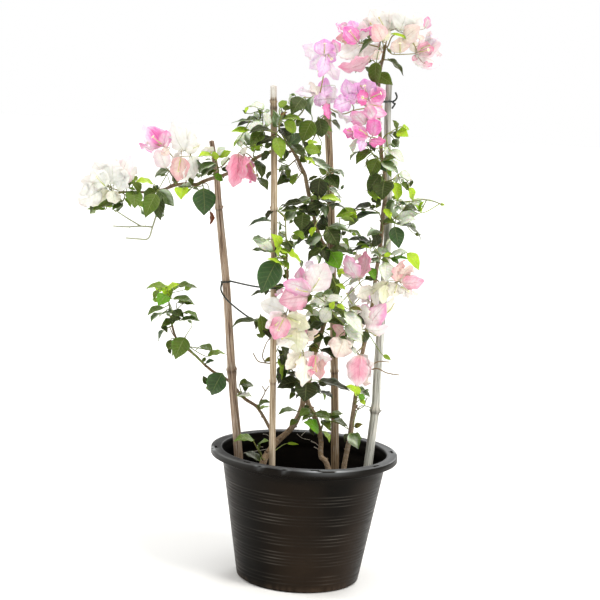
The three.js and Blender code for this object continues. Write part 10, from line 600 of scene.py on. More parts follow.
        ("X",(-101.3,20.3,712),(-110.5,33.1,684.8),(-0.118,0.882,0.456),19.8,0.05,0.15,"Ld",1,(-98.9,19.7,718.6)),
        ("X",(-99.8,29.7,713.8),(-101.8,44.7,693.5),(-0.444,0.698,0.561),18.1,0.108,0.08,"LD",1,(-99.2,31.3,718.3)),
        ("X",(-93.3,40.4,721.1),(-68.7,58.6,730.8),(-0.577,0.398,0.713),23,0.066,0.17,"Ld",1,(-99.1,35.1,719.4)),
        ("X",(-100,47,710.3),(-106,57.7,681.1),(-0.067,0.932,0.356),20.2,0.071,0.15,"Lg",1,(-98.4,42.8,717.6)),
        ("X",(-100.2,55.8,715.6),(-116.4,73.8,707.7),(0.096,0.474,0.875),16.1,0.082,0.16,"Lq",1,(-96.8,54.3,717.4)),
        ("X",(-96.5,65,708.5),(-102.9,76.3,682.2),(-0.125,0.9,0.417),21.1,0.09,0.21,"LD",1,(-94.6,61.6,716.3)),
        ("X",(-108.7,12.2,694.1),(-125,37.7,708.4),(-0.89,-0.451,-0.059),20.5,0.046,0.14,"Lq",0,(-99,21.6,719.2)),
        ("X",(-101.7,-71.8,686.5),(-93.1,-69.5,686.6),(0.175,-0.716,0.676),5.9,0.095,0.26,"Lg",1,(-105.4,-64,678.6)),
        ("X",(-87.9,-71.7,692.1),(-75.5,-76.1,698.6),(-0.364,-0.927,0.09),9.1,0.087,0.09,"Ld",0,(-94.6,-67.6,697.2)),
        ("X",(-106.4,-71.2,742.7),(-97.4,-71.8,730.4),(-0.084,-0.996,-0.018),9,0.107,0.12,"Lp",0,(-94.1,-77.6,744)),
        ("X",(-89.5,-86.2,745.9),(-82.6,-90.6,748.9),(0.332,0.821,0.465),6.1,0.075,0.13,"Lp",1,(-94.1,-77.6,744)),
        ("X",(-118.4,-75.2,741.6),(-124.1,-79.4,746.4),(0.752,-0.63,0.194),5.8,0.062,0.12,"Lq",1,(-94.9,-78,748.1)),
    ]),
    "leaf_shoot_crown_lower": ("l", [
        ("T",((-40.3,-7,672.1),(-45.3,-11.1,667.5),(-50.1,-15.5,662.8),(-55.5,-20.3,659.3),(-59.8,-23.8,653.7),(-63,-26,646.6)),(1.49,1.28,1.18,1.09,1.01,0.92)),
        ("T",((-29.4,-6.5,652.8),(-33,-11.3,647.9),(-36.8,-15.8,642.4),(-42.3,-20,638.1)),(1.15,0.98,0.89,0.8)),
        ("B",((-60.9,-12.9,646.6),(-61.2,-1.3,641.9),(-61.5,10.8,638.1),(-62,23,635.1),(-62.5,35.4,633)),(1.25,1.2,1.13,1.06,0.98)),
        ("J",((-39.1,-7.6,667.4),(-36.6,-7.4,662.4),(-33,-7.2,656)),(1,1,1)),
        ("X",(-48.8,-30,645.3),(-66.5,-46.2,634.4),(0.172,-0.672,0.721),16.8,0.092,0.19,"Ld",0,(-38.7,-17.5,641.3)),
        ("X",(-42.8,-28,634.6),(-35.4,-12.1,653.6),(-0.545,-0.526,0.653),17.2,0.088,0.24,"Lg",0,(-40.1,-19,639.5)),
        ("X",(-62.4,-24,664.4),(-48.6,-41.9,645.3),(0.513,-0.411,0.754),18,0.102,0.25,"Lm",0,(-57,-22,657.8)),
        ("X",(-75.9,-24,653.5),(-82.7,-33.6,639.7),(-0.554,-0.53,0.641),11.1,0.096,0.16,"Ld",0,(-58.8,-22.7,656)),
        ("X",(-56.2,-13,661.8),(-64.8,-21.6,650.9),(-0.352,-0.58,0.735),10.1,0.096,0.24,"Lq",0,(-52.3,-16.6,661.7)),
        ("X",(-59,-10,653.7),(-50,-24.2,637.9),(0.365,-0.582,0.727),16.3,0.109,0.16,"Ld",0,(-53.7,-18.2,660)),
        ("X",(-56,4.7,639.8),(-37.8,17.2,635.6),(0.005,0.313,0.95),15.3,0.096,0.16,"Ld",1,(-61.3,2.5,640)),
        ("X",(-59.5,26.4,639.7),(-50.4,45.3,656.2),(-0.833,-0.076,0.548),17.7,0.053,0.17,"Ld",1,(-61.8,19.1,636.7)),
        ("X",(-56.9,30.4,634.7),(-32,46.6,643.7),(-0.206,-0.153,0.967),20.6,0.074,0.19,"Lq",1,(-61.8,31.2,633.4)),
        ("X",(-56.7,40.5,633.6),(-37,57.9,635.4),(-0.308,0.249,0.918),18.8,0.089,0.17,"Lg",1,(-62.5,35.4,633)),
        ("X",(-17.7,1.6,640.3),(-2.9,0.8,648.5),(-0.399,0.472,0.786),12.5,0.047,0.16,"LD",0,(-29.4,-6.5,652.8)),
        ("X",(-66.5,-26.7,670.6),(-54.8,-35.6,671.7),(-0.585,-0.729,0.356),8.8,0.126,0.08,"Lq",0,(-50.1,-15.5,662.8)),
    ]),
    "leaf_shoot_crown_right": ("l", [
        ("T",((-45,-9,688.3),(-41.7,-15.3,688.8),(-37.8,-21.5,688.7),(-32.3,-25.6,690.2),(-26.1,-26,694),(-20.7,-25.3,698.8),(-16.2,-24.2,704.4),(-12.9,-24.4,710.8),(-10.4,-25.3,717.5),(-8.5,-25.9,724.5),(-8.2,-25.3,731.7),(-9.1,-24,738.8)),(1.84,1.63,1.56,1.48,1.39,1.32,1.25,1.18,1.14,1.08,1,0.92)),
        ("B",((-30.1,-31.7,686.9),(-27.9,-37.8,683.6),(-24.7,-43.1,679.9),(-19.8,-46.3,675.6),(-14,-47.3,671.5),(-7.7,-48.1,667.9),(-1,-49,665.2),(6,-49.8,663.3),(13,-50.8,661.7),(20.1,-52,660.6)),(1.33,1.29,1.24,1.2,1.14,1.09,1.03,0.97,0.89,0.8)),
        ("B",((-8.9,-13.5,721.2),(-8.4,-1.6,723.6),(-8.6,10.3,726.4),(-10.2,22.1,729),(-13.5,33.6,731.4)),(1.25,1.2,1.13,1.06,0.98)),
        ("X",(-48.2,-64,697.9),(-26.3,-80.1,679.3),(0.283,-0.536,0.795),22.5,0.05,0.23,"Ld",0,(-36.3,-23.6,688.9)),
        ("X",(-30.1,-64,702.8),(-21.9,-57.2,694.6),(0.538,-0.829,-0.156),8.7,0.119,0.19,"LD",0,(-26.3,-41.8,681.3)),
        ("X",(-26.5,-62,693.7),(-2.3,-57.7,688),(0.236,-0.925,0.297),17.8,0.1,0.25,"Lg",0,(-22.9,-44.7,678.9)),
        ("X",(-28.8,-60,680.5),(-9,-70.5,669.9),(0.311,-0.318,0.896),17.6,0.05,0.16,"Ly",0,(-23.6,-44.2,678)),
        ("X",(-7.7,-58,740.5),(-1.2,-39.8,710.4),(0.338,-0.835,-0.434),24.7,0.06,0.22,"Ld",0,(-9.2,-24.8,736.5)),
        ("X",(-23.7,-56,699),(-5.4,-44.9,701.9),(0.08,-0.373,0.924),14.6,0.109,0.23,"Ly",0,(-26.8,-40,682.9)),
        ("X",(-16.5,-55.5,679.4),(15.6,-55.5,657.4),(0.534,-0.327,0.78),27.6,0.04,0.13,"Lq",0,(-17.7,-47.1,674.6)),
        ("X",(14,-50.3,663.6),(36.5,-69.5,651.8),(0.318,-0.143,0.937),21.2,0.106,0.22,"Lq",0,(15.4,-51.5,661.7)),
        ("X",(15.7,-46,657.7),(37.8,-32.9,655.9),(0.154,-0.124,0.98),18,0.118,0.11,"Lq",0,(10.6,-50.1,661.8)),
        ("X",(-1.8,-44,666.6),(18.8,-31.4,660.9),(0.461,-0.393,0.796),15.4,0.116,0.2,"Lm",0,(-5.4,-47.8,667.1)),
        ("X",(12.6,-44,736.7),(26.7,-32.6,723.4),(0.78,-0.399,0.482),14.5,0.097,0.11,"Lq",0,(-8.3,-24.6,736.5)),
        ("X",(10.4,-40,749.5),(18.5,-46.9,741.7),(0.123,-0.679,0.724),6.6,0.075,0.24,"Lq",0,(-9.1,-24,738.8)),
        ("X",(-3.6,-2.2,719.5),(12.5,10.5,709.1),(0.493,0.086,0.866),14.9,0.07,0.08,"Lm",1,(-8,-5.5,722.5)),
        ("X",(-12.4,6.3,722),(-29.5,28,713.1),(-0.312,0.143,0.939),20.6,0.086,0.21,"Lg",1,(-9.1,2.3,724.8)),
        ("X",(-3.6,11.5,724.5),(14.9,24.1,719.2),(-0.149,0.562,0.814),14.6,0.081,0.1,"Lg",1,(-8.5,2.5,723.9)),
        ("X",(-5.4,19.6,725.3),(7.4,36.3,717.4),(0.344,0.174,0.923),14.8,0.051,0.12,"Lm",1,(-9.1,14.3,726.6)),
        ("X",(-11.7,32.9,724.9),(-12.6,53.9,707.5),(-0.382,0.58,0.719),17.1,0.109,0.1,"LD",1,(-11.3,26,729.2)),
        ("X",(-17.1,38.2,729.7),(-34,59.6,721.8),(-0.074,0.293,0.953),20.4,0.075,0.18,"Lq",1,(-13.5,33.6,731.4)),
        ("X",(7.9,-58.8,655.2),(-4.1,-64.7,664.8),(0.381,-0.921,-0.078),9.4,0.102,0.14,"Lm",0,(13,-50.8,661.7)),
        ("X",(-1.9,-27.6,697.8),(-13.4,-21,685.8),(-0.277,-0.937,-0.211),12.4,0.049,0.27,"Lg",0,(-10.4,-25.3,717.5)),
        ("X",(-19.1,-39.6,686.2),(-20.3,-31.8,678.5),(0.182,0.845,0.503),8.6,0.086,0.15,"LD",1,(-16.2,-24.2,704.4)),
        ("X",(-2,-23.3,688.6),(-4.2,-19.1,678.8),(-0.605,0.68,0.415),8.2,0.072,0.11,"Lq",1,(-26.1,-26,694)),
        ("X",(-19.4,-42.5,669.4),(-13.2,-44.7,674.8),(-0.59,-0.678,0.439),5.6,0.063,0.18,"Ly",1,(-27.9,-37.8,683.6)),
    ]),
    "leaf_shoot_left_hanging": ("l", [
        ("T",((-183.1,-37.3,629.8),(-181.2,-46.2,627.8),(-179.3,-54,623.1)),(1.38,1.17,1.03)),
        ("B",((-176.3,-40.1,629.6),(-172.2,-42.3,624.4),(-170.8,-43.6,617.3),(-170,-44.8,610.1),(-169.3,-45.8,602.9),(-168.6,-46.9,595.6),(-167.9,-48,588.4)),(0.66,0.63,0.62,0.61,0.6,0.59,0.57)),
        ("T",((-208.4,-35.4,626.2),(-208.2,-41.6,624.9),(-208.1,-47.9,623.6),(-209.4,-54,622.1)),(1.26,1.09,1.01,0.92)),
        ("B",((-208,-40.6,629),(-207.2,-29.9,635.3),(-206.6,-18.9,641.1),(-206.1,-7.7,646.6),(-205.9,3.7,651.6),(-206.1,15.6,655.2),(-206.7,27.8,657.1),(-207.6,40.2,658.4)),(1.28,1.24,1.2,1.16,1.12,1.07,1.02,0.98)),
        ("J",((-189.1,-38.2,626),(-196.6,-37.6,624.8),(-202,-37.2,625.5)),(1,1,1)),
        ("X",(-179.1,-58,623.3),(-175.2,-62,581.4),(0.296,-0.948,0.118),37.4,0.04,0.06,"Lc",0,(-179.3,-54,623.1)),
        ("X",(-210.8,-56,621.4),(-212,-70,604.6),(-0.112,-0.76,0.64),27.1,0.056,0.6,"Ly",0,(-209.4,-54,622.1)),
        ("X",(-198.8,-51.9,623.4),(-221,-36.1,620.3),(-0.422,-0.437,0.794),17.1,0.067,0.17,"Lq",0,(-181.1,-48.8,626)),
        ("X",(-167.8,-48.1,587),(-166.7,-51,566.2),(0.89,-0.442,0.114),13.9,0.116,0.23,"Lr",0,(-167.9,-48,588.4)),
        ("X",(-196.2,-44,621.4),(-186.4,-49.9,619.3),(-0.22,-0.638,0.738),5.8,0.107,0.14,"Lq",0,(-208.3,-39.4,624.7)),
        ("X",(-197.7,-37,626.3),(-205.4,-45.7,638.8),(0.821,-0.56,0.115),11.7,0.089,0.16,"Lm",0,(-183.1,-37.3,629.8)),
        ("X",(-209.7,-24,642.2),(-224.5,-16.6,665.6),(0.48,-0.704,0.523),19,0.108,0.1,"Ld",1,(-207.6,-26.4,637.6)),
        ("X",(-210.5,-11.8,646),(-228.2,-0.5,657.3),(0.668,0.475,0.573),15.6,0.105,0.16,"Ld",1,(-207,-15.3,643.2)),
        ("X",(-202.3,-1.2,647.7),(-184.6,15.7,646.1),(-0.126,0.221,0.967),16.2,0.069,0.15,"Lq",1,(-206,-3.7,647.7)),
        ("X",(-209,8.6,650.7),(-225.9,28.9,643.7),(-0.18,0.184,0.966),19,0.065,0.16,"Lg",1,(-206.5,7.6,653.1)),
        ("X",(-201.5,19,653.5),(-180.9,29.9,644.9),(0.08,0.523,0.848),16.3,0.075,0.17,"Lm",1,(-206.3,19.8,655.2)),
        ("X",(-210.7,28.8,656),(-240.1,38,648.6),(0.031,0.686,0.727),22.4,0.082,0.13,"Lm",1,(-207.5,31.9,657.8)),
        ("X",(-210,43.9,656),(-221.6,61.5,644.8),(0.127,0.59,0.797),14.9,0.084,0.09,"Ld",1,(-207.6,40.2,658.4)),
        ("X",(-199,-43.7,620.6),(-205.3,-50.6,611.8),(-0.575,-0.394,0.717),8.8,0.045,0.21,"Ly",1,(-196.6,-37.6,624.8)),
    ]),
    "leaf_shoot_left_inner": ("l", [
        ("T",((-160.8,-37.4,643.3),(-158.4,-41,649.2),(-159.4,-44.1,656.4),(-163.1,-46.1,663.6),(-166.8,-46,671.2)),(1.72,1.44,1.3,1.18,1.03)),
        ("B",((-152.6,-40.9,657.8),(-147.8,-39.7,664.1),(-143.2,-38,670.6)),(1.06,0.94,0.8)),
        ("B",((-139.6,-28.9,665.8),(-133.2,-18.8,665),(-126.4,-9.1,664.7),(-119,0.2,664.7),(-110.6,8.7,664.8),(-101.5,16.5,665)),(1.26,1.22,1.16,1.1,1.05,0.98)),
        ("X",(-161.5,-58,658.2),(-186.9,-42.9,636.6),(-0.72,-0.43,0.545),24.3,0.06,0.3,"Lq",0,(-162.4,-45.9,660.9)),
        ("X",(-162.8,-54,661.9),(-187.9,-70.2,646.6),(-0.211,-0.473,0.856),20.8,0.1,0.3,"Lq",0,(-162.8,-50.3,662)),
        ("X",(-164.2,-52,642.3),(-149.8,-39.9,635.5),(0.695,-0.601,0.394),13.3,0.104,0.18,"LG",0,(-159.6,-43.6,653.8)),
        ("X",(-165.6,-53,672.4),(-188.4,-70.7,674.2),(0.227,-0.194,0.954),19,0.06,0.25,"Ly",0,(-166,-46.4,668.4)),
        ("X",(-161.3,-56,667.4),(-168,-44.9,680.4),(0.218,-0.683,0.697),11.2,0.067,0.19,"Ly",0,(-164.2,-46.7,666.1)),
        ("X",(-174.4,-50,643.9),(-161.2,-58.9,652.1),(-0.672,-0.605,0.427),11.9,0.09,0.13,"Lm",0,(-158.8,-46.1,646.8)),
        ("X",(-158.1,-48,671),(-140.7,-35.5,681.5),(0.057,-0.687,0.724),15.2,0.074,0.17,"Ly",0,(-163.9,-45.7,666.4)),
        ("X",(-188.2,-44,648.2),(-191.4,-54.8,666.3),(0.977,-0.21,0.049),14.2,0.051,0.1,"Lq",0,(-160.8,-37.4,643.3)),
        ("X",(-152.7,-35,657.5),(-143.2,-24,672.3),(-0.397,-0.594,0.7),12.5,0.082,0.2,"Lp",0,(-154.7,-40.3,655.3)),
        ("X",(-161.4,-40,675.3),(-147.8,-53.6,687.2),(-0.783,-0.615,0.094),14.5,0.084,0.16,"Lp",0,(-166.8,-46,671.2)),
        ("X",(-153.3,-36,654.4),(-141.8,-43.5,649.3),(-0.311,-0.814,0.491),8,0.11,0.24,"Ld",0,(-153.9,-41,654.6)),
        ("X",(-136.9,-17.3,661.8),(-145.3,2.8,645.6),(-0.582,0.346,0.736),19,0.105,0.18,"Lg",1,(-135.8,-21.9,664.9)),
        ("X",(-134.7,-8.7,664.6),(-150,14.8,663.8),(-0.148,-0.06,0.987),18.7,0.052,0.17,"Lq",1,(-138.7,-18.4,662.8)),
        ("X",(-123.5,-6.8,661),(-107.8,5.1,637.2),(0.077,0.871,0.485),19.8,0.106,0.18,"LD",1,(-123.9,-6,664)),
        ("X",(-122,1.1,658.9),(-124.8,12.8,639.9),(-0.546,0.678,0.493),15.1,0.091,0.08,"Lq",1,(-121.9,-2.6,664.3)),
        ("X",(-107.3,4.2,660.4),(-84.4,2.2,647.1),(0.493,-0.104,0.864),16.7,0.058,0.16,"Lg",1,(-113,5.5,664.5)),
        ("X",(-109,14.6,660.9),(-112.4,30.9,643.9),(-0.618,0.501,0.606),16.1,0.087,0.11,"LD",1,(-107.9,11.7,665.1)),
        ("X",(-170.5,-52.4,667.7),(-180.9,-54.3,665.1),(-0.282,0.303,0.91),7.7,0.053,0.26,"Lp",1,(-166.8,-46,671.2)),
    ]),
    "leaf_shoot_left_mid": ("l", [
        ("T",((-249.4,-35.9,613.5),(-251.1,-42.1,611.9),(-251.1,-48,607.7)),(1.61,1.3,1.15)),
        ("T",((-226,-33.2,625.5),(-227.4,-38.1,631.1),(-228.5,-43,636.9),(-230.9,-47.5,642.5),(-235.2,-50.6,647.7),(-241,-49,652.3),(-245.8,-46,657.4)),(1.61,1.43,1.35,1.26,1.15,1.01,0.92)),
        ("B",((-224.5,-30.3,636.4),(-220.8,-18.6,637.1),(-216.7,-7.1,638.1),(-212.2,4.3,639.4),(-207.3,15.4,641),(-201.6,26.1,642.8),(-194.9,36.2,644.9),(-187.8,46,647.1)),(1.28,1.24,1.2,1.16,1.12,1.07,1.02,0.98)),
        ("J",((-244.3,-36.9,615.4),(-240.5,-36.5,617.6),(-235.8,-35.8,620.7),(-231.9,-35,623.4)),(1,1,1,1)),
        ("X",(-251.2,-64,610.4),(-265.4,-76,574.3),(-0.064,-0.939,0.337),26.3,0.08,0.14,"LM",0,(-234.1,-50.1,645.6)),
        ("X",(-244.9,-56,607.1),(-244.7,-56,569.1),(-0.562,-0.827,-0.003),25.1,0.06,0.17,"Ld",0,(-251.1,-48,607.7)),
        ("X",(-234.5,-53.5,646.4),(-258.6,-38.5,633.8),(-0.62,-0.446,0.645),19.5,0.12,0.12,"Lq",0,(-230.4,-46.5,640.2)),
        ("X",(-223.6,-54,628.2),(-232.7,-66.3,646.9),(0.915,-0.338,0.22),17,0.07,0.3,"Ld",0,(-225.9,-35.4,627)),
        ("X",(-252.5,-52,613.3),(-274.6,-34,599.1),(-0.691,-0.696,0.194),20.1,0.108,0.17,"Lm",0,(-250.5,-46.3,609.4)),
        ("X",(-257.9,-49,624.4),(-288.8,-56.2,622.3),(0.034,-0.409,0.912),19.6,0.2,0.14,"Ly",0,(-251.2,-40,612.9)),
        ("X",(-249.4,-53,615.1),(-223.5,-53,591.8),(0.248,-0.929,0.275),22.6,0.12,0.19,"Lq",0,(-249.8,-40.4,612.7)),
        ("X",(-253.8,-46,612.1),(-258.8,-38.7,622.9),(0.337,-0.701,0.629),7,0.069,0.23,"Lm",0,(-251.1,-47.4,611.2)),
        ("X",(-252.7,-40.3,613.7),(-252.9,-34.2,623.4),(-0.151,-0.839,0.522),7.2,0.078,0.21,"Lc",0,(-250.7,-37.6,612.7)),
        ("X",(-217.6,1.3,635.6),(-229.6,18,622.2),(-0.149,0.55,0.822),17,0.102,0.16,"Lq",1,(-215.8,-3.1,638.9)),
        ("X",(-216.7,12.7,636.5),(-235.4,30.8,625.5),(0.019,0.533,0.846),19,0.061,0.19,"LD",1,(-217.1,9.4,635)),
        ("X",(-207.1,20.3,638.5),(-209,41.9,623.6),(0.163,0.568,0.806),16.6,0.088,0.13,"Ld",1,(-205.9,19.2,641.9)),
        ("X",(-195.1,25.8,643.2),(-168.7,19.9,644.1),(0.084,0.51,0.856),18.5,0.078,0.13,"Ld",1,(-198.9,29.1,643.8)),
        ("X",(-199,42.5,641.2),(-212,63.9,629.3),(0.245,0.583,0.775),19,0.104,0.12,"Ld",1,(-193,39.7,645.9)),
        ("X",(-184.1,47.3,646.7),(-161.1,55.5,644.7),(-0.147,0.608,0.78),16.9,0.081,0.16,"Lp",1,(-187.8,46,647.1)),
        ("X",(-240.2,-36.4,639),(-248.5,-34,635.4),(-0.077,0.711,0.699),6,0.089,0.17,"Ld",1,(-231.9,-35,623.4)),
        ("X",(-193.6,27.7,633.2),(-188.8,21.3,639.4),(0.029,0.719,0.695),6,0.118,0.25,"Lq",1,(-197.1,32.8,644.2)),
        ("X",(-241,-45.5,586),(-241.7,-58.9,575.1),(0.995,0.034,-0.09),12.2,0.086,0.24,"Lm",0,(-251.1,-48,607.7)),
    ]),
    "leaf_shoot_left_tip": ("l", [
        ("T",((-290.2,-38,609.2),(-294.5,-41.4,609.4),(-302.4,-43,608.6),(-309.8,-46.2,606.9),(-317.5,-48.4,607.3),(-323.7,-48,612.5),(-329,-48,618.7)),(1.72,1.47,1.37,1.3,1.2,1.06,0.92)),
        ("B",((-300.8,-47.2,601.4),(-305.3,-50,593.9)),(1.06,0.92)),
        ("B",((-323.2,-37.8,602.9),(-328.8,-27.3,598.5),(-335.2,-17.1,594.2),(-342.2,-7.3,589.9),(-350.5,1.2,585.3),(-359.4,8.9,580.5)),(1.26,1.21,1.16,1.1,1.05,0.98)),
        ("X",(-328.8,-34.3,608.5),(-340.2,-41.7,609.9),(0.548,-0.792,0.27),9.6,0.081,0.19,"Lc",0,(-321.9,-47.6,610.5)),
        ("X",(-287.4,-58,612.5),(-281.6,-80,587.5),(0.236,-0.702,0.672),27.9,0.1,0.15,"LM",0,(-291.2,-39.8,609.7)),
        ("X",(-331.1,-25.3,620.3),(-356.2,-25.3,573.2),(-0.718,-0.58,0.384),30,0.06,0.35,"Ld",0,(-321.3,-48.1,611.3)),
        ("X",(-276,-57.5,613.1),(-288.1,-71.7,627.2),(0.779,-0.626,0.042),16,0.116,0.18,"Lm",0,(-288.6,-45.1,610.4)),
        ("X",(-302.3,-56,595.3),(-344.9,-56,578.1),(-0.34,-0.414,0.844),28,0.1,0.25,"Lm",0,(-302.4,-48.6,599.2)),
        ("X",(-302.6,-52.5,591.5),(-317.8,-64.4,582.6),(-0.173,-0.476,0.862),14.8,0.053,0.22,"Lm",0,(-305.3,-50,593.9)),
        ("X",(-331.2,-44.1,621.4),(-338,-49.5,616.8),(0.313,-0.814,0.49),8,0.074,0.1,"Lm",0,(-329,-48,618.7)),
        ("X",(-297,-50,617.6),(-291.3,-55.3,625.2),(-0.436,-0.857,-0.274),6.4,0.083,0.16,"Ld",0,(-299.5,-43.1,608.4)),
        ("X",(-285.4,-35.1,634.4),(-297.5,-52.1,617.8),(-0.2,-0.609,0.768),17.5,0.1,0.1,"Lg",0,(-293,-40.3,610.3)),
        ("X",(-323.9,-22.5,597.4),(-310.1,-0.2,591),(0.302,0.083,0.95),17.2,0.089,0.13,"Lq",1,(-326.9,-30.5,600.6)),
        ("X",(-337.1,-21.7,596.9),(-367,-19,599.7),(0.13,0.605,0.786),21.1,0.088,0.21,"LD",1,(-327.5,-31.2,599.7)),
        ("X",(-341.2,-13.8,591.2),(-364.4,-20.1,580.2),(-0.372,-0.205,0.905),17.7,0.076,0.21,"Lm",1,(-338,-14,593.2)),
        ("X",(-345.2,-5.5,595.7),(-363.3,9.4,615.1),(0.623,-0.219,0.751),20.2,0.095,0.12,"LD",1,(-339.9,-10.3,591.9)),
        ("X",(-348.3,-2.2,591.5),(-363.7,5.7,609.4),(0.765,0.037,0.643),17,0.082,0.19,"Lg",1,(-348.1,-2.1,586.7)),
        ("X",(-352.5,5.6,586.8),(-358.8,25.7,597.8),(-0.376,-0.531,0.759),15,0.062,0.17,"Lm",1,(-353.1,4.2,583.8)),
        ("X",(-361.4,14.6,581.9),(-370.3,39.7,588),(0.047,-0.221,0.974),17.7,0.104,0.16,"Lm",1,(-359.4,8.9,580.5)),
        ("X",(-300.3,-57.1,600.4),(-289.6,-54.3,586.3),(0.723,-0.462,0.513),10.6,0.064,0.3,"Lg",0,(-300.8,-47.2,601.4)),
        ("X",(-333.1,-22.4,578.7),(-363.7,-15.2,577),(-0.135,-0.386,0.913),19,0.043,0.18,"Lg",0,(-337.5,-13.8,592.8)),
        ("X",(-314.9,-28.3,577.1),(-304.3,-27.6,587.2),(-0.425,-0.76,0.492),8.6,0.101,0.2,"Lq",0,(-326.9,-30.8,600)),
        ("X",(-347.5,-7.3,591.9),(-358.1,-17.6,586.1),(0.644,-0.763,0.043),12.2,0.059,0.08,"Lg",0,(-345,-4.5,588.4)),
        ("X",(-279,-43.9,594.3),(-268.7,-55.3,587.8),(-0.354,-0.57,0.741),11.2,0.077,0.29,"Lg",0,(-306.1,-44.6,607.8)),
        ("X",(-275.9,-36.1,584.1),(-267,-46.4,576),(-0.811,-0.528,-0.252),9.9,0.064,0.24,"Lq",0,(-290.2,-38,609.2)),
        ("X",(-318.3,-48.7,587.2),(-329.4,-51.3,585),(-0.297,0.875,0.382),7.7,0.126,0.23,"Lg",1,(-323.2,-37.8,602.9)),
        ("X",(-293.8,-61.8,617.1),(-283.2,-57.7,613.5),(0.001,0.6,0.8),8.2,0.061,0.16,"Lg",1,(-306.1,-44.6,607.8)),
        ("X",(-351.4,-13.5,576.8),(-360,-5.1,568.6),(0.388,0.838,0.384),9.6,0.119,0.13,"Lq",0,(-342.2,-7.3,589.9)),
        ("X",(-354.5,-17.9,594.1),(-349.8,-26.3,584),(0.198,-0.689,0.697),8.7,0.056,0.16,"Lm",0,(-335.2,-17.1,594.2)),
    ]),
    "leaf_shoot_low_centre": ("l", [
        ("T",((7.3,5.6,273.6),(7.8,-1,273.8),(9.3,-8,272.1),(12.3,-14.5,271.1),(16.9,-20.2,271.2),(22.2,-25,271.8),(28.2,-29.1,272.6),(34.9,-31.8,273.5),(41.8,-34,274.5)),(1.38,1.23,1.18,1.15,1.1,1.06,1.02,0.97,0.92)),
        ("B",((4.2,-4.1,274.8),(1.4,-10.8,275.1),(-1.6,-17.5,275.4),(-5,-24,275.6),(-9.1,-30,275.6)),(1.12,1.08,1.05,1,0.92)),
        ("T",((23.3,-5.6,243.3),(24.6,-11.7,247.3),(25.4,-17.4,252.4),(27.7,-22.8,257.3),(32.3,-27.1,261.5),(38.8,-30.3,263.7),(46.2,-31.5,262.6),(53.5,-32,260.3),(60.4,-32.1,256.9),(66.9,-32,252.9)),(1.26,1.17,1.15,1.13,1.09,1.06,1.02,0.99,0.95,0.92)),
        ("B",((23.8,-12.8,270),(25.1,-0.6,268.4),(25.9,11.7,267.3),(26,24.1,266.5),(24.8,36.4,265.9),(22.7,48.6,265.5)),(1.26,1.22,1.16,1.1,1.05,0.98)),
        ("B",((23.6,56.9,262.7),(24.6,68.6,259.3),(26.4,79.6,254.5),(29.4,89.1,247.4)),(1.24,1.16,1.07,0.98)),
        ("J",((10.4,2.6,269.4),(14.1,0.1,263),(16.3,-1.3,259.3),(18.4,-2.9,255.5),(21.4,-5.2,249.3)),(1,1,1,1,1)),
        ("X",(16.4,-47,273.3),(41,-32.7,261.3),(0.488,-0.108,0.866),19.4,0.08,0.24,"Lg",0,(-7.7,-28,275)),
        ("X",(9.2,-42,275.9),(-6.8,-56.7,267.5),(-0.078,-0.426,0.902),14.3,0.091,0.14,"Lm",0,(25.9,-28.2,272.6)),
        ("X",(13.1,-40,277.3),(38.5,-53.2,273.5),(-0.051,-0.367,0.929),18.5,0.08,0.13,"LM",0,(-7.3,-28.3,275.9)),
        ("X",(21.1,-40,248.7),(-2.1,-58.6,266.6),(0.745,-0.464,0.48),24.5,0.1,0.1,"LG",0,(26.9,-21.4,255.1)),
        ("X",(41.5,-39.4,274.9),(58.4,-25,276.8),(0.055,-0.283,0.958),16.1,0.1,0.19,"Lm",0,(41.8,-34,274.5)),
        ("X",(-14.7,-38,264.8),(-26,-49.9,256.1),(-0.039,-0.562,0.826),12.1,0.093,0.13,"Lm",0,(-9.1,-30,275.6)),
        ("X",(25.9,-36,248.1),(39.3,-49.1,234),(0.564,-0.265,0.782),15.7,0.085,0.25,"Lg",0,(26.7,-19.3,253.7)),
        ("X",(3.2,-36,283.1),(-10.3,-50.4,272.4),(0.029,-0.614,0.789),15.8,0.066,0.11,"LM",0,(13.4,-16.7,270.8)),
        ("X",(24.9,-34,265.4),(38.2,-50.4,252),(0.221,-0.506,0.834),16.3,0.075,0.23,"Lm",0,(20.1,-23.8,271.9)),
        ("X",(43.9,-33,265.5),(70.7,-16.7,249),(0.575,-0.124,0.809),21.7,0.1,0.12,"Ld",0,(43.7,-31.3,263.5)),
        ("X",(-3.9,-26.9,282.5),(3.8,-34.1,286),(-0.613,-0.788,0.066),8.2,0.051,0.2,"Ld",0,(0.4,-32.5,278.7)),
        ("X",(-13.8,-28,275.7),(-45.1,-43,272.1),(-0.078,-0.075,0.994),23.9,0.12,0.22,"LM",0,(-8.1,-27.7,275.9)),
        ("X",(2.7,-22,263.2),(12.7,-30.2,255.8),(-0.16,-0.764,0.625),9.8,0.076,0.13,"Lo",0,(-0.6,-15.3,274.7)),
        ("X",(6.8,-14,247.1),(13.9,-22.7,236.4),(0.005,-0.775,0.632),8.2,0.082,0.24,"LD",0,(3.8,-6.6,274.6)),
        ("X",(27.1,-1,264.6),(41.5,8.1,237.7),(0.871,0.061,0.487),21.7,0.054,0.21,"Ld",1,(25.3,-4.8,268.6)),
        ("X",(31.4,7.7,264.7),(59.4,17.1,249.9),(0.236,0.553,0.799),23.7,0.09,0.21,"Ld",1,(26.2,7.5,267.3)),
        ("X",(32.1,16.5,265.7),(53.2,26.9,252.6),(0.432,0.093,0.897),17.9,0.102,0.08,"Lm",1,(26.5,15.9,267.4)),
        ("X",(19.2,34.3,261.9),(-0.5,46.1,248.9),(-0.322,0.406,0.855),18.5,0.08,0.16,"Lm",1,(24.7,32.2,265.8)),
        ("X",(24.5,51.4,261.6),(30.9,69.4,246.6),(0.202,0.614,0.763),15.7,0.097,0.13,"Lm",1,(24.6,50,263.4)),
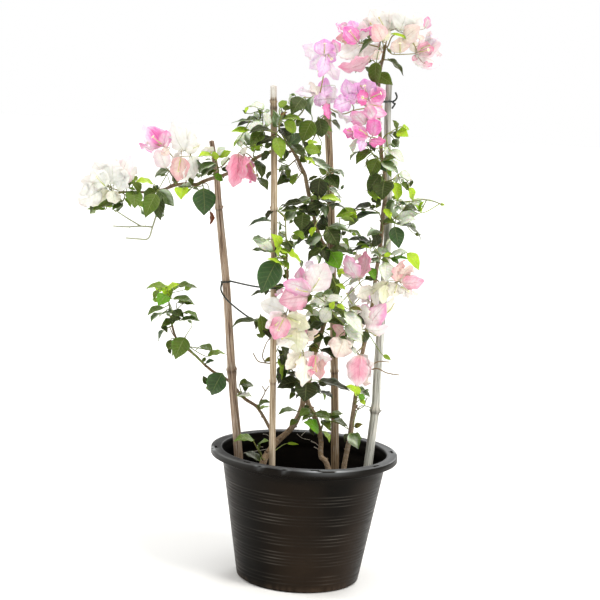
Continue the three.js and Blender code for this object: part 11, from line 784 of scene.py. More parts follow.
        ("X",(28.5,69,257.3),(57.6,75.7,241.9),(0.381,0.333,0.863),23.2,0.075,0.14,"LD",1,(24.9,64.5,260.1)),
        ("X",(20,75.8,254.5),(-2.7,86.4,240.7),(-0.227,0.552,0.802),18.1,0.077,0.09,"Ld",1,(24.7,72.5,257.9)),
        ("X",(28.2,77.5,252.4),(41.9,80.3,232.1),(0.767,0.312,0.56),16.4,0.053,0.1,"Lq",1,(27.4,82.5,251.6)),
        ("X",(24.9,84.4,249),(9.3,91.3,230.9),(-0.734,0.099,0.672),17.4,0.106,0.13,"Lq",1,(26.9,83,252.3)),
        ("X",(35.3,94.4,246.7),(55.1,112.2,244.6),(-0.083,0.212,0.974),16.9,0.107,0.08,"LD",1,(29.4,89.1,247.4)),
    ]),
    "leaf_shoot_low_left_base": ("l", [
        ("T",((-132,6.2,315.3),(-133.6,-0.4,317.7),(-136.6,-6.3,321.3),(-138,-12,326.1)),(1.49,1.28,1.18,1.03)),
        ("T",((-101.7,3.2,288.2),(-102.4,-0.9,292),(-105.8,-3.3,297.3),(-108,-5.7,303),(-109.4,-8,309.1)),(1.26,1.12,1.05,0.99,0.92)),
        ("T",((-75,-1,271.9),(-76.7,-2,277.8),(-72.1,-6,283.3)),(1.15,0.93,0.8)),
        ("J",((-126.1,4.8,311.7),(-121.8,4.5,308.3),(-116.7,4,303.2),(-113.5,3.8,300.1),(-109.4,3.3,296.1),(-106.2,3,292.9)),(1,1,1,1,1,1)),
        ("J",((-126.1,4.8,311.8),(-120.4,4.4,307.2),(-115.2,4,302.1),(-111.3,3.7,298.3),(-107,3.3,294.1),(-103.5,3,290.9),(-98.6,2.4,286.8),(-92.4,1.5,283.2),(-86.6,0.7,280.3),(-80.4,-0.2,277)),(1,1,1,1,1,1,1,1,1,1)),
        ("X",(-137.2,-14,328.1),(-153.7,-14,290.7),(-0.248,-0.963,0.109),34.5,0.1,0.26,"Lc",0,(-138,-12,326.1)),
        ("X",(-109.4,-10,310.3),(-87.4,6.8,306),(0.463,-0.402,0.79),19.7,0.1,0.24,"Lm",0,(-109.4,-8,309.1)),
        ("X",(-101.7,-6,311.7),(-99.8,-17,299.2),(0.348,-0.675,0.65),11.2,0.085,0.12,"Ld",0,(-106.7,-4.8,312.2)),
        ("X",(-78.8,-6,273.9),(-59.2,-19.6,287.5),(-0.639,-0.174,0.749),18.9,0.118,0.23,"Lm",0,(-76.7,-3.2,279.6)),
        ("X",(-111.4,-16,292.7),(-87.9,-32.7,296),(-0.226,-0.127,0.966),18.7,0.075,0.18,"Lp",0,(-106.3,-4.6,299.1)),
        ("X",(-77.6,-0.6,269.8),(-57.6,12,274),(-0.107,-0.041,0.993),16.9,0.051,0.1,"Lg",0,(-75,-1,271.9)),
        ("X",(-111.2,-3,291.8),(-99.4,-10.5,288.3),(-0.2,-0.655,0.729),7.2,0.117,0.24,"Lo",0,(-105,-2.9,295.2)),
        ("X",(-160.2,-7.6,307.1),(-168.8,-4.9,320.2),(0.015,-0.978,0.208),10.1,0.07,0.15,"Ld",0,(-133.6,-0.4,317.7)),
        ("X",(-161.6,-11.5,303.7),(-156.7,-7.5,296.2),(0.018,0.876,0.482),6,0.053,0.26,"Lm",1,(-136.6,-6.3,321.3)),
    ]),
    "leaf_shoot_low_left_mid": ("l", [
        ("T",((-224.7,8.5,394.7),(-229.8,5.1,392.5),(-234.7,2,389.3)),(1.26,1.02,0.92)),
        ("T",((-194.5,9.4,361.3),(-194.8,8.5,367.1),(-198.5,7.1,373.3),(-200.8,4,379.6)),(1.38,1.15,1.03,0.92)),
        ("B",((-196.8,20.6,365.1),(-198.8,32.7,363.7),(-200.5,45,363.1),(-202,57.2,363.3),(-203,69.5,364.3)),(1.25,1.2,1.13,1.06,0.98)),
        ("J",((-223.5,7,388),(-221,6.3,383.4),(-217.7,5.9,379),(-212.3,6,373.7),(-206.6,6.7,370),(-202.9,7.4,368.1),(-199,8.2,365.9)),(1,1,1,1,1,1,1)),
        ("X",(-200.1,-6,380.4),(-213.6,-16.6,346.7),(-0.118,-0.933,0.34),31.2,0.12,0.12,"LM",0,(-200.8,4,379.6)),
        ("X",(-238,0,396.7),(-228.1,-8.5,387.3),(0.078,-0.696,0.714),10.5,0.108,0.22,"Ld",0,(-233.3,3,390.9)),
        ("X",(-156.4,0,360.2),(-184.1,19.8,357.7),(-0.192,-0.147,0.97),21.1,0.2,0.15,"LM",0,(-194.2,9.7,363.4)),
        ("X",(-217.9,2,407.2),(-238,-9.1,396.4),(-0.155,-0.531,0.833),17.9,0.08,0.11,"Lm",0,(-224.7,8.5,394.7)),
        ("X",(-235.4,2,387.6),(-244.4,13.5,368.3),(-0.922,-0.295,0.252),17.3,0.083,0.18,"Lc",0,(-234.7,2,389.3)),
        ("X",(-165.9,2,339),(-151.3,-7,345.5),(-0.573,-0.43,0.698),11.4,0.114,0.17,"Lc",0,(-194.5,9.4,361.3)),
        ("X",(-163.3,2.5,350.5),(-133.4,10.9,354),(-0.047,-0.242,0.969),21.6,0.16,0.14,"Lg",0,(-196.7,8.2,364.8)),
        ("X",(-169.6,-3.9,342.2),(-166.3,1.5,349.6),(-0.018,-0.801,0.598),6.6,0.1,0.24,"Lm",0,(-197.9,8.1,364.3)),
        ("X",(-202.3,30.5,357.8),(-214.4,37.4,339.5),(-0.566,0.575,0.59),16.4,0.076,0.14,"Lm",1,(-198.1,24.6,365)),
        ("X",(-204.4,36.3,362.8),(-227.9,40.8,360),(-0.08,0.204,0.976),17,0.104,0.16,"Ld",1,(-200.5,40.8,363)),
        ("X",(-204.8,46.9,358.3),(-224.5,57.5,338.9),(-0.379,0.57,0.729),18.9,0.079,0.16,"Lg",1,(-204.8,45.6,363.3)),
        ("X",(-205.7,66.3,358.3),(-215.7,78.7,342.2),(-0.044,0.776,0.629),14.4,0.052,0.14,"Lm",1,(-202.3,61.3,363)),
        ("X",(-206.8,72.3,362.4),(-227.3,87,352.3),(0.128,0.675,0.726),18.8,0.073,0.2,"Lq",1,(-203,69.5,364.3)),
        ("X",(-226.3,44.8,367.3),(-227.3,42.9,347.8),(-0.177,-0.978,0.107),14.6,0.068,0.29,"Lm",0,(-202,57.2,363.3)),
        ("X",(-190.6,-5.1,404.3),(-197.8,-5.8,408.6),(0.164,0.894,0.418),6.1,0.061,0.21,"Lq",1,(-200.8,4,379.6)),
        ("X",(-204.4,-2,418.8),(-198.9,5.1,415.4),(0.205,0.128,0.97),7.3,0.106,0.22,"Ld",1,(-224.7,8.5,394.7)),
        ("X",(-228.5,33,353.5),(-224.5,27.9,346.3),(0.251,-0.718,0.649),6.6,0.108,0.13,"LD",1,(-200.5,45,363.1)),
    ]),
    "leaf_shoot_low_left_top": ("l", [
        ("T",((-223.6,10,411.7),(-222.1,10.1,415.2),(-226.1,10.1,421.5),(-228.9,9.7,428.2),(-229.9,8.5,435.5),(-231.2,7.9,442.7),(-233.2,8,449.8)),(1.72,1.51,1.43,1.35,1.25,1.15,1.03)),
        ("B",((-217.7,5.1,414.5),(-211.2,0.8,417.1),(-203.8,-2,419.1)),(1.08,1.01,0.92)),
        ("B",((-233.6,19.2,445.2),(-235.7,30.5,446.1),(-238.3,41.7,447.1),(-241.4,52.7,448.1),(-245.3,63.5,448.9),(-250.7,73.7,449.1),(-256.7,83.6,449.1)),(1.28,1.23,1.18,1.14,1.09,1.03,0.98)),
        ("X",(-232.5,-8,447.1),(-243.7,-24,431.1),(0.145,-0.75,0.645),22.9,0.117,0.19,"LG",0,(-231.6,7.4,445.1)),
        ("X",(-206.6,-8,419.8),(-179.8,-23.3,414.7),(0.107,-0.138,0.985),21.3,0.12,0.23,"LM",0,(-208.8,-0.6,417.4)),
        ("X",(-230.7,1.9,442.7),(-240.1,17.8,460.2),(0.138,-0.696,0.705),16.8,0.16,0.25,"Ly",0,(-232.8,7.4,447.4)),
        ("X",(-209.3,-6,407.3),(-176.6,-21.8,410.7),(-0.187,-0.179,0.966),24.5,0.08,0.24,"LM",0,(-215.7,3.2,415)),
        ("X",(-235.8,-4,426.4),(-260,-19.8,413.6),(-0.217,-0.392,0.894),20.8,0.14,0.15,"LM",0,(-228.8,8.7,430.6)),
        ("X",(-225.2,-4,420.5),(-202.1,-21.8,414),(-0.029,-0.377,0.926),21.2,0.098,0.19,"Ld",0,(-228.3,9.1,425.7)),
        ("X",(-231,-2,454.5),(-213.1,-14,466.6),(-0.69,-0.477,0.544),15.6,0.1,0.2,"Ly",0,(-230.8,6.6,452.7)),
        ("X",(-235.3,0,458.8),(-265.9,5.7,454.7),(-0.183,-0.317,0.931),20.1,0.1,0.23,"Lg",0,(-233.4,10,456.1)),
        ("X",(-222.5,0,440.2),(-186.3,0,433.5),(0.175,-0.3,0.938),23.6,0.12,0.19,"LM",0,(-231.1,7.5,440.2)),
        ("X",(-220.5,2,461),(-184.6,2,460.6),(0.009,-0.245,0.969),23.8,0.06,0.18,"Lm",0,(-231.9,8,447.6)),
        ("X",(-236.8,2,417.4),(-255.1,-17.1,404.7),(-0.409,-0.202,0.89),20.7,0.1,0.18,"Lq",0,(-227.8,10,423.4)),
        ("X",(-228.4,8.2,440.1),(-222.2,-3.8,457.6),(-0.817,-0.576,0.019),14.9,0.059,0.22,"Lg",0,(-230,8.9,438)),
        ("X",(-229.8,35,448.9),(-202.1,46.3,460.8),(-0.42,0.085,0.904),22.1,0.059,0.2,"LD",1,(-236,34.3,446.8)),
        ("X",(-233.7,43.8,448.9),(-212.6,57.5,458),(-0.49,0.187,0.851),18.7,0.077,0.21,"Ld",1,(-237.4,37.9,447.5)),
        ("X",(-240.9,51,443.8),(-243.4,58.6,421),(0.722,0.677,0.146),15.5,0.05,0.08,"Lg",1,(-239.8,49.2,447.5)),
        ("X",(-239.8,60,449.3),(-219.8,72.4,453.7),(-0.366,0.27,0.891),16.8,0.085,0.19,"Lg",1,(-242.2,56.5,448.7)),
        ("X",(-250.2,66.3,448.5),(-273.2,71.4,445.6),(-0.052,0.305,0.951),15.4,0.07,0.15,"Ld",1,(-247.6,66.7,449.2)),
        ("X",(-256.2,92.4,447.7),(-254.3,125.5,442.5),(-0.081,0.16,0.984),20.8,0.057,0.08,"Lm",1,(-256.7,83.6,449.1)),
        ("X",(-222.7,-13.2,420.5),(-244.6,5.3,411.3),(-0.406,-0.028,0.913),20,0.06,0.17,"Lq",0,(-229.9,8.5,435.5)),
        ("X",(-244.5,74.2,447.2),(-260.2,86.5,445.1),(-0.606,-0.761,-0.232),13.4,0.127,0.27,"Ly",0,(-250.7,73.7,449.1)),
        ("X",(-215.6,9.7,433.5),(-193.1,6.8,435.7),(-0.004,0.653,0.757),14.2,0.042,0.2,"Ld",0,(-214.4,2.9,415.8)),
        ("X",(-248.6,18,450.6),(-255.3,22.5,434.7),(-0.387,0.834,0.392),10.9,0.086,0.14,"Lg",0,(-237,36.1,446.6)),
        ("X",(-248.8,43.2,431),(-259.4,40.7,432.7),(0.14,-0.967,-0.211),8.5,0.06,0.08,"Lg",1,(-241.4,52.7,448.1)),
        ("X",(-226.5,-9.1,414),(-232.1,1,425.2),(-0.93,-0.356,-0.09),9.6,0.118,0.08,"Lq",0,(-214.4,2.9,415.8)),
        ("X",(-222.9,6.4,453.1),(-214.6,9.7,458.2),(-0.532,0.614,0.584),7.9,0.096,0.3,"Ly",1,(-233.6,19.2,445.2)),
        ("X",(-224,-6,412.7),(-207,-2,410),(0.184,-0.938,-0.294),11.6,0.067,0.09,"Ld",0,(-226.1,10.1,421.5)),
        ("X",(-206.5,24.9,453),(-194.5,26.6,458.1),(-0.088,-0.869,0.486),10.2,0.122,0.28,"Lg",0,(-233.6,19.2,445.2)),
        ("X",(-203.6,12.4,433.1),(-189.1,3.2,432.8),(-0.215,-0.271,0.938),12.6,0.043,0.14,"Lg",0,(-222.1,10.1,415.2)),
    ]),
    "leaf_shoot_low_right": ("l", [
        ("T",((72.4,5.3,231.9),(72.6,-0.3,233.8),(73.1,-5.4,238.2),(73.7,-11.5,240.5),(74.3,-18,242.2)),(1.26,1.16,1.12,1.07,1.03)),
        ("X",(70.8,-24,244.1),(85.4,-34.4,222.1),(0.08,-0.881,0.467),22.2,0.14,0.18,"Lq",0,(74.3,-18,242.2)),
        ("X",(69.5,-18,241.9),(62.8,-29.7,230.2),(-0.036,-0.695,0.718),12.3,0.105,0.22,"LD",0,(73,-9.3,240)),
        ("X",(75.3,-14.3,239.7),(89.5,-26.7,237.6),(-0.325,-0.599,0.732),12.4,0.116,0.12,"Lm",0,(74.4,-13.7,240.8)),
    ]),
    "leaf_shoot_mid_left": ("l", [
        ("T",((-35.1,-40.8,421.8),(-41.1,-44,421.5),(-47.3,-48,423.2),(-53.5,-52.2,424.5),(-59.5,-56.4,423.3),(-65.6,-60.1,421.3),(-72.3,-61.6,424.3),(-79.5,-62.1,425.8),(-86.9,-62,424.4)),(1.38,1.26,1.23,1.21,1.16,1.1,1.05,0.99,0.92)),
        ("X",(-79.5,-80,433.5),(-75.9,-84,398.4),(0.593,-0.791,0.15),21.7,0.073,0.25,"Lm",0,(-82,-62.5,425.6)),
        ("X",(-87.7,-74,423.6),(-125.9,-74,413.5),(-0.25,-0.191,0.949),26.3,0.08,0.22,"Ld",0,(-84.4,-62.5,424.6)),
        ("X",(-74,-75,415.1),(-62.7,-91,399.5),(0.359,-0.511,0.781),15.4,0.053,0.13,"LD",0,(-74.6,-62.3,425.1)),
        ("X",(-59.4,-46,361.5),(-71.5,-54.1,357.4),(0.332,-0.772,0.541),8.1,0.091,0.13,"Lo",0,(-37.1,-41.9,420.9)),
        ("X",(-76.4,-73.7,398.4),(-85.4,-77.1,404.2),(-0.015,0.875,0.483),7.7,0.047,0.11,"LD",1,(-65.6,-60.1,421.3)),
        ("X",(-89.6,-61.8,422.8),(-87.1,-66,408.7),(0.785,-0.539,0.306),11.6,0.097,0.26,"Ld",0,(-59.5,-56.4,423.3)),
    ]),
    "leaf_shoot_mid_pale": ("l", [
        ("T",((21,0,463.2),(21.1,-2.9,463),(21.2,-10.6,462.6),(21.3,-18.3,462.1),(21.5,-26,461.7),(21.6,-33.7,461.2),(21.7,-41.4,460.7),(21.9,-49.2,460.2),(22.2,-56.9,459.7),(22.5,-64.6,459.1),(23.3,-72.2,458.4),(24.9,-79.7,457.3),(27.3,-86.6,455),(26,-92,449.9)),(1.72,1.55,1.53,1.51,1.48,1.47,1.45,1.44,1.41,1.39,1.36,1.3,1.2,1.03)),
        ("B",((28.2,-72.4,459.5),(33.7,-76.8,460),(39.4,-81,459.3),(45,-84.6,456.9),(50.5,-88,453.9)),(1.3,1.22,1.13,1.02,0.92)),
        ("B",((27.8,-73.2,448.8),(29.8,-63.6,441.4),(32.3,-53.6,434.6),(35.8,-43.5,428.4),(40,-33.4,422.7)),(1.25,1.2,1.13,1.06,0.98)),
        ("B",((36,-45.2,429.4),(39.9,-35.4,423.9),(43.6,-25.2,419.2),(46.9,-14.6,415.2),(49.7,-3.6,411.7)),(1.25,1.2,1.13,1.06,0.98)),
        ("X",(-2.1,-100,471.8),(-24.7,-93.2,451),(-0.617,-0.638,0.461),21,0.08,0.17,"Lm",0,(25.9,-84.5,456.1)),
        ("X",(26.5,-98,453.9),(13.5,-80.7,428.1),(-0.516,-0.809,-0.282),23.7,0.08,0.21,"Lp",0,(27,-90.4,451.8)),
        ("X",(26.3,-100,453.6),(31.8,-106.5,465.4),(-0.503,-0.778,-0.378),10.2,0.07,0.17,"Ly",0,(24.1,-96.8,450.1)),
        ("X",(-17.2,-94,453.1),(0.2,-109,445.4),(0.08,-0.38,0.921),16.2,0.118,0.2,"Lm",0,(22.1,-67.2,458.5)),
        ("X",(35.4,-100,457.8),(50.5,-90.7,451.9),(0.539,-0.413,0.734),11.6,0.094,0.18,"Ly",0,(27.5,-92,452.9)),
        ("X",(24,-92,458.3),(-2.2,-79.1,460.5),(-0.245,-0.621,0.744),17.5,0.119,0.11,"Lp",0,(26.9,-88.7,453.8)),
        ("X",(47.7,-92,448),(79,-92,414.1),(0.558,-0.651,0.514),28.3,0.06,0.13,"Lp",0,(46.5,-86.1,455.6)),
        ("X",(18.9,-90,466.3),(47.9,-101.1,466.3),(-0.217,-0.564,0.797),19.4,0.1,0.12,"Lp",0,(25,-77.2,458)),
        ("X",(27.4,-86,452.9),(63,-86,425.5),(0.594,-0.24,0.768),30,0.06,0.22,"Lm",0,(26.5,-84.1,455.1)),
        ("X",(53.7,-86,452.2),(74.9,-98.7,452.1),(-0.108,-0.186,0.977),16.7,0.065,0.25,"Lo",0,(50.5,-88,453.9)),
        ("X",(50.7,-84,426),(80.1,-84,399.6),(0.354,-0.848,0.394),22.5,0.058,0.16,"Lp",0,(26,-92,449.9)),
        ("X",(14.1,-78,471.4),(36.5,-60.8,462.6),(0.575,-0.375,0.727),21.1,0.111,0.22,"Lq",0,(23.2,-74.7,457.7)),
        ("X",(54.6,-28.3,483.9),(75,-44.7,497.2),(-0.695,-0.357,0.625),19.4,0.067,0.22,"Lp",0,(22.4,-38.8,461.3)),
        ("X",(77.9,-60,496.2),(97,-48.8,495.9),(0.237,-0.385,0.892),15.1,0.051,0.25,"Lm",0,(41.4,-82.3,459.1)),
        ("X",(81.6,-56,514.7),(92.9,-72.8,497.8),(0.178,-0.635,0.752),16.5,0.099,0.19,"LG",0,(22,-15.7,462.7)),
        ("X",(26.7,-60.8,446.1),(17.4,-31.7,453.8),(0.166,-0.202,0.965),21.4,0.086,0.14,"LD",1,(28.5,-66.8,443.7)),
        ("X",(34.2,-58.5,441.2),(51.6,-43.7,445.8),(-0.411,0.208,0.887),14.8,0.051,0.19,"Lm",1,(29.3,-66.4,444.4)),
        ("X",(28.8,-49.2,437.8),(18.6,-24,443.5),(0.251,-0.117,0.961),17.9,0.068,0.13,"LD",1,(30.8,-56.9,436.7)),
        ("X",(30.7,-47.6,431.1),(14.3,-29.1,422.1),(0.189,0.561,0.806),18.2,0.106,0.2,"Lm",1,(34,-46.8,430.2)),
        ("X",(34.4,-50.6,435.5),(32.1,-28.2,455),(0.5,-0.539,0.678),20.4,0.055,0.15,"Lp",1,(37.9,-41.9,428)),
        ("X",(34,-31.8,428.4),(21.3,-5.9,432.9),(-0.101,-0.235,0.967),20.4,0.062,0.16,"Ld",1,(38.6,-38.3,426.4)),
        ("X",(34.6,-27.3,422.2),(17,-7.5,420.7),(0.136,0.194,0.972),18.7,0.083,0.09,"Lm",1,(40,-33.4,422.7)),
        ("X",(39.5,-39.8,422.2),(47.9,-43.2,393.9),(-0.345,0.914,-0.213),20.2,0.069,0.1,"Ld",1,(37.3,-42.3,426.9)),
        ("X",(37.2,-27.9,423.6),(22.6,-9.6,427.3),(0.295,0.047,0.954),16.2,0.109,0.16,"Lg",1,(39.3,-29.5,428.1)),
        ("X",(42.4,-26.3,412.4),(41.3,-21.6,384.3),(0.32,0.936,0.143),20.4,0.075,0.14,"LD",1,(42.9,-28.9,420.6)),
        ("X",(52.5,-24.1,416.7),(79.9,-28.3,406.9),(0.317,0.139,0.938),20.1,0.067,0.21,"LD",1,(45.2,-21.7,418.2)),
        ("X",(40.6,-9.7,416.4),(25,7,418.3),(0.209,0.083,0.974),16.1,0.052,0.12,"LD",1,(45.3,-18.1,416.2)),
        ("X",(49,-11.1,409.7),(55.5,-14.8,384),(-0.57,-0.821,-0.027),18.8,0.066,0.18,"Lm",1,(49.3,-7.5,412.7)),
        ("X",(54,-2.8,409.5),(81.8,2.5,395.1),(0.352,0.419,0.837),21.4,0.105,0.15,"Lm",1,(49.7,-3.6,411.7)),
        ("X",(-1.2,-77.7,449.5),(0.1,-71.9,467),(0.353,-0.896,0.271),11.1,0.101,0.14,"Lp",0,(24.9,-79.7,457.3)),
        ("X",(9.2,-75,450.9),(0.6,-82.7,452),(-0.252,0.41,0.876),7.6,0.124,0.14,"Lp",1,(28.5,-70,446.3)),
        ("X",(39.3,6.7,488),(33.7,8.4,506.3),(0.845,-0.445,0.298),14.1,0.062,0.26,"Lg",0,(21,0,463.2)),
        ("X",(29.6,-58.1,414),(22.2,-49,412.4),(-0.44,-0.276,0.855),8.4,0.114,0.24,"Lg",1,(35.8,-43.5,428.4)),
        ("X",(54,-21.3,421),(38.3,-12.7,428.5),(-0.508,-0.852,-0.125),13.3,0.062,0.28,"Lp",0,(48.3,-9.1,413.4)),
    ]),
    "leaf_shoot_mid_right": ("l", [
        ("T",((87.7,-3.9,410.5),(86.1,-10.7,411),(84.4,-18.3,412),(82.7,-25.9,413.1),(81,-33.5,414.3),(79,-41,415.6),(76.6,-48.2,417.5),(73.5,-54.8,420.4),(70.3,-60,425.2),(67.8,-62,432.4)),(1.61,1.41,1.38,1.35,1.31,1.26,1.22,1.14,1.05,0.92)),
        ("B",((64.6,-50.1,426.7),(57.6,-42.1,430.9),(50.9,-34,435.2),(44.5,-25.6,439.6),(38.5,-17.1,444),(33,-8.2,448.4),(28.2,1.3,452.7),(24.7,11.3,456.7),(21.3,21.5,460.6)),(1.29,1.25,1.22,1.18,1.14,1.1,1.07,1.02,0.98)),
        ("X",(43.7,-96,409.6),(54.5,-102.9,407.4),(-0.241,-0.615,0.751),6.5,0.113,0.26,"Ld",0,(68.2,-56.7,426.1)),
        ("X",(63.4,-78.5,395.4),(56.3,-89,381.1),(-0.463,-0.591,0.661),11.9,0.076,0.21,"Ld",0,(71.2,-58.7,423.1)),
        ("X",(65.2,-78,392.3),(70.3,-86,381.4),(0.062,-0.79,0.61),7.2,0.069,0.11,"Lp",0,(74.4,-52.9,418.8)),
        ("X",(68.2,-66,424.3),(77.9,-79.7,400.4),(0.771,-0.368,0.519),19.5,0.063,0.1,"Lo",0,(68.4,-61.8,429.7)),
        ("X",(78,-68,415.8),(87.4,-53.8,396.7),(0.489,-0.797,-0.354),16,0.11,0.14,"Ld",0,(69.8,-61.1,427.5)),
        ("X",(68.9,-62,440.3),(83.7,-46.6,423.1),(0.837,-0.441,0.324),18,0.091,0.13,"LD",0,(67.8,-62,432.4)),
        ("X",(55.8,-54,454.1),(69.8,-38.4,435.4),(0.846,-0.48,0.233),17.2,0.12,0.22,"Lp",0,(68.3,-60.9,430.1)),
        ("X",(41,-23.7,444.5),(21.5,-28.8,470.7),(0.805,-0.022,0.593),20.6,0.068,0.2,"LD",1,(46.1,-28.8,438.1)),
        ("X",(40.3,-13.6,441.1),(43.5,8.9,431.7),(0.163,0.361,0.918),17,0.071,0.09,"LD",1,(40.7,-19.5,442)),
        ("X",(36.7,-5.6,444.4),(49.6,20.4,428.4),(0.482,0.272,0.833),23.4,0.074,0.12,"LD",1,(35,-10.8,446.4)),
        ("X",(30.9,4.2,452),(46.1,34.1,450.8),(-0.192,0.136,0.972),21.6,0.077,0.2,"Lg",1,(30.2,-1.9,451.8)),
        ("X",(27.5,12.9,458.2),(40.6,29,469.5),(-0.124,-0.501,0.856),14.9,0.107,0.15,"LD",1,(26.2,7.9,455.9)),
        ("X",(22.2,22.8,467.2),(26.6,28.9,498.4),(0.185,0.959,-0.215),20,0.095,0.17,"Ld",1,(21.3,21.5,460.6)),
        ("X",(18.7,32.4,454.6),(-2.5,15.7,450.2),(-0.569,0.588,0.575),18.5,0.068,0.27,"Lp",0,(23,16.4,458.6)),
        ("X",(71.8,-50.9,417.1),(78.2,-44,412.7),(0.728,-0.683,-0.06),6.3,0.053,0.16,"Lq",1,(61.1,-46.1,428.8)),
        ("X",(115.4,-20,372.8),(128.4,-22,365.9),(0.2,-0.9,0.4),8,0.05,0.2,"Lg",0,(86.1,-10.7,411)),
    ]),
    "leaf_shoot_right_fan": ("l", [
        ("T",((101.1,-5.6,582.5),(99.9,-11.9,584.1),(98.8,-18.3,587.8),(97.5,-24.6,591.6),(95.9,-30.7,595.6),(92.1,-35.3,599.9),(85.9,-38.2,602.9),(78.9,-40.1,604.3),(71.5,-41.2,603.8),(64.1,-42,602.8)),(1.38,1.28,1.24,1.22,1.18,1.12,1.06,1.01,0.97,0.92)),
        ("T",((99.8,-4.5,550.2),(97.9,-11.8,550.2),(96.1,-19.2,550.2),(93.9,-26.5,550.2),(90.5,-33.2,550.1),(84.7,-38,549.7)),(1.38,1.24,1.21,1.17,1.12,1.03)),
        ("T",((101.1,-4.1,531.3),(103.3,-11.9,530.8),(105.4,-19.8,530.2),(108,-27.5,529.6),(113.3,-33.5,530),(120.4,-37.5,529.9),(128.1,-40,528.9)),(1.26,1.16,1.13,1.09,1.05,0.98,0.92)),
        ("B",((91.2,-3.4,548.2),(84.8,5.9,546.2),(78.9,15.4,543.8),(73.7,25.2,541),(69.9,35,536.7),(67,44.9,531.7)),(1.26,1.21,1.16,1.1,1.03,0.98)),
        ("B",((107,-15,533.2),(106.1,-3.7,536.7),(104.6,7.7,539.9),(102.4,19,542.7),(98.7,30.2,544),(94.1,41.1,544.4)),(1.26,1.22,1.16,1.1,1.05,0.98)),
        ("J",((100.8,-6.8,575.8),(100.6,-6.5,569.1),(100.3,-6.4,564.3),(99.9,-6.1,557.4)),(1,1,1,1)),
        ("J",((101.2,-6.9,575.7),(101.5,-6.7,570.6),(101.6,-6.5,564.2),(101.7,-6.3,559),(101.8,-6.1,551.9),(101.7,-5.9,544.6),(101.7,-5.7,538.9)),(1,1,1,1,1,1,1)),
        ("X",(108.7,-60,524.5),(109.5,-68.2,495.1),(0.186,-0.946,0.268),27.9,0.06,0.45,"Lp",0,(117.8,-36.6,530.2)),
        ("X",(82.7,-58,545.4),(68.4,-66.4,547),(0.292,-0.326,0.899),11,0.075,0.22,"Ly",0,(84.7,-38,549.7)),
        ("X",(56.2,-56,599.6),(50.5,-43.3,582.7),(-0.465,-0.776,-0.427),15.2,0.063,0.15,"Ly",0,(64.1,-42,602.8)),
        ("X",(87.8,-43.1,548),(52.1,-43.1,535.1),(-0.33,-0.261,0.907),23.5,0.04,0.24,"LD",0,(86.6,-36.4,549.2)),
        ("X",(105.3,-54,533),(117,-46.3,538.3),(0.282,-0.798,0.533),8,0.069,0.22,"Ly",0,(87.5,-37.8,548.4)),
        ("X",(82.5,-54,526.2),(100,-65,524.6),(-0.119,-0.333,0.935),14,0.12,0.19,"Lq",0,(77.5,-39.8,546.8)),
        ("X",(57,-47.5,601.2),(26.8,-47.5,588.6),(-0.305,-0.61,0.731),23,0.06,0.11,"Lg",0,(69.1,-42,603.5)),
        ("X",(84.7,-55,539.7),(98.8,-65.1,532.3),(0.303,-0.257,0.918),12.3,0.105,0.2,"Lq",0,(86.9,-41.7,548.8)),
        ("X",(81.3,-50,609.9),(50.5,-35.5,599.9),(-0.397,-0.237,0.887),24.7,0.1,0.13,"LD",0,(83.7,-39.4,603.4)),
        ("X",(84.2,-48.5,552.4),(45.2,-48.5,554),(0.041,-0.235,0.971),23.8,0.08,0.25,"LD",0,(87,-36.8,550.1)),
        ("X",(140.8,-50,540.1),(160.4,-50,513.9),(0.506,-0.776,0.378),22.9,0.12,0.23,"Ly",0,(128.1,-40,528.9)),
        ("X",(116.6,-50,529.3),(130.9,-40.8,521.3),(0.649,-0.505,0.569),13.3,0.101,0.21,"LG",0,(122.8,-38.8,529.3)),
        ("X",(93.7,-48,598.8),(44.1,-48,572.6),(-0.459,-0.181,0.87),30,0.14,0.15,"Lc",0,(90.3,-36.8,600.9)),
        ("X",(116.3,-48,536.1),(141.7,-58.5,543.4),(-0.39,-0.357,0.849),17.3,0.084,0.1,"Lp",0,(111.2,-31.9,530.2)),
        ("X",(100.5,-62.9,529.8),(112.9,-71.3,525.2),(-0.132,-0.621,0.772),7.8,0.092,0.24,"Lm",0,(86.7,-40.9,548.2)),
        ("X",(48.7,-38.5,601.7),(59.7,-46.3,595.9),(-0.309,-0.809,0.5),9.6,0.063,0.23,"Lm",0,(66.5,-41.2,603.1)),
        ("X",(84.2,-50.5,549.3),(60.4,-68,550.5),(0.116,-0.092,0.989),21.1,0.066,0.15,"Lm",0,(84.6,-41.6,550.6)),
        ("X",(113.2,-44.5,538.7),(84.1,-35.9,536.1),(-0.209,-0.447,0.87),19.5,0.04,0.22,"Lp",0,(125.7,-38.7,529.5)),
        ("X",(118.4,-46,529.8),(142.5,-58.2,530.9),(-0.108,-0.12,0.987),18.7,0.067,0.15,"LG",0,(121.5,-39.7,530.8)),
        ("X",(98.8,-44,569.9),(76,-61.7,563.2),(0.013,-0.367,0.93),19.2,0.119,0.13,"Lq",0,(99,-20.7,588.8)),
        ("X",(94.2,-38,547.1),(87.5,-53.7,570.1),(0.592,-0.736,-0.329),19.7,0.058,0.15,"LD",0,(91.6,-31,549.5)),
        ("X",(84.4,15,546.1),(100.6,30.8,552.9),(-0.597,0.293,0.747),15.2,0.052,0.22,"Ld",1,(80.9,12.4,545.3)),
        ("X",(73,20,548.3),(57.4,29.9,562.8),(0.718,0.124,0.685),16.3,0.056,0.13,"Lm",1,(76.6,18.5,543.2)),
        ("X",(76.7,30.7,540.2),(91.8,58.9,536),(0.375,-0.064,0.925),22.4,0.079,0.15,"Ld",1,(75.4,22.1,542.6)),
        ("X",(70,34.8,541.3),(64,53.8,556.7),(0.836,-0.165,0.524),16.3,0.067,0.19,"Ld",1,(71.1,31.9,538.7)),
        ("X",(70.5,48.3,533.2),(89.7,56,542.8),(0.024,-0.418,0.908),15.4,0.087,0.16,"LD",1,(67,44.9,531.7)),
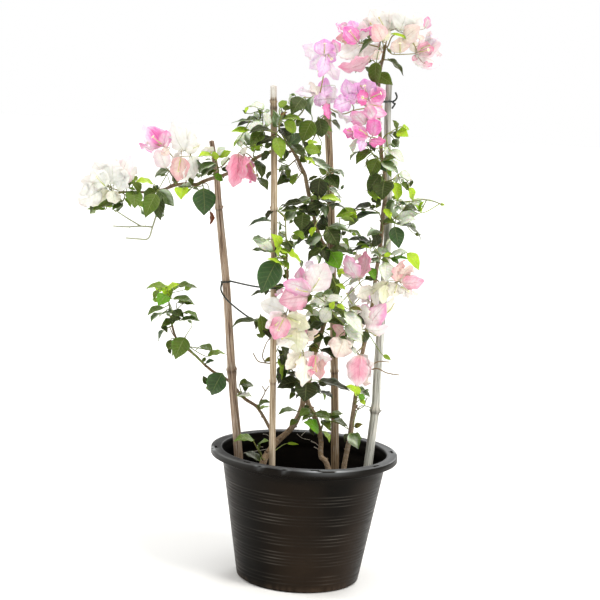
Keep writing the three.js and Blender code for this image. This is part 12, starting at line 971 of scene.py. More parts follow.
        ("X",(70.5,52.3,532.8),(80.7,73.7,536.1),(-0.217,-0.044,0.975),15.8,0.086,0.13,"Lq",1,(68.9,48.4,535.3)),
        ("X",(109.9,2.7,543.3),(126.8,10.4,564.4),(-0.795,0.281,0.537),17.9,0.066,0.13,"Lp",1,(106.2,0.1,538.1)),
        ("X",(100.5,11.4,546.2),(85.2,11.8,569.2),(0.469,0.832,0.296),18.9,0.077,0.09,"Lm",1,(103.3,11.3,541.1)),
        ("X",(97.2,27.1,549.3),(84.6,35.2,569.9),(0.845,0.389,0.367),16.7,0.078,0.13,"Lg",1,(99.9,26.4,544.2)),
        ("X",(102.6,37.8,538.8),(120.2,53.8,520.6),(-0.06,0.779,0.624),19.2,0.092,0.19,"Lq",1,(97.2,33.9,543.6)),
        ("X",(95.9,47.4,543.2),(102.2,69.9,539.1),(0.247,0.106,0.963),15.5,0.076,0.14,"LD",1,(94.1,41.1,544.4)),
        ("X",(51.9,39.2,530.5),(35.8,29.8,541.2),(0.381,-0.899,-0.218),16.1,0.072,0.2,"Lp",0,(69.9,35,536.7)),
        ("X",(94.3,-8.4,518.5),(85.8,-10.3,516.5),(-0.081,-0.523,0.849),5.4,0.045,0.18,"Lp",1,(107,-15,533.2)),
        ("X",(51.5,23.9,533.9),(60,18.9,525.7),(-0.33,-0.919,0.214),9.9,0.125,0.27,"Lq",1,(69.9,35,536.7)),
        ("X",(72.4,-39.5,600.8),(63.1,-41.5,603),(-0.041,0.834,0.551),6.4,0.128,0.21,"Lp",1,(71.5,-41.2,603.8)),
        ("X",(64.5,34.7,528.4),(60.4,41.6,521.8),(0.204,0.775,0.598),6.2,0.053,0.2,"Lg",1,(68.5,40,534.2)),
        ("X",(85.8,32.7,544.7),(81.2,32.2,555.5),(0.867,0.328,0.374),8.1,0.128,0.22,"Lq",1,(73.7,25.2,541)),
        ("X",(97.3,-14.6,532),(88.9,-15.2,527.2),(-0.377,-0.578,0.724),6.4,0.046,0.09,"Lq",1,(101.7,-5.7,538.9)),
        ("X",(130.7,-54.7,536.7),(140.7,-50.1,537.9),(-0.228,-0.248,0.942),7,0.129,0.3,"Lp",1,(120.4,-37.5,529.9)),
    ]),
    "leaf_shoot_right_low": ("l", [
        ("T",((103.6,-5.3,579.3),(106.1,-11.8,579.9),(108.5,-18.5,581.2),(111.1,-24.9,583),(114.5,-30.2,586.2),(118.7,-33,591.2),(123.9,-34.9,595.8),(130.1,-35.9,599.3),(136.8,-36.1,601.8),(143.7,-36,603.8)),(1.61,1.41,1.37,1.31,1.25,1.17,1.08,0.99,0.9,0.8)),
        ("T",((104.2,-6.1,609.3),(106.5,-13.1,610.7),(108.8,-20,613.2),(112.9,-26.2,613.6),(118.8,-30.5,611.2),(125.3,-33.7,612.8),(131.2,-35.5,617.4),(138.3,-36.9,619.8),(145.9,-37.8,620.4),(153.4,-38.9,621.9),(160.8,-40,623.8)),(1.26,1.14,1.1,1.05,1,0.94,0.9,0.85,0.79,0.75,0.69)),
        ("B",((168.8,-41.4,623.4),(176.7,-42.1,622.3),(184.5,-42,619.9),(192.1,-42,617.2)),(0.67,0.63,0.61,0.57)),
        ("B",((125.4,-23.5,595.6),(126.9,-12,594.8),(128.8,-0.6,593.4),(131.5,10.1,590.1),(135,20,585.1)),(1.25,1.2,1.13,1.06,0.98)),
        ("B",((131.1,5,598.2),(134.4,16.7,602),(137.4,28.5,605.3),(140,40.6,608.3),(142.2,53,610.2),(143.3,65.6,610.1),(144,78.3,609.2)),(1.28,1.23,1.18,1.14,1.09,1.03,0.98)),
        ("J",((104,-6.9,584),(103.8,-7.2,591.6),(103.8,-7.3,596.2),(104.1,-7.4,603.6)),(1,1,1,1)),
        ("X",(116.3,-50,619.6),(107.5,-33.4,598.4),(-0.839,-0.539,-0.076),19.1,0.06,0.17,"Lq",0,(133.5,-36.4,618)),
        ("X",(102.7,-41.5,606.6),(111.7,-53.2,591),(0.281,-0.683,0.674),14.3,0.068,0.14,"Ly",0,(116.6,-29.5,612.3)),
        ("X",(154.6,-46,605.2),(128.8,-63.2,606.6),(0.28,-0.346,0.896),20.3,0.16,0.24,"Ld",0,(166.1,-41,623.2)),
        ("X",(119,-46,579.8),(127.7,-54,546.8),(0.146,-0.952,0.269),24.8,0.06,0.1,"Lc",0,(120.9,-33.4,592.3)),
        ("X",(158.2,-41,603.5),(160.8,-52,622.3),(-0.968,-0.25,-0.009),13.9,0.108,0.19,"Ly",0,(143.7,-36,603.8)),
        ("X",(102.3,-44,588),(118.8,-57.1,586.2),(-0.361,-0.557,0.748),15.1,0.116,0.22,"Lm",0,(111.8,-27.2,583.8)),
        ("X",(159.1,-39,603.4),(142.8,-24.4,616.1),(0.389,-0.32,0.864),17.2,0.096,0.23,"Ly",0,(187,-41.7,618.8)),
        ("X",(121.3,-40.5,584.9),(165,-40.5,560.1),(0.485,-0.194,0.853),30,0.14,0.11,"Ld",0,(116.4,-30.9,587.4)),
        ("X",(125.3,-42,618),(134.5,-48.3,614.3),(-0.297,-0.768,0.568),5.9,0.104,0.12,"Lc",0,(126.7,-39.2,616.1)),
        ("X",(123.8,-40,594.4),(154.5,-40,600.8),(-0.067,-0.945,0.319),17.7,0.1,0.21,"Lp",0,(121.7,-34.5,594.7)),
        ("X",(118.2,-40,608.9),(128.9,-46.8,606.9),(-0.318,-0.688,0.652),6.4,0.119,0.24,"Lq",0,(120.8,-32.1,611.5)),
        ("X",(188,-36.7,617.8),(195.6,-38.7,616.8),(-0.2,-0.924,0.326),4.8,0.077,0.16,"Ly",0,(182,-41.7,620.9)),
        ("X",(126.6,-57.9,584.4),(149.6,-76.5,595.9),(-0.666,-0.462,0.586),18.6,0.12,0.2,"Lp",0,(115.6,-31.7,587.8)),
        ("X",(120.4,-30.2,613.2),(142.6,-15.3,615.4),(0.127,-0.424,0.897),17.9,0.055,0.24,"Lp",0,(120.9,-31.5,612.3)),
        ("X",(144.7,-28,618.8),(162.8,-43,614),(-0.352,-0.643,0.68),14.6,0.111,0.24,"Lp",0,(133.8,-35.6,617.9)),
        ("X",(145,-34,584.9),(154,-26.3,574.6),(0.716,-0.69,0.106),7.9,0.084,0.16,"Lq",0,(134.7,-36.4,600.6)),
        ("X",(131.4,-14,598.9),(154,-2.8,615),(-0.643,0.262,0.72),19.8,0.053,0.22,"LD",1,(126.4,-15.8,595.8)),
        ("X",(131.7,-8,594.4),(152.6,5.1,602.8),(-0.183,-0.214,0.96),18.1,0.097,0.09,"LD",1,(128.7,-4.6,593.6)),
        ("X",(138.7,8.1,597.1),(159.3,13.3,597.6),(-0.101,-0.25,0.963),16.1,0.076,0.13,"LD",1,(129.7,-0.8,597.7)),
        ("X",(137.7,5.3,593.5),(160.8,11.9,595.9),(-0.056,-0.161,0.985),15.4,0.105,0.09,"Lg",1,(130.2,2.9,592.6)),
        ("X",(135.3,8,587.1),(155.7,5.1,569.3),(0.655,-0.021,0.755),18.9,0.05,0.16,"Lm",1,(131.1,6.3,590.9)),
        ("X",(139.6,26.2,587.2),(159.1,51.8,595.6),(0.029,-0.333,0.942),21.5,0.096,0.2,"LD",1,(135,20,585.1)),
        ("X",(138.2,16.4,600.9),(151.4,32.3,590.2),(0.137,0.477,0.868),15.9,0.05,0.16,"Lg",1,(135.4,20.8,602.4)),
        ("X",(145.5,31.8,605.9),(168.2,38.1,606.6),(-0.03,-0.005,1),15.4,0.094,0.12,"Lg",1,(138.3,32.7,605.6)),
        ("X",(141.6,45.7,603.9),(146.9,62,589),(0.367,0.561,0.742),16,0.065,0.17,"Lq",1,(140.7,44.8,608.3)),
        ("X",(138.4,64.5,608.5),(120.8,80.9,601.2),(-0.373,0.012,0.928),17.5,0.106,0.09,"Lm",1,(142.4,61.5,609.8)),
        ("X",(149.7,70.6,608.3),(171.1,77.9,603.1),(0.013,0.559,0.829),15.5,0.1,0.21,"Lm",1,(143.5,69.8,609.2)),
        ("X",(149.5,84.6,608),(170.7,109,603.2),(-0.086,0.262,0.961),20.6,0.074,0.1,"Lm",1,(144,78.3,609.2)),
        ("X",(124.2,-1.8,587.8),(115,-4,600.8),(0.27,0.901,0.34),11.9,0.12,0.25,"Lp",0,(132.2,8.9,599.5)),
        ("X",(123.6,-39.8,608.4),(114.6,-39.7,600.6),(-0.316,-0.884,0.344),7.1,0.077,0.11,"Lp",1,(125.3,-33.7,612.8)),
        ("X",(129.5,19.1,583.8),(120.5,14.8,588.8),(0.224,0.497,0.838),8.4,0.046,0.28,"Lp",1,(131.5,10.1,590.1)),
        ("X",(115.3,-31.3,620.3),(116.9,-36.3,627.8),(0.636,0.683,0.36),7.1,0.077,0.16,"Ly",1,(108.8,-20,613.2)),
        ("X",(133.4,7.6,608.8),(128.7,3.5,600),(-0.361,-0.743,0.563),6.4,0.068,0.18,"Lp",1,(133.3,12.8,600.7)),
        ("X",(155.9,20.2,564.2),(165.5,19,563.8),(-0.16,-0.963,-0.217),6,0.093,0.17,"Lm",1,(135,20,585.1)),
        ("X",(151.8,-12,622),(192.8,-14,616.6),(0.1,-0.6,0.79),6,0.05,0.2,"Lp",0,(145.9,-37.8,620.4)),
    ]),
    "leaf_shoot_right_mid": ("l", [
        ("T",((102.1,-5.1,645.8),(101.6,-13.4,646.5),(101.1,-21.6,647.6),(100.4,-29.9,648.8),(99.3,-38,650.4)),(1.61,1.4,1.35,1.25,1.15)),
        ("B",((104.1,-12.4,646.6),(106.2,-19.7,647.4),(108.9,-26.6,648.9),(113.2,-31.5,652.6),(119.3,-34.9,655.5),(126.5,-37.2,655.8),(132.8,-38.9,652.4),(137.5,-40,646.5)),(1.44,1.38,1.31,1.22,1.12,1.02,0.91,0.8)),
        ("T",((102,-6,618.6),(99.4,-13.5,618.6),(96.9,-21.1,618.5),(93.5,-28.2,617.6),(88.5,-34,615.3)),(1.15,1.05,1.02,0.98,0.92)),
        ("B",((90.6,-21.5,618.7),(91.7,-10.1,621.4),(92.9,1.5,623.5),(94.2,13.1,624.7),(95.8,24.6,623.5),(97.4,36,620.9)),(1.26,1.22,1.16,1.1,1.05,0.98)),
        ("J",((102.3,-6.9,638.1),(102.2,-7.1,632.5),(102,-7.3,625.3)),(1,1,1)),
        ("X",(98.6,-56,649.9),(95.5,-78,622.8),(-0.234,-0.742,0.628),34.9,0.06,0.12,"Ld",0,(99.3,-38,650.4)),
        ("X",(92.1,-50.5,659.2),(73.1,-50.5,628.8),(-0.469,-0.834,0.292),23.2,0.06,0.25,"Ld",0,(99.1,-35.2,650.2)),
        ("X",(84.6,-48,620),(95.5,-58.7,612.1),(-0.108,-0.656,0.747),11.7,0.097,0.23,"Ld",0,(88.5,-34,615.3)),
        ("X",(79.8,-46,635.8),(88,-60.6,619.5),(-0.066,-0.76,0.647),16.7,0.063,0.2,"Lg",0,(99.6,-35.4,649.2)),
        ("X",(124.9,-44,646.8),(139.5,-33.1,634.5),(0.74,-0.539,0.403),14.9,0.105,0.24,"Lm",0,(121.9,-35.3,655.1)),
        ("X",(95,-44,616.4),(87.6,-51.6,606.5),(0.034,-0.805,0.592),8,0.072,0.12,"Lm",0,(91.8,-30.2,617.4)),
        ("X",(113.3,-42,647.6),(123.5,-32.7,618),(0.707,-0.707,0.021),22.9,0.08,0.19,"Ly",0,(116.9,-34.1,655)),
        ("X",(121,-42,661.2),(142.8,-24.8,650.5),(0.673,-0.55,0.495),17.9,0.14,0.17,"Lp",0,(121.4,-36.2,655.5)),
        ("X",(137.9,-40,640.3),(145.6,-24.9,620.2),(0.816,-0.567,-0.116),16.6,0.1,0.13,"Ly",0,(137.5,-40,646.5)),
        ("X",(88.9,-40,629.7),(96.1,-32.9,619.5),(0.475,-0.842,-0.255),7.2,0.075,0.19,"Ly",0,(100.6,-32.7,649)),
        ("X",(142.9,-34.5,651.9),(139.3,-41.4,641.3),(-0.234,-0.777,0.584),6.6,0.081,0.14,"Ld",0,(134.7,-39.2,650.8)),
        ("X",(89.8,-10.9,629.1),(84.8,-2.9,656.6),(-0.977,-0.172,-0.128),20.2,0.11,0.1,"Lm",1,(91.3,-14.1,621.2)),
        ("X",(90.5,-11.1,628.2),(83.8,2.3,655.3),(0.829,-0.392,0.398),21.1,0.051,0.16,"LD",1,(101,-9.6,623.4)),
        ("X",(89,5.5,624.6),(71.6,21.4,629.3),(0.194,-0.076,0.978),15.4,0.054,0.15,"Ld",1,(92.8,5.4,624.2)),
        ("X",(97.7,32.1,629.9),(103.1,47.6,653.9),(0.135,-0.845,0.517),20.5,0.07,0.16,"LM",1,(96.8,28.4,622.9)),
        ("X",(101.5,39.5,624.1),(117.5,53.1,636.5),(-0.668,0.117,0.735),15.8,0.092,0.15,"Lm",1,(97.4,36,620.9)),
        ("X",(118,-40.1,647.2),(120.6,-29.3,662.1),(-0.496,-0.61,0.618),10.1,0.088,0.08,"Lp",0,(108.9,-26.6,648.9)),
        ("X",(89.3,-12.5,607.5),(79.6,-10.6,603.4),(-0.314,-0.909,0.274),7.4,0.057,0.27,"Ld",1,(98.2,-17.3,618.5)),
        ("X",(84.1,11.6,618.9),(85.6,7.7,610.8),(0.019,-0.894,0.447),5.2,0.054,0.29,"Lm",1,(95,18.9,624.1)),
        ("X",(125.3,-25.3,653.2),(130.5,-24.2,645.4),(0.513,-0.828,0.227),6.6,0.091,0.23,"Lp",1,(101.8,-9.2,646.1)),
    ]),
    "leaf_shoot_right_top": ("l", [
        ("T",((93.5,-4,694.8),(93.5,-9.3,698.6),(93.2,-13.6,705.1),(93.6,-18.8,710.9),(95.5,-23.7,716.6),(100,-27.6,721.5),(106.8,-30.1,724.2),(114.2,-32,726)),(1.84,1.56,1.44,1.35,1.24,1.12,1.01,0.92)),
        ("T",((93.3,-3.9,682.1),(90.2,-10.9,682.3),(87,-17.8,683.2),(83.1,-23.7,685.8),(78.7,-28.1,690.3),(74.2,-32,695.1)),(1.26,1.12,1.07,1.01,0.97,0.92)),
        ("T",((100.6,-5,661),(101.3,-11.7,664),(101.3,-17.7,669.1),(100.4,-23.2,674.8),(98.6,-28,680.8)),(1.26,1.12,1.06,0.99,0.92)),
        ("B",((95.7,-14.2,673.3),(91.7,-3.6,670.1),(88.1,7.3,667.5),(85.2,18.4,665.1),(83.4,29.8,663.1),(82.5,41.3,661.2)),(1.26,1.22,1.16,1.1,1.05,0.98)),
        ("B",((87.7,12.6,668.6),(85.2,24.8,667.8),(83,37,666.5),(81.2,49.1,664.2),(80.2,60.7,659.8),(79.7,71.7,654.1)),(1.26,1.21,1.16,1.1,1.03,0.98)),
        ("J",((93,-4.9,689.9),(92.9,-5.2,688.5)),(1,1)),
        ("J",((94.4,-5,689.7),(95.7,-5.2,682.6),(96.9,-5.3,677),(98.1,-5.5,672.1),(99.6,-5.7,665.8)),(1,1,1,1,1)),
        ("X",(91.5,-54,677.9),(119.3,-54,665.6),(0.251,-0.783,0.569),17.4,0.08,0.17,"Lq",0,(75.5,-31,693.1)),
        ("X",(86.7,-50,683.6),(77.2,-39.6,656.2),(-0.385,-0.899,-0.207),24,0.06,0.2,"Lm",0,(79.9,-39.9,689.1)),
        ("X",(74.4,-48,696.6),(52.3,-59.4,674.4),(-0.38,-0.614,0.692),21.1,0.08,0.18,"Lm",0,(74.2,-32,695.1)),
        ("X",(94.7,-46,681.5),(113.9,-58.2,686.3),(-0.482,-0.471,0.738),15.3,0.106,0.13,"Lm",0,(81.9,-25.6,687.1)),
        ("X",(54.2,-44,712.2),(47.5,-58.5,689.4),(-0.752,-0.435,0.496),19.8,0.1,0.16,"Lp",0,(75.4,-30.2,693.7)),
        ("X",(99.8,-41,678.5),(119.5,-53.6,674.1),(-0.084,-0.441,0.894),16.8,0.066,0.14,"Lp",0,(98.6,-28,680.8)),
        ("X",(87.6,-42.5,674.7),(100,-54.8,665.3),(-0.297,-0.75,0.591),12.9,0.084,0.16,"Lc",0,(86.1,-20.1,683.8)),
        ("X",(58.5,-42,693.1),(42.1,-55.1,678.9),(-0.568,-0.161,0.807),16.3,0.073,0.19,"Lq",0,(76.8,-29.2,691.6)),
        ("X",(68.5,-40,707.5),(81.9,-54.4,695),(0.174,-0.549,0.818),14.4,0.051,0.12,"LD",0,(77.4,-29.1,692.3)),
        ("X",(95.3,-40,699.8),(107.7,-26.8,686),(0.757,-0.651,0.053),13.7,0.053,0.19,"Lp",0,(79.3,-33,695.6)),
        ("X",(103.6,-40,667),(108.6,-47.5,656.1),(-0.021,-0.827,0.561),7.2,0.11,0.17,"Lg",0,(99.2,-26.8,678.4)),
        ("X",(107.2,-38,722),(119.6,-29.9,715.4),(0.634,-0.685,0.359),10.8,0.095,0.17,"Lm",0,(104.5,-29.7,722.9)),
        ("X",(115.4,-36,727.7),(130.6,-49.3,720.6),(-0.44,-0.761,0.476),19.2,0.1,0.17,"Ly",0,(114.2,-32,726)),
        ("X",(105,-36,696.3),(128.7,-36,678.3),(0.331,-0.837,0.436),18.6,0.1,0.19,"Lp",0,(97.4,-25,717.7)),
        ("X",(114.7,-34,727.6),(106.2,-44.6,743.6),(0.863,-0.486,0.138),14.7,0.056,0.14,"Lm",0,(111.6,-31.4,725.9)),
        ("X",(110.3,-31,714.2),(117.5,-42.2,701.9),(-0.127,-0.769,0.626),12.8,0.068,0.19,"Lq",0,(102.5,-28.4,721.8)),
        ("X",(87.6,2.2,660.8),(79.2,7.6,635.7),(0.473,0.881,0.033),18.1,0.057,0.14,"Lp",1,(90.5,-0.1,668.6)),
        ("X",(83.8,25.9,657.3),(82.8,32.1,634.6),(0.719,0.677,0.153),15.7,0.067,0.18,"Lm",1,(84.5,26,663.4)),
        ("X",(83.8,43.5,656.3),(89.7,53.3,635),(0.012,0.907,0.421),16.1,0.083,0.12,"Lm",1,(82.5,41.3,661.2)),
        ("X",(85.9,24.7,663.5),(88.2,37.9,633.6),(-0.659,0.706,0.26),22.9,0.051,0.13,"Lm",1,(86.9,16.6,667.6)),
        ("X",(90.2,33.8,669.7),(115.6,46.5,680.1),(-0.425,0.113,0.898),19.4,0.068,0.11,"Lm",1,(85,29,667.7)),
        ("X",(89.2,42.3,664.2),(110.1,53.6,657.4),(0.056,0.432,0.9),16.3,0.086,0.19,"LD",1,(82.4,40.9,665.1)),
        ("X",(84.5,50.9,657.1),(92.9,59.2,634.5),(0.846,0.315,0.43),16.5,0.062,0.13,"Lq",1,(85.6,46.7,663.6)),
        ("X",(85,58.3,663.8),(106.5,75.7,670.5),(-0.06,-0.292,0.954),18.8,0.103,0.21,"Lg",1,(80.5,57,661.8)),
        ("X",(82.1,68.2,660.9),(93.7,96.4,675.7),(-0.059,-0.443,0.894),23.3,0.102,0.21,"Lq",1,(80.5,64.5,658.2)),
        ("X",(80.1,79.1,656.2),(81.3,102.5,662.8),(0.316,-0.273,0.908),16.1,0.103,0.19,"Lq",1,(79.7,71.7,654.1)),
        ("X",(108.8,-7,669.6),(121.6,-7.7,660.4),(0.344,0.843,0.413),9.4,0.118,0.27,"Lq",0,(101.3,-11.7,664)),
        ("X",(106.2,-13.5,705),(117.3,-2.8,703),(0.69,-0.658,0.302),9.9,0.086,0.12,"Lq",0,(92.9,-5.2,688.5)),
        ("X",(121.5,-45.5,734.2),(132.6,-36,729.8),(0.617,-0.391,0.683),11.7,0.056,0.17,"Ly",0,(100,-27.6,721.5)),
        ("X",(111.2,-9.6,663.4),(119.2,-10.5,670.4),(-0.349,-0.889,0.298),7.7,0.127,0.15,"Lq",1,(100.6,-5,661)),
        ("X",(70.5,-18.4,680.5),(65.6,-28.7,665.9),(0.919,0.317,-0.235),10.7,0.119,0.11,"LD",0,(78.7,-28.1,690.3)),
        ("X",(90.7,-18.5,683.8),(84.9,-13,698.7),(0.936,0.016,0.353),10,0.082,0.11,"Lm",0,(93.3,-3.9,682.1)),
    ]),
    "leaf_shoot_stem_right": ("l", [
        ("T",((76.4,1.4,287.4),(76.7,-1.7,290.8),(77.2,-1.6,298.3),(77.8,-5.4,304.2),(78.4,-12,307.9)),(1.77,1.5,1.39,1.26,1.13)),
        ("T",((79.2,4,275.8),(82,1.3,279),(84.7,-1,284.5),(90.1,-5.2,286.3),(96,-9,286.7),(102.2,-12,284.9)),(1.13,1,0.94,0.88,0.84,0.76)),
        ("J",((78.2,1.2,282.7),(78.5,1.6,281.4)),(1,1)),
        ("X",(76.4,-26,307.2),(58.4,-42.6,323.8),(0.789,-0.358,0.498),19.6,0.12,0.25,"Ly",0,(78.4,-12,307.9)),
        ("X",(79.7,-24,306.2),(92.3,-16.3,300.6),(0.578,-0.791,0.201),9.8,0.053,0.18,"LG",0,(78.3,-7.9,305)),
        ("X",(79,-22,306.6),(76.7,-11.8,321.5),(0.575,-0.632,0.519),11.6,0.076,0.19,"Ly",0,(83.8,-18.2,306.8)),
        ("X",(84.5,-15,298.3),(92.6,-22.2,291.2),(-0.155,-0.775,0.613),8.2,0.093,0.17,"Ly",0,(77.2,-4.6,301.9)),
        ("X",(81,-12,317.7),(91.2,-5.1,310.5),(0.59,-0.805,0.062),7.4,0.075,0.13,"Lq",0,(78.8,-9.8,306.6)),
        ("X",(77.9,-8,252.5),(90.1,-16.1,259),(-0.612,-0.765,0.2),9.1,0.096,0.11,"Lo",0,(80.2,2.7,276.5)),
        ("X",(85,-1,309.4),(99.5,-11.5,302.5),(-0.039,-0.587,0.808),11.9,0.097,0.17,"Lq",0,(78.3,-4.2,302.3)),
        ("X",(96.1,-7.2,311.7),(89.9,-13.7,315.2),(0.235,0.317,0.919),6.9,0.109,0.2,"Lq",1,(76.4,1.4,287.4)),
        ("X",(92.7,-5.3,288.8),(99.2,-2.4,302.9),(-0.897,-0.076,0.435),9,0.107,0.17,"Lq",0,(79.2,4,275.8)),
    ]),
    "leaf_shoot_top": ("l", [
        ("T",((85.2,-3,834.6),(83,-8.3,832.6),(80.2,-13.1,829),(77.7,-17.6,825),(77.9,-19.3,818.8),(79,-20,812.4)),(1.72,1.44,1.31,1.22,1.13,1.03)),
        ("B",((89,-6.9,834.8),(92.9,-10.7,834.9),(96.6,-14.4,834),(100.3,-18,832)),(1.2,1.12,1.02,0.92)),
        ("T",((87.3,-3.4,849.2),(85.9,-8.5,851.4),(85.3,-12.7,856.5),(84.1,-17.2,861.2),(81,-22,864.5)),(1.26,1.13,1.07,1.01,0.92)),
        ("B",((74.5,-11.8,867.5),(67.8,-1.6,870.2),(60.7,8.4,872.6),(53.1,18.2,874.2),(44.6,27.2,873.7),(35.6,35.7,872)),(1.26,1.22,1.16,1.1,1.05,0.98)),
        ("J",((85.4,-4.5,839.3),(86.1,-4.6,844.2)),(1,1)),
        ("X",(69.4,-13,832.6),(43.5,-13,813.6),(-0.483,-0.58,0.656),19.9,0.14,0.26,"Lm",0,(77.9,-16.1,826.7)),
        ("X",(75.2,-46,830.3),(76.1,-46,791.3),(-0.548,-0.837,-0.013),24.6,0.06,0.15,"Lm",0,(81,-22,864.5)),
        ("X",(79.7,-22,810.9),(102.3,-38.9,797.6),(-0.339,-0.818,0.465),21.8,0.1,0.1,"Lm",0,(79,-20,812.4)),
        ("X",(94.5,-20,836.3),(120,-20,812.4),(0.614,-0.437,0.657),21.5,0.05,0.23,"Ld",0,(95,-13.6,834.6)),
        ("X",(83.4,-16,806.5),(85.3,-21.6,797.3),(0.087,-0.84,0.536),6.4,0.085,0.14,"Lo",0,(79.6,-20.5,812.2)),
        ("X",(92,-2,851.7),(100.4,4,846.1),(0.569,-0.822,-0.02),5.9,0.057,0.22,"Lq",0,(88.4,-5.7,835)),
        ("X",(65.6,-4,877.9),(61.2,-3.5,899.9),(-0.258,0.965,-0.053),15.3,0.063,0.19,"Ld",1,(64.9,1.3,871.2)),
        ("X",(58.3,2.8,872.9),(25.9,-1.3,880.3),(0.144,0.457,0.878),21.5,0.052,0.12,"Lg",1,(62.6,4.8,871.4)),
        ("X",(61.6,14.6,876.3),(70.3,32.5,890.1),(-0.317,-0.475,0.821),17,0.1,0.15,"LD",1,(58.6,11.9,873.5)),
        ("X",(56.3,20.9,872.9),(64.5,41.1,868),(0.053,0.215,0.975),15.7,0.082,0.1,"Ld",1,(57.4,17.3,877.1)),
        ("X",(42.7,19,871.9),(24,7.2,864.8),(-0.175,-0.289,0.941),16.1,0.091,0.15,"Lq",1,(47.1,23.9,873.5)),
        ("X",(39.6,32.6,865.6),(32.2,41.4,844.2),(-0.884,0.236,0.403),16.7,0.064,0.21,"LD",1,(41.7,30.1,872.6)),
        ("X",(31.2,36.3,870.6),(10.3,39,863.9),(-0.32,-0.22,0.922),14.8,0.066,0.09,"Ld",1,(35.6,35.7,872)),
        ("X",(52.3,1.9,859.6),(65,-8.4,861.8),(-0.56,-0.405,0.723),11.4,0.048,0.26,"Lq",0,(58.2,11.7,873.1)),
        ("X",(69.8,-28.7,815.7),(58.9,-24.8,821.9),(-0.129,-0.929,0.347),8.6,0.07,0.12,"Lq",1,(79,-20,812.4)),
        ("X",(78.8,-34,867.2),(47.8,-46,840.9),(-0.25,-0.66,0.7),13,0.16,0.35,"Lq",0,(81,-22,864.5)),
        ("X",(93.9,-30,874.2),(128.1,-38,862.3),(0.2,-0.6,0.77),8,0.12,0.3,"Ly",0,(81,-22,864.5)),
    ]),
    "leaf_shoot_under_bracts": ("l", [
        ("T",((-8.1,-3.9,296.5),(-9,-10.3,297.5),(-10.2,-17.2,300.4),(-11.3,-24,303.5),(-12.3,-30.5,307.2),(-12.7,-36.4,311.8),(-12.7,-41.5,317.4),(-13.2,-46,323.4),(-15.9,-49.3,329.6),(-19.5,-51.6,335.8),(-23.5,-53.6,342),(-27.6,-55.1,348.1),(-31.3,-56.2,354.6),(-34.7,-56.9,361.3),(-37.9,-57.5,368.1),(-41.1,-58,374.9)),(1.95,1.76,1.7,1.67,1.62,1.56,1.51,1.44,1.36,1.28,1.21,1.14,1.08,1.02,0.98,0.92)),
        ("T",((-5.4,-3.8,305.2),(-2.2,-8.5,306.7),(0.8,-13.8,310.7),(3.7,-19.1,314.7),(6.8,-24.4,318.7),(10.1,-29.6,322.5),(13.9,-34.8,325.9),(18,-40,329)),(1.38,1.21,1.17,1.14,1.1,1.06,0.99,0.92)),
        ("B",((-30.8,-46.9,368),(-25.4,-36.7,371.7),(-19.7,-26.7,375.7),(-13.7,-17.1,380),(-7.5,-7.7,384.5),(-0.5,1,389.2),(7.3,8.8,394.3),(15.4,16.3,399.4)),(1.28,1.24,1.2,1.16,1.12,1.08,1.02,0.98)),
        ("J",((-6.5,-5.3,300.1),(-6.1,-5.3,300.9)),(1,1)),
        ("X",(-4.2,-71.9,332),(-4.8,-85.3,303.6),(0.238,-0.881,0.409),39.3,0.1,0.25,"LD",0,(-20.4,-52.8,338)),
        ("X",(-33,-64,343.9),(-15.4,-75.5,338.4),(0.026,-0.404,0.915),13.4,0.095,0.14,"LD",0,(-30.2,-56.4,352.2)),
        ("X",(-15.1,-62,330.3),(-48.8,-62,318),(-0.251,-0.682,0.687),25.5,0.107,0.2,"LD",0,(-16.6,-50.6,331.7)),
        ("X",(-50.6,-62,365.5),(-41.7,-62,331.2),(0.936,-0.255,0.243),22.9,0.053,0.14,"Lg",0,(-40.4,-57.4,372.5)),
        ("X",(-21.2,-60,312.9),(-28.3,-68.6,302.2),(-0.002,-0.779,0.627),8.9,0.117,0.13,"Lm",0,(-13.5,-47.6,325.4)),
        ("X",(-34.4,-56,367),(-46.1,-71.4,386.3),(0.863,-0.487,0.135),18.2,0.054,0.12,"Ld",0,(-36.3,-57.2,366.1)),
        ("X",(0.9,-56,324.6),(20.6,-39.6,311.4),(0.73,-0.526,0.437),18.2,0.115,0.2,"LD",0,(-17,-49.4,332)),
        ("X",(-33.7,-52,353.7),(-47.7,-52,322.6),(-0.674,-0.674,0.303),23.9,0.069,0.24,"LD",0,(-33,-56.5,356.6)),
        ("X",(16.2,-55,332.4),(66.5,-55,317.8),(0.271,-0.231,0.934),30,0.04,0.24,"LD",0,(-15.5,-54.3,329.7)),
        ("X",(-39.9,-46.5,350.7),(-49.9,-58.8,379.2),(0.863,-0.498,0.087),20.9,0.069,0.18,"Ld",0,(-26.7,-54.1,345.9)),
        ("X",(-28,-44,360.6),(-33,-25.4,333),(-0.808,-0.547,-0.22),20.8,0.114,0.26,"Ld",0,(-33.4,-53.1,363.3)),
        ("X",(18.8,-44,313.8),(39.5,-61.5,307.2),(0.181,-0.152,0.972),17.8,0.055,0.17,"LD",0,(11.2,-31.7,323.2)),
        ("X",(20.5,-40,313.1),(26.7,-49.7,300.1),(0.801,-0.226,0.554),12,0.1,0.26,"Lg",0,(11.9,-31,323.5)),
        ("X",(-19.3,-33.8,379.6),(-2.2,-33.5,406.9),(-0.848,-0.012,0.53),22.3,0.097,0.22,"Lm",1,(-23,-33.8,373.3)),
        ("X",(-12.7,-10,379.9),(-17.1,17.1,371.8),(0.048,0.293,0.955),18,0.083,0.1,"Lm",1,(-12.1,-13.8,381.9)),
        ("X",(-1,-7.3,387.3),(21.5,-10.3,396.4),(-0.271,0.483,0.833),17,0.076,0.11,"Ld",1,(-4.7,-5.2,386.2)),
        ("X",(0.5,3.3,395.4),(1.1,11.1,427.2),(0.939,0.33,-0.1),22.2,0.066,0.19,"Lm",1,(2.5,3.1,391.1)),
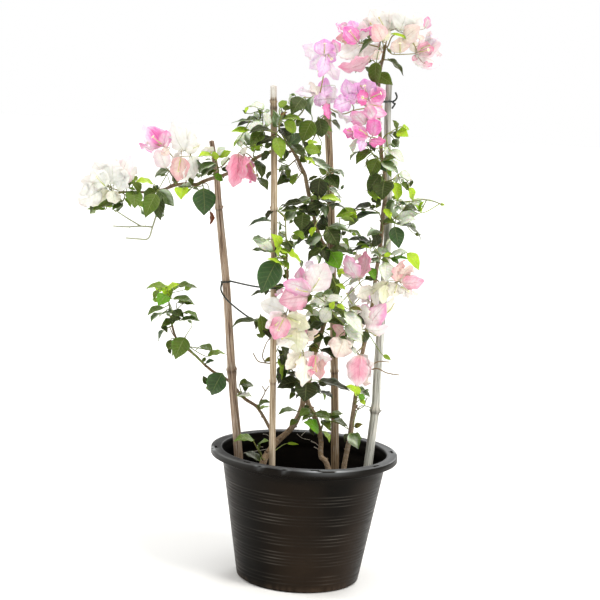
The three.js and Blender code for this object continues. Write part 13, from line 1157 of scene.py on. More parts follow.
        ("X",(6.5,11.3,400.2),(2.9,29.9,426.5),(0.443,-0.703,0.557),21.8,0.08,0.17,"LD",1,(12.4,14.2,397.6)),
        ("X",(15.3,17.7,404.4),(15.2,24.3,428.2),(0.817,-0.554,0.159),17.3,0.095,0.18,"Lm",1,(15.4,16.3,399.4)),
        ("X",(11.6,-25.1,308),(23.1,-27.9,305.2),(0.252,-0.084,0.964),7.4,0.061,0.15,"Lm",1,(6.8,-24.4,318.7)),
        ("X",(-20.8,-39.7,315),(-26.2,-49.4,307.3),(0.161,-0.694,0.702),9.8,0.124,0.22,"LD",0,(-13.2,-46,323.4)),
        ("X",(-18.4,-13.9,295.7),(-13.1,-21,301.2),(-0.868,-0.445,0.22),7,0.091,0.22,"LD",1,(-6.1,-5.3,300.9)),
        ("X",(15.5,-22,323.8),(30.9,-16.9,319.3),(0.297,-0.953,-0.06),9.7,0.105,0.3,"LD",0,(6.8,-24.4,318.7)),
    ]),
}

# ------------------------------------------------------------------ small helpers


def lin(rgb):
    c = np.asarray(rgb, float) / 255.0
    return np.where(c <= 0.04045, c / 12.92, ((c + 0.055) / 1.055) ** 2.4)


def unit(v):
    v = np.asarray(v, float)
    return v / max(1e-9, np.linalg.norm(v))


def smooth(a, b, x):
    t = np.clip((x - a) / (b - a), 0, 1)
    return t * t * (3 - 2 * t)


def mix(a, b, t):
    t = np.asarray(t, float)
    if t.ndim:
        t = t[..., None]
    return np.asarray(a) * (1 - t) + np.asarray(b) * t


def wobble(u, v, seed):
    """A smooth noise over a blade, about -1 to 1."""
    s = seed * 6.283
    return (np.sin(5.1 * u + 2.3 * v + s) + np.sin(3.3 * v - 4.2 * u + 2.1 * s) + 0.6 * np.sin(11.0 * u + 7.0 * v + 3.7 * s)) / 2.6


def spline(P, R, step):
    """Points and radii along a centripetal curve through P, about step apart."""
    P = np.asarray(P, float)
    R = np.asarray(R, float)
    if len(P) < 3:
        n = max(1, int(round(np.linalg.norm(P[-1] - P[0]) / step)))
        t = np.linspace(0, 1, n + 1)[:, None]
        return P[0] + (P[-1] - P[0]) * t, R[0] + (R[-1] - R[0]) * t[:, 0]
    Q = np.concatenate([[2 * P[0] - P[1]], P, [2 * P[-1] - P[-2]]])
    outP, outR = [], []
    for i in range(1, len(Q) - 2):
        p0, p1, p2, p3 = Q[i - 1], Q[i], Q[i + 1], Q[i + 2]
        n = max(1, int(round(np.linalg.norm(p2 - p1) / step)))
        for k in range(n):
            t = k / n
            a = 0.5 * (2 * p1 + (p2 - p0) * t + (2 * p0 - 5 * p1 + 4 * p2 - p3) * t * t + (3 * p1 - p0 - 3 * p2 + p3) * t**3)
            outP.append(a)
            outR.append(R[i - 1] + (R[i] - R[i - 1]) * t)
    outP.append(P[-1])
    outR.append(R[-1])
    return np.array(outP), np.array(outR)


class Piece:
    """Gathers points, faces and colours in millimetres, and makes one mesh."""

    def __init__(self, name):
        self.name = name
        self.V, self.F, self.M, self.T, self.N, self.B = [], [], [], [], [], []
        self.n = 0
        self.flat = []

    def add(self, V, F, mat, tint, vein=None, blade=None, flat=False):
        V = np.asarray(V, float).reshape(-1, 3)
        k = len(V)
        tint = np.broadcast_to(np.asarray(tint, float), (k, 3))
        vein = tint if vein is None else np.broadcast_to(np.asarray(vein, float), (k, 3))
        blade = np.zeros((k, 3)) if blade is None else np.asarray(blade, float)
        self.V.append(V)
        self.T.append(tint)
        self.N.append(vein)
        self.B.append(blade)
        for f in F:
            f = np.asarray(f, int)
            self.F.append(f + self.n)
            self.M.append(np.full(len(f), mat))
            self.flat.append(np.full(len(f), flat))
        self.n += k

    def build(self, materials):
        V = np.concatenate(self.V) * MM
        mesh = bpy.data.meshes.new(self.name)
        loops = np.concatenate([f.reshape(-1) for f in self.F])
        sizes = np.concatenate([np.full(len(f), f.shape[1]) for f in self.F])
        mats = np.concatenate(self.M)
        flat = np.concatenate(self.flat)
        mesh.vertices.add(len(V))
        mesh.vertices.foreach_set("co", V.astype(np.float32).reshape(-1))
        mesh.loops.add(len(loops))
        mesh.loops.foreach_set("vertex_index", loops.astype(np.int32))
        mesh.polygons.add(len(sizes))
        starts = np.concatenate([[0], np.cumsum(sizes)[:-1]])
        mesh.polygons.foreach_set("loop_start", starts.astype(np.int32))
        for m in materials:
            mesh.materials.append(m)
        mesh.polygons.foreach_set("material_index", mats.astype(np.int32))
        mesh.polygons.foreach_set("use_smooth", ~flat.astype(bool))
        mesh.update(calc_edges=True)
        for name, rows in (("tint", self.T), ("vein", self.N)):
            a = mesh.attributes.new(name, "FLOAT_COLOR", "POINT")
            rgba = np.ones((len(V), 4), np.float32)
            rgba[:, :3] = np.clip(np.concatenate(rows), 0, 1)
            a.data.foreach_set("color", rgba.reshape(-1))
        a = mesh.attributes.new("blade", "FLOAT_VECTOR", "POINT")
        a.data.foreach_set("vector", np.concatenate(self.B).astype(np.float32).reshape(-1))
        mesh.validate(verbose=False)
        o = bpy.data.objects.new(self.name, mesh)
        bpy.context.scene.collection.objects.link(o)
        return o


def ring_faces(rows, sides, first=0):
    i = np.arange(rows - 1)[:, None] * sides + first
    j = np.arange(sides)[None, :]
    k = (j + 1) % sides
    return np.stack([i + j, i + k, i + sides + k, i + sides + j], -1).reshape(-1, 4)


def tube(piece, P, R, sides, mat, tint, seed=0.0, ripple=None, s0=0.0, vein=None):
    """A closed tube along P with radii R. tint is one colour or one per ring. ripple(s, angle) adds to the radius."""
    P = np.asarray(P, float)
    R = np.asarray(R, float)
    keep = np.concatenate([[True], np.linalg.norm(np.diff(P, axis=0), axis=1) > 1e-3])
    P, R = P[keep], R[keep]
    n = len(P)
    if n < 2:
        return
    tint = np.asarray(tint, float)
    if tint.ndim == 2:
        tint = tint[keep]
    T = np.zeros_like(P)
    T[1:-1] = P[2:] - P[:-2]
    T[0] = P[1] - P[0]
    T[-1] = P[-1] - P[-2]
    T /= np.maximum(1e-9, np.linalg.norm(T, axis=1))[:, None]
    u = np.array([0.0, 1, 0]) if abs(T[0][1]) < 0.8 else np.array([1.0, 0, 0])
    ang = np.arange(sides) / sides * 2 * math.pi
    S = np.concatenate([[0], np.cumsum(np.linalg.norm(np.diff(P, axis=0), axis=1))]) + s0
    V = np.zeros((n, sides, 3))
    B = np.zeros((n, sides, 3))
    for i in range(n):
        u = unit(u - T[i] * (u @ T[i]))
        w = np.cross(T[i], u)
        r = R[i] + (ripple(S[i], ang) if ripple else 0)
        V[i] = P[i] + (np.cos(ang) * r)[:, None] * u + (np.sin(ang) * r)[:, None] * w
        B[i, :, 0] = S[i]
        B[i, :, 1] = np.cos(ang)
        B[i, :, 2] = np.sin(ang) + seed
    rings = tint if tint.ndim == 2 else np.broadcast_to(tint, (n, 3))
    C = np.repeat(rings, sides, axis=0)
    # rounded ends: one more small ring and a middle point at each end
    e0 = P[0] - T[0] * R[0] * 0.35
    e1 = P[-1] + T[-1] * R[-1] * 0.35
    verts = np.concatenate([V.reshape(-1, 3), [e0, e1]])
    cols = np.concatenate([C, [rings[0], rings[-1]]])
    Bs = np.concatenate([B.reshape(-1, 3), [[S[0], 0, seed], [S[-1], 0, seed]]])
    j = np.arange(sides)
    k = (j + 1) % sides
    m = n * sides
    low = np.stack([np.full(sides, m), k, j], -1)
    top = np.stack([np.full(sides, m + 1), (n - 1) * sides + j, (n - 1) * sides + k], -1)
    vv = None
    if vein is not None:
        vein = np.asarray(vein, float)
        vv = np.broadcast_to(vein, (len(verts), 3))
    piece.add(verts, [ring_faces(n, sides), low, top], mat, cols, vv, Bs)


# ------------------------------------------------------------------ colours of leaves and bracts, given for each kind
LEAF = {
    "D": (29, 37, 9), "d": (47, 61, 15), "m": (76, 94, 21), "q": (86, 104, 66), "g": (128, 156, 44), "G": (92, 150, 18),
    "y": (178, 210, 40), "p": (222, 228, 204), "o": (106, 102, 36), "r": (112, 40, 26), "c": (50, 78, 44), "t": (80, 106, 34), "b": (72, 92, 50),
    "M": (88, 112, 38),
}
# centre, edge, vein, how far in from the edge the second colour comes
BRACT = {
    "w": ((252, 251, 246), (250, 245, 240), (232, 230, 208), 0.5),
    "c": ((250, 244, 226), (250, 234, 220), (228, 216, 178), 0.5),
    "y": ((242, 240, 200), (246, 242, 214), (216, 214, 150), 0.5),
    "k": ((253, 246, 242), (250, 214, 226), (240, 200, 208), 0.7),
    "p": ((247, 196, 208), (238, 140, 172), (220, 108, 142), 0.85),
    "v": ((252, 160, 212), (246, 104, 184), (226, 74, 152), 0.9),
    "l": ((248, 210, 246), (238, 158, 226), (220, 126, 208), 0.85),
    "e": ((253, 244, 253), (244, 214, 246), (232, 196, 236), 0.6),
    "m": ((253, 242, 245), (242, 140, 192), (228, 118, 168), 0.9),
    "s": ((246, 206, 196), (238, 168, 174), (216, 132, 140), 0.7),
    "h": ((249, 232, 214), (245, 206, 198), (222, 178, 160), 0.7),
    "z": ((236, 142, 166), (249, 214, 218), (218, 110, 142), 0.6),
    "r": ((228, 118, 150), (236, 146, 172), (202, 84, 118), 0.5),
    "x": ((240, 120, 186), (250, 196, 226), (222, 70, 150), 0.6),
    "u": ((242, 146, 196), (228, 92, 160), (200, 62, 130), 0.85),
}


def leaf_colours(code, u, v, seed, rnd):
    base = lin(LEAF[code])
    n1 = wobble(u, v, seed)
    shade = 1.0 + 0.22 * (rnd - 0.5) + 0.10 * n1
    c = mix(np.broadcast_to(base, u.shape + (3,)), lin((40, 60, 20)), 0.0) * shade[..., None]
    side = 1.0 if math.sin(seed * 40) > 0 else -1.0
    # kind q: one half of the leaf carries a painted pale sky sheen, a painted reflection
    if code == "q":
        w = smooth(-0.25, 0.75, n1 * 0.6 + v * side * 0.55)
        c = mix(lin((66, 88, 42)), lin((200, 212, 190)), w) * shade[..., None]
    elif code == "p":
        e = np.clip(smooth(0.72, 1.0, np.abs(v)) + smooth(0.2, 0.0, u) + 0.35 * smooth(0.1, 0.8, n1), 0, 1)
        c = mix(lin((242, 245, 236)), lin((150, 182, 84)), e * 0.7) * (0.96 + 0.05 * n1)[..., None]
    elif code in "yG":
        c = mix(c, lin((120, 160, 30)), 0.35 * smooth(0.1, 1.0, np.abs(n1)))
    elif code in "Ddmc":
        # a painted soft sky sheen, a painted reflection, on one half of some leaves
        w = smooth(0.25, 1.0, n1 * 0.5 + v * side * 0.5) * (0.30 if (seed * 7) % 1 < 0.5 else 0.08)
        c = mix(c, lin((150, 168, 108)), w)
    if code == "t":
        c = mix(c, lin((186, 150, 66)), smooth(0.72, 0.96, u + 0.12 * n1))
    if code == "b":
        c = mix(c, lin((118, 84, 44)), smooth(0.74, 0.9, u + 0.08 * n1))
    if code not in "pr":
        # a thin paler margin and a little yellow at the base
        c = mix(c, c * 1.25 + 0.01, 0.5 * smooth(0.9, 1.0, np.abs(v)))
        c = mix(c, lin((128, 150, 60)), 0.25 * smooth(0.16, 0.0, u))
    vein = mix(c, lin((188, 204, 130)) * (0.35 + 0.65 * min(1, base.sum() * 1.2)), 0.42)
    return np.clip(c, 0, 0.95), np.clip(vein, 0, 0.95)


def bract_colours(code, u, v, seed, rnd):
    cen, edge, vein, reach = BRACT[code]
    n1 = wobble(u, v, seed)
    r = np.maximum(np.abs(v), smooth(0.45, 1.0, u))
    f = smooth(1.0 - reach, 1.0, r + 0.22 * n1 + 0.15 * (rnd - 0.5))
    if code == "m":
        f = np.clip(f + 0.5 * smooth(0.35, 0.9, n1), 0, 1)
    c = mix(lin(cen), lin(edge), f) * (1.0 + 0.05 * (rnd - 0.5) + 0.03 * n1)[..., None]
    c = mix(c, lin((214, 218, 150)), 0.45 * smooth(0.17, 0.0, u) * smooth(0.9, 0.2, np.abs(v)))
    vn = mix(c, lin(vein), 0.55)
    return np.clip(c, 0, 0.96), np.clip(vn, 0, 0.96)


def hw_leaf(u, p=0.72, q=0.9):
    return 0.5 * np.sin(math.pi * np.clip(u, 0, 1) ** p) ** q


def hw_bract(u, p=0.80, q=0.62):
    return 0.5 * np.sin(math.pi * np.clip(u, 0, 1) ** p) ** q


TH_LEAF, TH_BRACT = 0.42, 0.30
STALK_GREEN, STALK_RED = lin((120, 140, 66)), lin((150, 120, 80))


def nearest_on(lines, p):
    best = None
    for Q in lines:
        d = Q[1:] - Q[:-1]
        L = np.maximum(1e-9, (d * d).sum(1))
        t = np.clip(((p - Q[:-1]) * d).sum(1) / L, 0, 1)
        X = Q[:-1] + d * t[:, None]
        e = np.linalg.norm(X - p, axis=1)
        i = int(e.argmin())
        if best is None or e[i] < best[0]:
            best = (e[i], X[i])
    return best


def blade(piece, row, lines, rng):
    P0, P1, n, W, arch, fold, code, back, A = row
    P0, P1, n, A = (np.asarray(x, float) for x in (P0, P1, n, A))
    is_leaf = code[0] == "L"
    kind = code[1]
    star = code.endswith("*")
    seed = float(rng.random())
    rnd = float(rng.random())
    a = P1 - P0
    L = np.linalg.norm(a)
    ax = a / L
    n = unit(n - ax * (n @ ax))
    s = np.cross(ax, n)
    if back:
        nu, nv = (9, 6)
    else:
        nu, nv = ((14, 8) if is_leaf else (18, 10)) if L > 16 else (10, 6)
    u = np.linspace(0, 1, nu + 1)
    u = u - 0.03 * np.sin(2 * math.pi * u)
    v = np.linspace(-1, 1, nv + 1)
    U, Vv = np.meshgrid(u, v, indexing="ij")
    if is_leaf:
        h = hw_leaf(U, 0.72 + 0.06 * (rnd - 0.5), 0.9)
        # a drawn-out tip
        h = h * (1 - 0.30 * smooth(0.80, 0.97, U) * (1 - U) * 5)
    else:
        h = hw_bract(U, 0.80 + 0.08 * (rnd - 0.5), 0.62)
        # a short drawn-out tip
        h = h * (1 - 0.24 * smooth(0.78, 0.98, U) * (1.15 - U) * 4)
    h = np.maximum(h, 0.006)
    sg = 1.0 if is_leaf else -1.0
    half = h * W
    mid = P0 + a * U[..., None] + n * (sg * arch * L * 4 * U * (1 - U))[..., None]
    av = np.abs(Vv)
    rise = math.sin(fold) * (av if is_leaf else av**1.8)
    X = mid + s * (Vv * half * math.cos(fold))[..., None] + n * (half * rise)[..., None]
    # waves along the two margins
    ph = rng.random(4) * 6.283
    k1 = rng.uniform(1.6, 2.8)
    wav = np.where(Vv > 0, np.sin(k1 * 6.283 * U + ph[0]), np.sin(k1 * 6.283 * U + ph[1]))
    amp = (0.045 if is_leaf else 0.115) * rng.uniform(0.6, 1.3)
    X = X + n * (amp * W * wav * av**2 * np.minimum(1, 2.4 * h))[..., None]
    if not is_leaf:
        crk = np.sin(4.7 * 6.283 * U + 3.1 * Vv + ph[2]) * np.sin(2.2 * 6.283 * Vv * 0.5 + ph[3])
        X = X + n * (0.030 * W * crk * np.minimum(1, 2 * h))[..., None]
        # small folds that run out to the margin
        fr = np.sin(rng.uniform(5.0, 7.5) * 6.283 * U + ph[3] + 1.7 * np.sign(Vv)) * av**4
        X = X + n * (0.030 * W * fr * np.minimum(1, 2 * h))[..., None]
    # the tip curls and the blade twists a little
    curl = rng.uniform(-0.02, 0.10) if is_leaf else rng.uniform(-0.04, 0.08)
    X = X - n * (sg * curl * L * smooth(0.6, 1.0, U) ** 2)[..., None]
    tw = rng.uniform(-0.16, 0.16)
    X = X + n * (half * Vv * np.sin(tw * (U - 0.2)) * 1.0)[..., None]
    if kind == "b":
        # the bitten tip
        bite = smooth(0.80, 0.92, U) * 0.10 * L
        X = X - ax * (bite * (0.6 + 0.4 * np.sin(9 * Vv + ph[2])))[..., None]
    # outward normals of the middle surface
    dU = np.gradient(X, axis=0)
    dV = np.gradient(X, axis=1)
    N = np.cross(dV, dU)
    N /= np.maximum(1e-9, np.linalg.norm(N, axis=2))[..., None]
    N = np.where((N @ n)[..., None] < -0.9, n, N)
    th = (TH_LEAF if is_leaf else TH_BRACT) * (1 - 0.55 * av**3)
    top = X + N * (th / 2)[..., None]
    low = X - N * (th / 2)[..., None]
    c, vc = (leaf_colours if is_leaf else bract_colours)(kind, U, Vv, seed, rnd)
    if is_leaf:
        cl = mix(c, lin((142, 160, 88)), 0.36)
        vl = mix(cl, lin((190, 204, 150)), 0.4)
    else:
        cl, vl = mix(c, lin((250, 246, 240)), 0.12), vc
    nU, nV = nu + 1, nv + 1
    i = np.arange(nu)[:, None] * nV
    j = np.arange(nv)[None, :]
    a_, b_, c_, d_ = i + j, i + nV + j, i + nV + j + 1, i + j + 1
    K = nU * nV
    topf = np.stack([a_, d_, c_, b_], -1).reshape(-1, 4)
    lowf = np.stack([a_, b_, c_, d_], -1).reshape(-1, 4) + K
    loop = [k for k in range(nV)] + [k * nV + nv for k in range(1, nU)] + [nu * nV + k for k in range(nv - 1, -1, -1)] + [k * nV for k in range(nu - 1, 0, -1)]
    loop = np.array(loop)
    nxt = np.roll(loop, -1)
    side = np.stack([loop, loop + K, nxt + K, nxt], -1)
    # which way round the rim is
    verts = np.concatenate([top.reshape(-1, 3), low.reshape(-1, 3)])
    f0 = side[len(side) // 3]
    fn = np.cross(verts[f0[1]] - verts[f0[0]], verts[f0[2]] - verts[f0[0]])
    out = verts[f0[0]] - X.reshape(-1, 3).mean(0)
    if fn @ out < 0:
        side = side[:, ::-1]
    bl = np.stack([U, Vv, np.full_like(U, seed)], -1).reshape(-1, 3)
    piece.add(
        verts, [topf, lowf, side], 0 if is_leaf else 1,
        np.concatenate([c.reshape(-1, 3), cl.reshape(-1, 3)]), np.concatenate([vc.reshape(-1, 3), vl.reshape(-1, 3)]),
        np.concatenate([bl, bl]),
    )
    # stalk from the twig's middle to the base, and on under the blade as its midrib
    hit = nearest_on(lines, A)
    start = hit[1] if hit and hit[0] < 5 else A
    away = unit(A - start) if hit and hit[0] > 0.2 else unit(P0 - A)
    D = np.linalg.norm(P0 - start)
    m1 = start + away * min(3.0, 0.3 * D) + (P0 - start) * 0.22
    m2 = P0 - ax * min(0.30 * D, 6.0)
    t = np.linspace(0, 1, max(4, int(D / 4) + 3) if not back else 4)[:, None]
    cur = (1 - t) ** 3 * start + 3 * (1 - t) ** 2 * t * m1 + 3 * (1 - t) * t * t * m2 + t**3 * P0
    rs = np.linspace(0.90, 0.68, len(t)) * (1.0 if is_leaf else 0.85) * (1.0 if L > 14 else 0.8)
    ui = (np.array([0.10, 0.26, 0.42, 0.58, 0.74]) if not back else np.array([0.15, 0.4, 0.65]))
    mi = np.array([np.interp(ui, u, low[:, nv // 2, k]) for k in range(3)]).T - n * 0.05
    rm = 0.50 * (1 - ui) ** 0.8 * (1.0 if is_leaf else 0.7) + 0.06
    col_s = STALK_GREEN if is_leaf else mix(STALK_GREEN, lin(BRACT[kind][0]), 0.5)
    if is_leaf and kind in "yp":
        col_s = lin((168, 186, 96))
    pts = np.concatenate([cur, mi])
    rad = np.concatenate([rs, rm])
    cc = np.concatenate([np.broadcast_to(col_s, (len(cur), 3)), np.broadcast_to(mix(cl[nu // 2, nv // 2], col_s, 0.5), (len(mi), 3))])
    tube(piece, pts, rad, 6 if not back else 5, 2, cc * (0.85 + 0.3 * rnd), seed)
    # the slim tube flower on a bract's midrib
    if not is_leaf and (star or (not back and rnd < 0.42 and L > 20) or (back and rnd < 0.15)):
        flower(piece, P0, ax, n, L, arch, W, kind, star or seed < 0.45, rng)


def flower(piece, P0, ax, n, L, arch, W, kind, opened, rng):
    tcol = mix(lin((196, 206, 120)), lin(BRACT[kind][1]), 0.45)
    lean = unit(ax + n * rng.uniform(0.22, 0.42) + np.cross(ax, n) * rng.uniform(-0.12, 0.12))
    ln = min(0.62 * L, 20.0)
    t = np.linspace(0, 1, 7)
    P = P0 + ax * 0.10 * L + n * 0.9 + np.outer(t * ln, lean) + np.outer(np.sin(t * math.pi) * 1.2, n)
    R = np.array([0.75, 1.05, 1.10, 0.95, 0.85, 0.95, 1.25]) * 0.9
    cols = mix(np.broadcast_to(lin((176, 190, 92)), (7, 3)), tcol, t)
    tube(piece, P, R, 7, 3, cols, 0.3)
    tip = P[-1]
    d = unit(P[-1] - P[-2])
    if not opened:
        tube(piece, [tip, tip + d * 1.4, tip + d * 2.6], [1.25, 1.3, 0.35], 7, 3, lin((206, 200, 130)), 0.2)
        return
    e1 = unit(np.cross(d, [0.3, 0.5, 0.8]))
    e2 = np.cross(d, e1)
    k = 30
    ang = np.arange(k) / k * 2 * math.pi
    r = 3.3 * (0.72 + 0.28 * np.abs(np.cos(2.5 * ang)) ** 0.8)
    V = [tip + d * 0.7]
    for q, hgt in ((0.35, 0.75), (0.7, 1.05), (1.0, 1.0)):
        V += list(tip + (np.cos(ang) * r * q)[:, None] * e1 + (np.sin(ang) * r * q)[:, None] * e2 + d * (hgt + 0.25 * q * np.cos(5 * ang)[:, None] * 0.4))
    V += list(tip + (np.cos(ang) * r * 0.98)[:, None] * e1 + (np.sin(ang) * r * 0.98)[:, None] * e2 + d * (0.72 + 0.1 * np.cos(5 * ang)[:, None]))
    V += [tip + d * 0.30]
    V = np.array(V)
    j = np.arange(k)
    m = (j + 1) % k
    F3 = np.stack([np.zeros(k, int), 1 + j, 1 + m], -1)
    F4 = [np.stack([1 + q * k + j, 1 + (q + 1) * k + j, 1 + (q + 1) * k + m, 1 + q * k + m], -1) for q in range(3)]
    Fb = np.stack([np.full(k, len(V) - 1), 1 + 3 * k + m, 1 + 3 * k + j], -1)
    C = np.broadcast_to(lin((252, 248, 226)), (len(V), 3)).copy()
    C[0] = lin((214, 206, 110))
    C[1 : 1 + k] = lin((238, 230, 170))
    piece.add(V, [F3, *F4, Fb], 3, C)


def make_shoot(name, kind, ops, seedn):
    rng = np.random.default_rng(seedn)
    piece = Piece("vis_" + name)
    lines = []
    leafy = kind != "b"
    tcol = lin((116, 120, 60)) if leafy else lin((158, 150, 84))
    wood = lin((128, 98, 70)) if leafy else lin((136, 120, 66))
    for op in ops:
        if op[0] not in ("T", "B", "J"):
            continue
        P = np.asarray(op[1], float)
        R = np.maximum(np.asarray(op[2], float) * 0.80, 0.72)
        if op[0] == "T":
            # reach back to the bark of the stem that it grows from
            hit = nearest_on(STEM_LINES, P[0])
            if hit and hit[0] < 14:
                P = np.concatenate([[hit[1]], P])
                R = np.concatenate([[R[0] * 1.25], R])
        elif op[0] == "B" and lines:
            hit = nearest_on(lines, P[0])
            P = np.concatenate([[hit[1]], P])
            R = np.concatenate([[R[0]], R])
        elif op[0] == "J" and lines:
            a, b = nearest_on(lines, P[0]), nearest_on(lines, P[-1])
            P = np.concatenate([[a[1]], P, [b[1]]])
            R = np.concatenate([[R[0]], R, [R[-1]]])
        Q, S = spline(P, R, 3.0)
        lines.append(Q)
        t = np.linspace(0, 1, len(Q))
        # young wood is brown near the stem and greener to the tip, with a swelling at each joint
        cols = mix(mix(wood, tcol, smooth(0.0, 0.45, t)), tcol * 1.15, smooth(0.6, 1, t)) if op[0] != "J" else np.broadcast_to(wood, (len(Q), 3))
        ph = rng.random() * 9
        S = S * (1 + 0.10 * np.maximum(0, np.sin(np.arange(len(Q)) * 3.0 / 13.0 * 6.283 + ph)) ** 6)
        tube(piece, Q, S, 7, 2, cols, rng.random())
    for op in ops:
        if op[0] == "X":
            blade(piece, op[1:], lines, rng)
    return piece


STEM_LINES = []

# ------------------------------------------------------------------ materials


def new_material(name, rough, spec=0.5, **sockets):
    m = bpy.data.materials.new(name)
    m.use_nodes = True
    nt = m.node_tree
    b = nt.nodes["Principled BSDF"]
    b.inputs["Roughness"].default_value = rough
    b.inputs["Specular IOR Level"].default_value = spec
    for k, v in sockets.items():
        b.inputs[k.replace("_", " ")].default_value = v
    return m, nt, b


def node(nt, kind, **values):
    n = nt.nodes.new(kind)
    for k, v in values.items():
        if k.startswith("in_"):
            n.inputs[int(k[3:])].default_value = v
        else:
            setattr(n, k, v)
    return n


def attr(nt, name):
    return node(nt, "ShaderNodeAttribute", attribute_name=name)


def maths(nt, op, a, b=None, clamp=False):
    n = node(nt, "ShaderNodeMath", operation=op, use_clamp=clamp)
    for i, x in enumerate((a, b)):
        if x is None:
            continue
        if isinstance(x, (int, float)):
            n.inputs[i].default_value = x
        else:
            nt.links.new(x, n.inputs[i])
    return n.outputs[0]


def ramp(nt, x, lo, hi, a=0.0, b=1.0):
    n = node(nt, "ShaderNodeMapRange", interpolation_type="SMOOTHSTEP")
    nt.links.new(x, n.inputs["Value"])
    for k, v in (("From Min", lo), ("From Max", hi), ("To Min", a), ("To Max", b)):
        n.inputs[k].default_value = v
    return n.outputs["Result"]


def mixc(nt, f, a, b, mode="MIX"):
    n = node(nt, "ShaderNodeMix", data_type="RGBA", blend_type=mode)
    for sock, x in ((n.inputs[0], f), (n.inputs[6], a), (n.inputs[7], b)):
        if hasattr(x, "is_output"):
            nt.links.new(x, sock)
        elif isinstance(x, (int, float)):
            sock.default_value = x
        else:
            sock.default_value = (*x, 1.0)
    return n.outputs[2]


def noise(nt, vec, scale, detail=2.0, rough=0.5):
    n = node(nt, "ShaderNodeTexNoise")
    n.inputs["Scale"].default_value = scale
    n.inputs["Detail"].default_value = detail
    n.inputs["Roughness"].default_value = rough
    nt.links.new(vec, n.inputs["Vector"])
    return n.outputs["Fac"]


def bump(nt, bsdf, height, strength, distance):
    n = node(nt, "ShaderNodeBump")
    n.inputs["Strength"].default_value = strength
    n.inputs["Distance"].default_value = distance
    nt.links.new(height, n.inputs["Height"])
    nt.links.new(n.outputs["Normal"], bsdf.inputs["Normal"])


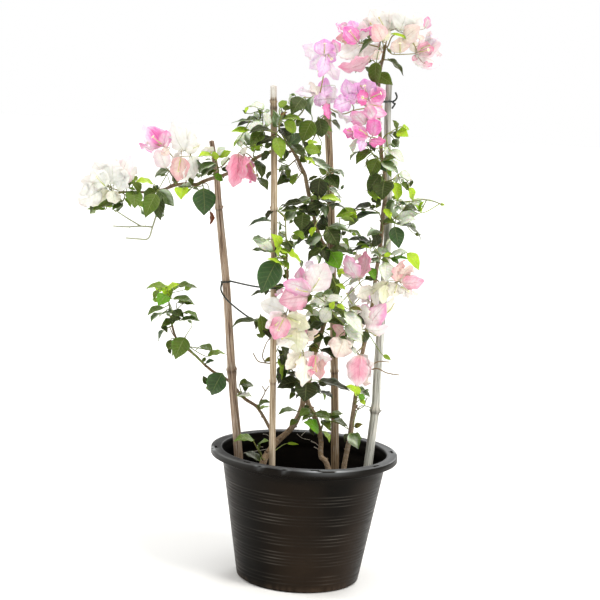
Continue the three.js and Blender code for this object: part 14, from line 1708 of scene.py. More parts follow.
def blade_material(name, leaf):
    m, nt, b = new_material(name, 0.40 if leaf else 0.62, 0.34 if leaf else 0.20)
    tint, vein, co = attr(nt, "tint"), attr(nt, "vein"), attr(nt, "blade")
    sep = node(nt, "ShaderNodeSeparateXYZ")
    nt.links.new(co.outputs["Vector"], sep.inputs[0])
    u, v, seed = sep.outputs
    av = maths(nt, "ABSOLUTE", v)
    mid = ramp(nt, av, 0.015, 0.075, 1.0, 0.0)
    half = maths(nt, "MULTIPLY", maths(nt, "GREATER_THAN", v, 0.0), 0.5)
    if leaf:
        c = maths(nt, "ADD", maths(nt, "MULTIPLY", maths(nt, "SUBTRACT", u, maths(nt, "MULTIPLY", av, 0.20)), 7.0), maths(nt, "ADD", seed, half))
        d = maths(nt, "ABSOLUTE", maths(nt, "SUBTRACT", maths(nt, "FRACT", c), 0.5))
        side = maths(nt, "MULTIPLY", ramp(nt, d, 0.02, 0.10, 1.0, 0.0), ramp(nt, av, 0.70, 0.95, 1.0, 0.0))
    else:
        c = maths(nt, "ADD", maths(nt, "MULTIPLY", maths(nt, "SUBTRACT", u, maths(nt, "MULTIPLY", av, 0.34)), 5.5), maths(nt, "ADD", seed, half))
        d = maths(nt, "ABSOLUTE", maths(nt, "SUBTRACT", maths(nt, "FRACT", c), 0.5))
        side = maths(nt, "MULTIPLY", ramp(nt, d, 0.02, 0.12, 1.0, 0.0), ramp(nt, av, 0.80, 1.0, 1.0, 0.2))
    # a fine net between the side veins
    comb = node(nt, "ShaderNodeCombineXYZ")
    nt.links.new(maths(nt, "MULTIPLY", u, 17.0 if leaf else 12.0), comb.inputs[0])
    nt.links.new(maths(nt, "MULTIPLY", v, 6.0 if leaf else 5.0), comb.inputs[1])
    nt.links.new(maths(nt, "MULTIPLY", seed, 37.0), comb.inputs[2])
    vor = node(nt, "ShaderNodeTexVoronoi", feature="DISTANCE_TO_EDGE")
    vor.inputs["Scale"].default_value = 1.0
    nt.links.new(comb.outputs[0], vor.inputs["Vector"])
    net = ramp(nt, vor.outputs["Distance"], 0.0, 0.10, 1.0, 0.0)
    mask = maths(nt, "MAXIMUM", maths(nt, "MAXIMUM", mid, maths(nt, "MULTIPLY", side, 0.55 if leaf else 0.50)), maths(nt, "MULTIPLY", net, 0.16 if leaf else 0.20))
    blot = noise(nt, comb.outputs[0], 0.55, 3.0)
    col = mixc(nt, mask, tint.outputs["Color"], vein.outputs["Color"])
    if not leaf:
        # streaks of the deeper colour run from the base to the edge
        c2 = node(nt, "ShaderNodeCombineXYZ")
        nt.links.new(maths(nt, "MULTIPLY", u, 1.6), c2.inputs[0])
        nt.links.new(maths(nt, "MULTIPLY", v, 5.5), c2.inputs[1])
        nt.links.new(maths(nt, "MULTIPLY", seed, 53.0), c2.inputs[2])
        streaks = noise(nt, c2.outputs[0], 1.1, 4.0, 0.6)
        col = mixc(nt, ramp(nt, streaks, 0.42, 0.68, 0.0, 0.60), col, vein.outputs["Color"])
        pale = noise(nt, c2.outputs[0], 0.8, 2.0)
        col = mixc(nt, ramp(nt, pale, 0.55, 0.75, 0.0, 0.45), col, (0.93, 0.86, 0.87))
    dark = mixc(nt, ramp(nt, blot, 0.35, 0.7, 0.0, 0.16 if leaf else 0.04), col, (0.02, 0.035, 0.01) if leaf else (0.75, 0.6, 0.6))
    nt.links.new(dark, b.inputs["Base Color"])
    rg = ramp(nt, blot, 0.3, 0.75, 0.34 if leaf else 0.55, 0.52 if leaf else 0.72)
    nt.links.new(rg, b.inputs["Roughness"])
    puff = maths(nt, "SUBTRACT", maths(nt, "MULTIPLY", d, 1.2 if leaf else 0.8), maths(nt, "MULTIPLY", mask, 0.7))
    bump(nt, b, puff, 0.55 if leaf else 0.6, 0.0007)
    if leaf:
        b.inputs["Specular Tint"].default_value = (1.0, 0.98, 0.72, 1.0)
        b.inputs["Subsurface Weight"].default_value = 0.22
        b.inputs["Subsurface Radius"].default_value = (0.35, 1.0, 0.12)
        b.inputs["Subsurface Scale"].default_value = 0.0012
    else:
        b.inputs["Subsurface Weight"].default_value = 0.55
        b.inputs["Subsurface Radius"].default_value = (1.0, 0.75, 0.8)
        b.inputs["Subsurface Scale"].default_value = 0.0022
        b.inputs["Sheen Weight"].default_value = 0.10
    return m


def stalk_material():
    m, nt, b = new_material("green_twig", 0.55, 0.35)
    tint, co = attr(nt, "tint"), attr(nt, "blade")
    mp = node(nt, "ShaderNodeMapping")
    mp.inputs["Scale"].default_value = (0.22, 1.4, 1.4)
    nt.links.new(co.outputs["Vector"], mp.inputs[0])
    f = noise(nt, mp.outputs[0], 1.6, 3.0)
    col = mixc(nt, ramp(nt, f, 0.35, 0.7, 0.0, 0.45), tint.outputs["Color"], (0.10, 0.07, 0.03))
    nt.links.new(col, b.inputs["Base Color"])
    nt.links.new(ramp(nt, f, 0.3, 0.7, 0.45, 0.65), b.inputs["Roughness"])
    bump(nt, b, f, 0.4, 0.0006)
    return m


def plain_attr_material(name, rough):
    m, nt, b = new_material(name, rough, 0.3)
    tint = attr(nt, "tint")
    co = node(nt, "ShaderNodeTexCoord")
    f = noise(nt, co.outputs["Object"], 900.0, 2.0)
    nt.links.new(mixc(nt, ramp(nt, f, 0.3, 0.8, 0.0, 0.18), tint.outputs["Color"], (0.45, 0.42, 0.2)), b.inputs["Base Color"])
    bump(nt, b, f, 0.25, 0.0003)
    return m


def bark_material():
    m, nt, b = new_material("bark", 0.80, 0.22)
    tint, co = attr(nt, "tint"), attr(nt, "blade")
    mp = node(nt, "ShaderNodeMapping")
    mp.inputs["Scale"].default_value = (0.045, 1.5, 1.5)
    nt.links.new(co.outputs["Vector"], mp.inputs[0])
    streak = noise(nt, mp.outputs[0], 3.2, 5.0, 0.65)
    mp2 = node(nt, "ShaderNodeMapping")
    mp2.inputs["Scale"].default_value = (0.22, 0.7, 0.7)
    nt.links.new(co.outputs["Vector"], mp2.inputs[0])
    patch = noise(nt, mp2.outputs[0], 1.0, 3.0)
    vo = node(nt, "ShaderNodeTexVoronoi", feature="DISTANCE_TO_EDGE")
    mp3 = node(nt, "ShaderNodeMapping")
    mp3.inputs["Scale"].default_value = (0.16, 1.9, 1.9)
    nt.links.new(co.outputs["Vector"], mp3.inputs[0])
    nt.links.new(mp3.outputs[0], vo.inputs["Vector"])
    vo.inputs["Scale"].default_value = 1.3
    crack = ramp(nt, vo.outputs["Distance"], 0.0, 0.09, 1.0, 0.0)
    c1 = mixc(nt, ramp(nt, streak, 0.34, 0.70, 0.0, 0.65), tint.outputs["Color"], (0.15, 0.10, 0.066))
    c2 = mixc(nt, ramp(nt, patch, 0.45, 0.75, 0.0, 0.60), c1, (0.52, 0.44, 0.35))
    c3 = mixc(nt, maths(nt, "MULTIPLY", crack, 0.5), c2, (0.05, 0.03, 0.018))
    nt.links.new(c3, b.inputs["Base Color"])
    nt.links.new(ramp(nt, streak, 0.3, 0.7, 0.70, 0.92), b.inputs["Roughness"])
    bump(nt, b, maths(nt, "SUBTRACT", streak, maths(nt, "MULTIPLY", crack, 0.6)), 0.9, 0.0013)
    return m


def bamboo_material():
    m, nt, b = new_material("bamboo", 0.5, 0.35)
    tint, vein, co = attr(nt, "tint"), attr(nt, "vein"), attr(nt, "blade")
    mp = node(nt, "ShaderNodeMapping")
    mp.inputs["Scale"].default_value = (0.006, 3.2, 3.2)
    nt.links.new(co.outputs["Vector"], mp.inputs[0])
    fibre = noise(nt, mp.outputs[0], 2.6, 5.0, 0.7)
    mp2 = node(nt, "ShaderNodeMapping")
    mp2.inputs["Scale"].default_value = (0.012, 1.0, 1.0)
    nt.links.new(co.outputs["Vector"], mp2.inputs[0])
    stain = noise(nt, mp2.outputs[0], 1.7, 3.0)
    mp3 = node(nt, "ShaderNodeMapping")
    mp3.inputs["Scale"].default_value = (0.06, 1.3, 1.3)
    nt.links.new(co.outputs["Vector"], mp3.inputs[0])
    speck = noise(nt, mp3.outputs[0], 3.4, 2.0)
    c1 = mixc(nt, ramp(nt, fibre, 0.36, 0.66, 0.0, 0.55), tint.outputs["Color"], vein.outputs["Color"])
    c2 = mixc(nt, ramp(nt, stain, 0.42, 0.75, 0.0, 0.55), c1, vein.outputs["Color"])
    mp4 = node(nt, "ShaderNodeMapping")
    mp4.inputs["Scale"].default_value = (0.008, 1.7, 1.7)
    nt.links.new(co.outputs["Vector"], mp4.inputs[0])
    thin = noise(nt, mp4.outputs[0], 2.2, 3.0, 0.6)
    c2 = mixc(nt, ramp(nt, thin, 0.51, 0.60, 0.0, 0.74), c2, vein.outputs["Color"], "MULTIPLY")
    c2 = mixc(nt, ramp(nt, thin, 0.46, 0.37, 0.0, 0.50), c2, (0.72, 0.66, 0.57))
    c3 = mixc(nt, ramp(nt, speck, 0.66, 0.74, 0.0, 0.5), c2, (0.07, 0.045, 0.03))
    nt.links.new(c3, b.inputs["Base Color"])
    nt.links.new(ramp(nt, stain, 0.3, 0.7, 0.42, 0.68), b.inputs["Roughness"])
    bump(nt, b, maths(nt, "ADD", fibre, maths(nt, "MULTIPLY", speck, 0.3)), 0.55, 0.0007)
    return m


def pot_material():
    m, nt, b = new_material("black_pot_plastic", 0.38, 0.40, Specular_Tint=(1.0, 0.90, 0.78, 1.0), IOR=1.2)
    co = node(nt, "ShaderNodeTexCoord")
    tint = attr(nt, "tint")
    big = noise(nt, co.outputs["Object"], 9.0, 3.0)
    mp = node(nt, "ShaderNodeMapping")
    mp.inputs["Scale"].default_value = (1.0, 1.0, 22.0)
    nt.links.new(co.outputs["Object"], mp.inputs[0])
    drawn = noise(nt, mp.outputs[0], 16.0, 4.0, 0.6)
    dust = noise(nt, co.outputs["Object"], 220.0, 4.0, 0.65)
    c1 = mixc(nt, ramp(nt, big, 0.42, 0.74, 0.0, 0.50), tint.outputs["Color"], (0.006, 0.0045, 0.0035))
    c2 = mixc(nt, maths(nt, "MULTIPLY", ramp(nt, dust, 0.56, 0.80, 0.0, 1.0), ramp(nt, big, 0.46, 0.70, 0.01, 0.06)), c1, (0.12, 0.10, 0.085))
    nt.links.new(c2, b.inputs["Base Color"])
    nt.links.new(ramp(nt, drawn, 0.3, 0.7, 0.30, 0.46), b.inputs["Roughness"])
    grain = noise(nt, co.outputs["Object"], 1500.0, 1.0)
    bump(nt, b, maths(nt, "ADD", maths(nt, "MULTIPLY", grain, 0.25), drawn), 0.16, 0.0012)
    return m


def soil_material():
    m, nt, b = new_material("potting_mix", 0.95, 0.15)
    tint = attr(nt, "tint")
    co = node(nt, "ShaderNodeTexCoord")
    f = noise(nt, co.outputs["Object"], 160.0, 6.0, 0.7)
    g = noise(nt, co.outputs["Object"], 45.0, 3.0)
    c1 = mixc(nt, ramp(nt, f, 0.35, 0.7, 0.0, 0.8), tint.outputs["Color"], (0.012, 0.009, 0.007))
    c2 = mixc(nt, ramp(nt, g, 0.55, 0.75, 0.0, 0.35), c1, (0.085, 0.060, 0.040))
    nt.links.new(c2, b.inputs["Base Color"])
    nt.links.new(ramp(nt, f, 0.3, 0.7, 0.85, 1.0), b.inputs["Roughness"])
    bump(nt, b, f, 0.9, 0.003)
    return m


def wire_material():
    m, nt, b = new_material("coated_wire", 0.38, 0.5)
    co = node(nt, "ShaderNodeTexCoord")
    f = noise(nt, co.outputs["Object"], 260.0, 3.0)
    nt.links.new(mixc(nt, ramp(nt, f, 0.4, 0.7), (0.012, 0.020, 0.016), (0.035, 0.045, 0.035)), b.inputs["Base Color"])
    nt.links.new(ramp(nt, f, 0.3, 0.7, 0.30, 0.5), b.inputs["Roughness"])
    bump(nt, b, f, 0.3, 0.0004)
    return m


M_LEAF = blade_material("leaf_blade", True)
M_BRACT = blade_material("papery_bract", False)
M_TWIG = stalk_material()
M_FLOWER = plain_attr_material("tube_flower", 0.6)
M_BARK = bark_material()
M_BAMBOO = bamboo_material()
M_POT = pot_material()
M_SOIL = soil_material()
M_WIRE = wire_material()
FOLIAGE = [M_LEAF, M_BRACT, M_TWIG, M_FLOWER]

# ------------------------------------------------------------------ stems and canes


def path_of(name, step=3.0):
    row = np.asarray(BARS[name], float)
    if row[0, 2] > row[-1, 2] and name.startswith("stake"):
        row = row[::-1]
    return spline(row[:, :3], row[:, 3], step)


for _n in BARS:
    STEM_LINES.append(path_of(_n, 6.0)[0])

made = []


def keep(piece, node_name, slot, materials):
    o = piece.build(materials)
    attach(o, "root")
    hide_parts(node_name)
    made.append(o)
    return o


CANE_LOOK = {
    # light colour, dark streak colour, node heights
    "stake_left_bamboo": ((196, 172, 148), (112, 88, 68), (591, 335, 150)),
    "stake_front_cane": ((208, 192, 164), (158, 134, 106), (762, 598, 330)),
    "stake_centre_bamboo": ((174, 150, 118), (104, 82, 60), (560, 330)),
    "stake_right_bamboo": ((222, 224, 216), (132, 132, 122), (620, 440, 276)),
}
for name, (lightc, darkc, nodes_z) in CANE_LOOK.items():
    P, R = path_of(name, 2.0)
    piece = Piece("vis_" + name)
    light, dark = lin(lightc), lin(darkc)
    cols = np.repeat(light[None], len(P), 0)
    vein = dark
    z = P[:, 2]
    R = R.copy()
    for k, zn in enumerate(nodes_z):
        # a swollen joint with a sunk line under its ridge
        R += 1.0 * np.exp(-(((z - zn) / 3.4) ** 2)) - 0.55 * np.exp(-(((z - zn + 3.6) / 1.1) ** 2)) - 0.35 * np.exp(-(((z - zn - 3.4) / 1.2) ** 2))
        w = np.exp(-(((z - zn + 3.6) / 1.8) ** 2))
        cols = mix(cols, lin((62, 46, 34)), 0.85 * w)
        cols = mix(cols, lin((226, 216, 196)), 0.35 * np.exp(-(((z - zn - 6) / 5.0) ** 2)))
        cols = mix(cols, dark, 0.35 * np.exp(-(((z - zn + 16) / 14.0) ** 2)))
    # one cane is paler towards its top, the other browner
    if name == "stake_centre_bamboo":
        cols = mix(cols, lin((222, 198, 166)), 0.70 * smooth(540, 680, z))
    if name == "stake_front_cane":
        cols = mix(cols, lin((170, 150, 120)), 0.60 * smooth(540, 680, z))
        top = smooth(z.max() - 20, z.max() - 15, z)
        cols = mix(cols, lin((240, 240, 236)), 0.95 * top)
        ring = np.exp(-(((z - (z.max() - 20.5)) / 2.0) ** 2)) + np.exp(-(((z - (z.max() - 33)) / 4.2) ** 2))
        cols = mix(cols, lin((44, 38, 24)), 0.92 * np.clip(ring, 0, 1))
        R = R + 0.7 * np.exp(-(((z - (z.max() - 33)) / 4.5) ** 2)) - 0.4 * np.exp(-(((z - (z.max() - 20.5)) / 1.6) ** 2))
    if name == "stake_right_bamboo":
        # the scarred joint low on this cane
        R = R + 1.6 * np.exp(-(((z - 277) / 5.5) ** 2))
        cols = mix(cols, lin((104, 96, 84)), 0.55 * np.exp(-(((z - 277) / 5.0) ** 2)))
    if name == "stake_left_bamboo":
        R = R + 1.5 * np.exp(-(((z - 331) / 8.0) ** 2))
        cols = mix(cols, lin((84, 62, 46)), 0.45 * np.exp(-(((z - 332) / 7.0) ** 2)))
        cols = mix(cols, lin((96, 70, 52)), 0.5 * smooth(z.max() - 60, z.max(), z))
    # darker towards the foot, from just under the rim down to the mix
    cols = mix(cols, lin((70, 52, 38)), 0.55 * smooth(200, 142, z) * (0.35 if name == "stake_right_bamboo" else 1.0))
    rng = np.random.default_rng(len(name) * 7 + 3)
    ph = rng.random(6) * 6.283

    def ripple(s, ang, ph=ph):
        return 0.10 * np.sin(3 * ang + ph[0] + s * 0.004) + 0.06 * np.sin(7 * ang + ph[1] + s * 0.006) + 0.05 * np.sin(s * 0.11 + ph[2])

    tube(piece, P, R, 28, 0, cols, 0.0, ripple, vein=dark)
    # small leftover buds and split fibres at the joints
    for zn in nodes_z:
        i = int(np.abs(P[:, 2] - zn).argmin())
        for k in range(2):
            a = rng.random() * 6.283
            d = np.array([math.cos(a), math.sin(a), 0.0])
            q0 = P[i] + d * (R[i] - 0.6)
            tube(piece, [q0, q0 + d * 1.1 + [0, 0, 1.2], q0 + d * 1.5 + [0, 0, 3.4]], [1.2, 0.9, 0.25], 7, 0, mix(light, dark, 0.5), 0.3, vein=dark)
    keep(piece, name, "bamboo", [M_BAMBOO])

STEM_LOOK = {
    "stem_left": (182, 152, 118), "stem_centre": (182, 154, 120), "stem_right": (190, 166, 136),
    "stem_left_arm": (158, 128, 94), "stem_low_left": (174, 144, 110),
}
for name, c in STEM_LOOK.items():
    P, R = path_of(name, 2.2)
    piece = Piece("vis_" + name)
    base = lin(c)
    rng = np.random.default_rng(len(name) * 11 + 5)
    ph = rng.random(8) * 6.283
    t = np.linspace(0, 1, len(P))
    cols = mix(np.repeat(base[None], len(P), 0), lin((112, 92, 58)), 0.5 * smooth(0.6, 1.0, t))
    cols = mix(cols, lin((206, 186, 162)), 0.30 * (0.5 + 0.5 * np.sin(t * 23 + ph[0])))
    cols = mix(cols, lin((60, 44, 32)), 0.5 * smooth(175, 140, P[:, 2]))
    R = R * (1 + 0.05 * np.sin(t * 61 + ph[1]) + 0.05 * np.sin(t * 29 + ph[2]))
    # the foot flares a little where it meets the mix
    if name in ("stem_left", "stem_centre", "stem_right"):
        R = R * (1 + 0.22 * smooth(165, 138, P[:, 2]))

    def ripple(s, ang, ph=ph):
        return 0.16 * np.sin(3 * ang + ph[3] + s * 0.03) + 0.12 * np.sin(5 * ang + ph[4] - s * 0.05) + 0.08 * np.sin(s * 0.45 + ph[5] + ang)

    scale = np.clip(R / 4.0, 0.4, 1.3)
    tube(piece, P, R, 18, 0, cols, 0.0, lambda s, ang, f=ripple: f(s, ang))
    # knots and cut stubs
    for k in range(max(3, len(P) // 16)):
        i = int(rng.integers(4, len(P) - 3))
        if P[i, 2] < 150:
            continue
        T = unit(P[i + 1] - P[i - 1])
        d = unit(np.cross(T, rng.normal(size=3)))
        ln = rng.uniform(0.8, 3.4)
        q0 = P[i] + d * R[i] * 0.7
        r0 = min(R[i] * 0.55, 1.7)
        tube(piece, [q0, q0 + d * (R[i] * 0.3 + ln * 0.5) + T * 0.4, q0 + d * (R[i] * 0.3 + ln) + T * 1.0], [r0 * 1.3, r0, r0 * 0.55], 8, 0, mix(base, lin((90, 66, 48)), 0.5))
    keep(piece, name, "bark", [M_BARK])

for name, lines_ in BARE.items():
    piece = Piece("vis_" + name)
    rng = np.random.default_rng(len(name) * 13 + 1)
    done = []
    pale = name in ("bare_twig_left_arm",)
    for row in lines_:
        row = np.asarray(row, float)
        P, R = row[:, :3], row[:, 3] * (1.35 if pale else 1.1)
        hit = nearest_on(done, P[0]) if done else nearest_on(STEM_LINES, P[0])
        if hit and hit[0] < 12:
            P = np.concatenate([[hit[1]], P])
            R = np.concatenate([[R[0]], R])
        P, R = spline(P, R, 2.5)
        done.append(P)
        t = np.linspace(0, 1, len(P))
        c0, c1 = (lin((150, 156, 124)), lin((190, 196, 168))) if pale else (lin((126, 98, 74)), lin((140, 120, 84)))
        tube(piece, P, R, 8, 0, mix(np.repeat(c0[None], len(P), 0), c1, t))
        for k in range(len(P) // 6):
            i = int(rng.integers(1, len(P) - 1))
            d = unit(rng.normal(size=3))
            tube(piece, [P[i], P[i] + d * (R[i] + 0.5), P[i] + d * (R[i] + 1.1)], [0.7, 0.6, 0.25], 6, 0, c0)
    keep(piece, name, "bark", [M_TWIG])

for name, (loops, tails) in TIES.items():
    piece = Piece("vis_" + name)
    for k, ring in enumerate(loops):
        q = np.asarray(ring, float)
        q = np.concatenate([q, q[:2]])
        P, R = spline(q, np.full(len(q), 1.4), 1.5)
        tube(piece, P, R, 8, 0, lin((24, 34, 28)))
        # the two ends twisted together beside the loop
        c = q[:-2].mean(0)
        far = q[int(np.linalg.norm(q - c, axis=1).argmax())]
        out = unit(far - c)
        up = unit(np.cross(out, q[2] - q[0]))
        for ph in (0, math.pi):
            t = np.linspace(0, 1, 22)
            tw = far + out * (t * 8.0)[:, None] + (np.cos(t * 15 + ph) * 0.75)[:, None] * up + (np.sin(t * 15 + ph) * 0.75)[:, None] * unit(np.cross(out, up))
            if name == "tie_wire_right" or k == 0:
                tube(piece, tw, np.full(22, 0.8), 6, 0, lin((24, 34, 28)))
    for row in tails:
        q = np.asarray(row, float)
        P, R = spline(q, np.full(len(q), 1.4), 2.0)
        tube(piece, P, R, 8, 0, lin((24, 34, 28)))
    keep(piece, name, "tie_wire", [M_WIRE])

# ------------------------------------------------------------------ pot
POT_H, RIM_R, RIM_IN_R, RIM_H, WALL, BASE_R, TOP_R, WALL_TOP = 209.0, 150.0, 132.2, 10.7, 3.0, 98.4, 132.0, 196.0


def wall_r(z):
    return BASE_R + (TOP_R - BASE_R) * z / WALL_TOP


GROOVES = []
for lo, hi, n in ((145.5, 161.0, 4), (113.0, 128.5, 4), (79.0, 96.0, 4), (45.0, 66.0, 5), (14.0, 27.0, 3)):
    GROOVES += list(np.linspace(lo, hi, n))


def pot_profile():
    z1 = POT_H - RIM_H
    p = [(0.0, 0.0), (24, 0), (26, 2.5), (83, 2.5), (85, 0.2), (87, 0.0), (93.8, 0.0), (95.3, 0.5), (96.3, 1.6)]
    for z in np.arange(3.0, 189.5, 1.1):
        g = 0.0
        for c in GROOVES:
            g += 0.30 * math.exp(-(((z - c) / 0.75) ** 2)) - 0.10 * math.exp(-(((z - c - 1.5) / 0.8) ** 2))
        p.append((wall_r(z) - g - 0.12, z))
    p += [
        (wall_r(190.2), 190.2), (wall_r(190.6) + 0.9, 190.8), (TOP_R + 1.5, 191.6), (TOP_R + 1.7, 194.6), (TOP_R + 2.2, 195.0), (TOP_R + 2.6, 195.6),
        (TOP_R + 2.8, z1 - 0.5), (TOP_R + 3.6, z1), (RIM_R - 1.6, z1), (RIM_R - 0.5, z1 + 0.35), (RIM_R, z1 + 1.3),
        (RIM_R, POT_H - 2.2), (RIM_R - 0.15, POT_H - 1.3), (RIM_R - 0.7, POT_H - 0.55), (RIM_R - 1.6, POT_H - 0.15), (RIM_R - 2.6, POT_H), (RIM_R - 3.2, POT_H - 0.05),
        (RIM_R - 3.9, POT_H - 0.4), (RIM_R - 4.6, POT_H - 0.45), (RIM_IN_R + 4.0, POT_H - 0.35), (RIM_IN_R + 2.6, POT_H - 0.05), (RIM_IN_R + 1.6, POT_H - 0.1), (RIM_IN_R + 0.7, POT_H - 0.7), (RIM_IN_R + 0.1, POT_H - 1.9),
        (RIM_IN_R - 0.4, POT_H - 5), (RIM_IN_R - 1.2, z1 - 0.4), (wall_r(189) - WALL - 0.3, 188.8), (wall_r(189) - WALL, 187.5),
    ]
    for z in np.arange(180.0, 10.0, -10.0):
        p.append((wall_r(z) - WALL, z))
    p += [(wall_r(9) - WALL, 9.5), (wall_r(7) - WALL - 2.5, 6.4), (wall_r(6) - WALL - 5, 6.0), (0.0, 6.0)]
    return np.array(p)


def make_pot():
    seg = 160
    prof = pot_profile()
    ang = np.arange(seg) / seg * 2 * math.pi
    mid = prof[1:-1]
    V = np.stack([mid[:, 0:1] * np.cos(ang), mid[:, 0:1] * np.sin(ang), np.repeat(mid[:, 1:2], seg, 1)], -1).reshape(-1, 3)
    n = len(mid)
    V = np.concatenate([V, [[0, 0, prof[0][1]], [0, 0, prof[-1][1]]]])
    j = np.arange(seg)
    k = (j + 1) % seg
    bot = np.stack([np.full(seg, n * seg), k, j], -1)
    top = np.stack([np.full(seg, n * seg + 1), (n - 1) * seg + j, (n - 1) * seg + k], -1)
    col = np.repeat(lin((12, 10, 8))[None], len(V), 0)
    rr = np.hypot(V[:, 0], V[:, 1])
    a = np.arctan2(V[:, 1], V[:, 0])
    # painted reflections along the fine grooves: lighter lines, stronger on some sides than on others
    groove_glint = np.zeros(len(V))
    for i, zc in enumerate(GROOVES):
        # each line fades in and out on its own
        own = 0.62 + 0.38 * np.sin(3 * a + 2.1 * i) * np.sin(7 * a + 1.3 * i)
        groove_glint = np.maximum(groove_glint, own * np.exp(-(((V[:, 2] - zc - 0.6) / 0.75) ** 2)))
    # sides: where the painted groove reflections show most, and how strongly
    sides = 0.10 + 0.04 * np.sin(3 * a + 1.0)
    for deg, wide in ((-113, 11), (-62, 12), (-14, 9), (22, 14), (64, 10), (108, 13), (150, 9), (-162, 12)):
        da = (np.degrees(a) - deg + 180) % 360 - 180
        sides = sides + 0.62 * np.exp(-((da / wide) ** 2))
    wall = (rr > 86) * (V[:, 2] < 175) * (V[:, 2] > 8)
    col = mix(col, lin((128, 122, 114)), np.clip(0.66 * groove_glint * sides * wall, 0, 1))
    # painted reflections: blacker panels between browner ones, up and down the wall
    reflection_panel = np.zeros(len(V))
    for deg, wide, low, high in ((-134, 24, 1.25, 0.85), (-64, 17, 0.1, 1.25), (-20, 12, 0.7, 1), (30, 14, 1, 1), (78, 13, 1, 0.8), (126, 15, 1, 1), (172, 10, 0.8, 1)):
        da = (np.degrees(a) - deg + 180) % 360 - 180
        reflection_panel = reflection_panel + np.exp(-((da / wide) ** 2)) * (low + (high - low) * V[:, 2] / 190)
    body = (rr > 80) * smooth(190, 178, V[:, 2])
    col = mix(col, lin((3, 3, 3)), 0.9 * np.clip(reflection_panel, 0, 1) * body * (1 - groove_glint * wall))
    col = mix(col, lin((56, 43, 32)), 0.27 * np.clip(1 - reflection_panel, 0, 1) * body * (1 - groove_glint * wall))
    # painted reflection of the floor: browner low on the wall, more on some sides
    col = mix(col, lin((64, 50, 38)), 0.42 * smooth(150, 20, V[:, 2]) * (0.5 + 0.5 * np.sin(2 * a + 3.4)) * (rr > 80) * np.clip(1 - reflection_panel, 0, 1))
    # painted highlight along the rim's edges, and scuffs near the foot
    edge = smooth(POT_H - 3.2, POT_H - 0.4, V[:, 2]) * (smooth(RIM_R - 4, RIM_R - 1.0, rr) + smooth(RIM_IN_R + 3, RIM_IN_R + 0.6, rr))
    edge_sheen_amount = np.clip(0.30 + 0.5 * np.sin(2 * a + 0.6) + 0.5 * np.sin(5 * a + 1.1), 0, 1)
    col = mix(col, lin((150, 152, 152)), 0.42 * np.clip(edge, 0, 1) * edge_sheen_amount)
    # painted sheen: the rim's top face lighter, more on the right-hand side than on the left
    sheen_top_face = smooth(POT_H - 1.0, POT_H - 0.5, V[:, 2]) * (rr > RIM_IN_R)
    col = mix(col, lin((112, 115, 118)), (0.24 + 0.46 * smooth(-0.75, 0.15, np.cos(a))) * sheen_top_face * (0.8 + 0.2 * np.sin(3 * a + 1.2)))
    # painted glints: short shining stretches of the rim's outer corner
    for deg, wide, much in ((-76, 13, 0.75), (-169, 5, 0.7), (-117, 2.0, 0.9), (-101, 1.6, 0.9), (143, 6, 0.5), (62, 9, 0.5), (8, 5, 0.45)):
        da = (np.degrees(a) - deg + 180) % 360 - 180
        corner_glint = smooth(POT_H - 2.6, POT_H - 1.2, V[:, 2]) * smooth(RIM_R - 5.2, RIM_R - 3.4, rr)
        col = mix(col, lin((205, 210, 214)), much * np.exp(-((da / wide) ** 2)) * corner_glint)
    # painted shade: the inner face is blacker from just under the rim down
    inner_shade = (rr < RIM_IN_R - 0.2) * smooth(POT_H - 2.0, POT_H - 8.0, V[:, 2]) * (V[:, 2] > 7) * (wall_r(V[:, 2]) - rr > 1.6)
    col = mix(col, lin((6, 5, 4)), 0.85 * inner_shade)
    foot = smooth(14, 2, V[:, 2]) * (rr > 80)
    col = mix(col, lin((96, 80, 66)), 0.35 * foot * (0.5 + 0.5 * np.sin(31 * a + 5 * np.sin(7 * a))))
    piece = Piece("vis_pot")
    piece.add(V, [ring_faces(n, seg), bot, top], 0, col)
    o = piece.build([M_POT])
    # drainage holes and the slots in the rim
    cut = Piece("cutters")
    for i in range(6):
        t = (i + 0.5) / 6 * 2 * math.pi
        x, y = 52 * math.cos(t), 52 * math.sin(t)
        tube(cut, [(x, y, -3), (x, y, 12)], [6.0, 6.0], 24, 0, (0, 0, 0))
    for deg, half in SLOT_AT:
        t = math.radians(deg)
        r = (RIM_R + RIM_IN_R) / 2 + 1.4
        pts = []
        for q in np.linspace(-half, half, 7):
            aa = t + q / r
            pts.append((r * math.cos(aa), r * math.sin(aa)))
        Vc, seg2 = [], 8
        ring = []
        for w, zz in ((-1.7, POT_H - 5.0), (1.7, POT_H - 5.0), (1.7, POT_H + 4), (-1.7, POT_H + 4)):
            ring.append([(p[0] * (r + w) / r, p[1] * (r + w) / r, zz) for p in pts])
        Vc = np.array(ring).transpose(1, 0, 2).reshape(-1, 3)
        m = len(pts)
        F = ring_faces(m, 4)
        cut.add(Vc, [F, np.array([[3, 2, 1, 0]]), np.array([[(m - 1) * 4 + q for q in (0, 1, 2, 3)]])], 0, (0, 0, 0))
    c = cut.build([M_POT])
    bm = bmesh.new()
    bm.from_mesh(c.data)
    bmesh.ops.recalc_face_normals(bm, faces=bm.faces)
    bm.to_mesh(c.data)
    bm.free()
    mod = o.modifiers.new("cut", "BOOLEAN")
    mod.operation = "DIFFERENCE"
    mod.object = c
    mod.solver = "EXACT"
    dg = bpy.context.evaluated_depsgraph_get()
    mesh = bpy.data.meshes.new_from_object(o.evaluated_get(dg), preserve_all_data_layers=True, depsgraph=dg)
    o.modifiers.clear()
    old = o.data
    o.data = mesh
    bpy.data.meshes.remove(old)
    bpy.data.objects.remove(c)
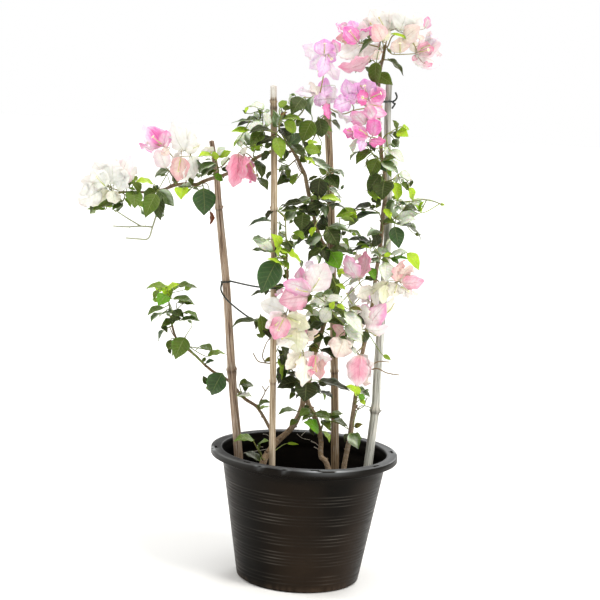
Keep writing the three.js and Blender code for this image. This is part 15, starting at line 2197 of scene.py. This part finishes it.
    # the cut faces are the same black as the rest
    tone = mesh.attributes["tint"]
    rgba = np.empty(len(tone.data) * 4, np.float32)
    tone.data.foreach_get("color", rgba)
    rgba = rgba.reshape(-1, 4)
    rgba[rgba[:, 0] > 0.42] = (0.003, 0.003, 0.002, 1.0)
    tone.data.foreach_set("color", rgba.ravel())
    # sharp corners stay crisp, the rest is smooth
    o.data.set_sharp_from_angle(angle=math.radians(38))
    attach(o, "root")
    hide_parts("pot")
    made.append(o)
    return o


SLOT_AT = [(6.9 + 45 * i, 6.5) for i in range(8)]
pot = make_pot()

# ------------------------------------------------------------------ potting mix


def make_soil():
    rng = np.random.default_rng(77)
    piece = Piece("vis_potting_mix")
    z0 = 140.6
    rr = np.concatenate([np.linspace(0, 1, 27)[1:] * (wall_r(140) - WALL - 0.9)])
    seg = 120
    ang = np.arange(seg) / seg * 2 * math.pi

    def height(x, y):
        h = np.zeros_like(x)
        for k, (fx, fy, p, a) in enumerate(((0.09, 0.05, 0.3, 0.8), (-0.06, 0.11, 1.9, 0.8), (0.21, -0.17, 4.0, 0.5), (0.33, 0.29, 2.2, 0.4), (-0.47, 0.4, 5.0, 0.3))):
            h += a * np.sin(fx * x + fy * y + p)
        return h

    X = rr[:, None] * np.cos(ang)
    Y = rr[:, None] * np.sin(ang)
    Z = z0 + height(X, Y) + 0.35 * rng.normal(size=X.shape) + 1.2 * smooth(100, 118, np.hypot(X, Y))
    top = np.stack([X, Y, Z], -1).reshape(-1, 3)
    n = len(rr)
    rows = [top]
    levels = [(wall_r(138) - WALL - 0.7, 136.0), (wall_r(70) - WALL - 0.7, 70.0), (wall_r(9) - WALL - 0.7, 9.5), (wall_r(6) - WALL - 4.2, 6.4)]
    for r, z in levels:
        rows.append(np.stack([r * np.cos(ang), r * np.sin(ang), np.full(seg, z)], -1))
    V = np.concatenate(rows)
    m = n + len(levels)
    V = np.concatenate([V, [[0, 0, z0 + 0.3], [0, 0, 6.4]]])
    F = ring_faces(m, seg)[:, ::-1]
    j = np.arange(seg)
    k = (j + 1) % seg
    ft = np.stack([np.full(seg, m * seg), j, k], -1)
    fb = np.stack([np.full(seg, m * seg + 1), (m - 1) * seg + k, (m - 1) * seg + j], -1)
    col = np.repeat(lin((34, 26, 20))[None], len(V), 0)
    piece.add(V, [F, ft, fb], 0, col)
    # bark chips, crumbs and a few pale grains
    for i in range(520):
        r = math.sqrt(rng.random()) * 112
        a = rng.random() * 6.283
        x, y = r * math.cos(a), r * math.sin(a)
        z = z0 + float(height(np.array([x]), np.array([y]))[0])
        kind = rng.random()
        if kind < 0.6:
            sx, sy, sz, c = rng.uniform(2, 5.5), rng.uniform(1.2, 3.0), rng.uniform(0.6, 1.4), (56, 40, 28)
        elif kind < 0.93:
            sx = sy = sz = rng.uniform(0.9, 2.2)
            c = (32, 24, 19)
        else:
            sx = sy = sz = rng.uniform(0.7, 1.3)
            c = (196, 190, 176)
        q = np.array([[-1, -1, -1], [1, -1, -1], [1, 1, -1], [-1, 1, -1], [-1, -1, 1], [1, -1, 1], [1, 1, 1], [-1, 1, 1]], float)
        q = q * (1 + 0.25 * rng.normal(size=(8, 3))) * [sx, sy, sz] * 0.5
        th, ti = rng.random() * 6.283, rng.uniform(-0.5, 0.5)
        Rz = np.array([[math.cos(th), -math.sin(th), 0], [math.sin(th), math.cos(th), 0], [0, 0, 1]])
        Rx = np.array([[1, 0, 0], [0, math.cos(ti), -math.sin(ti)], [0, math.sin(ti), math.cos(ti)]])
        q = q @ Rx.T @ Rz.T + [x, y, z + 0.3]
        F6 = np.array([[0, 3, 2, 1], [4, 5, 6, 7], [0, 1, 5, 4], [1, 2, 6, 5], [2, 3, 7, 6], [3, 0, 4, 7]])
        piece.add(q, [F6], 0, lin(c) * rng.uniform(0.7, 1.3), flat=True)
    keep(piece, "potting_mix", "soil", [M_SOIL])


make_soil()

# pale dried rootlets and stubs inside the pot's mouth
ROOTLETS = Piece("vis_dried_rootlets")
for row in ROOTS:
    q = np.asarray(row, float)
    P, R = spline(q[:, :3], q[:, 3], 2.0)
    tube(ROOTLETS, P, R, 6, 0, lin((206, 200, 186)))
ro = ROOTLETS.build([M_TWIG])
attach(ro, "root")

# ------------------------------------------------------------------ leaves and bracts
for i, (name, (kind, ops)) in enumerate(SHOOTS.items()):
    piece = make_shoot(name, kind, ops, 1000 + i)
    piece.name = "vis_" + name
    slot = next(s["material_slot"] for s in frame["record"]["subparts"] if s["node"] == name)
    keep(piece, name, slot, FOLIAGE)

# ------------------------------------------------------------------ camera, light, floor
cam_data = bpy.data.cameras.new("camera")
cam = bpy.data.objects.new("camera", cam_data)
bpy.context.scene.collection.objects.link(cam)

CX, CD, CH, CT = -0.0208, 2.600, 0.8005, 0.4503
pos = Vector((CX, -CD, CH))
fw = (Vector((CX, 0, CT)) - pos).normalized()
right = Vector((1, 0, 0))
upv = right.cross(fw)
cr, sr = math.cos(math.radians(3.28)), math.sin(math.radians(3.28))
r2 = right * cr + upv * sr
u2 = right * -sr + upv * cr
mat = Matrix((r2, u2, -fw)).transposed().to_4x4()
mat.translation = pos
cam.matrix_world = mat
cam_data.sensor_width = 36
cam_data.lens = 36 * 1650.7 / 600
cam_data.clip_start = 0.05
cam_data.clip_end = 60
bpy.context.scene.camera = cam


def sun(name, toward, strength, angle, color=(1, 1, 1)):
    """A large even light from the direction given, wide enough for soft shadows."""
    d = bpy.data.lights.new(name, "SUN")
    d.energy = strength
    d.angle = math.radians(angle)
    d.color = color
    o = bpy.data.objects.new(name, d)
    bpy.context.scene.collection.objects.link(o)
    o.rotation_euler = (-Vector(toward)).to_track_quat("-Z", "Y").to_euler()
    o.location = Vector(toward) * 3
    return o


sun("key_right", (0.55, -0.42, 0.72), 2.05, 22, (1.0, 0.975, 0.93))
sun("rim_left", (-0.80, 0.10, 0.55), 1.15, 30, (1.0, 0.985, 0.95))
sun("back", (0.30, 0.80, 0.55), 1.05, 30)
sun("top", (0.0, -0.05, 1.0), 0.85, 50)

world = bpy.data.worlds.new("pale")
bpy.context.scene.world = world
world.use_nodes = True
wn = world.node_tree
bg = wn.nodes["Background"]
bg.inputs["Color"].default_value = (1.0, 0.985, 0.955, 1)
bg.inputs["Strength"].default_value = 0.54
bg2 = wn.nodes.new("ShaderNodeBackground")
bg2.inputs["Color"].default_value = (1, 1, 1, 1)
bg2.inputs["Strength"].default_value = 1.0
lp = wn.nodes.new("ShaderNodeLightPath")
mx = wn.nodes.new("ShaderNodeMixShader")
wn.links.new(lp.outputs["Is Camera Ray"], mx.inputs[0])
wn.links.new(bg.outputs[0], mx.inputs[1])
wn.links.new(bg2.outputs[0], mx.inputs[2])
wn.links.new(mx.outputs[0], wn.nodes["World Output"].inputs["Surface"])

fm = bpy.data.meshes.new("floor")
fm.from_pydata([(-14, -6, 0), (14, -6, 0), (14, 22, 0), (-14, 22, 0)], [], [(0, 1, 2, 3)])
floor = bpy.data.objects.new("floor", fm)
bpy.context.scene.collection.objects.link(floor)
mf, ntf, bf = new_material("pale_floor", 0.9, 0.1)
bf.inputs["Base Color"].default_value = (0.93, 0.93, 0.925, 1)
fm.materials.append(mf)

sc = bpy.context.scene
sc.view_settings.view_transform = "Standard"
sc.view_settings.look = "None"
sc.view_settings.exposure = 0.0
sc.view_settings.gamma = 1.0
